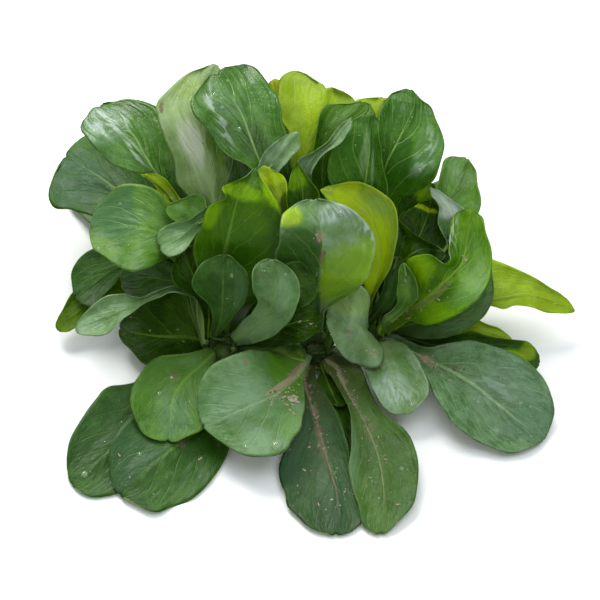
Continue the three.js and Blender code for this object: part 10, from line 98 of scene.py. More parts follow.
("left_shoot_leaf_15", "A14b", "light", -1, 1.0, 297, [-3074,-1690,927,-3045,-1681,924,-3015,-1671,922,-2986,-1662,920,-2956,-1652,917,-2927,-1645,917,-2897,-1637,917,-2868,-1630,917,-2838,-1622,917,-3110,-1636,1241,-3079,-1627,1224,-3046,-1624,1212,-3014,-1626,1207,-2981,-1634,1207,-2954,-1606,1204,-2926,-1583,1207,-2898,-1566,1216,-2870,-1555,1231,-3135,-1658,1571,-3104,-1631,1537,-3072,-1615,1515,-3038,-1613,1505,-3004,-1622,1507,-2977,-1592,1501,-2949,-1575,1507,-2920,-1569,1525,-2889,-1577,1555,-3167,-1636,1863,-3135,-1589,1812,-3102,-1562,1779,-3067,-1553,1764,-3031,-1564,1768,-3003,-1532,1759,-2973,-1519,1768,-2942,-1525,1794,-2910,-1550,1839,-3210,-1516,2063,-3177,-1449,1996,-3142,-1409,1953,-3105,-1394,1934,-3065,-1404,1939,-3036,-1370,1927,-3005,-1362,1939,-2971,-1379,1975,-2936,-1423,2036,-3262,-1331,2203,-3227,-1244,2120,-3189,-1190,2068,-3149,-1169,2047,-3105,-1181,2056,-3074,-1144,2041,-3041,-1140,2057,-3004,-1169,2104,-2965,-1231,2181,-3319,-1160,2360,-3281,-1054,2264,-3239,-989,2206,-3194,-965,2184,-3145,-980,2200,-3110,-938,2184,-3072,-936,2204,-3030,-974,2262,-2986,-1052,2357,-3379,-1041,2562,-3336,-920,2457,-3288,-846,2396,-3236,-820,2378,-3180,-842,2404,-3137,-789,2388,-3089,-783,2415,-3038,-825,2486,-2983,-916,2600,-3440,-936,2768,-3391,-810,2666,-3337,-733,2609,-3278,-706,2597,-3216,-728,2630,-3157,-669,2624,-3094,-659,2663,-3027,-699,2747,-2957,-789,2876,-3504,-818,2955,-3449,-690,2861,-3389,-612,2811,-3324,-585,2806,-3255,-607,2846,-3181,-539,2854,-3104,-521,2906,-3022,-554,3003,-2936,-637,3145,-3576,-685,3126,-3514,-557,3039,-3447,-479,2997,-3376,-451,3000,-3300,-474,3048,-3218,-397,3067,-3132,-371,3131,-3042,-396,3240,-2948,-472,3394,-3652,-557,3297,-3583,-427,3217,-3509,-349,3182,-3431,-321,3192,-3347,-345,3247,-3263,-262,3274,-3175,-230,3346,-3083,-249,3463,-2987,-322,3626,-3734,-454,3480,-3657,-321,3406,-3574,-240,3376,-3487,-209,3391,-3395,-231,3451,-3311,-142,3483,-3223,-105,3560,-3130,-120,3682,-3034,-189,3849,-3820,-375,3673,-3734,-238,3603,-3642,-153,3579,-3546,-120,3600,-3445,-139,3665,-3362,-40,3700,-3274,8,3781,-3182,2,3906,-3086,-57,4076,-3905,-309,3857,-3813,-166,3793,-3714,-76,3773,-3610,-38,3799,-3502,-52,3870,-3417,64,3906,-3328,128,3987,-3234,139,4113,-3136,95,4284,-3991,-243,4017,-3895,-92,3957,-3793,7,3942,-3686,53,3972,-3574,46,4047,-3483,186,4081,-3388,274,4161,-3288,307,4285,-3184,286,4455,-4077,-180,4161,-3981,-20,4104,-3879,88,4092,-3771,143,4125,-3658,145,4204,-3561,321,4234,-3460,444,4309,-3353,514,4429,-3242,528,4594,-4153,-147,4288,-4062,30,4234,-3965,155,4224,-3862,226,4260,-3753,244,4340,-3652,474,4362,-3546,652,4430,-3434,775,4542,-3318,843,4700,-4218,-141,4396,-4140,60,4343,-4055,207,4334,-3965,302,4371,-3869,342,4453,-3792,600,4462,-3710,806,4516,-3621,957,4615,-3528,1053,4759,-4287,-112,4480,-4231,88,4443,-4166,245,4440,-4095,357,4471,-4016,425,4536,-3977,616,4541,-3932,763,4580,-3879,865,4653,-3819,921,4760,-4367,-52,4551,-4342,130,4525,-4302,277,4524,-4250,388,4546,-4183,464,4592,-4174,623,4582,-4151,746,4597,-4115,833,4635,-4065,884,4696,-4484,86,4607,-4479,220,4593,-4455,330,4594,-4412,417,4608,-4352,481,4636,-4356,594,4622,-4342,683,4622,-4310,749,4636,-4259,790,4663,-4561,326,4657,-4568,385,4657,-4563,433,4661,-4544,470,4670,-4513,497,4684,-4510,543,4673,-4494,578,4666,-4465,602,4664,-4423,615,4667]),
("right_shoot_leaf_16", "H14b", "deep", -1, 1.0, 304, [2074,-913,760,2097,-939,759,2121,-964,757,2146,-986,755,2172,-1007,751,2199,-1026,747,2226,-1043,742,2254,-1061,736,2282,-1077,731,2154,-925,940,2175,-943,922,2196,-966,910,2219,-991,902,2243,-1021,898,2273,-1029,888,2304,-1041,883,2335,-1059,883,2365,-1082,889,2222,-949,1119,2245,-955,1085,2269,-971,1062,2294,-996,1049,2319,-1033,1047,2349,-1039,1031,2379,-1055,1026,2409,-1083,1033,2438,-1123,1051,2269,-1001,1328,2302,-991,1274,2332,-1000,1238,2363,-1026,1219,2393,-1070,1218,2426,-1075,1196,2459,-1096,1190,2493,-1133,1202,2527,-1187,1231,2305,-1112,1578,2347,-1083,1504,2387,-1079,1455,2425,-1101,1430,2462,-1148,1429,2503,-1148,1399,2542,-1173,1392,2579,-1223,1410,2615,-1299,1452,2341,-1257,1847,2389,-1207,1756,2435,-1190,1695,2478,-1206,1665,2520,-1254,1665,2571,-1253,1628,2621,-1284,1621,2667,-1348,1644,2711,-1444,1699,2377,-1376,2090,2430,-1305,1982,2481,-1275,1911,2528,-1284,1878,2573,-1333,1881,2636,-1329,1837,2696,-1365,1831,2753,-1440,1861,2806,-1554,1929,2415,-1444,2288,2472,-1355,2166,2526,-1312,2087,2576,-1316,2052,2623,-1367,2061,2693,-1355,2012,2759,-1390,2007,2822,-1472,2046,2880,-1599,2128,2458,-1473,2455,2516,-1375,2329,2570,-1326,2247,2621,-1326,2211,2668,-1373,2219,2741,-1362,2175,2810,-1400,2176,2876,-1485,2221,2936,-1619,2312,2503,-1471,2600,2560,-1370,2473,2613,-1318,2391,2663,-1315,2353,2709,-1361,2361,2784,-1353,2324,2854,-1393,2332,2921,-1482,2384,2983,-1619,2482,2546,-1435,2718,2602,-1334,2591,2654,-1282,2510,2703,-1278,2473,2748,-1324,2481,2824,-1318,2451,2895,-1361,2465,2962,-1452,2524,3025,-1592,2628,2583,-1380,2821,2639,-1280,2696,2691,-1229,2615,2740,-1228,2580,2785,-1275,2589,2860,-1270,2563,2932,-1315,2581,2999,-1407,2645,3062,-1549,2753,2607,-1325,2924,2665,-1227,2800,2720,-1179,2721,2771,-1180,2687,2818,-1230,2698,2894,-1224,2674,2966,-1266,2694,3033,-1358,2760,3095,-1498,2870,2622,-1267,3018,2684,-1172,2897,2743,-1126,2820,2799,-1130,2789,2850,-1184,2802,2924,-1174,2778,2995,-1213,2800,3061,-1301,2866,3122,-1439,2978,2633,-1210,3110,2699,-1118,2991,2762,-1076,2918,2822,-1084,2889,2877,-1141,2905,2950,-1127,2882,3019,-1162,2903,3084,-1247,2969,3143,-1381,3081,2643,-1163,3205,2713,-1075,3090,2779,-1037,3020,2842,-1049,2995,2900,-1110,3016,2972,-1091,2991,3039,-1122,3011,3102,-1203,3076,3160,-1333,3186,2657,-1127,3304,2728,-1043,3194,2796,-1010,3128,2860,-1027,3108,2920,-1094,3132,2990,-1069,3105,3056,-1095,3123,3117,-1171,3186,3173,-1296,3294,2680,-1097,3400,2750,-1018,3295,2817,-990,3235,2879,-1012,3219,2937,-1084,3249,3006,-1053,3219,3070,-1073,3234,3130,-1142,3294,3185,-1263,3398,2709,-1063,3485,2776,-990,3387,2840,-967,3334,2899,-995,3326,2954,-1074,3363,3022,-1036,3328,3086,-1048,3337,3146,-1110,3391,3200,-1223,3491,2747,-1020,3554,2808,-969,3482,2866,-958,3445,2920,-989,3442,2970,-1061,3473,3038,-1027,3445,3103,-1035,3450,3163,-1083,3490,3219,-1172,3564,2801,-971,3603,2853,-937,3561,2902,-939,3544,2946,-976,3550,2986,-1049,3580,3054,-1008,3553,3118,-1002,3549,3177,-1033,3570,3232,-1099,3614,2879,-971,3666,2916,-943,3649,2949,-944,3646,2978,-976,3657,3002,-1038,3682,3060,-991,3659,3114,-975,3650,3164,-988,3655,3208,-1032,3674,2969,-1009,3741,2985,-992,3744,2998,-990,3752,3009,-1001,3765,3018,-1027,3782,3041,-1006,3765,3061,-998,3754,3078,-1005,3747,3094,-1026,3744]),
("middle_shoot_leaf_14", "H2", "yellow", -1, 1.0, 311, [-263,-1680,535,-233,-1684,536,-202,-1687,537,-171,-1690,538,-141,-1691,538,-110,-1692,539,-80,-1691,539,-50,-1688,539,-19,-1683,539,-303,-1649,1006,-270,-1654,993,-236,-1665,985,-203,-1681,982,-170,-1702,986,-140,-1679,985,-111,-1661,989,-82,-1646,999,-53,-1637,1015,-335,-1763,1503,-300,-1750,1473,-265,-1748,1456,-229,-1759,1451,-194,-1781,1457,-165,-1757,1454,-137,-1744,1463,-108,-1744,1483,-79,-1755,1516,-371,-1849,1967,-333,-1817,1922,-294,-1803,1896,-256,-1809,1887,-217,-1833,1896,-188,-1808,1891,-159,-1801,1905,-129,-1813,1936,-100,-1845,1985,-411,-1858,2362,-368,-1807,2302,-326,-1782,2266,-283,-1782,2254,-240,-1809,2267,-210,-1782,2260,-180,-1782,2278,-149,-1807,2320,-119,-1858,2386,-458,-1813,2708,-410,-1743,2633,-362,-1706,2588,-313,-1702,2574,-264,-1731,2591,-231,-1704,2582,-198,-1709,2603,-165,-1748,2656,-132,-1819,2738,-519,-1747,3037,-462,-1659,2948,-406,-1612,2896,-348,-1605,2882,-291,-1639,2904,-250,-1607,2892,-209,-1616,2916,-168,-1665,2978,-128,-1754,3077,-590,-1667,3353,-524,-1563,3252,-457,-1507,3194,-390,-1500,3181,-322,-1540,3211,-265,-1499,3194,-208,-1507,3221,-150,-1563,3292,-93,-1667,3406,-670,-1562,3646,-594,-1453,3543,-517,-1395,3485,-439,-1386,3472,-361,-1428,3504,-285,-1383,3490,-208,-1388,3521,-132,-1444,3597,-56,-1550,3717,-756,-1453,3929,-671,-1342,3827,-585,-1283,3771,-497,-1274,3759,-410,-1316,3792,-321,-1266,3782,-231,-1266,3816,-141,-1318,3896,-52,-1421,4021,-850,-1342,4203,-758,-1231,4103,-665,-1172,4048,-572,-1164,4039,-477,-1208,4074,-387,-1152,4066,-296,-1147,4104,-205,-1194,4186,-114,-1293,4313,-959,-1228,4469,-861,-1120,4371,-762,-1063,4318,-661,-1058,4310,-561,-1106,4347,-475,-1048,4341,-388,-1041,4381,-301,-1088,4465,-215,-1186,4595,-1070,-1120,4732,-967,-1014,4635,-863,-961,4583,-758,-960,4576,-651,-1012,4613,-569,-956,4610,-486,-952,4651,-403,-1002,4738,-320,-1104,4869,-1177,-1004,4994,-1069,-904,4897,-959,-858,4846,-848,-865,4839,-735,-925,4878,-654,-874,4876,-571,-877,4919,-488,-933,5007,-405,-1042,5141,-1268,-861,5238,-1153,-771,5142,-1036,-735,5092,-918,-753,5086,-799,-825,5125,-716,-783,5125,-632,-794,5169,-548,-860,5258,-464,-979,5393,-1334,-698,5450,-1211,-616,5356,-1086,-588,5307,-960,-615,5302,-832,-696,5343,-753,-660,5342,-672,-678,5386,-592,-750,5475,-510,-878,5609,-1381,-556,5632,-1250,-472,5540,-1118,-443,5493,-984,-468,5491,-848,-549,5533,-772,-509,5530,-695,-523,5572,-617,-593,5659,-539,-718,5791,-1420,-423,5787,-1285,-332,5698,-1148,-297,5654,-1009,-317,5655,-870,-393,5701,-787,-338,5694,-703,-339,5731,-618,-396,5814,-533,-509,5941,-1459,-270,5916,-1326,-176,5833,-1190,-138,5794,-1053,-155,5801,-914,-229,5853,-821,-155,5837,-727,-138,5865,-632,-176,5939,-537,-271,6058,-1501,-77,6018,-1374,0,5959,-1244,30,5934,-1111,12,5944,-977,-55,5987,-884,25,5973,-789,56,5993,-693,40,6048,-595,-25,6136,-1535,148,6095,-1420,214,6061,-1301,233,6051,-1177,205,6065,-1048,130,6102,-973,220,6082,-894,264,6086,-810,260,6114,-722,209,6165,-1566,400,6175,-1466,451,6163,-1358,453,6164,-1242,408,6179,-1119,314,6208,-1073,397,6187,-1020,432,6181,-959,419,6188,-890,357,6209,-1392,590,6264,-1349,612,6269,-1301,603,6279,-1246,563,6293,-1186,492,6312,-1167,527,6295,-1142,532,6283,-1112,506,6276,-1076,449,6273]),
("left_shoot_leaf_16", "H4", "shade", -1, 1.0, 318, [-3359,-1930,891,-3329,-1931,890,-3298,-1930,890,-3268,-1928,889,-3238,-1923,887,-3208,-1918,887,-3178,-1911,886,-3148,-1903,886,-3118,-1895,885,-3348,-1960,1236,-3316,-1959,1218,-3285,-1962,1207,-3253,-1967,1200,-3220,-1976,1200,-3191,-1961,1194,-3161,-1949,1195,-3131,-1941,1201,-3100,-1938,1213,-3331,-2104,1599,-3298,-2079,1563,-3265,-2067,1539,-3230,-2066,1527,-3194,-2078,1526,-3166,-2058,1516,-3137,-2049,1517,-3107,-2053,1530,-3076,-2069,1555,-3323,-2206,1908,-3287,-2162,1853,-3250,-2136,1817,-3211,-2129,1798,-3170,-2141,1797,-3142,-2115,1781,-3113,-2107,1783,-3082,-2118,1803,-3049,-2148,1840,-3330,-2187,2102,-3290,-2123,2028,-3248,-2084,1979,-3203,-2070,1954,-3157,-2081,1954,-3128,-2049,1932,-3096,-2043,1935,-3063,-2062,1962,-3027,-2106,2013,-3361,-2088,2216,-3314,-2003,2125,-3263,-1949,2064,-3209,-1928,2034,-3153,-1939,2035,-3120,-1900,2008,-3084,-1894,2011,-3045,-1920,2045,-3004,-1978,2110,-3409,-1988,2319,-3351,-1879,2212,-3290,-1810,2142,-3224,-1780,2109,-3156,-1789,2113,-3112,-1740,2080,-3065,-1731,2084,-3014,-1761,2126,-2961,-1830,2205,-3462,-1906,2422,-3395,-1771,2301,-3324,-1683,2223,-3249,-1642,2189,-3169,-1646,2199,-3109,-1580,2161,-3044,-1561,2168,-2976,-1588,2217,-2905,-1662,2311,-3523,-1832,2513,-3445,-1678,2390,-3367,-1572,2310,-3286,-1513,2274,-3199,-1503,2283,-3123,-1420,2249,-3043,-1386,2260,-2958,-1400,2316,-2870,-1463,2417,-3604,-1774,2617,-3510,-1606,2500,-3424,-1487,2420,-3341,-1416,2381,-3252,-1393,2389,-3171,-1290,2359,-3083,-1235,2375,-2991,-1230,2437,-2895,-1273,2544,-3724,-1736,2739,-3614,-1562,2626,-3504,-1435,2556,-3413,-1356,2517,-3320,-1326,2521,-3241,-1209,2494,-3150,-1141,2514,-3054,-1121,2581,-2953,-1151,2693,-3869,-1711,2865,-3757,-1532,2749,-3629,-1401,2683,-3511,-1319,2653,-3402,-1285,2660,-3320,-1157,2635,-3225,-1078,2659,-3122,-1049,2730,-3015,-1069,2846,-4027,-1686,2981,-3904,-1502,2864,-3770,-1366,2794,-3632,-1279,2770,-3496,-1241,2785,-3400,-1109,2766,-3294,-1027,2794,-3182,-994,2868,-3066,-1012,2987,-4185,-1684,3085,-4044,-1486,2972,-3895,-1337,2903,-3740,-1237,2881,-3581,-1186,2902,-3471,-1055,2889,-3355,-974,2921,-3234,-943,2998,-3109,-962,3121,-4298,-1621,3182,-4146,-1424,3074,-3987,-1275,3010,-3821,-1176,2992,-3651,-1127,3019,-3534,-996,3008,-3412,-914,3043,-3285,-883,3122,-3154,-902,3247,-4377,-1516,3277,-4221,-1331,3174,-4058,-1195,3115,-3889,-1108,3102,-3715,-1072,3134,-3594,-940,3124,-3468,-858,3160,-3337,-827,3240,-3202,-846,3365,-4414,-1378,3368,-4263,-1214,3270,-4105,-1098,3217,-3941,-1033,3209,-3772,-1018,3247,-3649,-890,3236,-3521,-812,3270,-3388,-785,3349,-3251,-809,3473,-4400,-1231,3458,-4264,-1089,3365,-4122,-997,3317,-3974,-956,3314,-3821,-965,3355,-3699,-842,3341,-3572,-769,3372,-3440,-748,3448,-3304,-777,3569,-4350,-1095,3543,-4237,-973,3456,-4117,-901,3414,-3992,-881,3416,-3861,-911,3464,-3744,-789,3442,-3622,-719,3466,-3495,-699,3534,-3363,-731,3647,-4274,-983,3622,-4187,-886,3559,-4093,-832,3530,-3995,-822,3535,-3891,-855,3574,-3785,-741,3556,-3673,-669,3572,-3556,-641,3622,-3435,-657,3706,-4192,-882,3690,-4132,-800,3652,-4066,-759,3639,-3993,-760,3649,-3915,-802,3682,-3827,-677,3660,-3734,-594,3662,-3635,-553,3687,-3530,-553,3736,-4105,-804,3766,-4072,-734,3750,-4032,-702,3749,-3987,-708,3762,-3936,-752,3788,-3877,-636,3766,-3811,-558,3759,-3740,-517,3765,-3663,-515,3785,-4010,-743,3848,-4002,-704,3851,-3991,-685,3860,-3976,-685,3873,-3958,-704,3890,-3936,-656,3874,-3910,-628,3862,-3881,-618,3855,-3849,-628,3852]),
("left_shoot_leaf_17", "H3", "blue", 1, 1.0, 325, [-2634,-1454,778,-2664,-1449,778,-2694,-1444,778,-2725,-1439,777,-2755,-1434,776,-2786,-1429,774,-2816,-1425,772,-2847,-1421,770,-2878,-1418,767,-2600,-1373,1187,-2632,-1376,1174,-2663,-1385,1166,-2694,-1400,1164,-2725,-1423,1166,-2758,-1406,1164,-2790,-1396,1168,-2822,-1392,1177,-2854,-1395,1192,-2566,-1457,1626,-2602,-1449,1597,-2637,-1453,1580,-2671,-1470,1574,-2704,-1499,1581,-2737,-1477,1580,-2770,-1468,1590,-2801,-1471,1613,-2832,-1487,1647,-2525,-1489,2046,-2565,-1462,2002,-2604,-1455,1976,-2641,-1467,1968,-2677,-1498,1978,-2713,-1477,1977,-2747,-1475,1993,-2780,-1493,2028,-2812,-1529,2081,-2476,-1464,2415,-2523,-1418,2356,-2569,-1398,2321,-2612,-1405,2310,-2654,-1437,2323,-2695,-1416,2321,-2735,-1420,2343,-2773,-1451,2389,-2808,-1507,2460,-2392,-1395,2751,-2456,-1329,2675,-2517,-1296,2629,-2576,-1297,2614,-2633,-1331,2630,-2690,-1307,2625,-2745,-1316,2651,-2797,-1358,2708,-2847,-1434,2795,-2277,-1288,3065,-2365,-1202,2971,-2450,-1158,2914,-2533,-1154,2894,-2614,-1192,2911,-2695,-1164,2900,-2773,-1177,2927,-2848,-1232,2992,-2920,-1327,3093,-2181,-1136,3353,-2289,-1030,3238,-2394,-974,3165,-2497,-966,3137,-2596,-1007,3152,-2697,-972,3133,-2794,-986,3157,-2888,-1049,3225,-2977,-1161,3337,-2107,-931,3633,-2226,-820,3500,-2343,-761,3411,-2457,-752,3367,-2568,-795,3369,-2676,-756,3344,-2781,-768,3365,-2882,-831,3430,-2978,-944,3540,-2042,-643,3932,-2167,-555,3782,-2290,-519,3677,-2410,-536,3616,-2526,-603,3601,-2641,-568,3570,-2752,-585,3585,-2858,-653,3644,-2961,-772,3749,-2027,-342,4254,-2151,-290,4090,-2274,-291,3971,-2394,-346,3896,-2510,-452,3867,-2630,-438,3829,-2746,-475,3835,-2858,-564,3887,-2966,-705,3984,-2072,-30,4539,-2200,-17,4367,-2324,-59,4240,-2446,-155,4157,-2564,-303,4120,-2680,-325,4073,-2792,-399,4072,-2901,-525,4115,-3004,-704,4203,-2284,381,4732,-2385,339,4560,-2482,241,4433,-2577,90,4351,-2667,-114,4314,-2769,-183,4256,-2867,-305,4244,-2961,-479,4277,-3050,-705,4355,-2773,520,4855,-2798,481,4688,-2819,387,4567,-2836,239,4491,-2850,37,4460,-2925,-54,4389,-2995,-198,4363,-3062,-394,4382,-3124,-642,4446,-3186,241,4918,-3173,247,4761,-3156,197,4649,-3134,93,4582,-3108,-64,4560,-3149,-105,4475,-3185,-199,4434,-3217,-346,4439,-3245,-545,4489,-3430,-130,4924,-3416,-77,4777,-3398,-80,4676,-3374,-136,4619,-3346,-246,4608,-3384,-256,4510,-3417,-319,4458,-3445,-436,4450,-3468,-605,4487,-3650,-398,4881,-3637,-318,4745,-3619,-292,4654,-3596,-320,4608,-3568,-402,4607,-3581,-435,4500,-3590,-521,4439,-3593,-660,4423,-3592,-851,4452,-3932,-431,4808,-3897,-383,4681,-3856,-389,4598,-3811,-448,4561,-3760,-561,4569,-3762,-609,4460,-3759,-711,4396,-3751,-864,4376,-3738,-1069,4402,-4201,-333,4710,-4145,-345,4591,-4083,-411,4517,-4015,-530,4489,-3942,-701,4505,-3938,-766,4399,-3928,-883,4339,-3913,-1053,4323,-3893,-1273,4353,-4421,-313,4580,-4361,-374,4486,-4293,-473,4427,-4218,-609,4402,-4137,-781,4411,-4125,-890,4333,-4106,-1035,4289,-4080,-1215,4279,-4047,-1431,4303,-4613,-283,4397,-4566,-387,4334,-4504,-509,4294,-4428,-648,4278,-4338,-804,4286,-4326,-964,4242,-4300,-1141,4222,-4260,-1333,4226,-4206,-1542,4253,-4760,-366,4230,-4738,-479,4190,-4694,-590,4164,-4626,-699,4152,-4537,-806,4154,-4538,-985,4138,-4516,-1160,4136,-4472,-1334,4148,-4406,-1504,4174,-4794,-617,4089,-4801,-679,4067,-4793,-732,4050,-4768,-778,4038,-4728,-816,4031,-4731,-906,4036,-4717,-988,4045,-4688,-1063,4060,-4643,-1129,4079]),
("left_shoot_leaf_18", "L11", "deep", -1, 1.0, 332, [-2229,-2193,725,-2248,-2220,723,-2267,-2246,722,-2286,-2273,720,-2305,-2300,719,-2323,-2326,717,-2342,-2352,715,-2361,-2378,713,-2380,-2405,711,-2366,-2070,703,-2379,-2081,684,-2391,-2097,672,-2403,-2120,665,-2414,-2148,664,-2361,-2201,657,-2307,-2260,655,-2252,-2325,660,-2198,-2395,670,-2291,-1894,680,-2307,-1913,644,-2323,-1944,620,-2338,-1987,608,-2352,-2042,608,-2302,-2110,595,-2252,-2189,594,-2202,-2280,605,-2151,-2383,627,-2152,-1897,684,-2171,-1902,630,-2189,-1926,594,-2206,-1968,576,-2222,-2028,576,-2195,-2093,558,-2166,-2176,557,-2137,-2277,575,-2106,-2395,611,-2011,-1949,736,-2033,-1942,664,-2052,-1961,616,-2071,-2004,592,-2088,-2071,592,-2083,-2130,568,-2077,-2214,568,-2069,-2321,592,-2061,-2452,641,-1864,-2024,818,-1888,-2010,728,-1910,-2026,668,-1931,-2073,639,-1950,-2151,641,-1960,-2208,610,-1968,-2295,610,-1975,-2413,640,-1980,-2561,701,-1712,-2095,902,-1739,-2075,794,-1765,-2092,723,-1789,-2147,689,-1812,-2240,692,-1824,-2300,654,-1834,-2398,653,-1842,-2532,689,-1849,-2703,762,-1555,-2163,983,-1588,-2141,858,-1618,-2164,777,-1647,-2231,739,-1674,-2341,745,-1687,-2404,698,-1697,-2510,695,-1706,-2660,735,-1713,-2851,819,-1403,-2235,1066,-1440,-2222,932,-1474,-2254,843,-1507,-2331,798,-1538,-2454,799,-1547,-2527,751,-1555,-2646,747,-1561,-2808,788,-1564,-3014,874,-1258,-2293,1130,-1297,-2290,990,-1334,-2333,894,-1370,-2422,844,-1405,-2555,839,-1407,-2641,789,-1407,-2772,785,-1406,-2947,825,-1403,-3165,911,-1123,-2330,1173,-1163,-2339,1028,-1201,-2394,928,-1237,-2494,874,-1273,-2639,864,-1268,-2735,813,-1261,-2875,807,-1253,-3059,846,-1244,-3286,930,-991,-2347,1194,-1030,-2368,1047,-1069,-2434,945,-1106,-2546,888,-1142,-2702,876,-1133,-2803,823,-1122,-2949,814,-1110,-3137,851,-1097,-3369,932,-856,-2344,1190,-897,-2376,1043,-937,-2453,941,-976,-2575,885,-1013,-2742,873,-1003,-2846,816,-991,-2993,804,-978,-3184,837,-964,-3418,915,-725,-2329,1164,-767,-2370,1019,-808,-2456,920,-849,-2587,865,-888,-2763,855,-876,-2866,793,-863,-3014,776,-849,-3204,803,-834,-3438,876,-597,-2302,1121,-641,-2351,980,-683,-2445,884,-726,-2585,833,-767,-2768,827,-753,-2870,759,-738,-3016,735,-723,-3205,757,-707,-3437,824,-476,-2262,1063,-520,-2320,928,-564,-2423,837,-607,-2571,791,-649,-2762,790,-633,-2861,716,-617,-3003,688,-600,-3189,705,-582,-3417,767,-362,-2208,985,-406,-2273,855,-450,-2383,771,-494,-2538,731,-537,-2737,737,-518,-2831,660,-499,-2970,628,-480,-3152,641,-460,-3376,699,-254,-2164,899,-298,-2232,777,-342,-2346,700,-386,-2504,668,-429,-2706,682,-408,-2798,603,-386,-2933,570,-364,-3112,581,-342,-3334,637,-154,-2150,818,-196,-2217,706,-239,-2328,639,-281,-2485,617,-323,-2685,640,-300,-2774,562,-277,-2906,530,-254,-3082,542,-231,-3301,600,-61,-2172,746,-95,-2250,664,-133,-2362,615,-173,-2507,601,-217,-2684,622,-189,-2783,563,-165,-2914,539,-144,-3078,548,-126,-3274,592,22,-2218,672,3,-2305,623,-25,-2413,597,-65,-2544,596,-114,-2696,618,-77,-2796,579,-51,-2918,564,-35,-3061,573,-30,-3225,605,87,-2340,633,86,-2416,609,69,-2504,599,35,-2603,603,-15,-2713,621,30,-2796,599,59,-2891,591,72,-2996,597,67,-3113,617,90,-2575,620,103,-2609,613,105,-2646,611,98,-2685,614,80,-2727,621,102,-2757,614,114,-2790,612,115,-2825,615,106,-2863,622]),
("middle_shoot_leaf_15", "L10", "dusty_and_painted_sheen", 1, 1.0, 339, [22,-2451,765,54,-2462,764,85,-2473,763,117,-2485,762,148,-2496,760,179,-2507,760,211,-2519,759,242,-2530,758,273,-2542,757,0,-2961,880,21,-2911,849,43,-2866,824,64,-2827,805,85,-2794,791,105,-2816,781,126,-2844,776,146,-2877,777,166,-2916,784,-843,-2723,1000,-628,-2799,938,-413,-2886,888,-198,-2985,849,16,-3095,823,32,-3110,803,49,-3137,795,65,-3175,799,80,-3225,815,-1030,-2748,1132,-793,-2882,1038,-557,-3033,961,-322,-3201,903,-87,-3386,862,-63,-3409,833,-40,-3450,822,-16,-3508,829,7,-3584,854,-1163,-2857,1278,-928,-3025,1152,-692,-3216,1049,-457,-3429,971,-223,-3666,918,-172,-3721,878,-122,-3799,863,-72,-3901,873,-22,-4026,906,-1329,-2981,1429,-1090,-3177,1272,-851,-3402,1145,-612,-3656,1048,-374,-3938,983,-282,-4058,932,-190,-4206,911,-99,-4383,921,-8,-4587,962,-1529,-3103,1569,-1281,-3323,1383,-1032,-3580,1234,-784,-3871,1122,-537,-4195,1047,-401,-4381,981,-266,-4601,953,-131,-4854,962,2,-5139,1008,-1678,-3230,1695,-1435,-3472,1483,-1190,-3756,1314,-946,-4080,1190,-702,-4443,1108,-537,-4681,1024,-373,-4959,984,-209,-5274,987,-48,-5626,1034,-1793,-3356,1810,-1564,-3624,1582,-1333,-3934,1399,-1103,-4286,1260,-873,-4677,1167,-686,-4990,1067,-500,-5342,1011,-315,-5730,1001,-133,-6155,1035,-1925,-3469,1903,-1709,-3758,1664,-1491,-4089,1469,-1273,-4462,1320,-1056,-4872,1216,-890,-5231,1099,-725,-5627,1028,-562,-6059,1001,-400,-6525,1020,-2105,-3587,1971,-1892,-3886,1725,-1677,-4227,1524,-1462,-4609,1369,-1247,-5029,1258,-1065,-5448,1126,-884,-5902,1040,-704,-6390,999,-526,-6911,1002,-2332,-3749,2008,-2110,-4043,1760,-1886,-4379,1558,-1661,-4755,1400,-1436,-5170,1288,-1254,-5601,1146,-1073,-6067,1049,-893,-6567,998,-715,-7097,991,-2538,-3893,2002,-2311,-4181,1758,-2082,-4511,1560,-1852,-4881,1406,-1621,-5289,1298,-1451,-5707,1152,-1280,-6161,1050,-1110,-6648,994,-941,-7167,982,-2743,-3987,1957,-2510,-4276,1723,-2275,-4607,1533,-2039,-4979,1389,-1802,-5388,1290,-1643,-5784,1141,-1484,-6217,1037,-1325,-6684,979,-1167,-7183,965,-2931,-4063,1886,-2695,-4355,1664,-2456,-4689,1487,-2217,-5062,1355,-1976,-5473,1269,-1831,-5846,1120,-1684,-6256,1017,-1537,-6700,959,-1391,-7177,946,-3085,-4180,1798,-2853,-4461,1591,-2618,-4785,1429,-2382,-5147,1312,-2144,-5548,1240,-2014,-5900,1094,-1882,-6290,994,-1750,-6714,938,-1617,-7172,928,-3208,-4330,1698,-2986,-4589,1506,-2761,-4890,1360,-2534,-5231,1259,-2306,-5609,1202,-2193,-5931,1062,-2079,-6291,966,-1963,-6686,915,-1846,-7116,909,-3303,-4506,1590,-3097,-4734,1415,-2887,-5003,1285,-2675,-5313,1200,-2461,-5660,1160,-2367,-5936,1025,-2271,-6250,936,-2173,-6600,891,-2073,-6986,892,-3371,-4693,1472,-3186,-4886,1315,-2998,-5120,1203,-2806,-5394,1136,-2613,-5707,1115,-2537,-5928,990,-2458,-6187,911,-2377,-6485,877,-2294,-6819,888,-3422,-4870,1333,-3270,-5050,1216,-3109,-5257,1132,-2940,-5492,1083,-2764,-5752,1068,-2711,-5938,976,-2649,-6150,918,-2581,-6388,894,-2504,-6651,904,-3439,-5038,1155,-3335,-5211,1085,-3212,-5394,1040,-3070,-5588,1018,-2910,-5792,1020,-2887,-5958,966,-2845,-6135,936,-2784,-6323,930,-2705,-6520,948,-3396,-5298,1028,-3349,-5435,993,-3275,-5569,972,-3176,-5700,965,-3051,-5829,971,-3052,-5963,947,-3028,-6094,937,-2977,-6223,941,-2901,-6349,959,-3272,-5662,949,-3276,-5721,936,-3263,-5775,928,-3233,-5823,924,-3188,-5866,925,-3191,-5930,923,-3179,-5988,925,-3150,-6041,931,-3105,-6089,942]),
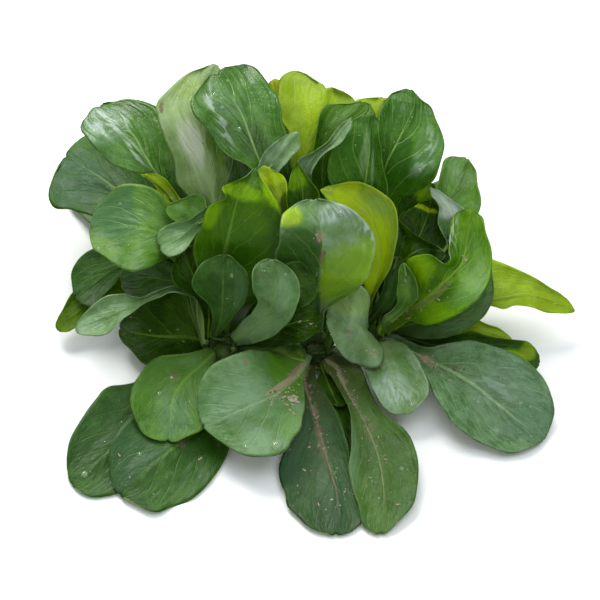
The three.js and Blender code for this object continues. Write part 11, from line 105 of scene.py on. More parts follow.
("right_shoot_leaf_17", "H13", "lime", -1, 1.0, 346, [2715,-1650,825,2706,-1677,821,2696,-1703,816,2687,-1729,809,2678,-1754,802,2669,-1781,795,2661,-1807,788,2652,-1833,781,2642,-1860,775,2447,-1537,1016,2457,-1564,996,2466,-1598,982,2475,-1637,974,2485,-1680,969,2543,-1681,973,2601,-1686,981,2660,-1693,991,2719,-1704,1002,2579,-1391,1254,2590,-1419,1210,2600,-1460,1179,2609,-1514,1161,2618,-1580,1154,2693,-1626,1147,2767,-1679,1145,2839,-1738,1147,2909,-1809,1159,2797,-1455,1524,2812,-1459,1454,2826,-1483,1403,2838,-1525,1369,2849,-1585,1354,2901,-1650,1333,2949,-1735,1331,2995,-1838,1346,3039,-1960,1379,3004,-1532,1814,3023,-1512,1721,3040,-1518,1652,3055,-1549,1608,3067,-1606,1588,3115,-1668,1561,3161,-1756,1558,3204,-1869,1580,3245,-2006,1626,3229,-1646,2120,3249,-1596,2004,3266,-1579,1919,3280,-1594,1864,3291,-1642,1841,3348,-1702,1807,3401,-1795,1805,3451,-1920,1833,3498,-2076,1891,3472,-1835,2465,3488,-1745,2326,3499,-1694,2225,3506,-1683,2161,3509,-1712,2134,3604,-1869,2094,3695,-2065,2092,3781,-2298,2127,3862,-2568,2199,3661,-1893,2886,3684,-1816,2724,3701,-1786,2606,3713,-1803,2531,3720,-1867,2501,3842,-2071,2456,3957,-2321,2455,4067,-2614,2497,4169,-2950,2583,3483,-1438,3341,3602,-1521,3162,3716,-1653,3028,3825,-1834,2939,3928,-2063,2896,4076,-2286,2854,4219,-2556,2857,4353,-2871,2906,4480,-3229,2999,3293,-1249,3733,3510,-1407,3541,3722,-1616,3393,3928,-1872,3291,4128,-2176,3233,4316,-2411,3197,4497,-2693,3206,4670,-3019,3260,4833,-3390,3359,3451,-1331,4053,3675,-1473,3850,3895,-1666,3693,4108,-1909,3581,4314,-2198,3513,4517,-2439,3482,4712,-2726,3496,4898,-3058,3555,5075,-3435,3659,3748,-1464,4294,3946,-1566,4089,4138,-1720,3929,4324,-1923,3814,4503,-2175,3744,4716,-2410,3717,4920,-2692,3734,5115,-3020,3797,5300,-3393,3905,4061,-1631,4434,4230,-1669,4235,4393,-1760,4082,4550,-1901,3973,4699,-2091,3909,4923,-2296,3885,5137,-2549,3906,5342,-2849,3971,5537,-3195,4082,4400,-2095,4466,4531,-1969,4281,4655,-1895,4141,4774,-1872,4046,4885,-1899,3996,5113,-2059,3975,5333,-2268,3998,5543,-2525,4067,5742,-2830,4180,4652,-1917,4452,4761,-1774,4285,4863,-1683,4163,4959,-1642,4086,5048,-1653,4054,5279,-1749,4034,5502,-1896,4060,5715,-2092,4130,5917,-2337,4246,4645,-1584,4454,4781,-1458,4305,4911,-1385,4202,5034,-1363,4143,5150,-1392,4130,5375,-1436,4111,5592,-1531,4137,5799,-1677,4208,5996,-1873,4324,4635,-1262,4473,4788,-1153,4341,4936,-1096,4254,5076,-1092,4213,5209,-1139,4216,5421,-1156,4196,5624,-1224,4221,5819,-1344,4291,6003,-1515,4406,4645,-938,4507,4809,-850,4389,4966,-814,4315,5116,-830,4287,5258,-899,4303,5451,-895,4280,5635,-944,4302,5810,-1045,4369,5975,-1198,4481,4697,-643,4551,4858,-570,4444,5013,-549,4382,5160,-582,4366,5300,-667,4394,5472,-643,4364,5636,-672,4379,5791,-753,4439,5937,-887,4544,4756,-362,4594,4911,-311,4517,5059,-308,4474,5201,-351,4465,5335,-442,4490,5489,-409,4464,5636,-422,4473,5775,-482,4517,5905,-590,4594,4814,-67,4625,4964,-30,4580,5106,-45,4559,5240,-111,4562,5367,-230,4589,5506,-166,4562,5639,-154,4559,5763,-194,4580,5878,-285,4625,4958,163,4677,5080,201,4658,5194,182,4654,5300,106,4663,5397,-26,4686,5510,58,4663,5616,86,4653,5713,58,4658,5801,-27,4676,5236,236,4743,5292,273,4745,5343,275,4752,5388,242,4764,5428,173,4780,5482,225,4764,5532,242,4752,5576,223,4745,5614,168,4743]),
("left_shoot_leaf_19", "H1", "mid", -1, 1.0, 353, [-2761,-1584,728,-2730,-1584,717,-2699,-1582,706,-2667,-1578,694,-2635,-1572,684,-2603,-1565,674,-2571,-1559,666,-2538,-1552,660,-2505,-1546,655,-2824,-1644,1368,-2790,-1644,1340,-2756,-1648,1314,-2723,-1656,1293,-2690,-1668,1276,-2529,-1532,1230,-2324,-1463,1276,-2126,-1392,1311,-1941,-1308,1326,-2887,-1909,1979,-2851,-1886,1932,-2813,-1875,1896,-2775,-1876,1872,-2735,-1890,1860,-2462,-1754,1850,-2188,-1629,1852,-1911,-1516,1865,-1633,-1416,1890,-2977,-2093,2514,-2931,-2042,2442,-2884,-2010,2389,-2835,-1998,2353,-2785,-2004,2335,-2456,-1888,2320,-2125,-1791,2323,-1792,-1713,2343,-1458,-1654,2382,-3127,-2119,2907,-3053,-2038,2811,-2977,-1984,2739,-2899,-1956,2691,-2818,-1954,2667,-2446,-1872,2647,-2072,-1816,2651,-1695,-1786,2680,-1318,-1782,2732,-3299,-2004,3202,-3188,-1901,3082,-3074,-1832,2992,-2957,-1796,2933,-2837,-1793,2904,-2432,-1755,2878,-2026,-1750,2883,-1617,-1778,2919,-1209,-1840,2985,-3428,-1783,3472,-3286,-1676,3328,-3139,-1611,3222,-2987,-1586,3152,-2833,-1603,3120,-2408,-1618,3088,-1982,-1674,3093,-1555,-1771,3136,-1128,-1907,3215,-3529,-1505,3711,-3354,-1400,3544,-3173,-1345,3421,-2987,-1338,3342,-2797,-1381,3306,-2362,-1444,3267,-1925,-1556,3273,-1487,-1715,3321,-1051,-1922,3414,-3592,-1264,3939,-3388,-1158,3756,-3177,-1103,3619,-2961,-1099,3526,-2741,-1146,3479,-2296,-1244,3440,-1849,-1392,3447,-1403,-1590,3498,-959,-1836,3595,-3583,-1100,4232,-3365,-996,4038,-3139,-944,3888,-2909,-944,3784,-2674,-996,3724,-2221,-1105,3687,-1767,-1265,3696,-1314,-1474,3749,-863,-1733,3847,-3482,-1073,4611,-3268,-968,4408,-3047,-915,4250,-2822,-916,4138,-2592,-968,4070,-2141,-1077,4035,-1690,-1236,4044,-1239,-1446,4099,-791,-1706,4199,-3354,-1089,4991,-3151,-981,4786,-2942,-927,4626,-2728,-927,4510,-2509,-979,4440,-2067,-1073,4406,-1624,-1218,4417,-1181,-1415,4474,-741,-1662,4575,-3284,-1008,5292,-3080,-911,5092,-2870,-868,4936,-2656,-879,4826,-2437,-943,4760,-2007,-1027,4729,-1576,-1164,4742,-1145,-1353,4800,-716,-1593,4903,-3191,-878,5530,-2993,-795,5341,-2789,-768,5197,-2581,-794,5097,-2370,-875,5043,-1957,-951,5013,-1542,-1080,5029,-1128,-1262,5089,-716,-1496,5195,-3012,-717,5725,-2843,-651,5551,-2670,-642,5421,-2492,-686,5336,-2310,-786,5296,-1915,-867,5269,-1519,-1002,5286,-1124,-1190,5349,-730,-1431,5457,-2647,-720,5885,-2553,-626,5726,-2455,-588,5612,-2353,-606,5542,-2247,-678,5518,-1874,-775,5492,-1500,-926,5511,-1126,-1130,5575,-755,-1387,5684,-2509,-681,6021,-2430,-568,5877,-2348,-511,5778,-2262,-509,5723,-2172,-562,5714,-1826,-672,5688,-1480,-836,5707,-1133,-1053,5771,-789,-1324,5880,-2646,-384,6137,-2512,-313,6006,-2375,-298,5920,-2234,-339,5879,-2090,-437,5883,-1776,-551,5855,-1462,-720,5871,-1147,-943,5933,-835,-1220,6040,-2421,-263,6227,-2320,-186,6109,-2216,-166,6037,-2108,-203,6009,-1997,-296,6026,-1725,-401,5993,-1453,-562,6004,-1180,-777,6060,-908,-1046,6161,-2158,-194,6277,-2092,-105,6191,-2025,-64,6140,-1959,-73,6122,-1892,-131,6139,-1675,-218,6113,-1460,-353,6120,-1246,-536,6162,-1034,-766,6238,-1939,-53,6278,-1894,40,6229,-1853,89,6203,-1816,93,6201,-1782,53,6222,-1637,3,6197,-1495,-92,6196,-1358,-230,6219,-1226,-411,6265,-1776,126,6295,-1744,204,6274,-1715,250,6266,-1692,263,6272,-1674,243,6293,-1603,214,6272,-1537,151,6266,-1476,57,6273,-1420,-70,6295,-1641,312,6335,-1619,361,6336,-1600,395,6341,-1584,416,6351,-1571,423,6365,-1556,401,6351,-1545,366,6342,-1536,316,6337,-1530,253,6337]),
("right_shoot_leaf_18", "H14", "light", -1, 1.0, 360, [2613,-1692,1170,2622,-1722,1168,2631,-1752,1165,2641,-1781,1163,2651,-1810,1160,2661,-1839,1158,2672,-1868,1156,2683,-1897,1153,2694,-1926,1151,2592,-1843,1459,2606,-1850,1440,2620,-1862,1428,2635,-1880,1421,2649,-1904,1420,2674,-1899,1414,2699,-1900,1414,2724,-1906,1420,2749,-1919,1432,2554,-1923,1761,2578,-1926,1725,2601,-1942,1701,2623,-1970,1689,2644,-2010,1689,2679,-2018,1680,2712,-2039,1683,2744,-2072,1698,2776,-2117,1724,2617,-1958,2016,2637,-1962,1963,2655,-1985,1928,2672,-2027,1911,2687,-2087,1912,2720,-2111,1899,2751,-2154,1905,2781,-2215,1928,2809,-2295,1969,2725,-2009,2175,2741,-1995,2105,2755,-2007,2058,2767,-2044,2037,2777,-2106,2039,2801,-2137,2022,2822,-2193,2030,2842,-2275,2062,2859,-2382,2118,2814,-2021,2269,2835,-1985,2181,2853,-1982,2125,2868,-2012,2099,2881,-2073,2103,2903,-2101,2083,2922,-2160,2093,2939,-2251,2133,2952,-2374,2205,2890,-2018,2361,2918,-1963,2258,2942,-1947,2192,2963,-1970,2164,2981,-2032,2172,3008,-2052,2147,3032,-2110,2159,3052,-2207,2209,3068,-2342,2295,2962,-2011,2461,2996,-1937,2345,3026,-1910,2272,3052,-1929,2242,3073,-1994,2257,3107,-2007,2227,3136,-2066,2242,3161,-2171,2300,3182,-2322,2401,3020,-2002,2560,3061,-1918,2439,3099,-1882,2364,3132,-1895,2333,3160,-1955,2348,3204,-1968,2322,3243,-2029,2341,3278,-2137,2405,3307,-2292,2515,3053,-2004,2682,3104,-1912,2561,3150,-1870,2485,3191,-1875,2454,3228,-1928,2468,3287,-1940,2447,3341,-2001,2472,3390,-2109,2541,3433,-2264,2656,3049,-2021,2841,3111,-1926,2721,3169,-1879,2646,3222,-1881,2615,3271,-1930,2630,3347,-1946,2614,3419,-2009,2642,3485,-2120,2715,3546,-2279,2834,3019,-2039,3007,3095,-1941,2888,3167,-1892,2814,3235,-1891,2785,3298,-1938,2801,3390,-1954,2787,3477,-2018,2817,3559,-2130,2893,3635,-2290,3013,2987,-2030,3145,3076,-1929,3028,3161,-1876,2955,3241,-1872,2928,3317,-1917,2945,3415,-1925,2931,3508,-1981,2961,3595,-2086,3036,3677,-2240,3156,2965,-1998,3253,3063,-1892,3138,3156,-1836,3068,3245,-1828,3042,3329,-1870,3062,3421,-1867,3046,3507,-1914,3074,3588,-2009,3148,3664,-2153,3266,2963,-1961,3349,3062,-1851,3237,3157,-1790,3169,3248,-1779,3147,3334,-1816,3169,3415,-1803,3150,3492,-1839,3176,3563,-1924,3246,3629,-2057,3362,2972,-1930,3446,3068,-1816,3337,3159,-1752,3273,3246,-1738,3254,3329,-1772,3279,3402,-1749,3256,3470,-1774,3278,3533,-1849,3345,3591,-1974,3457,2989,-1899,3544,3077,-1785,3439,3161,-1721,3379,3241,-1706,3364,3315,-1741,3393,3382,-1708,3366,3443,-1725,3384,3499,-1792,3446,3549,-1908,3554,3013,-1861,3636,3091,-1749,3535,3165,-1687,3479,3234,-1674,3469,3298,-1712,3503,3357,-1673,3471,3411,-1683,3484,3460,-1744,3542,3503,-1854,3645,3042,-1807,3711,3109,-1700,3617,3170,-1642,3567,3228,-1635,3563,3280,-1678,3604,3331,-1632,3566,3378,-1636,3572,3419,-1691,3624,3455,-1795,3721,3077,-1734,3765,3128,-1648,3695,3176,-1603,3660,3221,-1597,3659,3262,-1632,3692,3304,-1595,3662,3342,-1598,3665,3376,-1640,3703,3406,-1723,3775,3117,-1642,3795,3152,-1579,3753,3186,-1547,3735,3217,-1547,3741,3245,-1579,3770,3276,-1545,3743,3305,-1544,3739,3332,-1573,3759,3356,-1634,3802,3158,-1566,3835,3178,-1523,3816,3196,-1501,3811,3214,-1502,3820,3230,-1525,3843,3250,-1501,3821,3269,-1500,3813,3287,-1521,3819,3303,-1564,3839,3196,-1507,3885,3202,-1485,3886,3208,-1472,3891,3213,-1468,3900,3218,-1473,3915,3226,-1468,3901,3234,-1472,3892,3241,-1485,3887,3248,-1507,3887]),
("right_shoot_leaf_19", "H9", "yellow", -1, 1.0, 367, [1721,-1094,793,1749,-1111,793,1777,-1127,792,1805,-1139,790,1835,-1149,788,1865,-1158,786,1896,-1164,784,1927,-1169,781,1959,-1174,779,1829,-1069,1237,1856,-1081,1217,1883,-1098,1202,1910,-1120,1194,1936,-1148,1191,1971,-1141,1190,2005,-1139,1196,2039,-1144,1207,2072,-1154,1224,1895,-1194,1712,1927,-1184,1671,1959,-1188,1642,1990,-1203,1624,2021,-1231,1619,2053,-1228,1619,2086,-1237,1631,2117,-1258,1655,2147,-1293,1691,1968,-1312,2169,2004,-1279,2106,2040,-1265,2062,2074,-1270,2036,2107,-1295,2027,2140,-1294,2028,2172,-1312,2047,2203,-1350,2084,2232,-1406,2138,2020,-1363,2579,2066,-1309,2496,2111,-1282,2437,2154,-1281,2402,2196,-1307,2392,2232,-1309,2393,2267,-1337,2419,2300,-1392,2469,2331,-1473,2543,1906,-1304,2950,2002,-1247,2848,2097,-1224,2776,2190,-1234,2735,2281,-1279,2725,2329,-1286,2727,2374,-1328,2760,2417,-1403,2823,2457,-1511,2917,1731,-1266,3291,1890,-1194,3173,2048,-1163,3092,2204,-1173,3049,2356,-1225,3042,2425,-1235,3045,2491,-1286,3085,2553,-1378,3162,2612,-1511,3276,1661,-1270,3594,1852,-1165,3466,2041,-1109,3381,2228,-1102,3341,2411,-1143,3344,2503,-1144,3348,2590,-1194,3396,2674,-1293,3488,2752,-1441,3624,1622,-1260,3852,1830,-1127,3728,2037,-1045,3649,2242,-1014,3614,2443,-1034,3625,2552,-1025,3641,2658,-1067,3702,2759,-1160,3808,2855,-1304,3958,1591,-1240,4083,1809,-1081,3968,2025,-972,3898,2239,-915,3872,2451,-909,3892,2583,-882,3921,2712,-906,3995,2835,-982,4114,2954,-1110,4278,1559,-1225,4294,1778,-1034,4189,1997,-895,4129,2213,-807,4113,2427,-771,4143,2591,-715,4182,2752,-713,4267,2908,-763,4396,3059,-866,4571,1517,-1213,4498,1732,-990,4400,1945,-817,4348,2157,-697,4340,2366,-629,4377,2555,-536,4423,2740,-496,4514,2921,-510,4650,3095,-577,4831,1464,-1191,4701,1668,-940,4608,1871,-740,4560,2073,-592,4557,2272,-497,4600,2470,-368,4647,2664,-292,4739,2854,-271,4877,3039,-304,5059,1401,-1146,4898,1591,-877,4809,1780,-660,4765,1968,-494,4766,2153,-382,4811,2341,-224,4857,2526,-120,4948,2708,-71,5083,2884,-77,5264,1334,-1105,5080,1506,-820,4993,1677,-586,4952,1847,-406,4956,2014,-278,5005,2174,-110,5046,2331,3,5132,2485,62,5264,2634,64,5440,1265,-1062,5237,1414,-764,5153,1563,-518,5115,1711,-325,5121,1856,-185,5173,1988,-5,5207,2117,121,5287,2243,191,5412,2365,205,5581,1190,-1001,5371,1314,-701,5290,1437,-452,5254,1559,-257,5263,1679,-116,5317,1785,74,5343,1888,208,5414,1989,287,5531,2086,309,5692,1105,-910,5485,1203,-620,5407,1301,-384,5373,1397,-200,5385,1491,-71,5441,1572,114,5457,1651,244,5519,1727,319,5625,1800,337,5776,1013,-806,5584,1085,-536,5508,1157,-319,5478,1227,-156,5493,1295,-48,5552,1354,120,5554,1411,233,5602,1465,290,5694,1517,290,5831,910,-691,5666,952,-469,5610,996,-288,5589,1042,-151,5602,1089,-57,5650,1128,84,5648,1168,181,5680,1209,234,5747,1252,242,5848,786,-557,5728,799,-391,5693,819,-257,5682,847,-155,5694,882,-86,5731,905,45,5716,936,144,5726,974,209,5759,1019,242,5816,663,-409,5787,651,-306,5770,650,-224,5768,660,-162,5779,682,-120,5804,696,-19,5786,722,63,5782,759,123,5792,808,163,5816,551,-245,5846,525,-209,5847,506,-181,5853,495,-162,5863,490,-150,5878,508,-106,5864,534,-71,5854,566,-43,5849,607,-24,5849]),
("right_shoot_leaf_20", "H10", "pale", 1, 1.0, 374, [1612,-1305,753,1606,-1334,749,1601,-1363,745,1595,-1392,741,1589,-1421,737,1584,-1450,733,1578,-1479,729,1572,-1508,725,1567,-1537,721,1768,-1495,947,1746,-1489,908,1723,-1489,875,1701,-1494,847,1677,-1506,826,1698,-1512,800,1718,-1524,780,1738,-1542,766,1758,-1566,758,1885,-1701,1150,1857,-1656,1074,1828,-1624,1009,1798,-1605,957,1767,-1597,917,1811,-1579,870,1854,-1573,836,1896,-1580,813,1938,-1598,803,2014,-1903,1368,1977,-1825,1254,1939,-1765,1158,1899,-1724,1080,1858,-1702,1020,1929,-1663,953,1998,-1642,904,2067,-1640,873,2134,-1657,860,1946,-1968,1607,1949,-1895,1455,1951,-1847,1327,1951,-1824,1224,1950,-1827,1144,2047,-1807,1055,2142,-1812,989,2237,-1843,948,2329,-1898,931,1943,-1943,1855,1970,-1898,1666,1996,-1887,1508,2020,-1908,1380,2041,-1961,1283,2162,-1983,1167,2280,-2036,1082,2397,-2120,1028,2511,-2236,1004,2050,-1900,2096,2066,-1878,1873,2080,-1896,1687,2091,-1954,1538,2100,-2050,1426,2234,-2140,1279,2364,-2268,1170,2492,-2433,1097,2617,-2635,1061,2124,-1836,2341,2100,-1839,2086,2072,-1890,1875,2042,-1988,1707,2009,-2131,1583,2159,-2292,1393,2306,-2499,1247,2449,-2748,1144,2588,-3038,1085,2146,-1758,2580,2091,-1803,2302,2034,-1897,2069,1973,-2040,1881,1909,-2230,1737,2047,-2435,1496,2182,-2686,1300,2313,-2981,1149,2441,-3318,1043,2074,-1646,2763,2012,-1738,2468,1946,-1880,2217,1878,-2070,2012,1807,-2307,1851,1906,-2494,1558,2002,-2727,1310,2095,-3006,1107,2185,-3326,948,1940,-1521,2876,1885,-1659,2569,1828,-1847,2308,1767,-2083,2091,1704,-2365,1920,1763,-2499,1584,1820,-2681,1294,1875,-2908,1049,1926,-3180,848,1786,-1427,2923,1744,-1598,2615,1700,-1819,2351,1653,-2087,2132,1604,-2400,1958,1626,-2484,1603,1647,-2616,1294,1665,-2794,1029,1680,-3018,810,1656,-1371,2910,1623,-1559,2610,1586,-1796,2354,1548,-2081,2144,1507,-2410,1978,1514,-2481,1635,1518,-2600,1337,1521,-2766,1085,1521,-2977,877,1539,-1304,2838,1511,-1503,2554,1481,-1750,2316,1450,-2044,2123,1416,-2383,1974,1414,-2469,1667,1410,-2603,1405,1404,-2783,1187,1396,-3008,1015,1402,-1242,2730,1386,-1445,2470,1369,-1697,2254,1350,-1994,2084,1328,-2337,1958,1317,-2445,1698,1304,-2599,1483,1289,-2800,1312,1272,-3044,1187,1265,-1221,2614,1263,-1417,2378,1259,-1662,2188,1253,-1953,2042,1245,-2289,1942,1221,-2404,1730,1194,-2567,1564,1167,-2774,1442,1137,-3025,1366,1139,-1256,2494,1148,-1430,2284,1156,-1652,2118,1162,-1921,1997,1166,-2235,1922,1134,-2349,1752,1100,-2510,1627,1065,-2716,1547,1029,-2966,1513,1024,-1328,2382,1043,-1470,2194,1060,-1660,2051,1076,-1897,1953,1090,-2179,1900,1056,-2278,1760,1020,-2423,1664,983,-2613,1614,944,-2848,1608,917,-1418,2274,944,-1524,2109,970,-1678,1989,994,-1879,1913,1017,-2126,1883,984,-2199,1763,950,-2319,1687,915,-2485,1656,878,-2696,1670,833,-1508,2156,858,-1594,2034,884,-1719,1947,913,-1880,1894,944,-2079,1875,911,-2139,1787,880,-2236,1733,851,-2370,1713,824,-2540,1728,785,-1572,2006,794,-1643,1937,812,-1745,1891,839,-1876,1870,874,-2037,1872,839,-2085,1819,812,-2163,1789,794,-2270,1782,785,-2406,1800,764,-1697,1915,758,-1741,1883,763,-1806,1865,779,-1892,1861,807,-1999,1871,779,-2029,1844,762,-2080,1831,757,-2152,1831,763,-2245,1845,750,-1865,1874,738,-1877,1866,733,-1897,1863,734,-1925,1864,741,-1961,1870,733,-1974,1863,732,-1995,1860,738,-2025,1861,749,-2063,1868]),
("middle_shoot_leaf_16", "H8", "pale", -1, 1.0, 381, [318,-1413,860,350,-1427,878,383,-1439,892,416,-1449,899,450,-1455,901,483,-1457,895,517,-1457,883,551,-1454,867,584,-1450,846,290,-1606,1086,326,-1629,1067,362,-1656,1051,397,-1687,1035,433,-1722,1023,477,-1683,1038,521,-1648,1056,565,-1617,1074,609,-1589,1093,311,-1630,1404,352,-1629,1360,392,-1641,1327,433,-1665,1306,473,-1701,1296,511,-1688,1310,548,-1687,1336,585,-1698,1373,622,-1722,1423,312,-1696,1760,361,-1667,1692,410,-1656,1641,459,-1664,1608,508,-1691,1594,543,-1693,1616,578,-1713,1657,613,-1752,1715,647,-1809,1791,302,-1772,2124,360,-1711,2032,418,-1677,1964,475,-1667,1920,532,-1684,1901,568,-1690,1931,605,-1721,1985,640,-1778,2064,675,-1861,2167,259,-1867,2494,330,-1771,2378,401,-1708,2293,472,-1678,2239,542,-1680,2215,671,-1693,2252,800,-1739,2320,926,-1818,2418,1051,-1930,2547,115,-1984,2873,218,-1850,2735,321,-1757,2634,423,-1703,2570,525,-1690,2544,811,-1653,2586,1095,-1656,2665,1377,-1699,2781,1656,-1783,2934,-156,-2064,3273,4,-1909,3114,164,-1803,2999,325,-1743,2927,486,-1732,2899,814,-1732,2944,1140,-1780,3032,1463,-1876,3165,1781,-2020,3340,-426,-2006,3676,-205,-1875,3505,19,-1793,3378,243,-1762,3297,467,-1780,3260,822,-1832,3314,1174,-1934,3413,1522,-2085,3557,1863,-2285,3746,-678,-1956,4039,-390,-1841,3859,-99,-1776,3724,194,-1762,3633,486,-1797,3588,858,-1891,3651,1226,-2035,3759,1589,-2229,3912,1946,-2472,4110,-842,-1959,4349,-505,-1836,4163,-164,-1765,4021,178,-1744,3924,520,-1775,3872,922,-1855,3941,1319,-1986,4056,1710,-2167,4215,2095,-2398,4420,-906,-1968,4625,-546,-1832,4435,-182,-1748,4289,184,-1715,4189,550,-1733,4134,973,-1791,4206,1392,-1899,4324,1805,-2058,4486,2210,-2268,4694,-910,-1968,4886,-545,-1822,4695,-175,-1729,4550,196,-1686,4449,568,-1696,4393,996,-1729,4466,1421,-1814,4583,1839,-1950,4745,2251,-2139,4953,-878,-2002,5139,-517,-1841,4949,-153,-1731,4805,213,-1674,4706,580,-1668,4652,999,-1664,4722,1415,-1713,4837,1825,-1813,4997,2229,-1967,5202,-847,-2037,5363,-494,-1857,5177,-137,-1729,5037,223,-1653,4942,583,-1630,4892,979,-1586,4957,1372,-1595,5067,1762,-1656,5222,2145,-1771,5423,-827,-2021,5543,-481,-1828,5363,-132,-1687,5229,220,-1600,5140,572,-1565,5096,937,-1488,5154,1299,-1463,5257,1658,-1493,5405,2012,-1576,5598,-808,-1945,5681,-473,-1748,5510,-134,-1604,5384,208,-1513,5303,550,-1476,5268,876,-1377,5316,1200,-1330,5409,1522,-1338,5547,1839,-1401,5731,-785,-1823,5785,-462,-1631,5625,-137,-1492,5510,191,-1406,5440,519,-1374,5414,801,-1260,5450,1082,-1200,5532,1361,-1194,5658,1636,-1242,5829,-759,-1652,5855,-452,-1473,5710,-141,-1349,5610,171,-1278,5555,483,-1261,5546,717,-1136,5564,951,-1065,5628,1182,-1048,5737,1411,-1086,5890,-715,-1392,5882,-431,-1251,5776,-143,-1161,5704,147,-1122,5666,439,-1136,5662,622,-1009,5672,806,-933,5716,990,-910,5795,1174,-939,5908,-540,-1095,5854,-317,-981,5795,-87,-927,5759,149,-933,5747,390,-999,5759,520,-852,5750,655,-764,5765,796,-736,5803,940,-769,5865,-250,-827,5860,-116,-746,5836,28,-725,5826,180,-763,5830,340,-861,5848,420,-723,5830,508,-644,5827,605,-625,5838,709,-666,5863,113,-720,5902,150,-676,5903,193,-663,5909,241,-681,5920,293,-730,5935,324,-671,5920,361,-643,5909,402,-646,5903,448,-680,5902]),
("left_shoot_leaf_20", "H7b", "shade", -1, 1.0, 388, [-2216,-1855,764,-2213,-1887,762,-2211,-1919,761,-2209,-1951,759,-2207,-1982,757,-2205,-2014,755,-2203,-2046,753,-2200,-2077,751,-2198,-2109,749,-2294,-1734,860,-2291,-1778,840,-2288,-1829,825,-2284,-1885,816,-2281,-1947,813,-2213,-1996,804,-2144,-2051,801,-2076,-2111,803,-2007,-2178,812,-2147,-1687,959,-2147,-1731,919,-2147,-1786,891,-2146,-1853,875,-2144,-1932,870,-2092,-1994,854,-2040,-2067,850,-1987,-2152,857,-1933,-2249,877,-2009,-1687,1072,-2008,-1725,1013,-2006,-1781,971,-2003,-1855,947,-1998,-1948,941,-1966,-2017,918,-1933,-2105,912,-1899,-2210,925,-1865,-2334,956,-1876,-1717,1210,-1871,-1748,1130,-1865,-1804,1074,-1857,-1884,1043,-1848,-1989,1036,-1827,-2067,1005,-1805,-2169,999,-1781,-2295,1016,-1757,-2445,1058,-1745,-1757,1364,-1735,-1781,1263,-1723,-1837,1194,-1710,-1925,1155,-1696,-2044,1147,-1669,-2131,1108,-1641,-2249,1100,-1612,-2398,1122,-1582,-2577,1176,-1608,-1776,1516,-1594,-1798,1396,-1578,-1858,1313,-1561,-1957,1267,-1543,-2094,1258,-1510,-2193,1211,-1476,-2329,1200,-1441,-2503,1227,-1404,-2712,1291,-1467,-1782,1662,-1450,-1803,1522,-1432,-1870,1426,-1411,-1982,1373,-1390,-2139,1364,-1352,-2249,1307,-1312,-2403,1294,-1271,-2601,1324,-1229,-2842,1398,-1325,-1789,1808,-1305,-1818,1656,-1284,-1893,1549,-1261,-2016,1487,-1237,-2184,1470,-1193,-2310,1410,-1147,-2481,1396,-1101,-2697,1427,-1053,-2957,1503,-1183,-1805,1953,-1161,-1841,1792,-1137,-1924,1676,-1111,-2054,1604,-1085,-2230,1578,-1035,-2367,1518,-984,-2548,1503,-932,-2774,1533,-879,-3044,1608,-1041,-1828,2094,-1017,-1869,1925,-991,-1957,1800,-964,-2093,1721,-936,-2274,1687,-879,-2413,1625,-822,-2598,1609,-764,-2827,1637,-706,-3100,1711,-892,-1848,2229,-868,-1893,2053,-844,-1986,1923,-818,-2126,1838,-792,-2312,1798,-730,-2454,1734,-667,-2640,1715,-604,-2871,1742,-540,-3146,1813,-739,-1877,2365,-719,-1925,2185,-697,-2022,2051,-675,-2166,1961,-653,-2356,1916,-588,-2501,1849,-522,-2692,1826,-457,-2927,1849,-391,-3206,1916,-576,-1931,2517,-562,-1982,2333,-547,-2081,2194,-532,-2228,2101,-517,-2421,2052,-453,-2570,1979,-389,-2765,1951,-325,-3004,1968,-261,-3287,2030,-405,-1981,2651,-400,-2035,2464,-395,-2138,2323,-390,-2288,2227,-384,-2484,2175,-326,-2634,2097,-269,-2830,2063,-211,-3070,2074,-154,-3354,2131,-233,-1991,2734,-239,-2053,2548,-244,-2162,2407,-249,-2319,2311,-254,-2523,2260,-206,-2668,2176,-157,-2860,2137,-108,-3096,2144,-60,-3376,2195,-68,-2008,2779,-83,-2072,2597,-98,-2186,2459,-113,-2346,2367,-128,-2553,2320,-88,-2688,2233,-47,-2868,2191,-8,-3094,2194,32,-3364,2242,81,-2065,2778,60,-2120,2604,38,-2223,2475,16,-2373,2391,-7,-2570,2352,28,-2687,2264,63,-2851,2221,97,-3059,2223,130,-3312,2270,205,-2113,2714,183,-2153,2554,160,-2240,2439,137,-2375,2369,113,-2556,2344,143,-2652,2259,173,-2794,2218,203,-2982,2222,231,-3215,2272,314,-2090,2571,299,-2136,2448,281,-2218,2358,258,-2337,2303,232,-2490,2282,263,-2582,2219,289,-2709,2190,312,-2871,2196,331,-3067,2235,414,-1983,2340,414,-2045,2263,403,-2132,2210,381,-2244,2181,349,-2380,2176,384,-2468,2139,409,-2581,2126,424,-2717,2137,428,-2878,2171,501,-1946,2144,515,-2002,2101,513,-2071,2072,495,-2155,2056,462,-2254,2055,498,-2326,2041,517,-2412,2041,521,-2513,2055,510,-2628,2083,553,-2040,1998,573,-2057,1978,582,-2078,1963,583,-2105,1952,573,-2137,1947,583,-2172,1950,583,-2212,1958,573,-2258,1971,554,-2309,1989]),
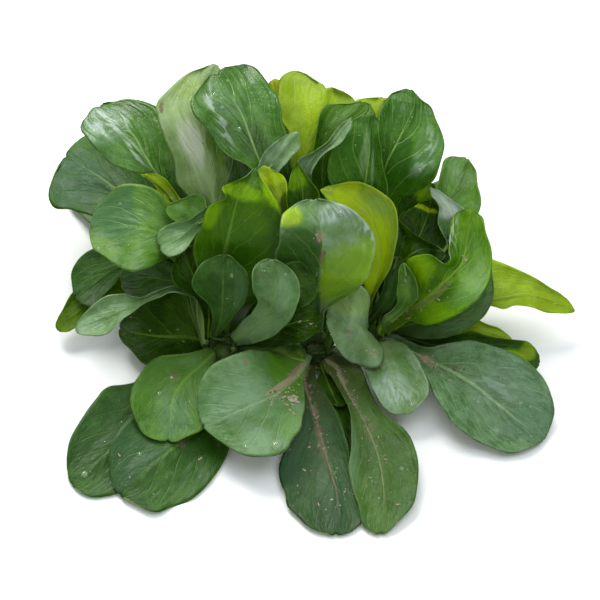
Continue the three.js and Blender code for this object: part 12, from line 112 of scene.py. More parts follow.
("left_shoot_leaf_21", "H5", "deep", -1, 1.0, 395, [-2266,-1693,836,-2281,-1692,867,-2294,-1691,899,-2308,-1691,931,-2324,-1690,961,-2342,-1686,987,-2362,-1679,1006,-2386,-1667,1017,-2414,-1649,1017,-2505,-1894,969,-2499,-1873,976,-2495,-1857,987,-2490,-1844,1000,-2487,-1835,1014,-2513,-1824,1027,-2542,-1814,1037,-2572,-1804,1045,-2605,-1796,1050,-2693,-2066,1077,-2693,-2020,1044,-2691,-1987,1024,-2690,-1966,1015,-2688,-1955,1016,-2701,-1933,1023,-2715,-1920,1037,-2730,-1918,1060,-2745,-1925,1092,-2852,-2304,1280,-2852,-2240,1223,-2851,-2195,1184,-2849,-2167,1163,-2845,-2158,1159,-2839,-2121,1162,-2832,-2101,1183,-2823,-2100,1221,-2813,-2117,1278,-3114,-2474,1544,-3077,-2391,1467,-3038,-2333,1414,-2997,-2299,1385,-2954,-2291,1380,-2914,-2252,1383,-2871,-2237,1411,-2826,-2248,1462,-2780,-2284,1538,-3089,-2434,1844,-3047,-2359,1747,-3001,-2316,1680,-2954,-2304,1644,-2903,-2324,1639,-2859,-2318,1642,-2813,-2344,1675,-2764,-2402,1740,-2713,-2491,1834,-3033,-2496,2122,-2988,-2400,2006,-2941,-2343,1927,-2890,-2325,1885,-2836,-2344,1880,-2773,-2338,1883,-2708,-2369,1922,-2639,-2439,1999,-2569,-2547,2112,-2965,-2519,2356,-2927,-2399,2222,-2885,-2326,2131,-2839,-2298,2085,-2790,-2315,2082,-2699,-2304,2083,-2606,-2339,2128,-2509,-2419,2216,-2410,-2545,2349,-2974,-2478,2568,-2923,-2354,2425,-2869,-2278,2327,-2810,-2250,2274,-2748,-2268,2266,-2625,-2258,2274,-2498,-2294,2327,-2369,-2379,2426,-2238,-2510,2569,-3048,-2438,2779,-2970,-2313,2630,-2888,-2236,2526,-2802,-2206,2467,-2712,-2224,2454,-2558,-2212,2470,-2400,-2247,2531,-2240,-2330,2638,-2078,-2461,2789,-3165,-2405,2988,-3052,-2278,2835,-2935,-2199,2727,-2813,-2169,2665,-2688,-2186,2647,-2509,-2172,2669,-2326,-2207,2737,-2142,-2289,2850,-1956,-2419,3007,-3324,-2391,3186,-3168,-2257,3031,-3007,-2172,2920,-2842,-2135,2855,-2672,-2147,2835,-2478,-2131,2861,-2281,-2163,2933,-2081,-2244,3049,-1881,-2374,3210,-3473,-2360,3366,-3278,-2222,3210,-3077,-2133,3099,-2872,-2093,3033,-2662,-2101,3012,-2458,-2084,3040,-2252,-2115,3112,-2043,-2195,3229,-1834,-2324,3391,-3589,-2320,3532,-3363,-2179,3377,-3132,-2087,3266,-2895,-2044,3200,-2654,-2051,3179,-2444,-2029,3206,-2232,-2055,3277,-2017,-2132,3393,-1801,-2257,3555,-3627,-2249,3682,-3391,-2112,3528,-3148,-2024,3419,-2900,-1986,3355,-2648,-1997,3335,-2437,-1967,3359,-2223,-1987,3428,-2007,-2056,3542,-1790,-2175,3701,-3610,-2154,3814,-3377,-2026,3664,-3138,-1948,3558,-2894,-1920,3497,-2646,-1940,3481,-2440,-1905,3500,-2232,-1919,3565,-2021,-1983,3674,-1809,-2097,3828,-3540,-2043,3927,-3324,-1927,3782,-3102,-1862,3681,-2876,-1846,3626,-2645,-1881,3615,-2449,-1842,3628,-2251,-1852,3686,-2050,-1913,3789,-1847,-2024,3937,-3451,-1923,4021,-3257,-1822,3883,-3056,-1771,3790,-2851,-1770,3742,-2643,-1820,3739,-2462,-1776,3744,-2278,-1782,3794,-2092,-1838,3889,-1904,-1945,4029,-3353,-1800,4094,-3181,-1714,3968,-3004,-1678,3887,-2823,-1694,3851,-2637,-1759,3860,-2478,-1707,3852,-2316,-1705,3890,-2150,-1753,3973,-1983,-1852,4100,-3235,-1679,4141,-3088,-1617,4049,-2938,-1599,3991,-2785,-1627,3967,-2629,-1698,3978,-2495,-1642,3968,-2359,-1630,3993,-2220,-1662,4053,-2080,-1740,4146,-3087,-1561,4153,-2974,-1512,4102,-2857,-1508,4074,-2739,-1550,4070,-2619,-1638,4090,-2513,-1559,4071,-2405,-1525,4075,-2296,-1537,4104,-2185,-1594,4156,-2911,-1504,4194,-2837,-1459,4174,-2762,-1457,4168,-2686,-1497,4176,-2610,-1579,4198,-2537,-1495,4176,-2464,-1454,4169,-2390,-1455,4175,-2315,-1498,4195,-2711,-1512,4261,-2684,-1482,4265,-2656,-1474,4273,-2629,-1488,4285,-2601,-1522,4303,-2575,-1485,4285,-2550,-1469,4273,-2524,-1475,4265,-2498,-1502,4261]),
("left_shoot_leaf_22", "H7a", "shade", -1, 1.0, 402, [-2379,-1756,1092,-2364,-1784,1090,-2348,-1809,1084,-2331,-1832,1074,-2313,-1852,1061,-2295,-1872,1047,-2277,-1890,1032,-2258,-1909,1017,-2240,-1928,1002,-2270,-1714,1267,-2248,-1752,1249,-2224,-1792,1230,-2199,-1834,1210,-2172,-1878,1192,-2129,-1912,1171,-2086,-1955,1158,-2044,-2008,1158,-2003,-2070,1168,-2168,-1756,1468,-2139,-1782,1429,-2109,-1820,1401,-2077,-1869,1383,-2045,-1930,1377,-1997,-1977,1364,-1948,-2038,1364,-1899,-2110,1376,-1850,-2195,1400,-2069,-1830,1711,-2035,-1842,1652,-2000,-1873,1612,-1964,-1923,1589,-1927,-1991,1585,-1873,-2041,1567,-1819,-2110,1567,-1764,-2197,1584,-1708,-2303,1620,-1967,-1896,1947,-1929,-1893,1869,-1890,-1915,1815,-1849,-1963,1785,-1808,-2035,1779,-1749,-2088,1755,-1689,-2165,1755,-1629,-2267,1779,-1568,-2394,1828,-1862,-1952,2180,-1820,-1934,2081,-1778,-1947,2012,-1733,-1993,1974,-1687,-2071,1967,-1624,-2126,1936,-1560,-2213,1935,-1494,-2332,1965,-1427,-2481,2026,-1751,-2000,2418,-1707,-1968,2296,-1662,-1975,2212,-1614,-2022,2164,-1565,-2108,2154,-1497,-2165,2115,-1428,-2262,2113,-1358,-2396,2148,-1286,-2569,2220,-1637,-2039,2666,-1591,-1995,2519,-1543,-1998,2415,-1494,-2048,2356,-1442,-2144,2339,-1370,-2201,2290,-1296,-2305,2285,-1221,-2454,2323,-1145,-2647,2405,-1522,-2062,2928,-1474,-2019,2759,-1424,-2024,2636,-1373,-2077,2557,-1319,-2179,2524,-1242,-2243,2471,-1163,-2355,2463,-1083,-2514,2500,-1002,-2719,2582,-1402,-2069,3199,-1353,-2035,3010,-1303,-2049,2866,-1250,-2112,2768,-1196,-2223,2714,-1114,-2297,2658,-1031,-2418,2647,-948,-2585,2681,-864,-2799,2760,-1281,-2089,3467,-1231,-2063,3260,-1180,-2087,3099,-1127,-2161,2983,-1072,-2282,2911,-987,-2365,2852,-902,-2495,2837,-815,-2672,2868,-729,-2896,2943,-1162,-2128,3714,-1110,-2109,3495,-1057,-2140,3321,-1003,-2221,3192,-947,-2350,3108,-858,-2441,3045,-769,-2579,3027,-679,-2764,3053,-589,-2996,3125,-1037,-2153,3934,-986,-2144,3709,-933,-2186,3528,-879,-2278,3392,-824,-2419,3302,-731,-2517,3234,-637,-2662,3212,-542,-2854,3234,-448,-3092,3301,-899,-2177,4157,-852,-2184,3927,-804,-2243,3742,-755,-2351,3602,-705,-2508,3507,-609,-2612,3434,-513,-2764,3406,-417,-2963,3423,-322,-3209,3485,-737,-2169,4340,-700,-2197,4109,-663,-2275,3923,-625,-2404,3782,-586,-2582,3686,-496,-2694,3607,-406,-2855,3574,-316,-3062,3585,-226,-3316,3642,-549,-2124,4439,-529,-2168,4211,-509,-2263,4028,-488,-2408,3890,-466,-2602,3797,-387,-2723,3713,-308,-2892,3675,-229,-3108,3682,-151,-3370,3734,-361,-2045,4451,-357,-2101,4230,-354,-2209,4054,-349,-2367,3924,-345,-2574,3838,-278,-2700,3752,-210,-2874,3711,-143,-3096,3714,-76,-3364,3763,-183,-1976,4408,-194,-2040,4199,-204,-2155,4036,-214,-2320,3917,-224,-2533,3843,-165,-2660,3756,-107,-2834,3714,-49,-3056,3717,9,-3324,3765,-32,-1980,4327,-50,-2036,4138,-67,-2143,3994,-85,-2299,3895,-103,-2504,3841,-49,-2622,3756,5,-2789,3715,59,-3002,3720,111,-3263,3770,84,-2012,4208,73,-2073,4065,59,-2174,3956,41,-2312,3881,18,-2488,3841,73,-2604,3776,123,-2757,3745,169,-2947,3749,211,-3172,3786,189,-1964,4017,195,-2048,3935,187,-2161,3876,168,-2300,3841,136,-2466,3830,196,-2570,3788,243,-2701,3770,278,-2857,3776,300,-3040,3806,287,-2003,3888,306,-2087,3849,306,-2188,3824,287,-2305,3813,249,-2439,3817,306,-2516,3794,343,-2609,3786,362,-2720,3792,362,-2846,3811,352,-2223,3819,372,-2260,3809,380,-2303,3803,376,-2353,3802,359,-2410,3805,379,-2441,3799,386,-2478,3797,381,-2521,3800,364,-2571,3808]),
("left_shoot_leaf_23", "H6", "blue", -1, 1.0, 409, [-2216,-2056,966,-2226,-2085,963,-2236,-2115,960,-2246,-2144,956,-2256,-2173,953,-2266,-2202,949,-2275,-2231,946,-2285,-2260,942,-2295,-2290,939,-2475,-1995,1170,-2444,-2034,1149,-2414,-2078,1133,-2383,-2128,1123,-2352,-2183,1117,-2248,-2232,1111,-2144,-2283,1107,-2040,-2339,1108,-1936,-2402,1117,-2313,-1959,1390,-2293,-2006,1348,-2272,-2064,1317,-2250,-2132,1295,-2227,-2210,1283,-2129,-2284,1268,-2031,-2369,1265,-1933,-2467,1276,-1835,-2579,1300,-2202,-2006,1613,-2172,-2046,1545,-2140,-2104,1495,-2107,-2179,1463,-2073,-2273,1447,-1992,-2366,1430,-1910,-2478,1432,-1827,-2608,1451,-1743,-2755,1489,-2095,-2071,1840,-2054,-2097,1749,-2012,-2148,1682,-1969,-2224,1639,-1925,-2324,1620,-1860,-2439,1599,-1794,-2578,1602,-1728,-2740,1629,-1661,-2927,1681,-1979,-2139,2068,-1931,-2150,1954,-1882,-2192,1872,-1830,-2267,1819,-1777,-2373,1798,-1704,-2497,1773,-1630,-2652,1778,-1555,-2838,1815,-1479,-3054,1882,-1871,-2252,2309,-1814,-2240,2175,-1755,-2267,2078,-1694,-2332,2018,-1631,-2437,1996,-1543,-2562,1968,-1455,-2726,1978,-1365,-2926,2024,-1274,-3164,2108,-1770,-2394,2565,-1704,-2355,2414,-1635,-2362,2306,-1565,-2415,2242,-1492,-2513,2221,-1382,-2633,2194,-1271,-2797,2210,-1159,-3005,2270,-1047,-3257,2374,-1672,-2533,2829,-1598,-2476,2671,-1522,-2466,2557,-1445,-2505,2488,-1365,-2590,2465,-1233,-2713,2450,-1100,-2883,2480,-966,-3098,2555,-833,-3358,2674,-1567,-2663,3094,-1490,-2592,2933,-1411,-2570,2816,-1331,-2595,2744,-1248,-2668,2718,-1093,-2793,2718,-938,-2965,2763,-783,-3183,2853,-629,-3446,2988,-1497,-2782,3377,-1412,-2704,3214,-1324,-2675,3096,-1235,-2694,3023,-1144,-2761,2995,-969,-2880,3008,-794,-3045,3066,-620,-3257,3169,-447,-3514,3317,-1516,-2865,3647,-1405,-2785,3483,-1291,-2753,3365,-1175,-2771,3291,-1058,-2836,3262,-868,-2937,3283,-678,-3085,3350,-488,-3281,3461,-301,-3523,3617,-1565,-2909,3862,-1426,-2820,3698,-1284,-2780,3579,-1140,-2788,3504,-994,-2845,3475,-793,-2924,3498,-592,-3051,3566,-392,-3225,3679,-193,-3447,3837,-1606,-2909,4021,-1446,-2806,3856,-1284,-2753,3737,-1119,-2748,3662,-952,-2792,3633,-745,-2845,3654,-537,-2946,3719,-331,-3095,3830,-126,-3293,3986,-1647,-2896,4150,-1471,-2777,3986,-1292,-2707,3867,-1111,-2686,3794,-928,-2715,3765,-725,-2737,3780,-522,-2809,3841,-320,-2929,3947,-119,-3098,4097,-1683,-2874,4269,-1496,-2742,4108,-1305,-2659,3992,-1112,-2626,3921,-917,-2641,3895,-728,-2634,3904,-537,-2676,3957,-348,-2767,4056,-159,-2907,4200,-1705,-2821,4373,-1514,-2684,4217,-1318,-2596,4106,-1121,-2558,4040,-921,-2570,4019,-749,-2536,4020,-577,-2552,4066,-404,-2618,4157,-233,-2733,4292,-1717,-2726,4456,-1526,-2595,4308,-1331,-2513,4205,-1134,-2482,4147,-935,-2500,4134,-782,-2448,4127,-629,-2445,4165,-475,-2492,4248,-321,-2589,4376,-1710,-2595,4517,-1525,-2479,4382,-1337,-2414,4292,-1147,-2399,4247,-955,-2433,4247,-821,-2366,4230,-686,-2348,4257,-550,-2381,4329,-414,-2464,4446,-1660,-2436,4551,-1493,-2353,4452,-1324,-2314,4388,-1152,-2320,4357,-978,-2370,4361,-865,-2298,4344,-750,-2271,4362,-633,-2288,4413,-516,-2349,4499,-1564,-2255,4548,-1429,-2200,4493,-1290,-2191,4462,-1147,-2228,4455,-1001,-2310,4471,-914,-2223,4449,-824,-2182,4450,-730,-2186,4475,-634,-2236,4523,-1406,-2135,4579,-1317,-2099,4558,-1223,-2106,4551,-1125,-2157,4557,-1022,-2251,4578,-966,-2168,4555,-905,-2127,4547,-840,-2130,4552,-772,-2177,4571,-1163,-2138,4641,-1136,-2120,4644,-1106,-2123,4652,-1074,-2148,4664,-1040,-2194,4681,-1018,-2158,4664,-994,-2144,4652,-968,-2151,4644,-939,-2181,4640]),
]

# soft patches of another colour on a leaf: leaf -> (along, across, reach along, reach across, colour, amount, half).
# Many are painted light: dark greens on H8 and H14 are painted shade, bright yellow-greens on H8, H9, H16 and A7 are
# painted backlit glow, lighter greens on H1, H6, H10, L6 and L11 are painted light on parts in shade, and pale
# grey-greens with a negative amount are painted sheen; browns and beiges are real spots, dirt and midribs
PATCHES = {
# H8: the dark greens on the left half are painted shade, the yellow-greens on the right half and at the upper-left
# corner are painted backlit glow, the negative ones are painted sheen; the two browns are real spots
"H8": [(0.462, 0.250, 0.427, 0.425, (0.0194, 0.0844, 0.0000), 0.95, -1), (0.424, 0.833, 0.209, 0.463, (0.2462, 0.4564, 0.0030), 0.90, 1), (0.265, 1.000, 0.075, 0.410, (0.1274, 0.2874, 0.0212), 0.70, 1), (0.833, 0.875, 0.089, 0.589, (0.2462, 0.3712, 0.2542), 0.90, 0), (0.848, 0.250, 0.114, 0.340, (0.1170, 0.2623, 0.0452), 0.70, -1), (0.841, 0.104, 0.093, 0.196, (0.3813, 0.5647, 0.0030), 0.80, -1), (0.606, 0.312, 0.102, 0.163, (0.0194, 0.0844, 0.0000), 0.60, -1), (0.833, 0.875, 0.083, 0.501, (0.6172, 0.7157, 0.6584), -0.50, 0), (0.652, 0.938, 0.124, 0.085, (0.6172, 0.7157, 0.6584), -0.50, 0), (0.689, 0.458, 0.051, 0.044, (0.2623, 0.1946, 0.1070), 0.80, 0), (0.545, 0.500, 0.073, 0.030, (0.1620, 0.1119, 0.0545), 0.70, 0), (0.500, 0.729, 0.080, 0.263, (0.1384, 0.3050, 0.0160), 0.50, 1)],
# H13: the negative one is painted sheen; the brown one along the midrib is real dirt
"H13": [(0.424, 0.146, 0.105, 0.213, (0.2874, 0.5395, 0.0000), 0.90, 0), (0.303, 0.000, 0.077, 0.317, (0.2232, 0.4564, 0.0000), 0.60, 0), (0.348, 0.812, 0.063, 0.528, (0.1878, 0.3916, 0.0030), 0.70, 0), (0.568, 0.833, 0.156, 0.212, (0.1620, 0.2961, 0.1384), 0.35, 0), (0.667, 0.792, 0.085, 0.278, (0.0887, 0.2307, 0.0012), 0.70, 0), (0.818, 0.083, 0.142, 0.153, (0.6172, 0.7157, 0.6584), -0.70, 0), (0.447, 0.542, 0.070, 0.184, (0.0343, 0.1170, 0.0018), 0.70, 0), (0.379, 0.562, 0.173, 0.048, (0.3050, 0.2623, 0.1274), 0.50, 0)],
# H1: the large mid-green over the lower blade is painted light on a shaded part
"H1": [(0.803, 0.396, 0.072, 0.488, (0.2384, 0.4678, 0.0024), 0.80, 0), (0.788, 0.062, 0.045, 0.212, (0.3419, 0.5647, 0.0052), 0.90, 0), (0.856, 1.000, 0.117, 0.204, (0.2623, 0.4910, 0.0000), 0.90, 0), (0.598, 0.104, 0.092, 0.176, (0.2016, 0.4125, 0.0000), 0.85, 0), (0.402, 0.604, 0.256, 0.395, (0.0395, 0.1384, 0.0012), 0.70, 0), (0.629, 0.729, 0.082, 0.184, (0.0887, 0.2159, 0.0070), 0.50, 0), (0.250, 0.104, 0.122, 0.176, (0.0232, 0.0802, 0.0012), 0.50, 0)],
# H9: the bright yellow-greens are the leaf's yellow-green with painted backlit glow
"H9": [(0.826, 0.625, 0.078, 0.529, (0.5149, 0.6724, 0.0070), 0.70, 0), (0.629, 0.771, 0.094, 0.176, (0.2307, 0.4020, 0.0762), 0.55, 0), (0.477, 0.917, 0.129, 0.099, (0.2307, 0.4020, 0.0545), 0.50, 0), (0.424, 0.312, 0.289, 0.582, (0.4793, 0.6867, 0.0000), 0.95, 0), (0.780, 0.438, 0.119, 0.272, (0.4910, 0.6584, 0.0070), 0.60, 0)],
"H2": [(0.864, 0.125, 0.088, 0.207, (0.4342, 0.6172, 0.0000), 0.90, 0), (0.909, 0.646, 0.056, 0.541, (0.4342, 0.6172, 0.0000), 0.85, 0), (0.720, 0.854, 0.099, 0.300, (0.0130, 0.0452, 0.0012), 0.85, 0)],
"L10": [(0.227, 0.479, 0.137, 0.427, (0.0648, 0.1878, 0.0037), 0.80, 0), (0.182, 0.229, 0.072, 0.372, (0.0887, 0.2384, 0.0070), 0.60, 0), (0.629, 0.375, 0.260, 0.209, (0.1946, 0.3325, 0.2016), 0.35, 0), (0.455, 0.104, 0.020, 0.030, (0.2623, 0.1384, 0.1221), 0.70, 0), (0.386, 0.875, 0.081, 0.163, (0.1170, 0.2623, 0.0319), 0.50, 0), (0.629, 0.833, 0.097, 0.190, (0.1812, 0.3231, 0.1746), 0.40, 0), (0.288, 0.458, 0.169, 0.030, (0.3813, 0.2961, 0.1946), 0.80, 0), (0.159, 0.438, 0.069, 0.050, (0.2623, 0.1812, 0.1170), 0.80, 0)],
"L8": [(0.538, 0.688, 0.171, 0.477, (0.0212, 0.0844, 0.0006), 0.90, 1), (0.856, 0.312, 0.251, 0.504, (0.0319, 0.0931, 0.0273), 0.75, -1), (0.606, 0.500, 0.020, 0.073, (0.1559, 0.0976, 0.0802), 0.60, 0)],
"L7": [(0.227, 0.688, 0.140, 0.865, (0.0802, 0.2159, 0.0319), 0.40, 0), (0.705, 0.521, 0.129, 0.054, (0.3050, 0.4851, 0.1559), 0.50, 0), (0.417, 0.354, 0.024, 0.047, (0.1559, 0.0976, 0.0802), 0.60, 0), (0.576, 0.167, 0.147, 0.157, (0.0762, 0.2016, 0.0160), 0.50, 0), (0.773, 0.562, 0.246, 0.297, (0.1070, 0.2232, 0.1070), 0.65, 0)],
# L6: the lighter green one is painted light on a shaded part; the brown one is a real spot
"L6": [(0.106, 0.521, 0.046, 0.267, (0.1559, 0.0976, 0.0802), 0.50, 0), (0.417, 0.229, 0.186, 0.404, (0.1070, 0.2384, 0.0194), 0.80, 0), (0.682, 0.438, 0.266, 0.305, (0.0273, 0.0931, 0.0012), 0.60, 0)],
"F1": [(0.364, 0.479, 0.227, 0.061, (0.1500, 0.0976, 0.0612), 0.40, 0), (0.447, 0.104, 0.207, 0.207, (0.0423, 0.1022, 0.0482), 0.60, 0), (0.765, 0.562, 0.170, 0.201, (0.0395, 0.0887, 0.0395), 0.50, 0)],
"F2": [(0.500, 0.000, 0.232, 0.173, (0.1221, 0.2159, 0.1022), 0.50, 0), (0.629, 0.542, 0.155, 0.171, (0.0612, 0.1384, 0.0212), 0.50, 0)],
# H12: the negative one is painted sheen; the pinkish brown one is the real midrib near the foot
"H12": [(0.273, 0.542, 0.060, 0.191, (0.3515, 0.2542, 0.1746), 0.75, 0), (0.614, 0.417, 0.147, 0.190, (0.6172, 0.7157, 0.6584), -0.18, 0), (0.871, 0.438, 0.118, 0.373, (0.0931, 0.2016, 0.1022), 0.50, 0), (0.417, 0.500, 0.120, 0.161, (0.0723, 0.1620, 0.0452), 0.40, 0), (0.644, 0.208, 0.134, 0.169, (0.1384, 0.2623, 0.1500), 0.40, 0)],
# H11: the negative ones and the pale grey-green one are painted sheen
"H11": [(0.591, 0.271, 0.147, 0.360, (0.6172, 0.7157, 0.6584), -0.25, 0), (0.773, 0.479, 0.163, 0.448, (0.6172, 0.7157, 0.6584), -0.25, 0), (0.386, 0.229, 0.168, 0.130, (0.0762, 0.1946, 0.0160), 0.70, 0), (0.432, 0.729, 0.181, 0.146, (0.0723, 0.1878, 0.0176), 0.70, 0), (0.636, 0.333, 0.222, 0.405, (0.3050, 0.4452, 0.3140), 0.65, 0)],
# H10: the pale yellow-green one is painted light on a shaded part; the beiges are real debris
"H10": [(0.614, 0.167, 0.296, 0.271, (0.3419, 0.5029, 0.1620), 0.65, 0), (0.439, 0.167, 0.159, 0.151, (0.1384, 0.2542, 0.0452), 0.40, 0), (0.023, 0.125, 0.095, 1.150, (0.4678, 0.4233, 0.2874), 0.75, 0), (0.356, 0.833, 0.048, 0.073, (0.4851, 0.4564, 0.3050), 0.40, 0), (0.553, 0.812, 0.238, 0.154, (0.1559, 0.2705, 0.1022), 0.50, 0), (0.341, 0.750, 0.155, 0.155, (0.1274, 0.2384, 0.0482), 0.50, 0)],
# A5: the negative ones are painted sheen
"A5": [(0.879, 0.250, 0.123, 0.101, (0.6172, 0.7157, 0.6584), -0.55, 0), (0.886, 0.396, 0.104, 0.204, (0.1812, 0.3325, 0.1384), 0.40, 0), (0.803, 0.854, 0.111, 0.198, (0.0482, 0.1683, 0.0103), 0.70, 0), (0.689, 0.562, 0.083, 0.167, (0.0232, 0.0802, 0.0012), 0.75, 0), (0.727, 0.167, 0.081, 0.079, (0.6172, 0.7157, 0.6584), -0.30, 0), (0.909, 0.625, 0.082, 0.237, (0.0723, 0.1946, 0.0212), 0.50, 0)],
# A2: the negative ones are painted sheen
"A2": [(0.902, 0.375, 0.103, 0.300, (0.6172, 0.7157, 0.6584), -0.50, 0), (0.735, 0.375, 0.088, 0.125, (0.6172, 0.7157, 0.6584), -0.55, 0), (0.902, 0.292, 0.109, 0.367, (0.1620, 0.3050, 0.1500), 0.60, 0), (0.727, 0.667, 0.093, 0.196, (0.0612, 0.1878, 0.0070), 0.85, 0), (0.765, 0.917, 0.068, 0.133, (0.0762, 0.2016, 0.0160), 0.60, 0)],
"A1": [(0.864, 0.375, 0.175, 0.335, (0.0252, 0.0976, 0.0296), 0.85, 0), (0.674, 0.271, 0.078, 0.178, (0.0423, 0.1500, 0.0044), 0.50, 0), (0.765, 0.646, 0.077, 0.094, (0.0252, 0.0931, 0.0012), 0.50, 0)],
# A4: the near-white one and the negative one are painted sheen; the small brown one is a real spot
"A4": [(0.659, 0.333, 0.118, 0.172, (0.8388, 0.8714, 0.6105), 0.80, 0), (0.644, 0.333, 0.118, 0.185, (0.6172, 0.7157, 0.6584), -0.60, 0), (0.765, 0.062, 0.020, 0.030, (0.1878, 0.1070, 0.0482), 0.90, 0), (0.538, 0.417, 0.071, 0.149, (0.3515, 0.4793, 0.2232), 0.60, 0), (0.561, 0.833, 0.109, 0.174, (0.0130, 0.0545, 0.0012), 0.90, 0), (0.659, 0.625, 0.123, 0.066, (0.1746, 0.3613, 0.0212), 0.80, 0), (0.856, 0.333, 0.056, 0.336, (0.3419, 0.4910, 0.1170), 0.70, 0), (0.765, 0.271, 0.055, 0.205, (0.4125, 0.5647, 0.2232), 0.60, 0)],
# A10: the negative one is painted sheen
"A10": [(0.727, 0.833, 0.134, 0.140, (0.6172, 0.7157, 0.6584), -0.30, 0), (0.727, 0.833, 0.134, 0.168, (0.1500, 0.2961, 0.1070), 0.50, 0), (0.652, 0.562, 0.140, 0.155, (0.0252, 0.1170, 0.0000), 0.90, 0), (0.886, 0.292, 0.108, 0.278, (0.0252, 0.1119, 0.0000), 0.90, 0), (0.947, 0.333, 0.021, 0.335, (0.1384, 0.2705, 0.0612), 0.50, 0)],
"A3": [(0.833, 0.354, 0.173, 0.447, (0.0887, 0.2016, 0.0802), 0.80, 0), (0.705, 0.188, 0.026, 0.297, (0.1559, 0.3140, 0.0296), 0.40, 0), (0.553, 0.125, 0.102, 0.210, (0.0612, 0.1812, 0.0130), 0.60, 0)],
"A6": [(0.947, 0.854, 0.053, 2.169, (0.4125, 0.4125, 0.0070), 0.50, 0)],
# A7: the yellow-greens are painted backlit glow
"A7": [(0.886, 0.500, 0.094, 0.283, (0.4342, 0.6172, 0.0000), 0.50, 0), (0.970, 1.000, 0.045, 0.475, (0.2307, 0.3050, 0.0000), 0.40, 0), (0.667, 0.333, 0.113, 0.180, (0.2016, 0.3515, 0.0030), 0.40, 0)],
"A11": [(0.705, 0.646, 0.102, 0.053, (0.3515, 0.5149, 0.2623), 0.45, 0), (0.788, 0.188, 0.099, 0.254, (0.0319, 0.1384, 0.0018), 0.80, 0), (0.795, 0.438, 0.139, 0.065, (0.3050, 0.4793, 0.1878), 0.40, 0)],
"H17": [(0.871, 0.562, 0.061, 0.396, (0.1812, 0.2874, 0.1170), 0.50, 0)],
"H19": [(0.568, 0.604, 0.098, 0.129, (0.1070, 0.1070, 0.0070), 0.35, 0), (0.811, 0.583, 0.098, 0.377, (0.1812, 0.2232, 0.0000), 0.30, 0)],
"H5": [(0.583, 0.833, 0.244, 0.127, (0.1022, 0.2159, 0.0887), 0.30, 0), (0.583, 0.312, 0.182, 0.181, (0.0176, 0.0648, 0.0000), 0.70, 0), (0.848, 0.833, 0.150, 0.309, (0.0513, 0.1384, 0.0212), 0.50, 0)],
# H6: the pale green over the lower part is painted light on a shaded part; the small brown one is a real spot
"H6": [(0.682, 0.000, 0.206, 0.164, (0.0319, 0.1022, 0.0018), 0.50, 0), (0.659, 0.688, 0.236, 0.185, (0.1746, 0.3050, 0.1500), 0.50, 0), (0.265, 0.354, 0.238, 0.543, (0.2086, 0.3613, 0.1384), 0.75, 0), (0.803, 0.167, 0.020, 0.037, (0.1878, 0.1070, 0.0482), 0.80, 0)],
# H16b: the whitish ones are painted sheen
"H16b": [(0.818, 0.896, 0.102, 0.992, (0.5520, 0.6445, 0.5271), 0.85, 0), (0.924, 0.792, 0.105, 0.998, (0.4564, 0.5647, 0.4342), 0.80, 0)],
# H14: painted shade where H13 shades it
"H14": [(0.606, 1.000, 0.185, 0.462, (0.0513, 0.1384, 0.0319), 0.50, 0)],
"H15": [(0.682, 0.000, 0.047, 0.185, (0.1878, 0.3916, 0.0000), 0.40, 0)],
# H16: the yellow-green along the top rim is painted backlit glow
"H16": [(0.902, 0.083, 0.027, 0.889, (0.4342, 0.6172, 0.0000), 0.90, 0)],
"H18": [(0.902, 0.458, 0.088, 0.428, (0.1878, 0.3916, 0.0000), 0.95, 0)],
"H21": [(0.803, 0.521, 0.117, 0.292, (0.1878, 0.3916, 0.0000), 0.90, 0), (0.886, 0.188, 0.067, 0.325, (0.2016, 0.3050, 0.0000), 0.80, 0)],
# L11: the lighter greens are painted light on a leaf in shade
"L11": [(0.856, 0.542, 0.152, 0.424, (0.1559, 0.3515, 0.0030), 0.80, 0), (0.492, 0.458, 0.300, 0.286, (0.2307, 0.3916, 0.0648), 0.85, 0)],
"A14": [(0.886, 0.250, 0.091, 0.723, (0.1878, 0.3916, 0.0000), 0.85, 0), (0.735, 0.583, 0.113, 0.222, (0.0232, 0.0802, 0.0012), 0.70, 0)],
"H3": [(0.886, 0.521, 0.112, 0.385, (0.1683, 0.2874, 0.1221), 0.50, 0)],
}
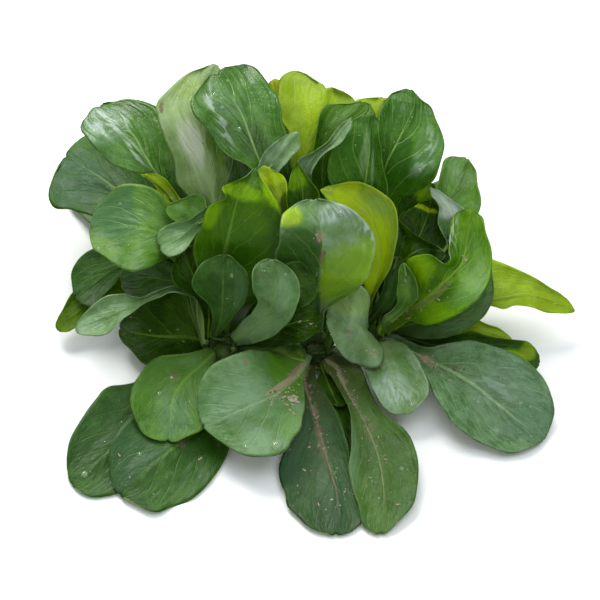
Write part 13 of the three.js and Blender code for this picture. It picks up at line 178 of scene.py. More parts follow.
# water drops: leaf, along, across, radius in mm
DROPS = [
("L10", 0.508, 0.917, 2.00),
("L10", 0.705, 0.896, 0.80),
("L10", 0.841, 0.875, 0.60),
("L9", 0.894, 0.542, 1.10),
("H12", 0.727, 0.771, 1.50),
("H12", 0.576, 0.625, 1.00),
("H12", 0.750, 0.354, 0.80),
("H11", 0.848, 0.771, 1.20),
("H11", 0.326, 0.333, 0.80),
("A5", 0.902, 0.333, 1.00),
("A5", 0.939, 0.583, 0.80),
("A5", 0.742, 0.396, 0.90),
("A5", 0.848, 0.333, 0.70),
("H8", 0.803, 0.812, 0.90),
("H8", 0.727, 0.875, 0.70),
("F2", 0.629, 0.771, 0.90),
("L7", 0.576, 0.333, 0.80),
("A10", 0.773, 0.833, 0.80),
("A10", 0.636, 0.833, 0.70),
("H5", 0.742, 0.688, 0.70),
("A3", 0.795, 0.229, 0.70),
("L8", 0.773, 0.333, 0.80),
("H6", 0.795, 0.792, 0.80),
("A3", 0.909, 0.896, 0.70),
("A5", 0.556, 0.222, 0.27),
("A5", 0.520, 0.197, 0.27),
("A5", 0.863, 0.710, 0.35),
("A5", 0.550, 0.526, 0.24),
("A5", 0.528, 0.224, 0.23),
("A2", 0.867, 0.730, 0.36),
("A2", 0.810, 0.285, 0.25),
("A2", 0.732, 0.662, 0.37),
("A2", 0.846, 0.211, 0.31),
("A2", 0.752, 0.504, 0.22),
("A10", 0.663, 0.213, 0.39),
("A10", 0.839, 0.533, 0.25),
("A10", 0.859, 0.551, 0.37),
("A10", 0.832, 0.506, 0.27),
("A10", 0.720, 0.452, 0.22),
("H12", 0.587, 0.719, 0.19),
("H12", 0.471, 0.588, 0.24),
("H12", 0.691, 0.480, 0.26),
("H12", 0.899, 0.287, 0.27),
("H12", 0.541, 0.593, 0.24),
("L10", 0.610, 0.673, 0.25),
("L10", 0.701, 0.783, 0.20),
("L10", 0.478, 0.310, 0.35),
("L10", 0.727, 0.316, 0.25),
("L10", 0.530, 0.471, 0.19),
("H11", 0.764, 0.777, 0.39),
("H11", 0.781, 0.822, 0.18),
("H11", 0.580, 0.826, 0.35),
("H11", 0.635, 0.810, 0.32),
("H11", 0.818, 0.355, 0.22),
("H8", 0.650, 0.246, 0.26),
("H8", 0.883, 0.382, 0.18),
("H8", 0.470, 0.269, 0.35),
("H8", 0.613, 0.353, 0.20),
("H8", 0.892, 0.447, 0.23),
("F2", 0.477, 0.189, 0.22),
("F2", 0.755, 0.255, 0.19),
("F2", 0.671, 0.324, 0.40),
("F2", 0.505, 0.520, 0.35),
("F2", 0.634, 0.841, 0.29),
("L7", 0.559, 0.437, 0.19),
("L7", 0.640, 0.324, 0.38),
("L7", 0.824, 0.499, 0.19),
("L7", 0.564, 0.320, 0.23),
("L7", 0.554, 0.759, 0.21),
("L8", 0.473, 0.800, 0.30),
("L8", 0.896, 0.432, 0.38),
("L8", 0.744, 0.704, 0.34),
("L8", 0.672, 0.215, 0.23),
("L8", 0.843, 0.780, 0.38),
("A3", 0.601, 0.610, 0.36),
("A3", 0.739, 0.720, 0.30),
("A3", 0.745, 0.630, 0.24),
("A3", 0.865, 0.819, 0.20),
("A3", 0.887, 0.823, 0.33),
("H5", 0.470, 0.779, 0.21),
("H5", 0.886, 0.617, 0.19),
("H5", 0.525, 0.595, 0.31),
("H5", 0.786, 0.799, 0.23),
("H5", 0.451, 0.796, 0.18),
("H6", 0.844, 0.231, 0.36),
("H6", 0.802, 0.765, 0.30),
("H6", 0.845, 0.291, 0.33),
("H6", 0.599, 0.774, 0.35),
("H6", 0.662, 0.518, 0.19),
("A1", 0.465, 0.566, 0.29),
("A1", 0.839, 0.576, 0.21),
("A1", 0.613, 0.687, 0.30),
("A1", 0.455, 0.736, 0.36),
("A1", 0.488, 0.530, 0.26),
("H13", 0.804, 0.368, 0.23),
("H13", 0.669, 0.826, 0.20),
("H13", 0.502, 0.585, 0.37),
("H13", 0.681, 0.454, 0.37),
("H13", 0.799, 0.197, 0.37),
("L9", 0.538, 0.362, 0.36),
("L9", 0.640, 0.709, 0.22),
("L9", 0.843, 0.273, 0.21),
("L9", 0.672, 0.387, 0.30),
("L9", 0.857, 0.647, 0.18),
("H3", 0.590, 0.531, 0.29),
("H3", 0.772, 0.489, 0.20),
("H3", 0.560, 0.743, 0.26),
("H3", 0.795, 0.840, 0.32),
("H3", 0.755, 0.577, 0.25),
("L5", 0.861, 0.477, 0.38),
("L5", 0.588, 0.757, 0.35),
("L5", 0.726, 0.459, 0.21),
("L5", 0.797, 0.404, 0.33),
("L5", 0.510, 0.208, 0.21),
("A11", 0.814, 0.274, 0.38),
("A11", 0.617, 0.553, 0.26),
("A11", 0.729, 0.215, 0.27),
("A11", 0.871, 0.276, 0.32),
("A11", 0.597, 0.360, 0.19),
("A4", 0.459, 0.815, 0.36),
("A4", 0.810, 0.715, 0.39),
("A4", 0.521, 0.559, 0.29),
("A4", 0.708, 0.807, 0.35),
("A4", 0.886, 0.232, 0.32),
("F1", 0.754, 0.672, 0.32),
("F1", 0.824, 0.362, 0.38),
("F1", 0.633, 0.569, 0.38),
("F1", 0.767, 0.367, 0.23),
("F1", 0.597, 0.589, 0.40),
("H19", 0.855, 0.430, 0.27),
("H19", 0.818, 0.349, 0.27),
("H19", 0.456, 0.279, 0.30),
("H19", 0.762, 0.580, 0.26),
("H19", 0.878, 0.586, 0.21),
]
# grains: leaf, along, across, radius in mm, kind
GRAINS = [
("F1", 0.545, 0.250, 0.43, "chaff"),
("F1", 0.614, 0.146, 0.37, "chaff"),
("F1", 0.765, 0.438, 0.43, "chaff"),
("F1", 0.780, 0.292, 0.37, "chaff"),
("F1", 0.705, 0.708, 0.37, "chaff"),
("F1", 0.439, 0.333, 0.37, "chaff"),
("F2", 0.652, 0.312, 0.37, "chaff"),
("F2", 0.576, 0.583, 0.37, "chaff"),
("F2", 0.811, 0.771, 0.43, "chaff"),
("F2", 0.447, 0.292, 0.31, "chaff"),
("L8", 0.568, 0.750, 0.62, "chaff"),
("L8", 0.614, 0.458, 0.50, "chaff"),
("L8", 0.833, 0.146, 0.37, "chaff"),
("H13", 0.409, 0.458, 0.43, "chaff"),
("H13", 0.659, 0.562, 0.43, "chaff"),
("H13", 0.409, 0.646, 0.43, "chaff"),
("H13", 0.235, 0.833, 0.50, "chaff"),
("H10", 0.000, 0.104, 0.56, "chaff"),
("H10", 0.083, 0.896, 0.43, "chaff"),
("H10", 0.356, 0.812, 0.50, "chaff"),
("L10", 0.318, 0.688, 0.90, "chaff"),
("L10", 0.288, 0.708, 0.80, "chaff"),
("L10", 0.356, 0.667, 0.70, "chaff"),
("L10", 0.295, 0.792, 0.70, "chaff"),
("L10", 0.348, 0.583, 0.60, "chaff"),
("L10", 0.432, 0.562, 0.60, "chaff"),
("L10", 0.356, 0.750, 0.50, "chaff"),
("L10", 0.348, 0.833, 0.50, "chaff"),
("L10", 0.220, 0.688, 0.43, "chaff"),
("L10", 0.348, 0.500, 0.43, "chaff"),
("L10", 0.439, 0.500, 0.37, "chaff"),
("H12", 0.273, 0.625, 0.50, "chaff"),
("H12", 0.326, 0.562, 0.50, "chaff"),
("H12", 0.205, 0.521, 0.43, "chaff"),
("H12", 0.591, 0.292, 0.37, "chaff"),
("H12", 0.409, 0.625, 0.37, "chaff"),
("H7b", 0.720, 0.500, 0.56, "chaff"),
("H7b", 0.833, 0.604, 0.43, "chaff"),
("H14", 0.735, 0.417, 0.37, "chaff"),
("L6", 0.682, 0.438, 0.37, "chaff"),
("L7", 0.447, 0.354, 0.50, "chaff"),
("A2b", 0.795, 0.208, 0.37, "chaff"),
("L10", 0.288, 0.833, 0.57, "chaff"),
("L10", 0.288, 0.750, 0.20, "chaff"),
("L10", 0.303, 0.750, 0.18, "chaff"),
("L10", 0.273, 0.792, 0.41, "chaff"),
("L10", 0.303, 0.750, 0.20, "chaff"),
("L10", 0.295, 0.750, 0.42, "chaff"),
("L10", 0.303, 0.688, 0.55, "chaff"),
("L10", 0.318, 0.729, 0.17, "chaff"),
("L10", 0.303, 0.729, 0.20, "chaff"),
("L10", 0.303, 0.729, 0.57, "chaff"),
("L10", 0.326, 0.750, 0.37, "chaff"),
("L10", 0.295, 0.688, 0.54, "chaff"),
("L10", 0.280, 0.750, 0.29, "chaff"),
("L10", 0.303, 0.667, 0.29, "chaff"),
("L10", 0.311, 0.708, 0.46, "chaff"),
("L10", 0.311, 0.708, 0.17, "chaff"),
("L10", 0.295, 0.729, 0.22, "chaff"),
("L10", 0.295, 0.667, 0.21, "chaff"),
("L10", 0.318, 0.708, 0.16, "chaff"),
("L10", 0.303, 0.729, 0.55, "chaff"),
("L10", 0.303, 0.750, 0.46, "chaff"),
("L10", 0.295, 0.729, 0.29, "chaff"),
("L10", 0.326, 0.667, 0.17, "chaff"),
("L10", 0.258, 0.729, 0.37, "chaff"),
("L10", 0.273, 0.792, 0.22, "chaff"),
("L10", 0.280, 0.729, 0.30, "chaff"),
("L10", 0.318, 0.562, 0.31, "chaff"),
("L10", 0.371, 0.521, 0.31, "chaff"),
("L10", 0.333, 0.458, 0.21, "chaff"),
("L10", 0.371, 0.562, 0.22, "chaff"),
("L10", 0.394, 0.542, 0.21, "chaff"),
("L10", 0.394, 0.521, 0.30, "chaff"),
("L10", 0.250, 0.479, 0.22, "chaff"),
("L10", 0.311, 0.396, 0.18, "chaff"),
("L10", 0.303, 0.500, 0.12, "chaff"),
("L10", 0.311, 0.417, 0.19, "chaff"),
("L10", 0.341, 0.438, 0.13, "chaff"),
("L10", 0.303, 0.583, 0.31, "chaff"),
("L10", 0.326, 0.438, 0.34, "chaff"),
("L10", 0.288, 0.438, 0.12, "chaff"),
("L10", 0.280, 0.438, 0.21, "chaff"),
("L10", 0.288, 0.562, 0.12, "chaff"),
("L10", 0.356, 0.562, 0.14, "sand"),
("L10", 0.280, 0.604, 0.25, "sand"),
("L10", 0.364, 0.604, 0.19, "sand"),
("L10", 0.311, 0.646, 0.30, "sand"),
("L10", 0.295, 0.479, 0.14, "sand"),
("L10", 0.326, 0.458, 0.21, "sand"),
("L10", 0.356, 0.562, 0.12, "sand"),
("L10", 0.258, 0.604, 0.13, "sand"),
("L10", 0.318, 0.521, 0.19, "sand"),
("L10", 0.311, 0.562, 0.19, "sand"),
("L10", 0.364, 0.625, 0.12, "sand"),
("L10", 0.356, 0.604, 0.28, "sand"),
("L10", 0.326, 0.708, 0.12, "sand"),
("L10", 0.318, 0.604, 0.12, "sand"),
("L10", 0.394, 0.521, 0.20, "soil"),
("L10", 0.341, 0.417, 0.12, "soil"),
("L10", 0.409, 0.458, 0.31, "soil"),
("L10", 0.379, 0.458, 0.26, "soil"),
("L10", 0.356, 0.542, 0.14, "soil"),
("L10", 0.402, 0.375, 0.28, "soil"),
("L10", 0.348, 0.500, 0.13, "soil"),
("L10", 0.371, 0.417, 0.23, "soil"),
("L10", 0.379, 0.458, 0.12, "soil"),
("L10", 0.402, 0.458, 0.30, "soil"),
("H10", 0.583, 0.542, 0.42, "chaff"),
("H10", 0.545, 0.583, 0.40, "chaff"),
("H10", 0.053, 0.458, 0.27, "chaff"),
("H10", 0.591, 0.500, 0.12, "chaff"),
("H10", 0.545, 0.562, 0.19, "chaff"),
("H10", 0.598, 0.562, 0.16, "chaff"),
("H10", 0.561, 0.500, 0.30, "chaff"),
("H10", 0.538, 0.562, 0.13, "chaff"),
("H10", 0.553, 0.604, 0.13, "chaff"),
("H10", 0.576, 0.542, 0.16, "chaff"),
("H10", 0.583, 0.479, 0.13, "chaff"),
("H10", 0.606, 0.646, 0.13, "chaff"),
("H10", 0.000, 0.167, 0.33, "chaff"),
("H10", 0.568, 0.479, 0.20, "chaff"),
("H10", 0.000, 0.208, 0.28, "chaff"),
("H10", 0.568, 0.562, 0.16, "chaff"),
("H10", 0.583, 0.562, 0.18, "chaff"),
("H10", 0.371, 0.833, 0.29, "chaff"),
("H10", 0.364, 0.792, 0.12, "chaff"),
("H10", 0.386, 0.854, 0.34, "chaff"),
("H10", 0.417, 0.812, 0.19, "chaff"),
("H10", 0.371, 0.854, 0.22, "chaff"),
("H10", 0.386, 0.792, 0.12, "chaff"),
("H10", 0.402, 0.833, 0.13, "chaff"),
("H10", 0.364, 0.833, 0.14, "chaff"),
("H10", 0.386, 0.833, 0.23, "chaff"),
("H10", 0.371, 0.854, 0.24, "chaff"),
("H10", 0.409, 0.792, 0.36, "chaff"),
("H10", 0.379, 0.833, 0.20, "chaff"),
("H10", 0.455, 0.604, 0.20, "sand"),
("H10", 0.409, 0.667, 0.10, "sand"),
("H10", 0.227, 0.521, 0.23, "sand"),
("H10", 0.386, 0.688, 0.15, "sand"),
("H10", 0.333, 0.646, 0.20, "sand"),
("H10", 0.333, 0.688, 0.18, "sand"),
("H10", 0.083, 0.646, 0.11, "sand"),
("H10", 0.364, 0.625, 0.20, "sand"),
("H10", 0.409, 0.667, 0.11, "sand"),
("H10", 0.432, 0.500, 0.20, "sand"),
("H10", 0.432, 0.667, 0.10, "sand"),
("H10", 0.500, 0.604, 0.19, "sand"),
("H10", 0.576, 0.292, 0.10, "sand"),
("H10", 0.811, 0.250, 0.11, "sand"),
("H10", 0.561, 0.125, 0.17, "sand"),
("H10", 0.591, 0.396, 0.19, "sand"),
("H10", 0.636, 0.250, 0.10, "sand"),
("H10", 0.667, 0.333, 0.12, "sand"),
("H10", 0.561, 0.292, 0.14, "sand"),
("H10", 0.705, 0.167, 0.13, "sand"),
("H10", 0.659, 0.229, 0.12, "sand"),
("H10", 0.629, 0.271, 0.16, "sand"),
("H13", 0.652, 0.562, 0.14, "chaff"),
("H13", 0.659, 0.542, 0.21, "chaff"),
("H13", 0.652, 0.625, 0.13, "chaff"),
("H13", 0.674, 0.542, 0.16, "chaff"),
("H13", 0.652, 0.562, 0.25, "chaff"),
("H13", 0.659, 0.521, 0.13, "chaff"),
("H13", 0.659, 0.542, 0.17, "chaff"),
("H13", 0.667, 0.521, 0.20, "chaff"),
("H13", 0.659, 0.542, 0.33, "chaff"),
("H13", 0.674, 0.521, 0.33, "chaff"),
("H13", 0.477, 0.500, 0.12, "chaff"),
("H13", 0.477, 0.542, 0.12, "chaff"),
("H13", 0.485, 0.583, 0.11, "chaff"),
("H13", 0.462, 0.542, 0.12, "chaff"),
("H13", 0.538, 0.521, 0.12, "chaff"),
("H13", 0.508, 0.521, 0.10, "chaff"),
("H13", 0.500, 0.542, 0.10, "chaff"),
("H13", 0.500, 0.521, 0.17, "chaff"),
("H13", 0.492, 0.500, 0.11, "chaff"),
("H13", 0.515, 0.562, 0.11, "chaff"),
("H13", 0.462, 0.500, 0.11, "chaff"),
("H13", 0.500, 0.625, 0.10, "chaff"),
("H13", 0.326, 0.521, 0.31, "chaff"),
("H13", 0.288, 0.479, 0.17, "chaff"),
("H13", 0.348, 0.542, 0.13, "chaff"),
("H13", 0.326, 0.521, 0.13, "chaff"),
("H13", 0.348, 0.396, 0.15, "chaff"),
("H13", 0.356, 0.542, 0.21, "chaff"),
("H13", 0.318, 0.521, 0.13, "chaff"),
("H13", 0.326, 0.542, 0.12, "chaff"),
("H13", 0.333, 0.604, 0.21, "chaff"),
("H13", 0.356, 0.354, 0.12, "chaff"),
("H13", 0.326, 0.083, 0.13, "chaff"),
("H13", 0.341, 0.521, 0.28, "chaff"),
("H13", 0.394, 0.479, 0.24, "chaff"),
("H13", 0.333, 0.354, 0.21, "chaff"),
("H13", 0.364, 0.500, 0.18, "chaff"),
("H13", 0.348, 0.521, 0.12, "chaff"),
("H13", 0.356, 0.646, 0.18, "chaff"),
("H13", 0.326, 0.375, 0.11, "chaff"),
("H13", 0.167, 0.396, 0.15, "chaff"),
("H13", 0.182, 0.604, 0.28, "chaff"),
("H13", 0.212, 0.146, 0.17, "chaff"),
("H13", 0.220, 0.479, 0.12, "chaff"),
("H13", 0.189, 0.688, 0.24, "chaff"),
("H13", 0.189, 0.292, 0.34, "chaff"),
("H13", 0.227, 0.229, 0.34, "chaff"),
("H13", 0.242, 0.625, 0.15, "chaff"),
("H13", 0.174, 0.354, 0.26, "chaff"),
("H13", 0.242, 0.583, 0.22, "chaff"),
("H13", 0.189, 0.875, 0.13, "chaff"),
("H13", 0.205, 0.479, 0.12, "chaff"),
("H13", 0.250, 0.667, 0.14, "chaff"),
("H13", 0.227, 0.896, 0.26, "chaff"),
("H13", 0.197, 0.458, 0.12, "chaff"),
("H13", 0.220, 0.812, 0.24, "chaff"),
("H13", 0.265, 0.312, 0.21, "soil"),
("H13", 0.295, 0.688, 0.11, "soil"),
("H13", 0.288, 0.604, 0.21, "soil"),
("H13", 0.273, 0.583, 0.14, "soil"),
("H13", 0.235, 0.688, 0.16, "soil"),
("H13", 0.273, 0.500, 0.11, "soil"),
("H13", 0.288, 0.771, 0.12, "soil"),
("H13", 0.265, 0.667, 0.14, "soil"),
("H13", 0.265, 0.562, 0.22, "soil"),
("H12", 0.250, 0.312, 0.25, "chaff"),
("H12", 0.242, 0.833, 0.35, "chaff"),
("H12", 0.280, 0.562, 0.13, "chaff"),
("H12", 0.235, 0.854, 0.19, "chaff"),
("H12", 0.273, 0.417, 0.21, "chaff"),
("H12", 0.273, 0.750, 0.14, "chaff"),
("H12", 0.288, 0.500, 0.21, "chaff"),
("H12", 0.273, 0.438, 0.35, "chaff"),
("H12", 0.273, 0.479, 0.28, "chaff"),
("H12", 0.295, 0.333, 0.25, "chaff"),
("H12", 0.258, 0.750, 0.23, "chaff"),
("H12", 0.258, 0.542, 0.33, "chaff"),
("H12", 0.265, 0.562, 0.15, "chaff"),
("H12", 0.288, 0.562, 0.12, "chaff"),
("H12", 0.258, 0.604, 0.30, "chaff"),
("H12", 0.265, 0.458, 0.30, "chaff"),
("H12", 0.258, 0.562, 0.34, "chaff"),
("H12", 0.288, 0.500, 0.22, "chaff"),
("H12", 0.341, 0.625, 0.23, "soil"),
("H12", 0.318, 0.708, 0.11, "soil"),
("H12", 0.356, 0.500, 0.10, "soil"),
("H12", 0.326, 0.521, 0.10, "soil"),
("H12", 0.341, 0.646, 0.14, "soil"),
("H12", 0.318, 0.604, 0.11, "soil"),
("H12", 0.318, 0.667, 0.21, "soil"),
("H12", 0.318, 0.625, 0.24, "soil"),
("H12", 0.318, 0.500, 0.21, "soil"),
("H12", 0.318, 0.625, 0.10, "soil"),
("H8", 0.705, 0.438, 0.34, "chaff"),
("H8", 0.697, 0.500, 0.18, "chaff"),
("H8", 0.682, 0.479, 0.16, "chaff"),
("H8", 0.689, 0.438, 0.22, "chaff"),
("H8", 0.667, 0.479, 0.13, "chaff"),
("H8", 0.674, 0.458, 0.15, "chaff"),
("H8", 0.697, 0.458, 0.13, "chaff"),
("H8", 0.674, 0.438, 0.14, "chaff"),
("H8", 0.659, 0.458, 0.25, "chaff"),
("H8", 0.674, 0.500, 0.12, "chaff"),
("H8", 0.689, 0.479, 0.30, "chaff"),
("H8", 0.682, 0.500, 0.14, "chaff"),
("H8", 0.712, 0.479, 0.12, "chaff"),
("H8", 0.674, 0.500, 0.17, "chaff"),
("H8", 0.667, 0.458, 0.16, "chaff"),
("H8", 0.689, 0.438, 0.12, "chaff"),
("H8", 0.674, 0.396, 0.28, "chaff"),
("H8", 0.727, 0.458, 0.17, "chaff"),
("H8", 0.530, 0.458, 0.10, "soil"),
("H8", 0.561, 0.479, 0.18, "soil"),
("H8", 0.553, 0.438, 0.10, "soil"),
("H8", 0.576, 0.458, 0.10, "soil"),
("H8", 0.568, 0.479, 0.22, "soil"),
("H8", 0.553, 0.479, 0.13, "soil"),
("H8", 0.545, 0.417, 0.28, "soil"),
("H8", 0.553, 0.500, 0.13, "soil"),
("H8", 0.583, 0.500, 0.16, "soil"),
("H8", 0.568, 0.521, 0.26, "soil"),
("H8", 0.432, 0.458, 0.19, "chaff"),
("H8", 0.462, 0.458, 0.10, "chaff"),
("H8", 0.424, 0.500, 0.11, "chaff"),
("H8", 0.417, 0.458, 0.16, "chaff"),
("H8", 0.409, 0.438, 0.10, "chaff"),
("H8", 0.424, 0.458, 0.23, "chaff"),
("H8", 0.379, 0.458, 0.10, "chaff"),
("H8", 0.394, 0.417, 0.15, "chaff"),
("L6", 0.121, 0.771, 0.13, "soil"),
("L6", 0.098, 0.167, 0.14, "soil"),
("L6", 0.114, 0.708, 0.23, "soil"),
("L6", 0.106, 0.229, 0.14, "soil"),
("L6", 0.174, 0.625, 0.34, "soil"),
("L6", 0.098, 0.667, 0.27, "soil"),
("L6", 0.053, 0.083, 0.22, "soil"),
("L6", 0.068, 0.521, 0.22, "soil"),
("L8", 0.583, 0.542, 0.16, "soil"),
("L8", 0.621, 0.500, 0.18, "soil"),
("L8", 0.606, 0.479, 0.29, "soil"),
("L8", 0.583, 0.500, 0.25, "soil"),
("L8", 0.598, 0.500, 0.32, "soil"),
("L8", 0.606, 0.521, 0.18, "soil"),
("L8", 0.606, 0.521, 0.20, "soil"),
("L8", 0.598, 0.542, 0.15, "soil"),
("L8", 0.598, 0.521, 0.18, "soil"),
("L8", 0.606, 0.500, 0.15, "soil"),
("L8", 0.614, 0.521, 0.19, "soil"),
("L8", 0.606, 0.479, 0.16, "soil"),
("F1", 0.114, 0.500, 0.10, "chaff"),
("F1", 0.114, 0.542, 0.25, "chaff"),
("F1", 0.136, 0.625, 0.12, "chaff"),
("F1", 0.106, 0.458, 0.19, "chaff"),
("F1", 0.106, 0.271, 0.11, "chaff"),
("F1", 0.129, 0.667, 0.18, "chaff"),
("F1", 0.129, 0.583, 0.11, "chaff"),
("F1", 0.121, 0.521, 0.23, "chaff"),
("F1", 0.144, 0.625, 0.27, "chaff"),
("F1", 0.098, 0.521, 0.24, "chaff"),
("F1", 0.121, 0.583, 0.15, "chaff"),
("F1", 0.136, 0.542, 0.21, "chaff"),
("F1", 0.114, 0.583, 0.11, "chaff"),
("F1", 0.136, 0.688, 0.24, "chaff"),
("F1", 0.129, 0.604, 0.10, "chaff"),
("F1", 0.371, 0.500, 0.18, "soil"),
("F1", 0.364, 0.500, 0.22, "soil"),
("F1", 0.379, 0.417, 0.15, "soil"),
("F1", 0.394, 0.521, 0.16, "soil"),
("F1", 0.371, 0.562, 0.33, "soil"),
("F1", 0.364, 0.479, 0.10, "soil"),
("F1", 0.371, 0.562, 0.26, "soil"),
("F1", 0.356, 0.521, 0.22, "soil"),
("F1", 0.364, 0.479, 0.17, "soil"),
("F1", 0.364, 0.562, 0.25, "soil"),
("F1", 0.379, 0.521, 0.16, "soil"),
("F1", 0.348, 0.375, 0.16, "soil"),
("F1", 0.356, 0.417, 0.21, "soil"),
("F1", 0.356, 0.438, 0.12, "soil"),
("F1", 0.356, 0.521, 0.23, "soil"),
("F1", 0.409, 0.438, 0.11, "soil"),
("F1", 0.371, 0.438, 0.29, "soil"),
("F1", 0.356, 0.479, 0.11, "soil"),
("F1", 0.561, 0.521, 0.10, "chaff"),
("F1", 0.606, 0.562, 0.16, "chaff"),
("F1", 0.576, 0.500, 0.13, "chaff"),
("F1", 0.606, 0.521, 0.11, "chaff"),
("F1", 0.606, 0.479, 0.10, "chaff"),
("F1", 0.576, 0.500, 0.11, "chaff"),
("F1", 0.568, 0.500, 0.11, "chaff"),
("F1", 0.561, 0.542, 0.19, "chaff"),
("F2", 0.098, 0.708, 0.12, "soil"),
("F2", 0.114, 0.396, 0.14, "soil"),
("F2", 0.106, 0.604, 0.32, "soil"),
("F2", 0.129, 0.583, 0.21, "soil"),
("F2", 0.098, 0.583, 0.31, "soil"),
("F2", 0.129, 0.500, 0.13, "soil"),
("F2", 0.129, 0.542, 0.24, "soil"),
("F2", 0.129, 0.542, 0.16, "soil"),
("F2", 0.121, 0.625, 0.27, "soil"),
("F2", 0.144, 0.500, 0.12, "soil"),
("F2", 0.136, 0.562, 0.18, "soil"),
("F2", 0.098, 0.396, 0.15, "soil"),
("F2", 0.098, 0.542, 0.20, "soil"),
("F2", 0.098, 0.562, 0.25, "soil"),
("F2", 0.083, 0.750, 0.12, "soil"),
("F2", 0.250, 0.417, 0.11, "chaff"),
("F2", 0.235, 0.083, 0.10, "chaff"),
("F2", 0.227, 0.646, 0.30, "chaff"),
("F2", 0.242, 0.562, 0.21, "chaff"),
("F2", 0.242, 0.458, 0.23, "chaff"),
("F2", 0.265, 0.125, 0.26, "chaff"),
("F2", 0.250, 0.417, 0.24, "chaff"),
("F2", 0.258, 0.521, 0.26, "chaff"),
("F2", 0.265, 0.500, 0.13, "chaff"),
("F2", 0.242, 0.542, 0.12, "chaff"),
("F2", 0.265, 0.562, 0.22, "chaff"),
("F2", 0.227, 0.500, 0.27, "chaff"),
("F2", 0.258, 0.583, 0.18, "chaff"),
("F2", 0.258, 0.667, 0.20, "chaff"),
("H7b", 0.902, 0.604, 0.12, "chaff"),
("H7b", 0.780, 0.667, 0.24, "chaff"),
("H7b", 0.811, 0.479, 0.19, "chaff"),
("H7b", 0.864, 0.583, 0.24, "chaff"),
("H7b", 0.818, 0.604, 0.10, "chaff"),
("H7b", 0.833, 0.583, 0.13, "chaff"),
("H7b", 0.826, 0.604, 0.11, "chaff"),
("H7b", 0.886, 0.729, 0.24, "chaff"),
("H7b", 0.848, 0.729, 0.10, "chaff"),
("H7b", 0.811, 0.500, 0.11, "chaff"),
("L7", 0.386, 0.604, 0.10, "chaff"),
("L7", 0.379, 0.750, 0.10, "chaff"),
("L7", 0.379, 0.562, 0.11, "chaff"),
("L7", 0.379, 0.750, 0.12, "chaff"),
("L7", 0.348, 0.667, 0.14, "chaff"),
("L7", 0.424, 0.542, 0.14, "chaff"),
("L7", 0.371, 0.646, 0.10, "chaff"),
("L7", 0.356, 0.729, 0.15, "chaff"),
("H17", 0.811, 0.688, 0.11, "chaff"),
("H17", 0.841, 0.708, 0.16, "chaff"),
("H17", 0.803, 0.625, 0.10, "chaff"),
("H17", 0.803, 0.875, 0.11, "chaff"),
("H17", 0.803, 0.562, 0.20, "chaff"),
("H17", 0.788, 0.771, 0.20, "chaff"),
("H17", 0.841, 0.604, 0.17, "chaff"),
("H17", 0.879, 0.729, 0.15, "chaff"),
("H17", 0.803, 0.750, 0.18, "chaff"),
("L11", 0.697, 0.333, 0.20, "soil"),
("L11", 0.758, 0.562, 0.13, "soil"),
("L11", 0.697, 0.125, 0.12, "soil"),
("L11", 0.795, 0.500, 0.26, "soil"),
("L11", 0.758, 0.438, 0.12, "soil"),
("L11", 0.629, 0.542, 0.17, "soil"),
("L11", 0.606, 0.667, 0.21, "soil"),
("L11", 0.803, 0.271, 0.30, "soil"),
("H11", 0.379, 0.250, 0.13, "chaff"),
("H11", 0.356, 0.250, 0.22, "chaff"),
("H11", 0.432, 0.312, 0.13, "chaff"),
("H11", 0.439, 0.208, 0.22, "chaff"),
("H11", 0.379, 0.250, 0.16, "chaff"),
("H11", 0.462, 0.271, 0.12, "chaff"),
("A4", 0.621, 0.625, 0.15, "sand"),
("A4", 0.629, 0.479, 0.17, "sand"),
("A4", 0.636, 0.562, 0.15, "sand"),
("A4", 0.629, 0.583, 0.21, "sand"),
("A4", 0.652, 0.688, 0.17, "sand"),
("A4", 0.652, 0.479, 0.24, "sand"),
("A4", 0.629, 0.604, 0.12, "sand"),
("A4", 0.629, 0.583, 0.22, "sand"),
("H1", 0.515, 0.708, 0.12, "sand"),
("H1", 0.606, 0.625, 0.09, "sand"),
("H1", 0.629, 0.854, 0.16, "sand"),
("H1", 0.606, 0.750, 0.08, "sand"),
("H1", 0.470, 0.667, 0.08, "sand"),
("H1", 0.606, 0.542, 0.09, "sand"),
("H1", 0.576, 0.729, 0.08, "sand"),
("H1", 0.636, 0.625, 0.08, "sand"),
("H1", 0.629, 0.625, 0.12, "sand"),
("H1", 0.576, 0.750, 0.15, "sand"),
("H1", 0.697, 0.646, 0.09, "sand"),
("H1", 0.629, 0.646, 0.12, "sand"),
("A11", 0.727, 0.479, 0.10, "sand"),
("A11", 0.735, 0.396, 0.10, "sand"),
("A11", 0.720, 0.521, 0.11, "sand"),
("A11", 0.735, 0.438, 0.17, "sand"),
("A11", 0.727, 0.438, 0.15, "sand"),
("A11", 0.712, 0.500, 0.15, "sand"),
("A11", 0.727, 0.417, 0.09, "sand"),
("A11", 0.689, 0.479, 0.12, "sand"),
("A11", 0.735, 0.438, 0.10, "sand"),
("A11", 0.735, 0.562, 0.15, "sand"),
("F1", 0.296, 0.569, 0.12, "soil"),
("F1", 0.816, 0.474, 0.25, "chaff"),
("F1", 0.532, 0.323, 0.13, "sand"),
("F1", 0.899, 0.887, 0.12, "sand"),
("F1", 0.348, 0.313, 0.20, "sand"),
("F1", 0.399, 0.630, 0.17, "chaff"),
("F1", 0.243, 0.806, 0.29, "soil"),
("F1", 0.144, 0.817, 0.16, "chaff"),
("F1", 0.665, 0.670, 0.13, "chaff"),
("F1", 0.392, 0.709, 0.12, "sand"),
("F1", 0.238, 0.237, 0.12, "chaff"),
("F1", 0.893, 0.467, 0.14, "soil"),
("F1", 0.642, 0.499, 0.13, "sand"),
("F1", 0.294, 0.189, 0.14, "soil"),
("F1", 0.656, 0.539, 0.13, "sand"),
("F1", 0.574, 0.655, 0.25, "sand"),
("F1", 0.437, 0.607, 0.19, "sand"),
("F1", 0.803, 0.546, 0.28, "sand"),
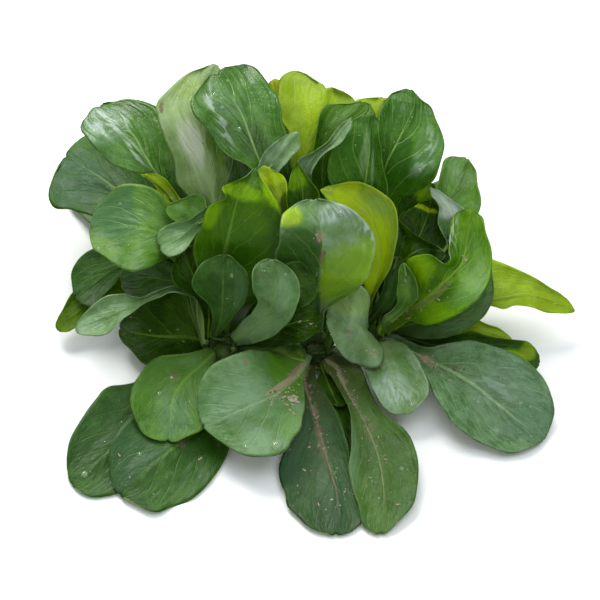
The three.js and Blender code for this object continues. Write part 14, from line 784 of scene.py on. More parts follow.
("F1", 0.128, 0.373, 0.31, "chaff"),
("F1", 0.663, 0.421, 0.12, "sand"),
("F1", 0.211, 0.702, 0.12, "soil"),
("F1", 0.772, 0.440, 0.12, "soil"),
("F1", 0.140, 0.603, 0.22, "soil"),
("F1", 0.679, 0.273, 0.22, "soil"),
("F1", 0.301, 0.573, 0.19, "chaff"),
("F1", 0.725, 0.646, 0.17, "chaff"),
("F1", 0.437, 0.452, 0.16, "sand"),
("F1", 0.545, 0.535, 0.14, "chaff"),
("F1", 0.537, 0.644, 0.13, "sand"),
("F1", 0.742, 0.706, 0.12, "sand"),
("F1", 0.688, 0.739, 0.24, "sand"),
("F1", 0.198, 0.760, 0.16, "soil"),
("F1", 0.874, 0.281, 0.12, "sand"),
("F1", 0.558, 0.313, 0.21, "sand"),
("F2", 0.219, 0.878, 0.27, "soil"),
("F2", 0.562, 0.338, 0.29, "sand"),
("F2", 0.593, 0.581, 0.25, "sand"),
("F2", 0.717, 0.511, 0.20, "soil"),
("F2", 0.540, 0.249, 0.18, "soil"),
("F2", 0.364, 0.343, 0.15, "soil"),
("F2", 0.871, 0.155, 0.12, "chaff"),
("F2", 0.619, 0.380, 0.14, "sand"),
("F2", 0.086, 0.070, 0.18, "chaff"),
("F2", 0.211, 0.447, 0.15, "soil"),
("F2", 0.636, 0.514, 0.12, "sand"),
("F2", 0.732, 0.580, 0.26, "soil"),
("F2", 0.169, 0.419, 0.12, "soil"),
("F2", 0.126, 0.361, 0.25, "sand"),
("F2", 0.812, 0.303, 0.13, "sand"),
("F2", 0.434, 0.534, 0.18, "chaff"),
("F2", 0.118, 0.070, 0.25, "soil"),
("F2", 0.780, 0.416, 0.24, "sand"),
("F2", 0.332, 0.696, 0.14, "soil"),
("F2", 0.124, 0.642, 0.24, "sand"),
("F2", 0.091, 0.463, 0.21, "chaff"),
("F2", 0.281, 0.930, 0.14, "soil"),
("F2", 0.223, 0.634, 0.15, "soil"),
("F2", 0.165, 0.265, 0.14, "chaff"),
("F2", 0.500, 0.800, 0.19, "soil"),
("F2", 0.496, 0.335, 0.14, "soil"),
("F2", 0.459, 0.455, 0.14, "sand"),
("F2", 0.463, 0.604, 0.23, "chaff"),
("F2", 0.525, 0.870, 0.30, "soil"),
("F2", 0.385, 0.651, 0.28, "soil"),
("L8", 0.142, 0.515, 0.14, "sand"),
("L8", 0.251, 0.506, 0.32, "sand"),
("L8", 0.267, 0.168, 0.13, "sand"),
("L8", 0.235, 0.317, 0.12, "sand"),
("L8", 0.535, 0.572, 0.13, "sand"),
("L8", 0.615, 0.404, 0.28, "soil"),
("L8", 0.598, 0.337, 0.15, "sand"),
("L8", 0.144, 0.564, 0.16, "chaff"),
("L8", 0.156, 0.123, 0.23, "soil"),
("L8", 0.222, 0.804, 0.17, "sand"),
("L8", 0.433, 0.289, 0.12, "chaff"),
("L8", 0.670, 0.535, 0.14, "chaff"),
("L8", 0.685, 0.138, 0.22, "soil"),
("L8", 0.337, 0.364, 0.15, "soil"),
("L8", 0.092, 0.488, 0.14, "sand"),
("L8", 0.891, 0.428, 0.25, "sand"),
("L9", 0.854, 0.566, 0.19, "sand"),
("L9", 0.588, 0.525, 0.15, "sand"),
("L9", 0.102, 0.877, 0.23, "sand"),
("L9", 0.137, 0.405, 0.13, "sand"),
("L9", 0.350, 0.812, 0.13, "chaff"),
("L9", 0.395, 0.603, 0.20, "chaff"),
("L9", 0.681, 0.772, 0.18, "sand"),
("L9", 0.148, 0.720, 0.23, "sand"),
("L9", 0.330, 0.637, 0.15, "soil"),
("L9", 0.533, 0.706, 0.20, "sand"),
("L9", 0.103, 0.537, 0.13, "chaff"),
("L9", 0.701, 0.584, 0.12, "sand"),
("L10", 0.784, 0.332, 0.13, "sand"),
("L10", 0.730, 0.930, 0.12, "sand"),
("L10", 0.591, 0.477, 0.17, "soil"),
("L10", 0.587, 0.586, 0.23, "sand"),
("L10", 0.335, 0.844, 0.22, "soil"),
("L10", 0.176, 0.689, 0.18, "sand"),
("L10", 0.372, 0.761, 0.24, "sand"),
("L10", 0.627, 0.667, 0.12, "chaff"),
("L10", 0.676, 0.672, 0.24, "chaff"),
("L10", 0.577, 0.530, 0.15, "chaff"),
("L10", 0.787, 0.648, 0.15, "chaff"),
("L10", 0.269, 0.641, 0.29, "chaff"),
("L10", 0.441, 0.573, 0.17, "sand"),
("L10", 0.238, 0.930, 0.22, "sand"),
("H12", 0.146, 0.648, 0.18, "sand"),
("H12", 0.913, 0.616, 0.28, "chaff"),
("H12", 0.582, 0.549, 0.16, "sand"),
("H12", 0.390, 0.292, 0.24, "chaff"),
("H12", 0.112, 0.470, 0.18, "sand"),
("H12", 0.605, 0.266, 0.18, "chaff"),
("H12", 0.801, 0.290, 0.27, "chaff"),
("H12", 0.210, 0.930, 0.13, "soil"),
("H12", 0.243, 0.830, 0.22, "chaff"),
("H12", 0.102, 0.625, 0.29, "sand"),
("H12", 0.548, 0.219, 0.26, "chaff"),
("H12", 0.787, 0.080, 0.12, "sand"),
("H12", 0.896, 0.616, 0.12, "sand"),
("H12", 0.510, 0.606, 0.18, "chaff"),
("H12", 0.261, 0.339, 0.12, "chaff"),
("H12", 0.927, 0.669, 0.14, "chaff"),
("L6", 0.369, 0.930, 0.12, "sand"),
("L6", 0.175, 0.302, 0.12, "sand"),
("L6", 0.164, 0.406, 0.21, "chaff"),
("L6", 0.618, 0.576, 0.13, "soil"),
("L6", 0.864, 0.520, 0.17, "sand"),
("L6", 0.131, 0.446, 0.14, "sand"),
("L6", 0.884, 0.167, 0.30, "sand"),
("L6", 0.103, 0.372, 0.13, "soil"),
("L6", 0.524, 0.921, 0.15, "soil"),
("L6", 0.919, 0.734, 0.12, "sand"),
("L6", 0.199, 0.930, 0.14, "sand"),
("L6", 0.467, 0.501, 0.15, "soil"),
("L7", 0.702, 0.288, 0.24, "chaff"),
("L7", 0.834, 0.853, 0.21, "chaff"),
("L7", 0.473, 0.300, 0.22, "sand"),
("L7", 0.144, 0.731, 0.32, "soil"),
("L7", 0.197, 0.305, 0.24, "sand"),
("L7", 0.429, 0.496, 0.12, "soil"),
("L7", 0.202, 0.482, 0.24, "sand"),
("L7", 0.924, 0.143, 0.14, "sand"),
("H13", 0.487, 0.551, 0.13, "sand"),
("H13", 0.266, 0.806, 0.19, "sand"),
("H13", 0.165, 0.471, 0.22, "sand"),
("H13", 0.814, 0.251, 0.26, "sand"),
("H13", 0.159, 0.217, 0.12, "sand"),
("H13", 0.445, 0.700, 0.21, "chaff"),
("H13", 0.343, 0.072, 0.17, "chaff"),
("H13", 0.487, 0.457, 0.12, "soil"),
("H13", 0.452, 0.691, 0.16, "chaff"),
("H13", 0.675, 0.711, 0.12, "sand"),
("H13", 0.752, 0.666, 0.16, "chaff"),
("H13", 0.103, 0.487, 0.15, "sand"),
("H19", 0.923, 0.070, 0.12, "soil"),
("H19", 0.848, 0.317, 0.18, "sand"),
("H19", 0.631, 0.070, 0.12, "sand"),
("H19", 0.870, 0.857, 0.19, "sand"),
("H19", 0.922, 0.650, 0.27, "sand"),
("H19", 0.742, 0.865, 0.16, "sand"),
("H19", 0.478, 0.449, 0.16, "chaff"),
("H19", 0.155, 0.580, 0.16, "chaff"),
("H19", 0.688, 0.754, 0.24, "chaff"),
("H19", 0.481, 0.498, 0.14, "chaff"),
("H19", 0.095, 0.842, 0.12, "sand"),
("H19", 0.489, 0.886, 0.15, "soil"),
("H19", 0.645, 0.522, 0.15, "sand"),
("H19", 0.368, 0.501, 0.18, "sand"),
("H10", 0.817, 0.456, 0.29, "chaff"),
("H10", 0.206, 0.141, 0.27, "sand"),
("H10", 0.380, 0.345, 0.19, "sand"),
("H10", 0.735, 0.387, 0.27, "sand"),
("H10", 0.623, 0.497, 0.15, "chaff"),
("H10", 0.724, 0.513, 0.13, "sand"),
("H10", 0.788, 0.930, 0.15, "soil"),
("H10", 0.580, 0.402, 0.13, "soil"),
("H11", 0.776, 0.504, 0.23, "chaff"),
("H11", 0.085, 0.388, 0.14, "soil"),
("H11", 0.137, 0.544, 0.14, "sand"),
("H11", 0.824, 0.335, 0.16, "soil"),
("H11", 0.644, 0.445, 0.22, "soil"),
("H11", 0.821, 0.351, 0.28, "chaff"),
("L11", 0.876, 0.322, 0.18, "sand"),
("L11", 0.102, 0.551, 0.14, "sand"),
("L11", 0.743, 0.514, 0.31, "soil"),
("L11", 0.714, 0.547, 0.25, "sand"),
("L11", 0.831, 0.218, 0.12, "chaff"),
("L11", 0.169, 0.480, 0.15, "sand"),
("L11", 0.109, 0.875, 0.12, "chaff"),
("L11", 0.685, 0.201, 0.14, "sand"),
("L11", 0.233, 0.075, 0.15, "soil"),
("L11", 0.811, 0.710, 0.21, "chaff"),
("H7b", 0.508, 0.297, 0.20, "soil"),
("H7b", 0.441, 0.679, 0.16, "soil"),
("H7b", 0.706, 0.533, 0.15, "soil"),
("H7b", 0.473, 0.641, 0.13, "sand"),
("H7b", 0.437, 0.187, 0.12, "soil"),
("H7b", 0.515, 0.442, 0.13, "soil"),
("H7b", 0.189, 0.627, 0.23, "sand"),
("H7b", 0.594, 0.441, 0.28, "chaff"),
("H7b", 0.664, 0.770, 0.15, "sand"),
("H7b", 0.334, 0.471, 0.12, "chaff"),
("H21", 0.496, 0.266, 0.19, "soil"),
("H21", 0.604, 0.474, 0.13, "sand"),
("H21", 0.746, 0.574, 0.13, "chaff"),
("H21", 0.481, 0.836, 0.17, "chaff"),
("H21", 0.816, 0.626, 0.21, "soil"),
("H21", 0.447, 0.404, 0.32, "chaff"),
("H21", 0.306, 0.791, 0.13, "sand"),
("H21", 0.558, 0.318, 0.21, "chaff"),
("H22", 0.911, 0.800, 0.15, "sand"),
("H22", 0.865, 0.780, 0.26, "sand"),
("H22", 0.780, 0.686, 0.18, "chaff"),
("H22", 0.082, 0.695, 0.12, "sand"),
("H22", 0.481, 0.593, 0.16, "sand"),
("H22", 0.083, 0.599, 0.12, "sand"),
("H22", 0.504, 0.644, 0.13, "chaff"),
("H22", 0.326, 0.070, 0.14, "sand"),
("L2", 0.605, 0.625, 0.15, "soil"),
("L2", 0.667, 0.299, 0.16, "chaff"),
("L2", 0.536, 0.835, 0.17, "sand"),
("L2", 0.308, 0.510, 0.27, "soil"),
("L2", 0.501, 0.441, 0.24, "sand"),
("L2", 0.428, 0.589, 0.27, "soil"),
("A2b", 0.252, 0.514, 0.21, "sand"),
("A2b", 0.671, 0.632, 0.19, "soil"),
("A2b", 0.802, 0.912, 0.26, "sand"),
("A2b", 0.638, 0.428, 0.14, "sand"),
("A2b", 0.520, 0.271, 0.13, "soil"),
("A2b", 0.634, 0.317, 0.18, "soil"),
("H14", 0.663, 0.280, 0.23, "sand"),
("H14", 0.717, 0.439, 0.28, "chaff"),
("H14", 0.511, 0.667, 0.12, "sand"),
("H14", 0.568, 0.650, 0.13, "sand"),
("H14", 0.423, 0.574, 0.13, "sand"),
("H6", 0.765, 0.427, 0.14, "sand"),
("H6", 0.115, 0.454, 0.12, "sand"),
("H6", 0.353, 0.225, 0.12, "sand"),
("H6", 0.334, 0.348, 0.16, "sand"),
("H1", 0.630, 0.424, 0.13, "chaff"),
("H1", 0.550, 0.602, 0.12, "soil"),
("H1", 0.502, 0.702, 0.12, "soil"),
("H1", 0.505, 0.297, 0.14, "soil"),
("H1", 0.523, 0.514, 0.17, "sand"),
("A4", 0.279, 0.503, 0.14, "sand"),
("A4", 0.828, 0.678, 0.13, "sand"),
("A4", 0.134, 0.354, 0.12, "sand"),
("A4", 0.843, 0.738, 0.19, "sand"),
("A3", 0.127, 0.853, 0.24, "soil"),
("A3", 0.294, 0.616, 0.32, "sand"),
("A3", 0.156, 0.246, 0.14, "sand"),
("A3", 0.784, 0.280, 0.13, "sand"),
("H9", 0.925, 0.527, 0.27, "sand"),
("H9", 0.445, 0.358, 0.18, "sand"),
("H9", 0.306, 0.475, 0.20, "sand"),
("H9", 0.391, 0.597, 0.13, "chaff"),
("H9", 0.085, 0.649, 0.13, "chaff"),
("A6", 0.878, 0.445, 0.28, "sand"),
("A6", 0.559, 0.312, 0.20, "sand"),
("A6", 0.383, 0.555, 0.12, "sand"),
("A6", 0.302, 0.334, 0.21, "sand"),
("A7", 0.410, 0.670, 0.26, "chaff"),
("A7", 0.432, 0.718, 0.31, "sand"),
("A7", 0.351, 0.535, 0.15, "soil"),
("A7", 0.750, 0.728, 0.27, "chaff"),
("F1", 0.313, 0.458, 0.31, "soil"),
("F1", 0.465, 0.489, 0.36, "chaff"),
("F1", 0.097, 0.517, 0.39, "chaff"),
("F1", 0.463, 0.579, 0.18, "chaff"),
("F1", 0.197, 0.476, 0.15, "soil"),
("F1", 0.369, 0.502, 0.22, "soil"),
("F1", 0.172, 0.660, 0.15, "soil"),
("F1", 0.319, 0.487, 0.33, "soil"),
("F1", 0.447, 0.438, 0.29, "chaff"),
("F1", 0.390, 0.514, 0.29, "chaff"),
("F1", 0.287, 0.485, 0.32, "chaff"),
("F1", 0.450, 0.493, 0.30, "soil"),
("F1", 0.319, 0.559, 0.20, "soil"),
("F1", 0.083, 0.573, 0.14, "soil"),
("F1", 0.166, 0.456, 0.15, "soil"),
("F1", 0.463, 0.416, 0.14, "chaff"),
("F1", 0.468, 0.569, 0.20, "soil"),
("F1", 0.336, 0.382, 0.24, "soil"),
("F1", 0.125, 0.480, 0.23, "soil"),
("F1", 0.210, 0.531, 0.20, "chaff"),
("F1", 0.465, 0.420, 0.32, "soil"),
("F1", 0.306, 0.525, 0.44, "chaff"),
("F1", 0.419, 0.334, 0.42, "soil"),
("F1", 0.166, 0.532, 0.24, "chaff"),
("F1", 0.157, 0.451, 0.17, "soil"),
("F1", 0.405, 0.452, 0.23, "soil"),
("F2", 0.286, 0.480, 0.39, "chaff"),
("F2", 0.380, 0.471, 0.32, "soil"),
("F2", 0.113, 0.394, 0.17, "chaff"),
("F2", 0.117, 0.459, 0.18, "chaff"),
("F2", 0.204, 0.444, 0.41, "chaff"),
("F2", 0.469, 0.591, 0.35, "chaff"),
("F2", 0.241, 0.440, 0.14, "soil"),
("F2", 0.137, 0.591, 0.22, "chaff"),
("F2", 0.400, 0.612, 0.14, "chaff"),
("F2", 0.266, 0.635, 0.25, "chaff"),
("F2", 0.272, 0.432, 0.29, "chaff"),
("F2", 0.278, 0.550, 0.17, "soil"),
("F2", 0.402, 0.572, 0.30, "chaff"),
("F2", 0.326, 0.537, 0.14, "chaff"),
("F2", 0.250, 0.541, 0.14, "soil"),
("F2", 0.418, 0.496, 0.15, "chaff"),
("L10", 0.427, 0.477, 0.14, "chaff"),
("L10", 0.282, 0.548, 0.42, "chaff"),
("L10", 0.086, 0.520, 0.17, "chaff"),
("L10", 0.156, 0.383, 0.36, "soil"),
("L10", 0.296, 0.602, 0.14, "chaff"),
("L10", 0.176, 0.508, 0.34, "chaff"),
("L10", 0.260, 0.416, 0.15, "soil"),
("L10", 0.161, 0.640, 0.19, "chaff"),
("L10", 0.106, 0.571, 0.32, "soil"),
("L10", 0.372, 0.467, 0.39, "soil"),
("L10", 0.427, 0.517, 0.15, "chaff"),
("L10", 0.447, 0.567, 0.26, "chaff"),
("L10", 0.205, 0.406, 0.38, "soil"),
("L10", 0.437, 0.505, 0.29, "soil"),
("L10", 0.476, 0.495, 0.17, "chaff"),
("L10", 0.127, 0.524, 0.14, "chaff"),
("H12", 0.339, 0.490, 0.22, "soil"),
("H12", 0.433, 0.443, 0.26, "chaff"),
("H12", 0.203, 0.611, 0.14, "soil"),
("H12", 0.396, 0.496, 0.32, "chaff"),
("H12", 0.431, 0.444, 0.27, "chaff"),
("H12", 0.406, 0.427, 0.36, "soil"),
("H12", 0.173, 0.487, 0.24, "soil"),
("H12", 0.082, 0.544, 0.14, "soil"),
("H12", 0.088, 0.508, 0.28, "chaff"),
("H12", 0.290, 0.516, 0.21, "soil"),
("H12", 0.375, 0.519, 0.14, "soil"),
("H12", 0.351, 0.633, 0.21, "soil"),
("H12", 0.172, 0.585, 0.29, "soil"),
("H12", 0.416, 0.373, 0.14, "soil"),
("H12", 0.267, 0.586, 0.34, "chaff"),
("H12", 0.409, 0.463, 0.43, "soil"),
("H12", 0.399, 0.473, 0.23, "soil"),
("H12", 0.441, 0.413, 0.36, "soil"),
("H13", 0.391, 0.518, 0.23, "chaff"),
("H13", 0.453, 0.527, 0.17, "chaff"),
("H13", 0.152, 0.647, 0.14, "chaff"),
("H13", 0.237, 0.513, 0.17, "soil"),
("H13", 0.092, 0.587, 0.16, "soil"),
("H13", 0.314, 0.650, 0.39, "chaff"),
("H13", 0.222, 0.574, 0.23, "chaff"),
("H13", 0.255, 0.513, 0.20, "chaff"),
("H13", 0.154, 0.537, 0.28, "soil"),
("H13", 0.248, 0.479, 0.42, "chaff"),
("H13", 0.300, 0.585, 0.14, "chaff"),
("H13", 0.466, 0.357, 0.21, "chaff"),
("H13", 0.376, 0.365, 0.15, "soil"),
("H13", 0.354, 0.537, 0.17, "chaff"),
("L6", 0.090, 0.449, 0.18, "soil"),
("L6", 0.219, 0.384, 0.44, "chaff"),
("L6", 0.312, 0.564, 0.21, "chaff"),
("L6", 0.277, 0.426, 0.19, "soil"),
("L6", 0.192, 0.452, 0.14, "chaff"),
("L6", 0.345, 0.450, 0.31, "soil"),
("L6", 0.319, 0.446, 0.24, "chaff"),
("L6", 0.194, 0.450, 0.14, "soil"),
("L6", 0.448, 0.416, 0.38, "chaff"),
("L6", 0.221, 0.590, 0.14, "soil"),
("L6", 0.391, 0.624, 0.36, "chaff"),
("L6", 0.469, 0.547, 0.27, "soil"),
("L8", 0.118, 0.559, 0.41, "chaff"),
("L8", 0.334, 0.528, 0.16, "chaff"),
("L8", 0.465, 0.466, 0.26, "chaff"),
("L8", 0.269, 0.366, 0.15, "chaff"),
("L8", 0.290, 0.450, 0.42, "soil"),
("L8", 0.303, 0.536, 0.29, "soil"),
("L8", 0.313, 0.509, 0.31, "chaff"),
("L8", 0.466, 0.421, 0.32, "soil"),
]
# looks: shade, deep, deep2, mid and light are darker and lighter copies of one leaf green, given to each leaf partly
# for its own tone and partly for how much shade or light falls on it (painted shade and painted light)
LOOKS = {
 "shade": {"vein": (0.2307, 0.4125, 0.0452), "rim": (0.1144, 0.2623, 0.0212), "foot": (0.0194, 0.0423, 0.0012), "under": (0.1812, 0.305, 0.0685), "undervein": (0.3419, 0.4793, 0.15), "trans": (0.2623, 0.5457, 0.0015), "sheen": 0.0, "spec": 0.16, "ms": 0.5, "r0": 0.36, "r1": 0.52, "net": 0.05, "rs": 0.34, "speck": 0.4, "specc": (0.1878, 0.2623, 0.117), "c1": (0.013, 0.0423, 0.0), "c2": (0.0319, 0.0931, 0.0018), "bloom_and_sky_sheen": 0.0, "vs": 0.22, "tf": 0.25, "crinkle": 0.8},
 "deep": {"vein": (0.1384, 0.2874, 0.0423), "rim": (0.1413, 0.2961, 0.0452), "foot": (0.0273, 0.0578, 0.0044), "under": (0.1812, 0.305, 0.0685), "undervein": (0.3419, 0.4793, 0.15), "trans": (0.2623, 0.5457, 0.0015), "sheen": 0.0, "spec": 0.2, "ms": 0.4, "r0": 0.36, "r1": 0.52, "net": 0.05, "rs": 0.34, "speck": 0.3, "specc": (0.2623, 0.3515, 0.2232), "c1": (0.0194, 0.0723, 0.0037), "c2": (0.0482, 0.1384, 0.013), "bloom_and_sky_sheen": 0.03, "vs": 0.2, "tf": 0.22, "crinkle": 0.7},
 "mid": {"vein": (0.2307, 0.4125, 0.0452), "rim": (0.2623, 0.4678, 0.0382), "foot": (0.0369, 0.0802, 0.0024), "under": (0.1812, 0.305, 0.0685), "undervein": (0.3419, 0.4793, 0.15), "trans": (0.2623, 0.5457, 0.0015), "sheen": 0.0, "spec": 0.16, "ms": 0.5, "r0": 0.36, "r1": 0.52, "net": 0.05, "rs": 0.34, "speck": 0.4, "specc": (0.305, 0.4342, 0.2623), "c1": (0.0232, 0.0844, 0.0), "c2": (0.0648, 0.1746, 0.003), "bloom_and_sky_sheen": 0.0, "vs": 0.26, "tf": 0.3, "crinkle": 0.8},
 "light": {"vein": (0.2307, 0.4125, 0.0452), "rim": (0.3278, 0.5149, 0.0908), "foot": (0.0723, 0.1384, 0.016), "under": (0.1812, 0.305, 0.0685), "undervein": (0.3419, 0.4793, 0.15), "trans": (0.2623, 0.5457, 0.0015), "sheen": 0.0, "spec": 0.2, "ms": 0.4, "r0": 0.36, "r1": 0.52, "net": 0.05, "rs": 0.34, "c1": (0.0612, 0.1683, 0.0116), "c2": (0.1221, 0.2705, 0.0319), "bloom_and_sky_sheen": 0.08, "vs": 0.25, "tf": 0.28, "crinkle": 0.7},
 "gloss": {"vein": (0.305, 0.4793, 0.1384), "rim": (0.2623, 0.4452, 0.0908), "foot": (0.0452, 0.0976, 0.006), "under": (0.1812, 0.305, 0.0685), "undervein": (0.3419, 0.4793, 0.15), "trans": (0.2623, 0.5457, 0.0015), "sheen": 0.0, "spec": 0.36, "ms": 0.8, "r0": 0.24, "r1": 0.42, "net": 0.05, "rs": 0.34, "c1": (0.0273, 0.107, 0.0006), "c2": (0.0723, 0.2016, 0.0103), "bloom_and_sky_sheen": 0.16, "bloom_and_sky_sheen_colour": (0.2307, 0.3916, 0.2016), "tf": 0.24, "crinkle": 1.0, "bump": 0.6, "vs": 0.5},
 "deep2": {"vein": (0.2159, 0.3916, 0.0723), "rim": (0.1413, 0.2961, 0.0452), "foot": (0.0273, 0.0578, 0.0044), "under": (0.1812, 0.305, 0.0685), "undervein": (0.3419, 0.4793, 0.15), "trans": (0.2623, 0.5457, 0.0015), "sheen": 0.0, "spec": 0.14, "ms": 0.75, "r0": 0.36, "r1": 0.52, "net": 0.05, "rs": 0.34, "speck": 0.2, "specc": (0.2623, 0.3515, 0.2232), "c1": (0.016, 0.0723, 0.0024), "c2": (0.0395, 0.1274, 0.0103), "bloom_and_sky_sheen": 0.0, "vs": 0.2, "tf": 0.22, "crinkle": 0.35},
 "gloss2": {"vein": (0.305, 0.4793, 0.1119), "rim": (0.2307, 0.4342, 0.0648), "foot": (0.0452, 0.0976, 0.006), "under": (0.1812, 0.305, 0.0685), "undervein": (0.3419, 0.4793, 0.15), "trans": (0.2623, 0.5457, 0.0015), "sheen": 0.0, "spec": 0.2, "ms": 0.7, "r0": 0.38, "r1": 0.54, "net": 0.05, "rs": 0.34, "c1": (0.0252, 0.1119, 0.0), "c2": (0.0685, 0.2016, 0.007), "bloom_and_sky_sheen": 0.08, "bloom_and_sky_sheen_colour": (0.1878, 0.3515, 0.1384), "tf": 0.26, "crinkle": 0.9, "bump": 0.6, "vs": 0.45},
 # H12: real gloss and water drops, with painted sheen: pale bluish streaks and pale veins stand in for sky reflection
 # and vein highlights
 "wet_and_painted_sheen": {"vein": (0.305, 0.4678, 0.2016), "rim": (0.2623, 0.4125, 0.1413), "foot": (0.0802, 0.1384, 0.0343), "under": (0.1812, 0.305, 0.0685), "undervein": (0.3419, 0.4793, 0.15), "trans": (0.2623, 0.5457, 0.0015), "sheen": 0.0, "spec": 0.45, "ms": 0.7, "r0": 0.22, "r1": 0.38, "net": 0.08, "rs": 0.34, "c1": (0.0482, 0.1384, 0.0296), "c2": (0.1119, 0.2384, 0.0802), "bloom_and_sky_sheen": 0.32, "bloom_and_sky_sheen_colour": (0.2462, 0.402, 0.2542), "tf": 0.2, "crinkle": 0.9, "bump": 0.6, "vs": 0.5},
 # blue and pale: pale bluish greens, partly the leaves' own tone and partly painted sky reflection
 "blue": {"vein": (0.2307, 0.4125, 0.0452), "rim": (0.2623, 0.4233, 0.1274), "foot": (0.0762, 0.1559, 0.0343), "under": (0.1812, 0.305, 0.0685), "undervein": (0.3419, 0.4793, 0.15), "trans": (0.2623, 0.5457, 0.0015), "sheen": 0.03, "spec": 0.35, "ms": 0.3, "r0": 0.36, "r1": 0.52, "net": 0.05, "rs": 0.34, "c1": (0.0612, 0.15, 0.0273), "c2": (0.1221, 0.2542, 0.0723), "bloom_and_sky_sheen": 0.28, "bloom_and_sky_sheen_colour": (0.2623, 0.4125, 0.2542), "tf": 0.18, "vs": 0.3},
 "pale": {"vein": (0.2307, 0.4125, 0.0452), "rim": (0.3613, 0.5271, 0.2232), "foot": (0.1221, 0.1812, 0.0395), "under": (0.1812, 0.305, 0.0685), "undervein": (0.3419, 0.4793, 0.15), "trans": (0.2623, 0.5457, 0.0015), "sheen": 0.04, "spec": 0.35, "ms": 0.3, "r0": 0.36, "r1": 0.52, "net": 0.05, "rs": 0.34, "c1": (0.107, 0.2159, 0.0545), "c2": (0.1946, 0.3231, 0.1384), "bloom_and_sky_sheen": 0.35, "bloom_and_sky_sheen_colour": (0.3613, 0.5149, 0.402), "tf": 0.2, "vs": 0.35},
 # yellow: the leaves' own yellow-green with painted backlit glow in it, for leaves lit through from behind
 "yellow": {"vein": (0.4793, 0.6308, 0.117), "rim": (0.5149, 0.6724, 0.0802), "foot": (0.1746, 0.2705, 0.0024), "under": (0.1812, 0.305, 0.0685), "undervein": (0.3419, 0.4793, 0.15), "trans": (0.5271, 0.7011, 0.0103), "sheen": 0.0, "spec": 0.16, "ms": 0.4, "r0": 0.36, "r1": 0.52, "net": 0.05, "rs": 0.34, "c1": (0.2542, 0.3813, 0.007), "c2": (0.3916, 0.552, 0.0395), "bloom_and_sky_sheen": 0.0, "tf": 0.42, "vs": 0.3, "crinkle": 0.5},
 "lime": {"vein": (0.3515, 0.5457, 0.0452), "rim": (0.3916, 0.6105, 0.0319), "foot": (0.0887, 0.162, 0.0044), "under": (0.1812, 0.305, 0.0685), "undervein": (0.3419, 0.4793, 0.15), "trans": (0.3515, 0.6795, 0.0), "sheen": 0.0, "spec": 0.22, "ms": 0.5, "r0": 0.36, "r1": 0.52, "net": 0.05, "rs": 0.34, "c1": (0.0685, 0.2016, 0.0), "c2": (0.162, 0.3515, 0.0012), "bloom_and_sky_sheen": 0.02, "tf": 0.36, "crinkle": 0.8},
 "olive": {"vein": (0.2307, 0.4125, 0.0452), "rim": (0.305, 0.4287, 0.0319), "foot": (0.0612, 0.107, 0.003), "under": (0.1812, 0.305, 0.0685), "undervein": (0.3419, 0.4793, 0.15), "trans": (0.305, 0.4851, 0.0), "sheen": 0.0, "spec": 0.08, "ms": 0.5, "r0": 0.36, "r1": 0.52, "net": 0.05, "rs": 0.34, "c1": (0.0545, 0.117, 0.0), "c2": (0.117, 0.2086, 0.0), "bloom_and_sky_sheen": 0.0, "tf": 0.32, "vs": 0.25, "crinkle": 0.6},
 "back": {"vein": (0.2307, 0.4125, 0.0452), "rim": (0.2232, 0.3763, 0.0612), "foot": (0.0578, 0.107, 0.016), "under": (0.1812, 0.305, 0.0685), "undervein": (0.3419, 0.4793, 0.15), "trans": (0.2623, 0.5457, 0.0015), "sheen": 0.0, "spec": 0.25, "ms": 0.5, "r0": 0.36, "r1": 0.52, "net": 0.05, "rs": 0.34, "c1": (0.0319, 0.0931, 0.007), "c2": (0.0685, 0.1683, 0.016), "bloom_and_sky_sheen": 0.1, "tf": 0.25},
 "lower": {"vein": (0.1022, 0.1812, 0.0685), "rim": (0.107, 0.1946, 0.0578), "foot": (0.0369, 0.0482, 0.0103), "under": (0.1812, 0.305, 0.0685), "undervein": (0.3419, 0.4793, 0.15), "trans": (0.2623, 0.5457, 0.0015), "sheen": 0.0, "spec": 0.15, "ms": 0.7, "r0": 0.36, "r1": 0.52, "net": 0.05, "rs": 0.34, "c1": (0.0232, 0.0612, 0.0144), "c2": (0.0423, 0.0976, 0.0273), "bloom_and_sky_sheen": 0.08, "bloom_and_sky_sheen_colour": (0.0931, 0.1812, 0.0931), "vs": 0.3, "rib": (0.2159, 0.15, 0.0976), "mw": 0.026, "dirt": 0.55, "speck": 0.4, "tf": 0.1, "crinkle": 0.6},
 "lower2": {"vein": (0.1878, 0.305, 0.1144), "rim": (0.1812, 0.305, 0.0648), "foot": (0.0482, 0.0648, 0.0116), "under": (0.1812, 0.305, 0.0685), "undervein": (0.3419, 0.4793, 0.15), "trans": (0.2623, 0.5457, 0.0015), "sheen": 0.0, "spec": 0.18, "ms": 0.7, "r0": 0.36, "r1": 0.52, "net": 0.05, "rs": 0.34, "c1": (0.0369, 0.0976, 0.0103), "c2": (0.0723, 0.1559, 0.0252), "bloom_and_sky_sheen": 0.08, "bloom_and_sky_sheen_colour": (0.1746, 0.2874, 0.1384), "vs": 0.3, "rib": (0.2159, 0.2623, 0.107), "mw": 0.026, "dirt": 0.6, "speck": 0.35, "tf": 0.13, "crinkle": 0.6},
 # L10: real dust and dirt along the midrib, with pale bluish streaks that are painted sky reflection
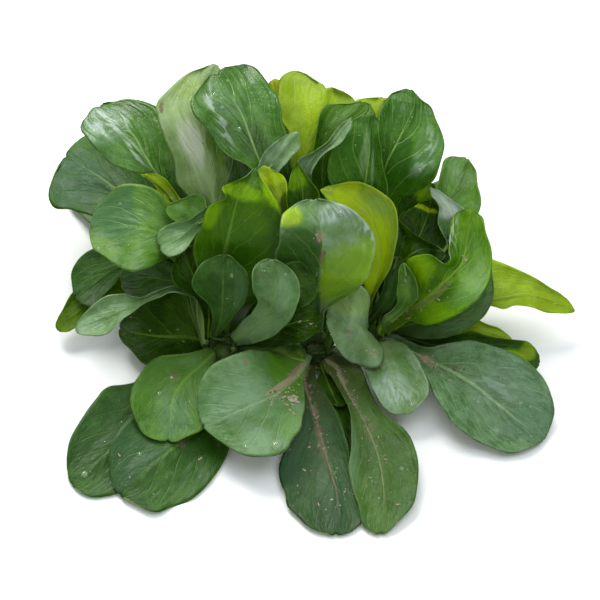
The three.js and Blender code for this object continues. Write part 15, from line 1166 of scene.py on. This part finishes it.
 "dusty_and_painted_sheen": {"vein": (0.2623, 0.4125, 0.15), "rim": (0.2705, 0.4233, 0.1413), "foot": (0.0685, 0.1221, 0.0212), "under": (0.1812, 0.305, 0.0685), "undervein": (0.3419, 0.4793, 0.15), "trans": (0.2623, 0.5457, 0.0015), "sheen": 0.02, "spec": 0.2, "ms": 0.5, "r0": 0.36, "r1": 0.52, "net": 0.05, "rs": 0.34, "c1": (0.0802, 0.1812, 0.0452), "c2": (0.1274, 0.2462, 0.0844), "bloom_and_sky_sheen": 0.28, "bloom_and_sky_sheen_colour": (0.2542, 0.3916, 0.2542), "vs": 0.3, "rib": (0.305, 0.4125, 0.1878), "mw": 0.02, "dirt": 0.4, "dirtu": 0.42, "speck": 0.25, "tf": 0.18, "crinkle": 0.6},
 "under": {"vein": (0.3712, 0.5271, 0.1878), "rim": (0.2623, 0.4287, 0.0612), "foot": (0.2232, 0.3419, 0.0887), "under": (0.0612, 0.15, 0.0232), "undervein": (0.1878, 0.305, 0.0612), "trans": (0.2623, 0.5457, 0.0015), "sheen": 0.0, "spec": 0.4, "ms": 0.6, "r0": 0.36, "r1": 0.52, "net": 0.05, "rs": 0.34, "c1": (0.1878, 0.305, 0.0723), "c2": (0.3325, 0.4678, 0.1812), "bloom_and_sky_sheen": 0.3, "bloom_and_sky_sheen_colour": (0.4793, 0.6172, 0.3712), "tf": 0.3, "crinkle": 0.9},
}
SHOOTS = [(-27.77, -20.04), (3.57, -19.25), (21.51, -15.23)]
KEY, SKY, FRONT, WORLD, EXPOSURE = 21.5, 11.5, 2.9, 0.38, 0.0


# ---------------------------------------------------------------- surfaces
def catmull(xs, n):
    W = np.zeros((len(xs), n))
    for r, x in enumerate(xs):
        i = min(int(x), n-2); t = x-i
        w = (-.5*t+t*t-.5*t**3, 1-2.5*t*t+1.5*t**3, .5*t+2*t*t-1.5*t**3, -.5*t*t+.5*t**3)
        for k, q in zip((i-1, i, i+1, i+2), w):
            if k < 0: W[r, 0] += 2*q; W[r, 1] -= q
            elif k > n-1: W[r, n-1] += 2*q; W[r, n-2] -= q
            else: W[r, k] += q
    return W

XU = np.linspace(0, 1, NU)
_v = np.linspace(-1, 1, NV)
XV = np.sign(_v)*np.abs(_v)**1.12
WU = catmull(XU*(ROWS-1), ROWS)
WV = catmull((XV+1)/2*(COLS-1), COLS)

def unit(a):
    return a/np.maximum(np.linalg.norm(a, axis=-1, keepdims=True), 1e-9)

def middle(grid):
    G = np.array(grid, float).reshape(ROWS, COLS, 3)*0.01
    return np.einsum("ai,ijk,bj->abk", WU, G, WV)

def frame_of(S):
    du = np.gradient(S, axis=0); dv = np.gradient(S, axis=1)
    n = unit(np.cross(du, dv))
    return n

def smooth(a, b, x):
    t = np.clip((x-a)/(b-a), 0, 1)
    return t*t*(3-2*t)

SURF = {}
def leaf_object(name, grid, flip, phase, wave, look):
    S = middle(grid)
    n = frame_of(S)*flip
    half = np.concatenate([np.linalg.norm(S[:, :1]-S[:, NV//2:NV//2+1], axis=2).repeat(NV//2, 1),
                           np.linalg.norm(S[:, -1:]-S[:, NV//2:NV//2+1], axis=2).repeat(NV-NV//2, 1)], axis=1)
    mid = S[:, NV//2]
    s = np.concatenate([[0], np.cumsum(np.linalg.norm(np.diff(mid, axis=0), axis=1))])[:, None]
    L = s[-1, 0]
    q = np.abs(XV)[None, :]*half
    side = np.sign(XV)[None, :]
    u = XU[:, None]
    blade = smooth(0.18, 0.42, u)
    rnd = random.Random(phase)
    # side veins: they leave the midrib at a slant and bend forward
    p = 6.6+1.6*rnd.random()
    c = s-0.95*q+0.004*q*q+np.where(side > 0, 0.5*p, 0)+1.1*np.sin(0.35*q+rnd.random()*6)
    w = (c/p) % 1.0-0.5
    fade = smooth(0.4, 1.6, q)*smooth(1.0, 0.62, q/np.maximum(half, 1e-6))*smooth(1.0, 0.86, u)*blade
    vein = np.exp(-(w*p/0.55)**2)*fade
    quilt = -np.cos(2*math.pi*w)*fade*-0.5
    rib = np.exp(-(q/(0.55+0.5*(1-u)))**2)*smooth(1.0, 0.8, u)
    # gentle unevenness and a wavy rim
    ph = [rnd.random()*6.28 for _ in range(8)]
    bump = (np.sin(s/5.1+q*side/6.3+ph[0])+np.sin(s/8.7-q*side/4.1+ph[1])+0.6*np.sin(s/3.3+q*side/2.9+ph[2]))*0.15
    edge = np.abs(XV)[None, :]**4*smooth(0.15, 0.4, u)
    rimw = (np.sin(s/2.9+ph[3]+side*1.7)+0.7*np.sin(s/1.6+ph[4]+side))*0.24*wave*edge
    base = bump*wave*blade+rimw
    S = S+n*base[..., None]
    # the outline itself is a little uneven
    out = unit(S-S[:, NV//2:NV//2+1])
    S = S+out*((np.sin(s/1.9+ph[5]+side*2)*0.15+np.sin(s/3.6+ph[6]+side)*0.24)*edge)[..., None]
    n = frame_of(S)*flip
    t = BLADE_MM+(STALK_MM-BLADE_MM)*smooth(0.34, 0.0, u)+0*q
    t = t*np.sqrt(np.clip(1-np.abs(XV)[None, :]**5, 0, 1))
    endf = np.sqrt(np.clip(1-(np.clip((u-0.95)/0.05, 0, 1))**4, 0, 1))*np.sqrt(np.clip(1-(np.clip((0.02-u)/0.02, 0, 1))**4, 0, 1))
    t = t*endf
    up = S+n*(0.5*t-0.34*rib*endf-0.20*vein*endf+0.14*quilt*endf)[..., None]
    dn = S-n*(0.5*t+0.45*rib*endf*(0.4+0.6*blade)+0.14*vein*endf-0.10*quilt*endf)[..., None]
    top = lambda i, j: i*NV+j
    N = NU*NV
    inner = lambda i, j: N+(i-1)*(NV-2)+(j-1)
    bot = lambda i, j: top(i, j) if i in (0, NU-1) or j in (0, NV-1) else inner(i, j)
    V = np.vstack([up.reshape(-1, 3), dn[1:-1, 1:-1].reshape(-1, 3)])*MM
    V[:, 2] = np.maximum(V[:, 2], 0.03*MM)
    F = []; UV = []
    uu = XU; vv = (XV+1)/2
    ok = flip > 0
    for i in range(NU-1):
        for j in range(NV-1):
            a = (i, j), (i+1, j), (i+1, j+1), (i, j+1)
            t1 = a if ok else a[::-1]; t2 = a[::-1] if ok else a
            F.append([top(*k) for k in t1]); UV += [(uu[k[0]], vv[k[1]]) for k in t1]
            F.append([bot(*k) for k in t2]); UV += [(uu[k[0]], 1.0+vv[k[1]]) for k in t2]
    me = bpy.data.meshes.new(name)
    me.from_pydata(V.tolist(), [], F)
    uvl = me.uv_layers.new(name="UVMap")
    uvl.data.foreach_set("uv", np.array(UV, dtype=np.float32).ravel())
    me.polygons.foreach_set("use_smooth", [True]*len(me.polygons))
    me.update()
    ob = bpy.data.objects.new(name, me)
    bpy.context.scene.collection.objects.link(ob)
    SURF[name] = (up, n)
    return ob

# ---------------------------------------------------------------- materials
class Tree:
    def __init__(self, name):
        self.mat = bpy.data.materials.new(name); self.mat.use_nodes = True
        self.t = self.mat.node_tree; self.t.nodes.clear()
        self.out = self.t.nodes.new("ShaderNodeOutputMaterial")
    def put(self, sock, val):
        if isinstance(val, bpy.types.NodeSocket): self.t.links.new(val, sock)
        elif isinstance(val, (tuple, list)) and sock.type == "RGBA": sock.default_value = (*val[:3], 1.0)
        else: sock.default_value = val
    def m(self, op, a, b=0.0, c=0.0, clamp=False):
        n = self.t.nodes.new("ShaderNodeMath"); n.operation = op; n.use_clamp = clamp
        self.put(n.inputs[0], a); self.put(n.inputs[1], b)
        if len(n.inputs) > 2: self.put(n.inputs[2], c)
        return n.outputs[0]
    def range(self, v, a, b, c=0.0, d=1.0):
        n = self.t.nodes.new("ShaderNodeMapRange"); n.interpolation_type = "SMOOTHSTEP"
        for k, x in enumerate((v, a, b, c, d)): self.put(n.inputs[k], x)
        return n.outputs[0]
    def mix(self, f, a, b):
        n = self.t.nodes.new("ShaderNodeMix"); n.data_type = "RGBA"
        self.put(n.inputs[0], f); self.put(n.inputs[6], a); self.put(n.inputs[7], b)
        return n.outputs[2]
    def noise(self, vec, scale, detail=3.0, rough=0.5):
        n = self.t.nodes.new("ShaderNodeTexNoise"); n.inputs["Scale"].default_value = scale
        n.inputs["Detail"].default_value = detail; n.inputs["Roughness"].default_value = rough
        self.t.links.new(vec, n.inputs["Vector"])
        return n.outputs[0]
    def join(self, x, y, z=0.0):
        n = self.t.nodes.new("ShaderNodeCombineXYZ")
        for k, v in enumerate((x, y, z)): self.put(n.inputs[k], v)
        return n.outputs[0]
    def coord(self, kind):
        n = self.t.nodes.new("ShaderNodeTexCoord"); return n.outputs[kind]
    def split(self, v):
        n = self.t.nodes.new("ShaderNodeSeparateXYZ"); self.t.links.new(v, n.inputs[0]); return n.outputs
    def principled(self, **k):
        n = self.t.nodes.new("ShaderNodeBsdfPrincipled")
        for a, b in k.items(): self.put(n.inputs[a.replace("_", " ")], b)
        return n
    def bump(self, h, strength, dist=0.0004):
        n = self.t.nodes.new("ShaderNodeBump"); n.inputs["Strength"].default_value = strength; n.inputs["Distance"].default_value = dist
        self.t.links.new(h, n.inputs["Height"]); return n.outputs[0]

def leaf_material(name, L, patches=()):
    T = Tree(name)
    uv = T.split(T.coord("UV")); U = uv[0]
    under = T.m("GREATER_THAN", uv[1], 1.0)
    V = T.m("SUBTRACT", uv[1], under)
    ob = T.coord("Object")
    n1 = T.noise(ob, 55.0, 3.0, 0.55); n2 = T.noise(ob, 260.0, 4.0, 0.6); n3 = T.noise(ob, 1100.0, 2.0, 0.5)
    half = T.m("ABSOLUTE", T.m("SUBTRACT", V, 0.5))                  # 0 on the midrib, 0.5 at the edge
    # base mottling
    col = T.mix(T.range(T.m("ADD", n1, T.m("MULTIPLY", T.m("SUBTRACT", n2, 0.5), 0.5)), 0.35, 0.68), L["c1"], L["c2"])
    # along the leaf: foot to tip
    col = T.mix(T.range(U, 0.42, 0.1, 0.0, 0.85), col, L["foot"])
    tip = L.get("tip")
    if tip: col = T.mix(T.range(U, 0.55, 1.0, 0.0, 0.8), col, tip)
    sa, sb = L.get("sa"), L.get("sb")                                 # a different tone on either half
    if sa: col = T.mix(T.range(T.m("ADD", V, T.m("MULTIPLY", T.m("SUBTRACT", n1, 0.5), 0.25)), 0.55, 0.40, 0.0, 0.85), col, sa)
    if sb: col = T.mix(T.range(T.m("ADD", V, T.m("MULTIPLY", T.m("SUBTRACT", n1, 0.5), 0.25)), 0.45, 0.60, 0.0, 0.85), col, sb)
    # uneven pale streaks: partly a waxy coat, partly painted sky reflection (a painted pale bluish sheen)
    bl = L.get("bloom_and_sky_sheen", 0.25)
    if bl > 0:
        streak = T.noise(ob, 130.0, 5.0, 0.7)
        col = T.mix(T.m("MULTIPLY", T.range(streak, 0.40, 0.75), bl), col, L.get("bloom_and_sky_sheen_colour", (0.42, 0.52, 0.44)))
    # patches: painted shade, painted backlit glow, painted light on shaded parts, and real spots, dirt and midribs;
    # those with a negative amount are painted sheen (painted highlights) and are laid on last
    sheen = []
    for (pu, pv, ru, rv, pc, amt, half_of) in patches:
        a = T.m("DIVIDE", T.m("SUBTRACT", U, pu), ru); b = T.m("DIVIDE", T.m("SUBTRACT", V, pv), rv)
        d = T.m("SQRT", T.m("ADD", T.m("MULTIPLY", a, a), T.m("MULTIPLY", b, b)))
        d = T.m("ADD", d, T.m("ADD", T.m("MULTIPLY", T.m("SUBTRACT", n1, 0.5), 0.7), T.m("MULTIPLY", T.m("SUBTRACT", n2, 0.5), 0.6)))
        if half_of: d = T.m("ADD", d, T.range(T.m("MULTIPLY", T.m("ADD", T.m("SUBTRACT", V, 0.5), T.m("MULTIPLY", T.m("SUBTRACT", n2, 0.5), 0.06)), half_of), 0.02, -0.03, 0.0, 2.0))
        if amt < 0: sheen.append((d, -amt, pc))
        else: col = T.mix(T.range(d, 1.15, 0.58, 0.0, amt), col, pc)
    # side veins
    side = T.m("GREATER_THAN", V, 0.5)
    ph = T.m("ADD", T.m("SUBTRACT", T.m("MULTIPLY", U, 6.4), T.m("MULTIPLY", half, 4.6)), T.m("ADD", T.m("MULTIPLY", side, 0.5), T.m("MULTIPLY", n1, 0.9)))
    w = T.m("ABSOLUTE", T.m("SUBTRACT", T.m("FRACT", ph), 0.5))
    vm = T.m("MULTIPLY", T.range(w, 0.06, 0.0), T.m("MULTIPLY", T.range(half, 0.46, 0.30), T.range(U, 0.25, 0.42)))
    # net of fine veins
    vor = T.t.nodes.new("ShaderNodeTexVoronoi"); vor.feature = "DISTANCE_TO_EDGE"; vor.inputs["Scale"].default_value = 420.0
    T.t.links.new(ob, vor.inputs["Vector"])
    net = T.m("MULTIPLY", T.range(vor.outputs["Distance"], 0.10, 0.0), T.range(U, 0.2, 0.4))
    col = T.mix(T.m("MULTIPLY", net, L.get("net", 0.16)), col, L["vein"])
    col = T.mix(T.m("MULTIPLY", vm, L.get("vs", 0.45)), col, L["vein"])
    # midrib, wider at the foot
    mw = T.range(U, 0.0, 1.0, L.get("mw", 0.05), 0.009)
    mw2 = T.m("ADD", mw, T.range(U, 0.28, 0.0, 0.0, 0.12))
    mr = T.range(T.m("DIVIDE", half, mw2), 1.0, 0.35)
    col = T.mix(T.m("MULTIPLY", mr, T.range(U, 1.0, 0.7, 0.0, L.get("ms", 0.6))), col, L.get("rib", L["vein"]))
    # rim: a paler margin, partly a painted rim highlight
    rim = T.range(T.m("ADD", half, T.m("MULTIPLY", T.m("SUBTRACT", n2, 0.5), 0.03)), L.get("rimw", 0.475), 0.497)
    col = T.mix(T.m("MULTIPLY", rim, L.get("rs", 0.5)), col, L["rim"])
    # blisters between the veins: painted shade darkens the blister hollows, where wr is low and the bump sinks, and
    # painted sheen breaks up on the raised parts
    wr = T.noise(T.join(T.m("MULTIPLY", ph, 1.5), T.m("MULTIPLY", half, 8.0), T.m("MULTIPLY", side, 3.0)), 1.6, 1.2, 0.4)
    col = T.mix(T.m("MULTIPLY", T.range(wr, 0.52, 0.36), T.m("MULTIPLY", T.range(U, 0.25, 0.45), 0.20*min(1.3, L.get("crinkle", 0.5)))), col, L.get("dark", tuple(0.55*x for x in L["c1"])))
    # painted sheen: pale highlight streaks on the raised blister tops
    for d, amt, pc in sheen:
        painted_sheen_mask = T.m("MULTIPLY", T.range(d, 1.15, 0.35), T.range(T.m("ADD", wr, T.m("MULTIPLY", T.m("SUBTRACT", n2, 0.5), 0.35)), 0.47, 0.60))
        col = T.mix(T.m("MULTIPLY", painted_sheen_mask, amt), col, pc)
    # dirt along the midrib near the foot; then small specks in each look's speck colour
    dt = L.get("dirt", 0.0)
    if dt > 0:
        dm = T.m("MULTIPLY", T.range(T.m("ADD", half, T.m("MULTIPLY", T.m("SUBTRACT", n2, 0.5), 0.35)), 0.15, 0.02), T.range(U, L.get("dirtu", 0.62), 0.2))
        dm = T.m("MULTIPLY", dm, T.range(T.noise(ob, 420.0, 4.0, 0.7), 0.42, 0.58))
        col = T.mix(T.m("MULTIPLY", dm, dt), col, (0.30, 0.20, 0.155))
    sp = L.get("speck", 0.10)
    spn = T.noise(ob, 800.0, 2.0, 0.4)
    col = T.mix(T.range(spn, 0.70, 0.76, 0.0, sp), col, L.get("specc", (0.40, 0.33, 0.24)))
    # underside: paler, duller
    ucol = T.mix(T.m("MULTIPLY", mr, 0.6), L.get("under", (0.20, 0.32, 0.13)), L.get("undervein", (0.38, 0.48, 0.26)))
    ucol = T.mix(T.m("MULTIPLY", vm, 0.5), ucol, L.get("undervein", (0.38, 0.48, 0.26)))
    ucol = T.mix(T.range(n1, 0.35, 0.7, 0.0, 0.4), ucol, L["c1"])
    col = T.mix(under, col, ucol)
    rough = T.m("ADD", T.range(n2, 0.3, 0.7, L.get("r0", 0.34), L.get("r1", 0.50)), T.m("MULTIPLY", under, 0.15))
    hgt = T.m("ADD", T.m("MULTIPLY", n3, 0.25), T.m("ADD", T.m("MULTIPLY", n2, 1.1), T.m("MULTIPLY", T.m("ADD", vm, T.m("MULTIPLY", net, 0.14)), -0.5)))
    hgt = T.m("ADD", hgt, T.m("MULTIPLY", T.m("MULTIPLY", wr, T.range(U, 0.25, 0.45)), 2.0*L.get("crinkle", 0.5)))
    nor = T.bump(hgt, L.get("bump", 0.5), 0.0006)
    P = T.principled(Base_Color=col, Roughness=rough, Normal=nor)
    P.inputs["Specular IOR Level"].default_value = L.get("spec", 0.5)
    P.inputs["Sheen Weight"].default_value = L.get("sheen", 0.12)
    P.inputs["Sheen Roughness"].default_value = 0.45
    P.inputs["Sheen Tint"].default_value = (0.85, 0.95, 0.9, 1)
    tr = T.t.nodes.new("ShaderNodeBsdfTranslucent")
    tcol = T.mix(0.55, col, L.get("trans", (0.30, 0.50, 0.03)))
    T.t.links.new(tcol, tr.inputs["Color"]); T.t.links.new(nor, tr.inputs["Normal"])
    ms = T.t.nodes.new("ShaderNodeMixShader"); ms.inputs[0].default_value = L.get("tf", 0.28)
    T.t.links.new(P.outputs[0], ms.inputs[1]); T.t.links.new(tr.outputs[0], ms.inputs[2])
    T.t.links.new(ms.outputs[0], T.out.inputs[0])
    return T.mat

# ---------------------------------------------------------------- leaves
shared = {}
objs = {}
for name, key, look, flip, wave, phase, grid in LEAVES:
    ob = leaf_object(name+"_fine", grid, flip, phase, wave, look)
    pts = PATCHES.get(key, ())
    mk = look if not pts else key
    if mk not in shared: shared[mk] = leaf_material("leaf_"+mk, LOOKS[look], pts)
    ob.data.materials.append(shared[mk])
    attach(ob, "root"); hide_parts(name)
    objs[key] = ob

def at(key, u, v):
    up, n = SURF[objs[key].name]
    i = u*(NU-1); j = np.interp(v*2-1, XV, np.arange(NV))
    i0 = min(int(i), NU-2); j0 = min(int(j), NV-2); a = i-i0; b = j-j0
    P = up[i0, j0]*(1-a)*(1-b)+up[i0+1, j0]*a*(1-b)+up[i0, j0+1]*(1-a)*b+up[i0+1, j0+1]*a*b
    return P, unit(n[i0, j0]), unit(up[i0+1, j0]-up[i0, j0])

# ---------------------------------------------------------------- crown
def crown_surface():
    V = []; F = []
    def ring_stack(cx, cy, prof, seed, sides=40):
        r = random.Random(seed); a0 = len(V)
        ph = [r.random()*6.28 for _ in range(5)]
        for z, rad in prof:
            for k in range(sides):
                a = 2*math.pi*k/sides
                f = 0.97+0.16*(abs(math.sin(3.5*a+ph[0]+z*0.12))-0.6)*min(1, z/2.5)+0.03*math.sin(17*a+ph[2])
                V.append((cx+rad*f*math.cos(a), cy+rad*f*math.sin(a), z))
        n = len(prof)
        for i in range(n-1):
            for k in range(sides):
                k2 = (k+1) % sides
                F.append((a0+i*sides+k, a0+i*sides+k2, a0+(i+1)*sides+k2, a0+(i+1)*sides+k))
        V.append((cx, cy, prof[0][0])); V.append((cx, cy, prof[-1][0]+0.2)); b, t = len(V)-2, len(V)-1
        for k in range(sides):
            k2 = (k+1) % sides
            F.append((b, a0+k2, a0+k)); F.append((t, a0+(n-1)*sides+k, a0+(n-1)*sides+k2))
    for i, (cx, cy) in enumerate(SHOOTS):
        ring_stack(cx, cy, [(0.02, 4.5), (0.4, 4.8), (1.2, 4.7), (2.2, 4.3), (3.2, 3.9), (4.2, 3.5), (5.0, 3.0), (5.6, 2.3), (6.0, 1.2)], 11+i)
    def sheath(cx, cy, a, lean, tall, seed):
        r = random.Random(seed); a0 = len(V); n, m = 12, 14
        ca, sa = math.cos(a), math.sin(a); tw = r.uniform(-0.25, 0.25)
        for i in range(n+1):
            t = i/n; h = 0.05+tall*t; out = 3.0+lean*t*t; w = 2.5*math.sqrt(max(0.0, 1-(t*0.96)**3)); th = 0.75*(1-0.55*t)+0.1
            for k in range(m):
                q = 2*math.pi*k/m
                y = w*math.cos(q)*(1+0.05*math.sin(3*t*6+seed)); x = out-0.13*y*y/max(out, 1)+th*math.sin(q)*(1+0.10*math.cos(5*q))+tw*y
                V.append((cx+ca*x-sa*y, cy+sa*x+ca*y, max(0.02, h+0.15*math.sin(q))))
        for i in range(n):
            for k in range(m):
                q = (k+1) % m
                F.append((a0+i*m+k, a0+i*m+q, a0+(i+1)*m+q, a0+(i+1)*m+k))
        F.append(tuple(a0+k for k in reversed(range(m)))); F.append(tuple(a0+n*m+k for k in range(m)))
    for i, (cx, cy) in enumerate(SHOOTS):
        for k in range(9):
            sheath(cx, cy, 2*math.pi*(k+0.35*(k % 2))/9+i, (2.4, 3.4, 2.8)[k % 3], (7.6, 6.0, 8.4)[k % 3], 31*i+k)
    sheath(*SHOOTS[1], -1.45, 6.4, 4.2, 211); sheath(*SHOOTS[1], 2.5, 4.6, 5.2, 212); sheath(*SHOOTS[1], 1.57, 0.9, 10.2, 214); sheath(*SHOOTS[1], 3.05, 4.4, 5.4, 215); sheath(*SHOOTS[1], -1.95, 5.6, 3.6, 216); sheath(*SHOOTS[1], 0.55, 4.6, 5.4, 213)
    for i in range(2):
        (x0, y0), (x1, y1) = SHOOTS[i], SHOOTS[i+1]
        L = math.hypot(x1-x0, y1-y0); ca, sa = (x1-x0)/L, (y1-y0)/L; a0 = len(V); m = 24; k2 = 16
        for a in range(m+1):
            s = a/m*L
            for k in range(k2):
                t = 2*math.pi*k/k2
                y = 3.0*math.cos(t)*(1+0.06*math.sin(s*0.9+i)); z = 1.1+1.05*math.sin(t)*(1+0.05*math.sin(s*1.3+k))
                V.append((x0+ca*s-sa*y, y0+sa*s+ca*y, max(z, 0.03)))
        for a in range(m):
            for k in range(k2):
                q = (k+1) % k2
                F.append((a0+a*k2+k, a0+(a+1)*k2+k, a0+(a+1)*k2+q, a0+a*k2+q))
        F.append(tuple(a0+k for k in range(k2))); F.append(tuple(a0+m*k2+k for k in reversed(range(k2))))
    me = bpy.data.meshes.new("crown_fine"); me.from_pydata([(x*MM, y*MM, z*MM) for x, y, z in V], [], F); me.update()
    me.polygons.foreach_set("use_smooth", [True]*len(me.polygons))
    ob = bpy.data.objects.new("crown_fine", me); bpy.context.scene.collection.objects.link(ob)
    T = Tree("crown_tissue"); o = T.coord("Object"); xyz = T.split(o)
    c = T.mix(T.range(T.noise(o, 160.0, 4.0), 0.35, 0.65), (0.060, 0.125, 0.006), (0.024, 0.058, 0.003))
    c = T.mix(T.range(xyz[2], 0.0022, 0.0004), c, (0.16, 0.12, 0.07))
    c = T.mix(T.range(T.noise(o, 500.0, 3.0), 0.60, 0.70, 0.0, 0.6), c, (0.13, 0.09, 0.065))
    P = T.principled(Base_Color=c, Roughness=0.7, Normal=T.bump(T.noise(o, 420.0, 4.0), 0.5, 0.0006))
    T.t.links.new(P.outputs[0], T.out.inputs[0]); me.materials.append(T.mat)
    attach(ob, "root"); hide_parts("crown")
crown_surface()

# ---------------------------------------------------------------- drops and grains
def ico(sub):
    t = (1+5**0.5)/2
    v = [(-1, t, 0), (1, t, 0), (-1, -t, 0), (1, -t, 0), (0, -1, t), (0, 1, t), (0, -1, -t), (0, 1, -t), (t, 0, -1), (t, 0, 1), (-t, 0, -1), (-t, 0, 1)]
    v = [np.array(p)/np.linalg.norm(p) for p in v]
    f = [(0, 11, 5), (0, 5, 1), (0, 1, 7), (0, 7, 10), (0, 10, 11), (1, 5, 9), (5, 11, 4), (11, 10, 2), (10, 7, 6), (7, 1, 8), (3, 9, 4), (3, 4, 2), (3, 2, 6), (3, 6, 8), (3, 8, 9), (4, 9, 5), (2, 4, 11), (6, 2, 10), (8, 6, 7), (9, 8, 1)]
    for _ in range(sub):
        g = []; mid = {}
        def m(a, b):
            k = (min(a, b), max(a, b))
            if k not in mid: p = v[a]+v[b]; v.append(p/np.linalg.norm(p)); mid[k] = len(v)-1
            return mid[k]
        for a, b, c in f:
            ab, bc, ca = m(a, b), m(b, c), m(c, a); g += [(a, ab, ca), (b, bc, ab), (c, ca, bc), (ab, bc, ca)]
        f = g
    return np.array(v), f

def scatter(name, items, mat, shape, sub, smooth_=True):
    V0, F0 = ico(sub); V = []; F = []
    rnd = random.Random(5)
    for key, u, v, r in items:
        P, n, t = at(key, u, v); b = unit(np.cross(n, t)); t = np.cross(b, n)
        a = rnd.random()*6.28; t, b = t*math.cos(a)+b*math.sin(a), b*math.cos(a)-t*math.sin(a)
        W = shape(V0, rnd)*r
        k = len(V); V += (P+W[:, 0:1]*t+W[:, 1:2]*b+W[:, 2:3]*n).tolist(); F += [tuple(q+k for q in f) for f in F0]
    me = bpy.data.meshes.new(name); me.from_pydata((np.array(V)*MM).tolist(), [], F); me.update()
    me.polygons.foreach_set("use_smooth", [smooth_]*len(me.polygons))
    me.materials.append(mat)
    ob = bpy.data.objects.new(name, me); bpy.context.scene.collection.objects.link(ob)
    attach(ob, "root")
    return ob

def drop_shape(V0, rnd):
    W = V0*np.array([1+0.12*rnd.random(), 1-0.1*rnd.random(), 0.55]); W[:, 2] = np.maximum(W[:, 2], -0.12)+0.04
    return W
def grain_shape(V0, rnd):
    d = np.array([1+0.5*rnd.random(), 0.8+0.3*rnd.random(), 0.5+0.3*rnd.random()])
    k = np.array([[rnd.random() for _ in range(3)] for _ in range(2)])-0.5
    return V0*d*(1+0.35*np.sin(V0@(k.T*9)).sum(1, keepdims=True)*0.5)
def flake_shape(V0, rnd):
    d = np.array([1.0+0.9*rnd.random(), 0.45+0.35*rnd.random(), 0.28+0.2*rnd.random()])
    k = np.array([[rnd.random() for _ in range(3)] for _ in range(2)])-0.5
    W = V0*d*(1+0.3*np.sin(V0@(k.T*9)).sum(1, keepdims=True)*0.5)
    W[:, 2] += 0.18*W[:, 0]**2
    return W

T = Tree("water"); P = T.principled(Base_Color=(0.32, 0.48, 0.25), Roughness=0.03, Alpha=0.32)
P.inputs["Specular IOR Level"].default_value = 0.9
T.t.links.new(P.outputs[0], T.out.inputs[0]); water = T.mat
scatter("water_drops", DROPS, water, drop_shape, 2)
KINDS = {"sand": ((0.34, 0.29, 0.20), 0.85), "soil": ((0.15, 0.10, 0.07), 0.9), "chaff": ((0.40, 0.34, 0.24), 0.85)}
for kind, (c, r) in KINDS.items():
    T = Tree(kind); o = T.coord("Object")
    P = T.principled(Base_Color=T.mix(T.range(T.noise(o, 900.0), 0.35, 0.65), c, tuple(0.62*x for x in c)), Roughness=r)
    T.t.links.new(P.outputs[0], T.out.inputs[0])
    its = [g[:4] for g in GRAINS if g[4] == kind]
    if its: scatter("grains_"+kind, its, T.mat, flake_shape if kind == "chaff" else grain_shape, 1, False)

# ---------------------------------------------------------------- floor, lights, camera
me = bpy.data.meshes.new("floor"); s = 3.0
me.from_pydata([(-s, -s, 0), (s, -s, 0), (s, s, 0), (-s, s, 0)], [], [(0, 1, 2, 3)]); me.update()
floor = bpy.data.objects.new("floor", me); bpy.context.scene.collection.objects.link(floor)
T = Tree("floor_paint"); P = T.principled(Base_Color=(0.84, 0.84, 0.84), Roughness=0.85)
T.t.links.new(P.outputs[0], T.out.inputs[0]); me.materials.append(T.mat)

def area(name, loc, target, size, energy, color=(1, 1, 1)):
    d = bpy.data.lights.new(name, "AREA"); d.shape = "SQUARE"; d.size = size; d.energy = energy; d.color = color
    o = bpy.data.objects.new(name, d); bpy.context.scene.collection.objects.link(o)
    from mathutils import Vector
    o.location = loc; o.rotation_euler = (Vector(target)-Vector(loc)).to_track_quat("-Z", "Y").to_euler()
    return o
area("key", (-0.38, 0.88, 0.98), (0, 0, 0.03), 0.7, KEY, (1.0, 0.99, 0.97))
area("sky", (0.35, -0.05, 1.3), (0, 0, 0.03), 1.3, SKY, (0.90, 0.96, 1.0))
area("front", (-0.2, -1.1, 0.75), (0, 0, 0.03), 0.8, FRONT, (1.0, 1.0, 1.0))
w = bpy.data.worlds.new("studio"); bpy.context.scene.world = w; w.use_nodes = True
w.node_tree.nodes["Background"].inputs[0].default_value = (0.93, 0.97, 1.0, 1); w.node_tree.nodes["Background"].inputs[1].default_value = WORLD

cam = bpy.data.cameras.new("camera"); cam.sensor_width = 36.0; cam.sensor_fit = "HORIZONTAL"
cam.lens = FOCAL_PX*36.0/600.0; cam.clip_start = 0.01; cam.clip_end = 20
co = bpy.data.objects.new("camera", cam); bpy.context.scene.collection.objects.link(co)
co.location = [c*MM for c in CAMERA_MM]; co.rotation_euler = (math.radians(90-CAMERA_DOWN_DEG), 0, 0)
bpy.context.scene.camera = co
bpy.context.scene.view_settings.view_transform = "Standard"
bpy.context.scene.view_settings.exposure = EXPOSURE
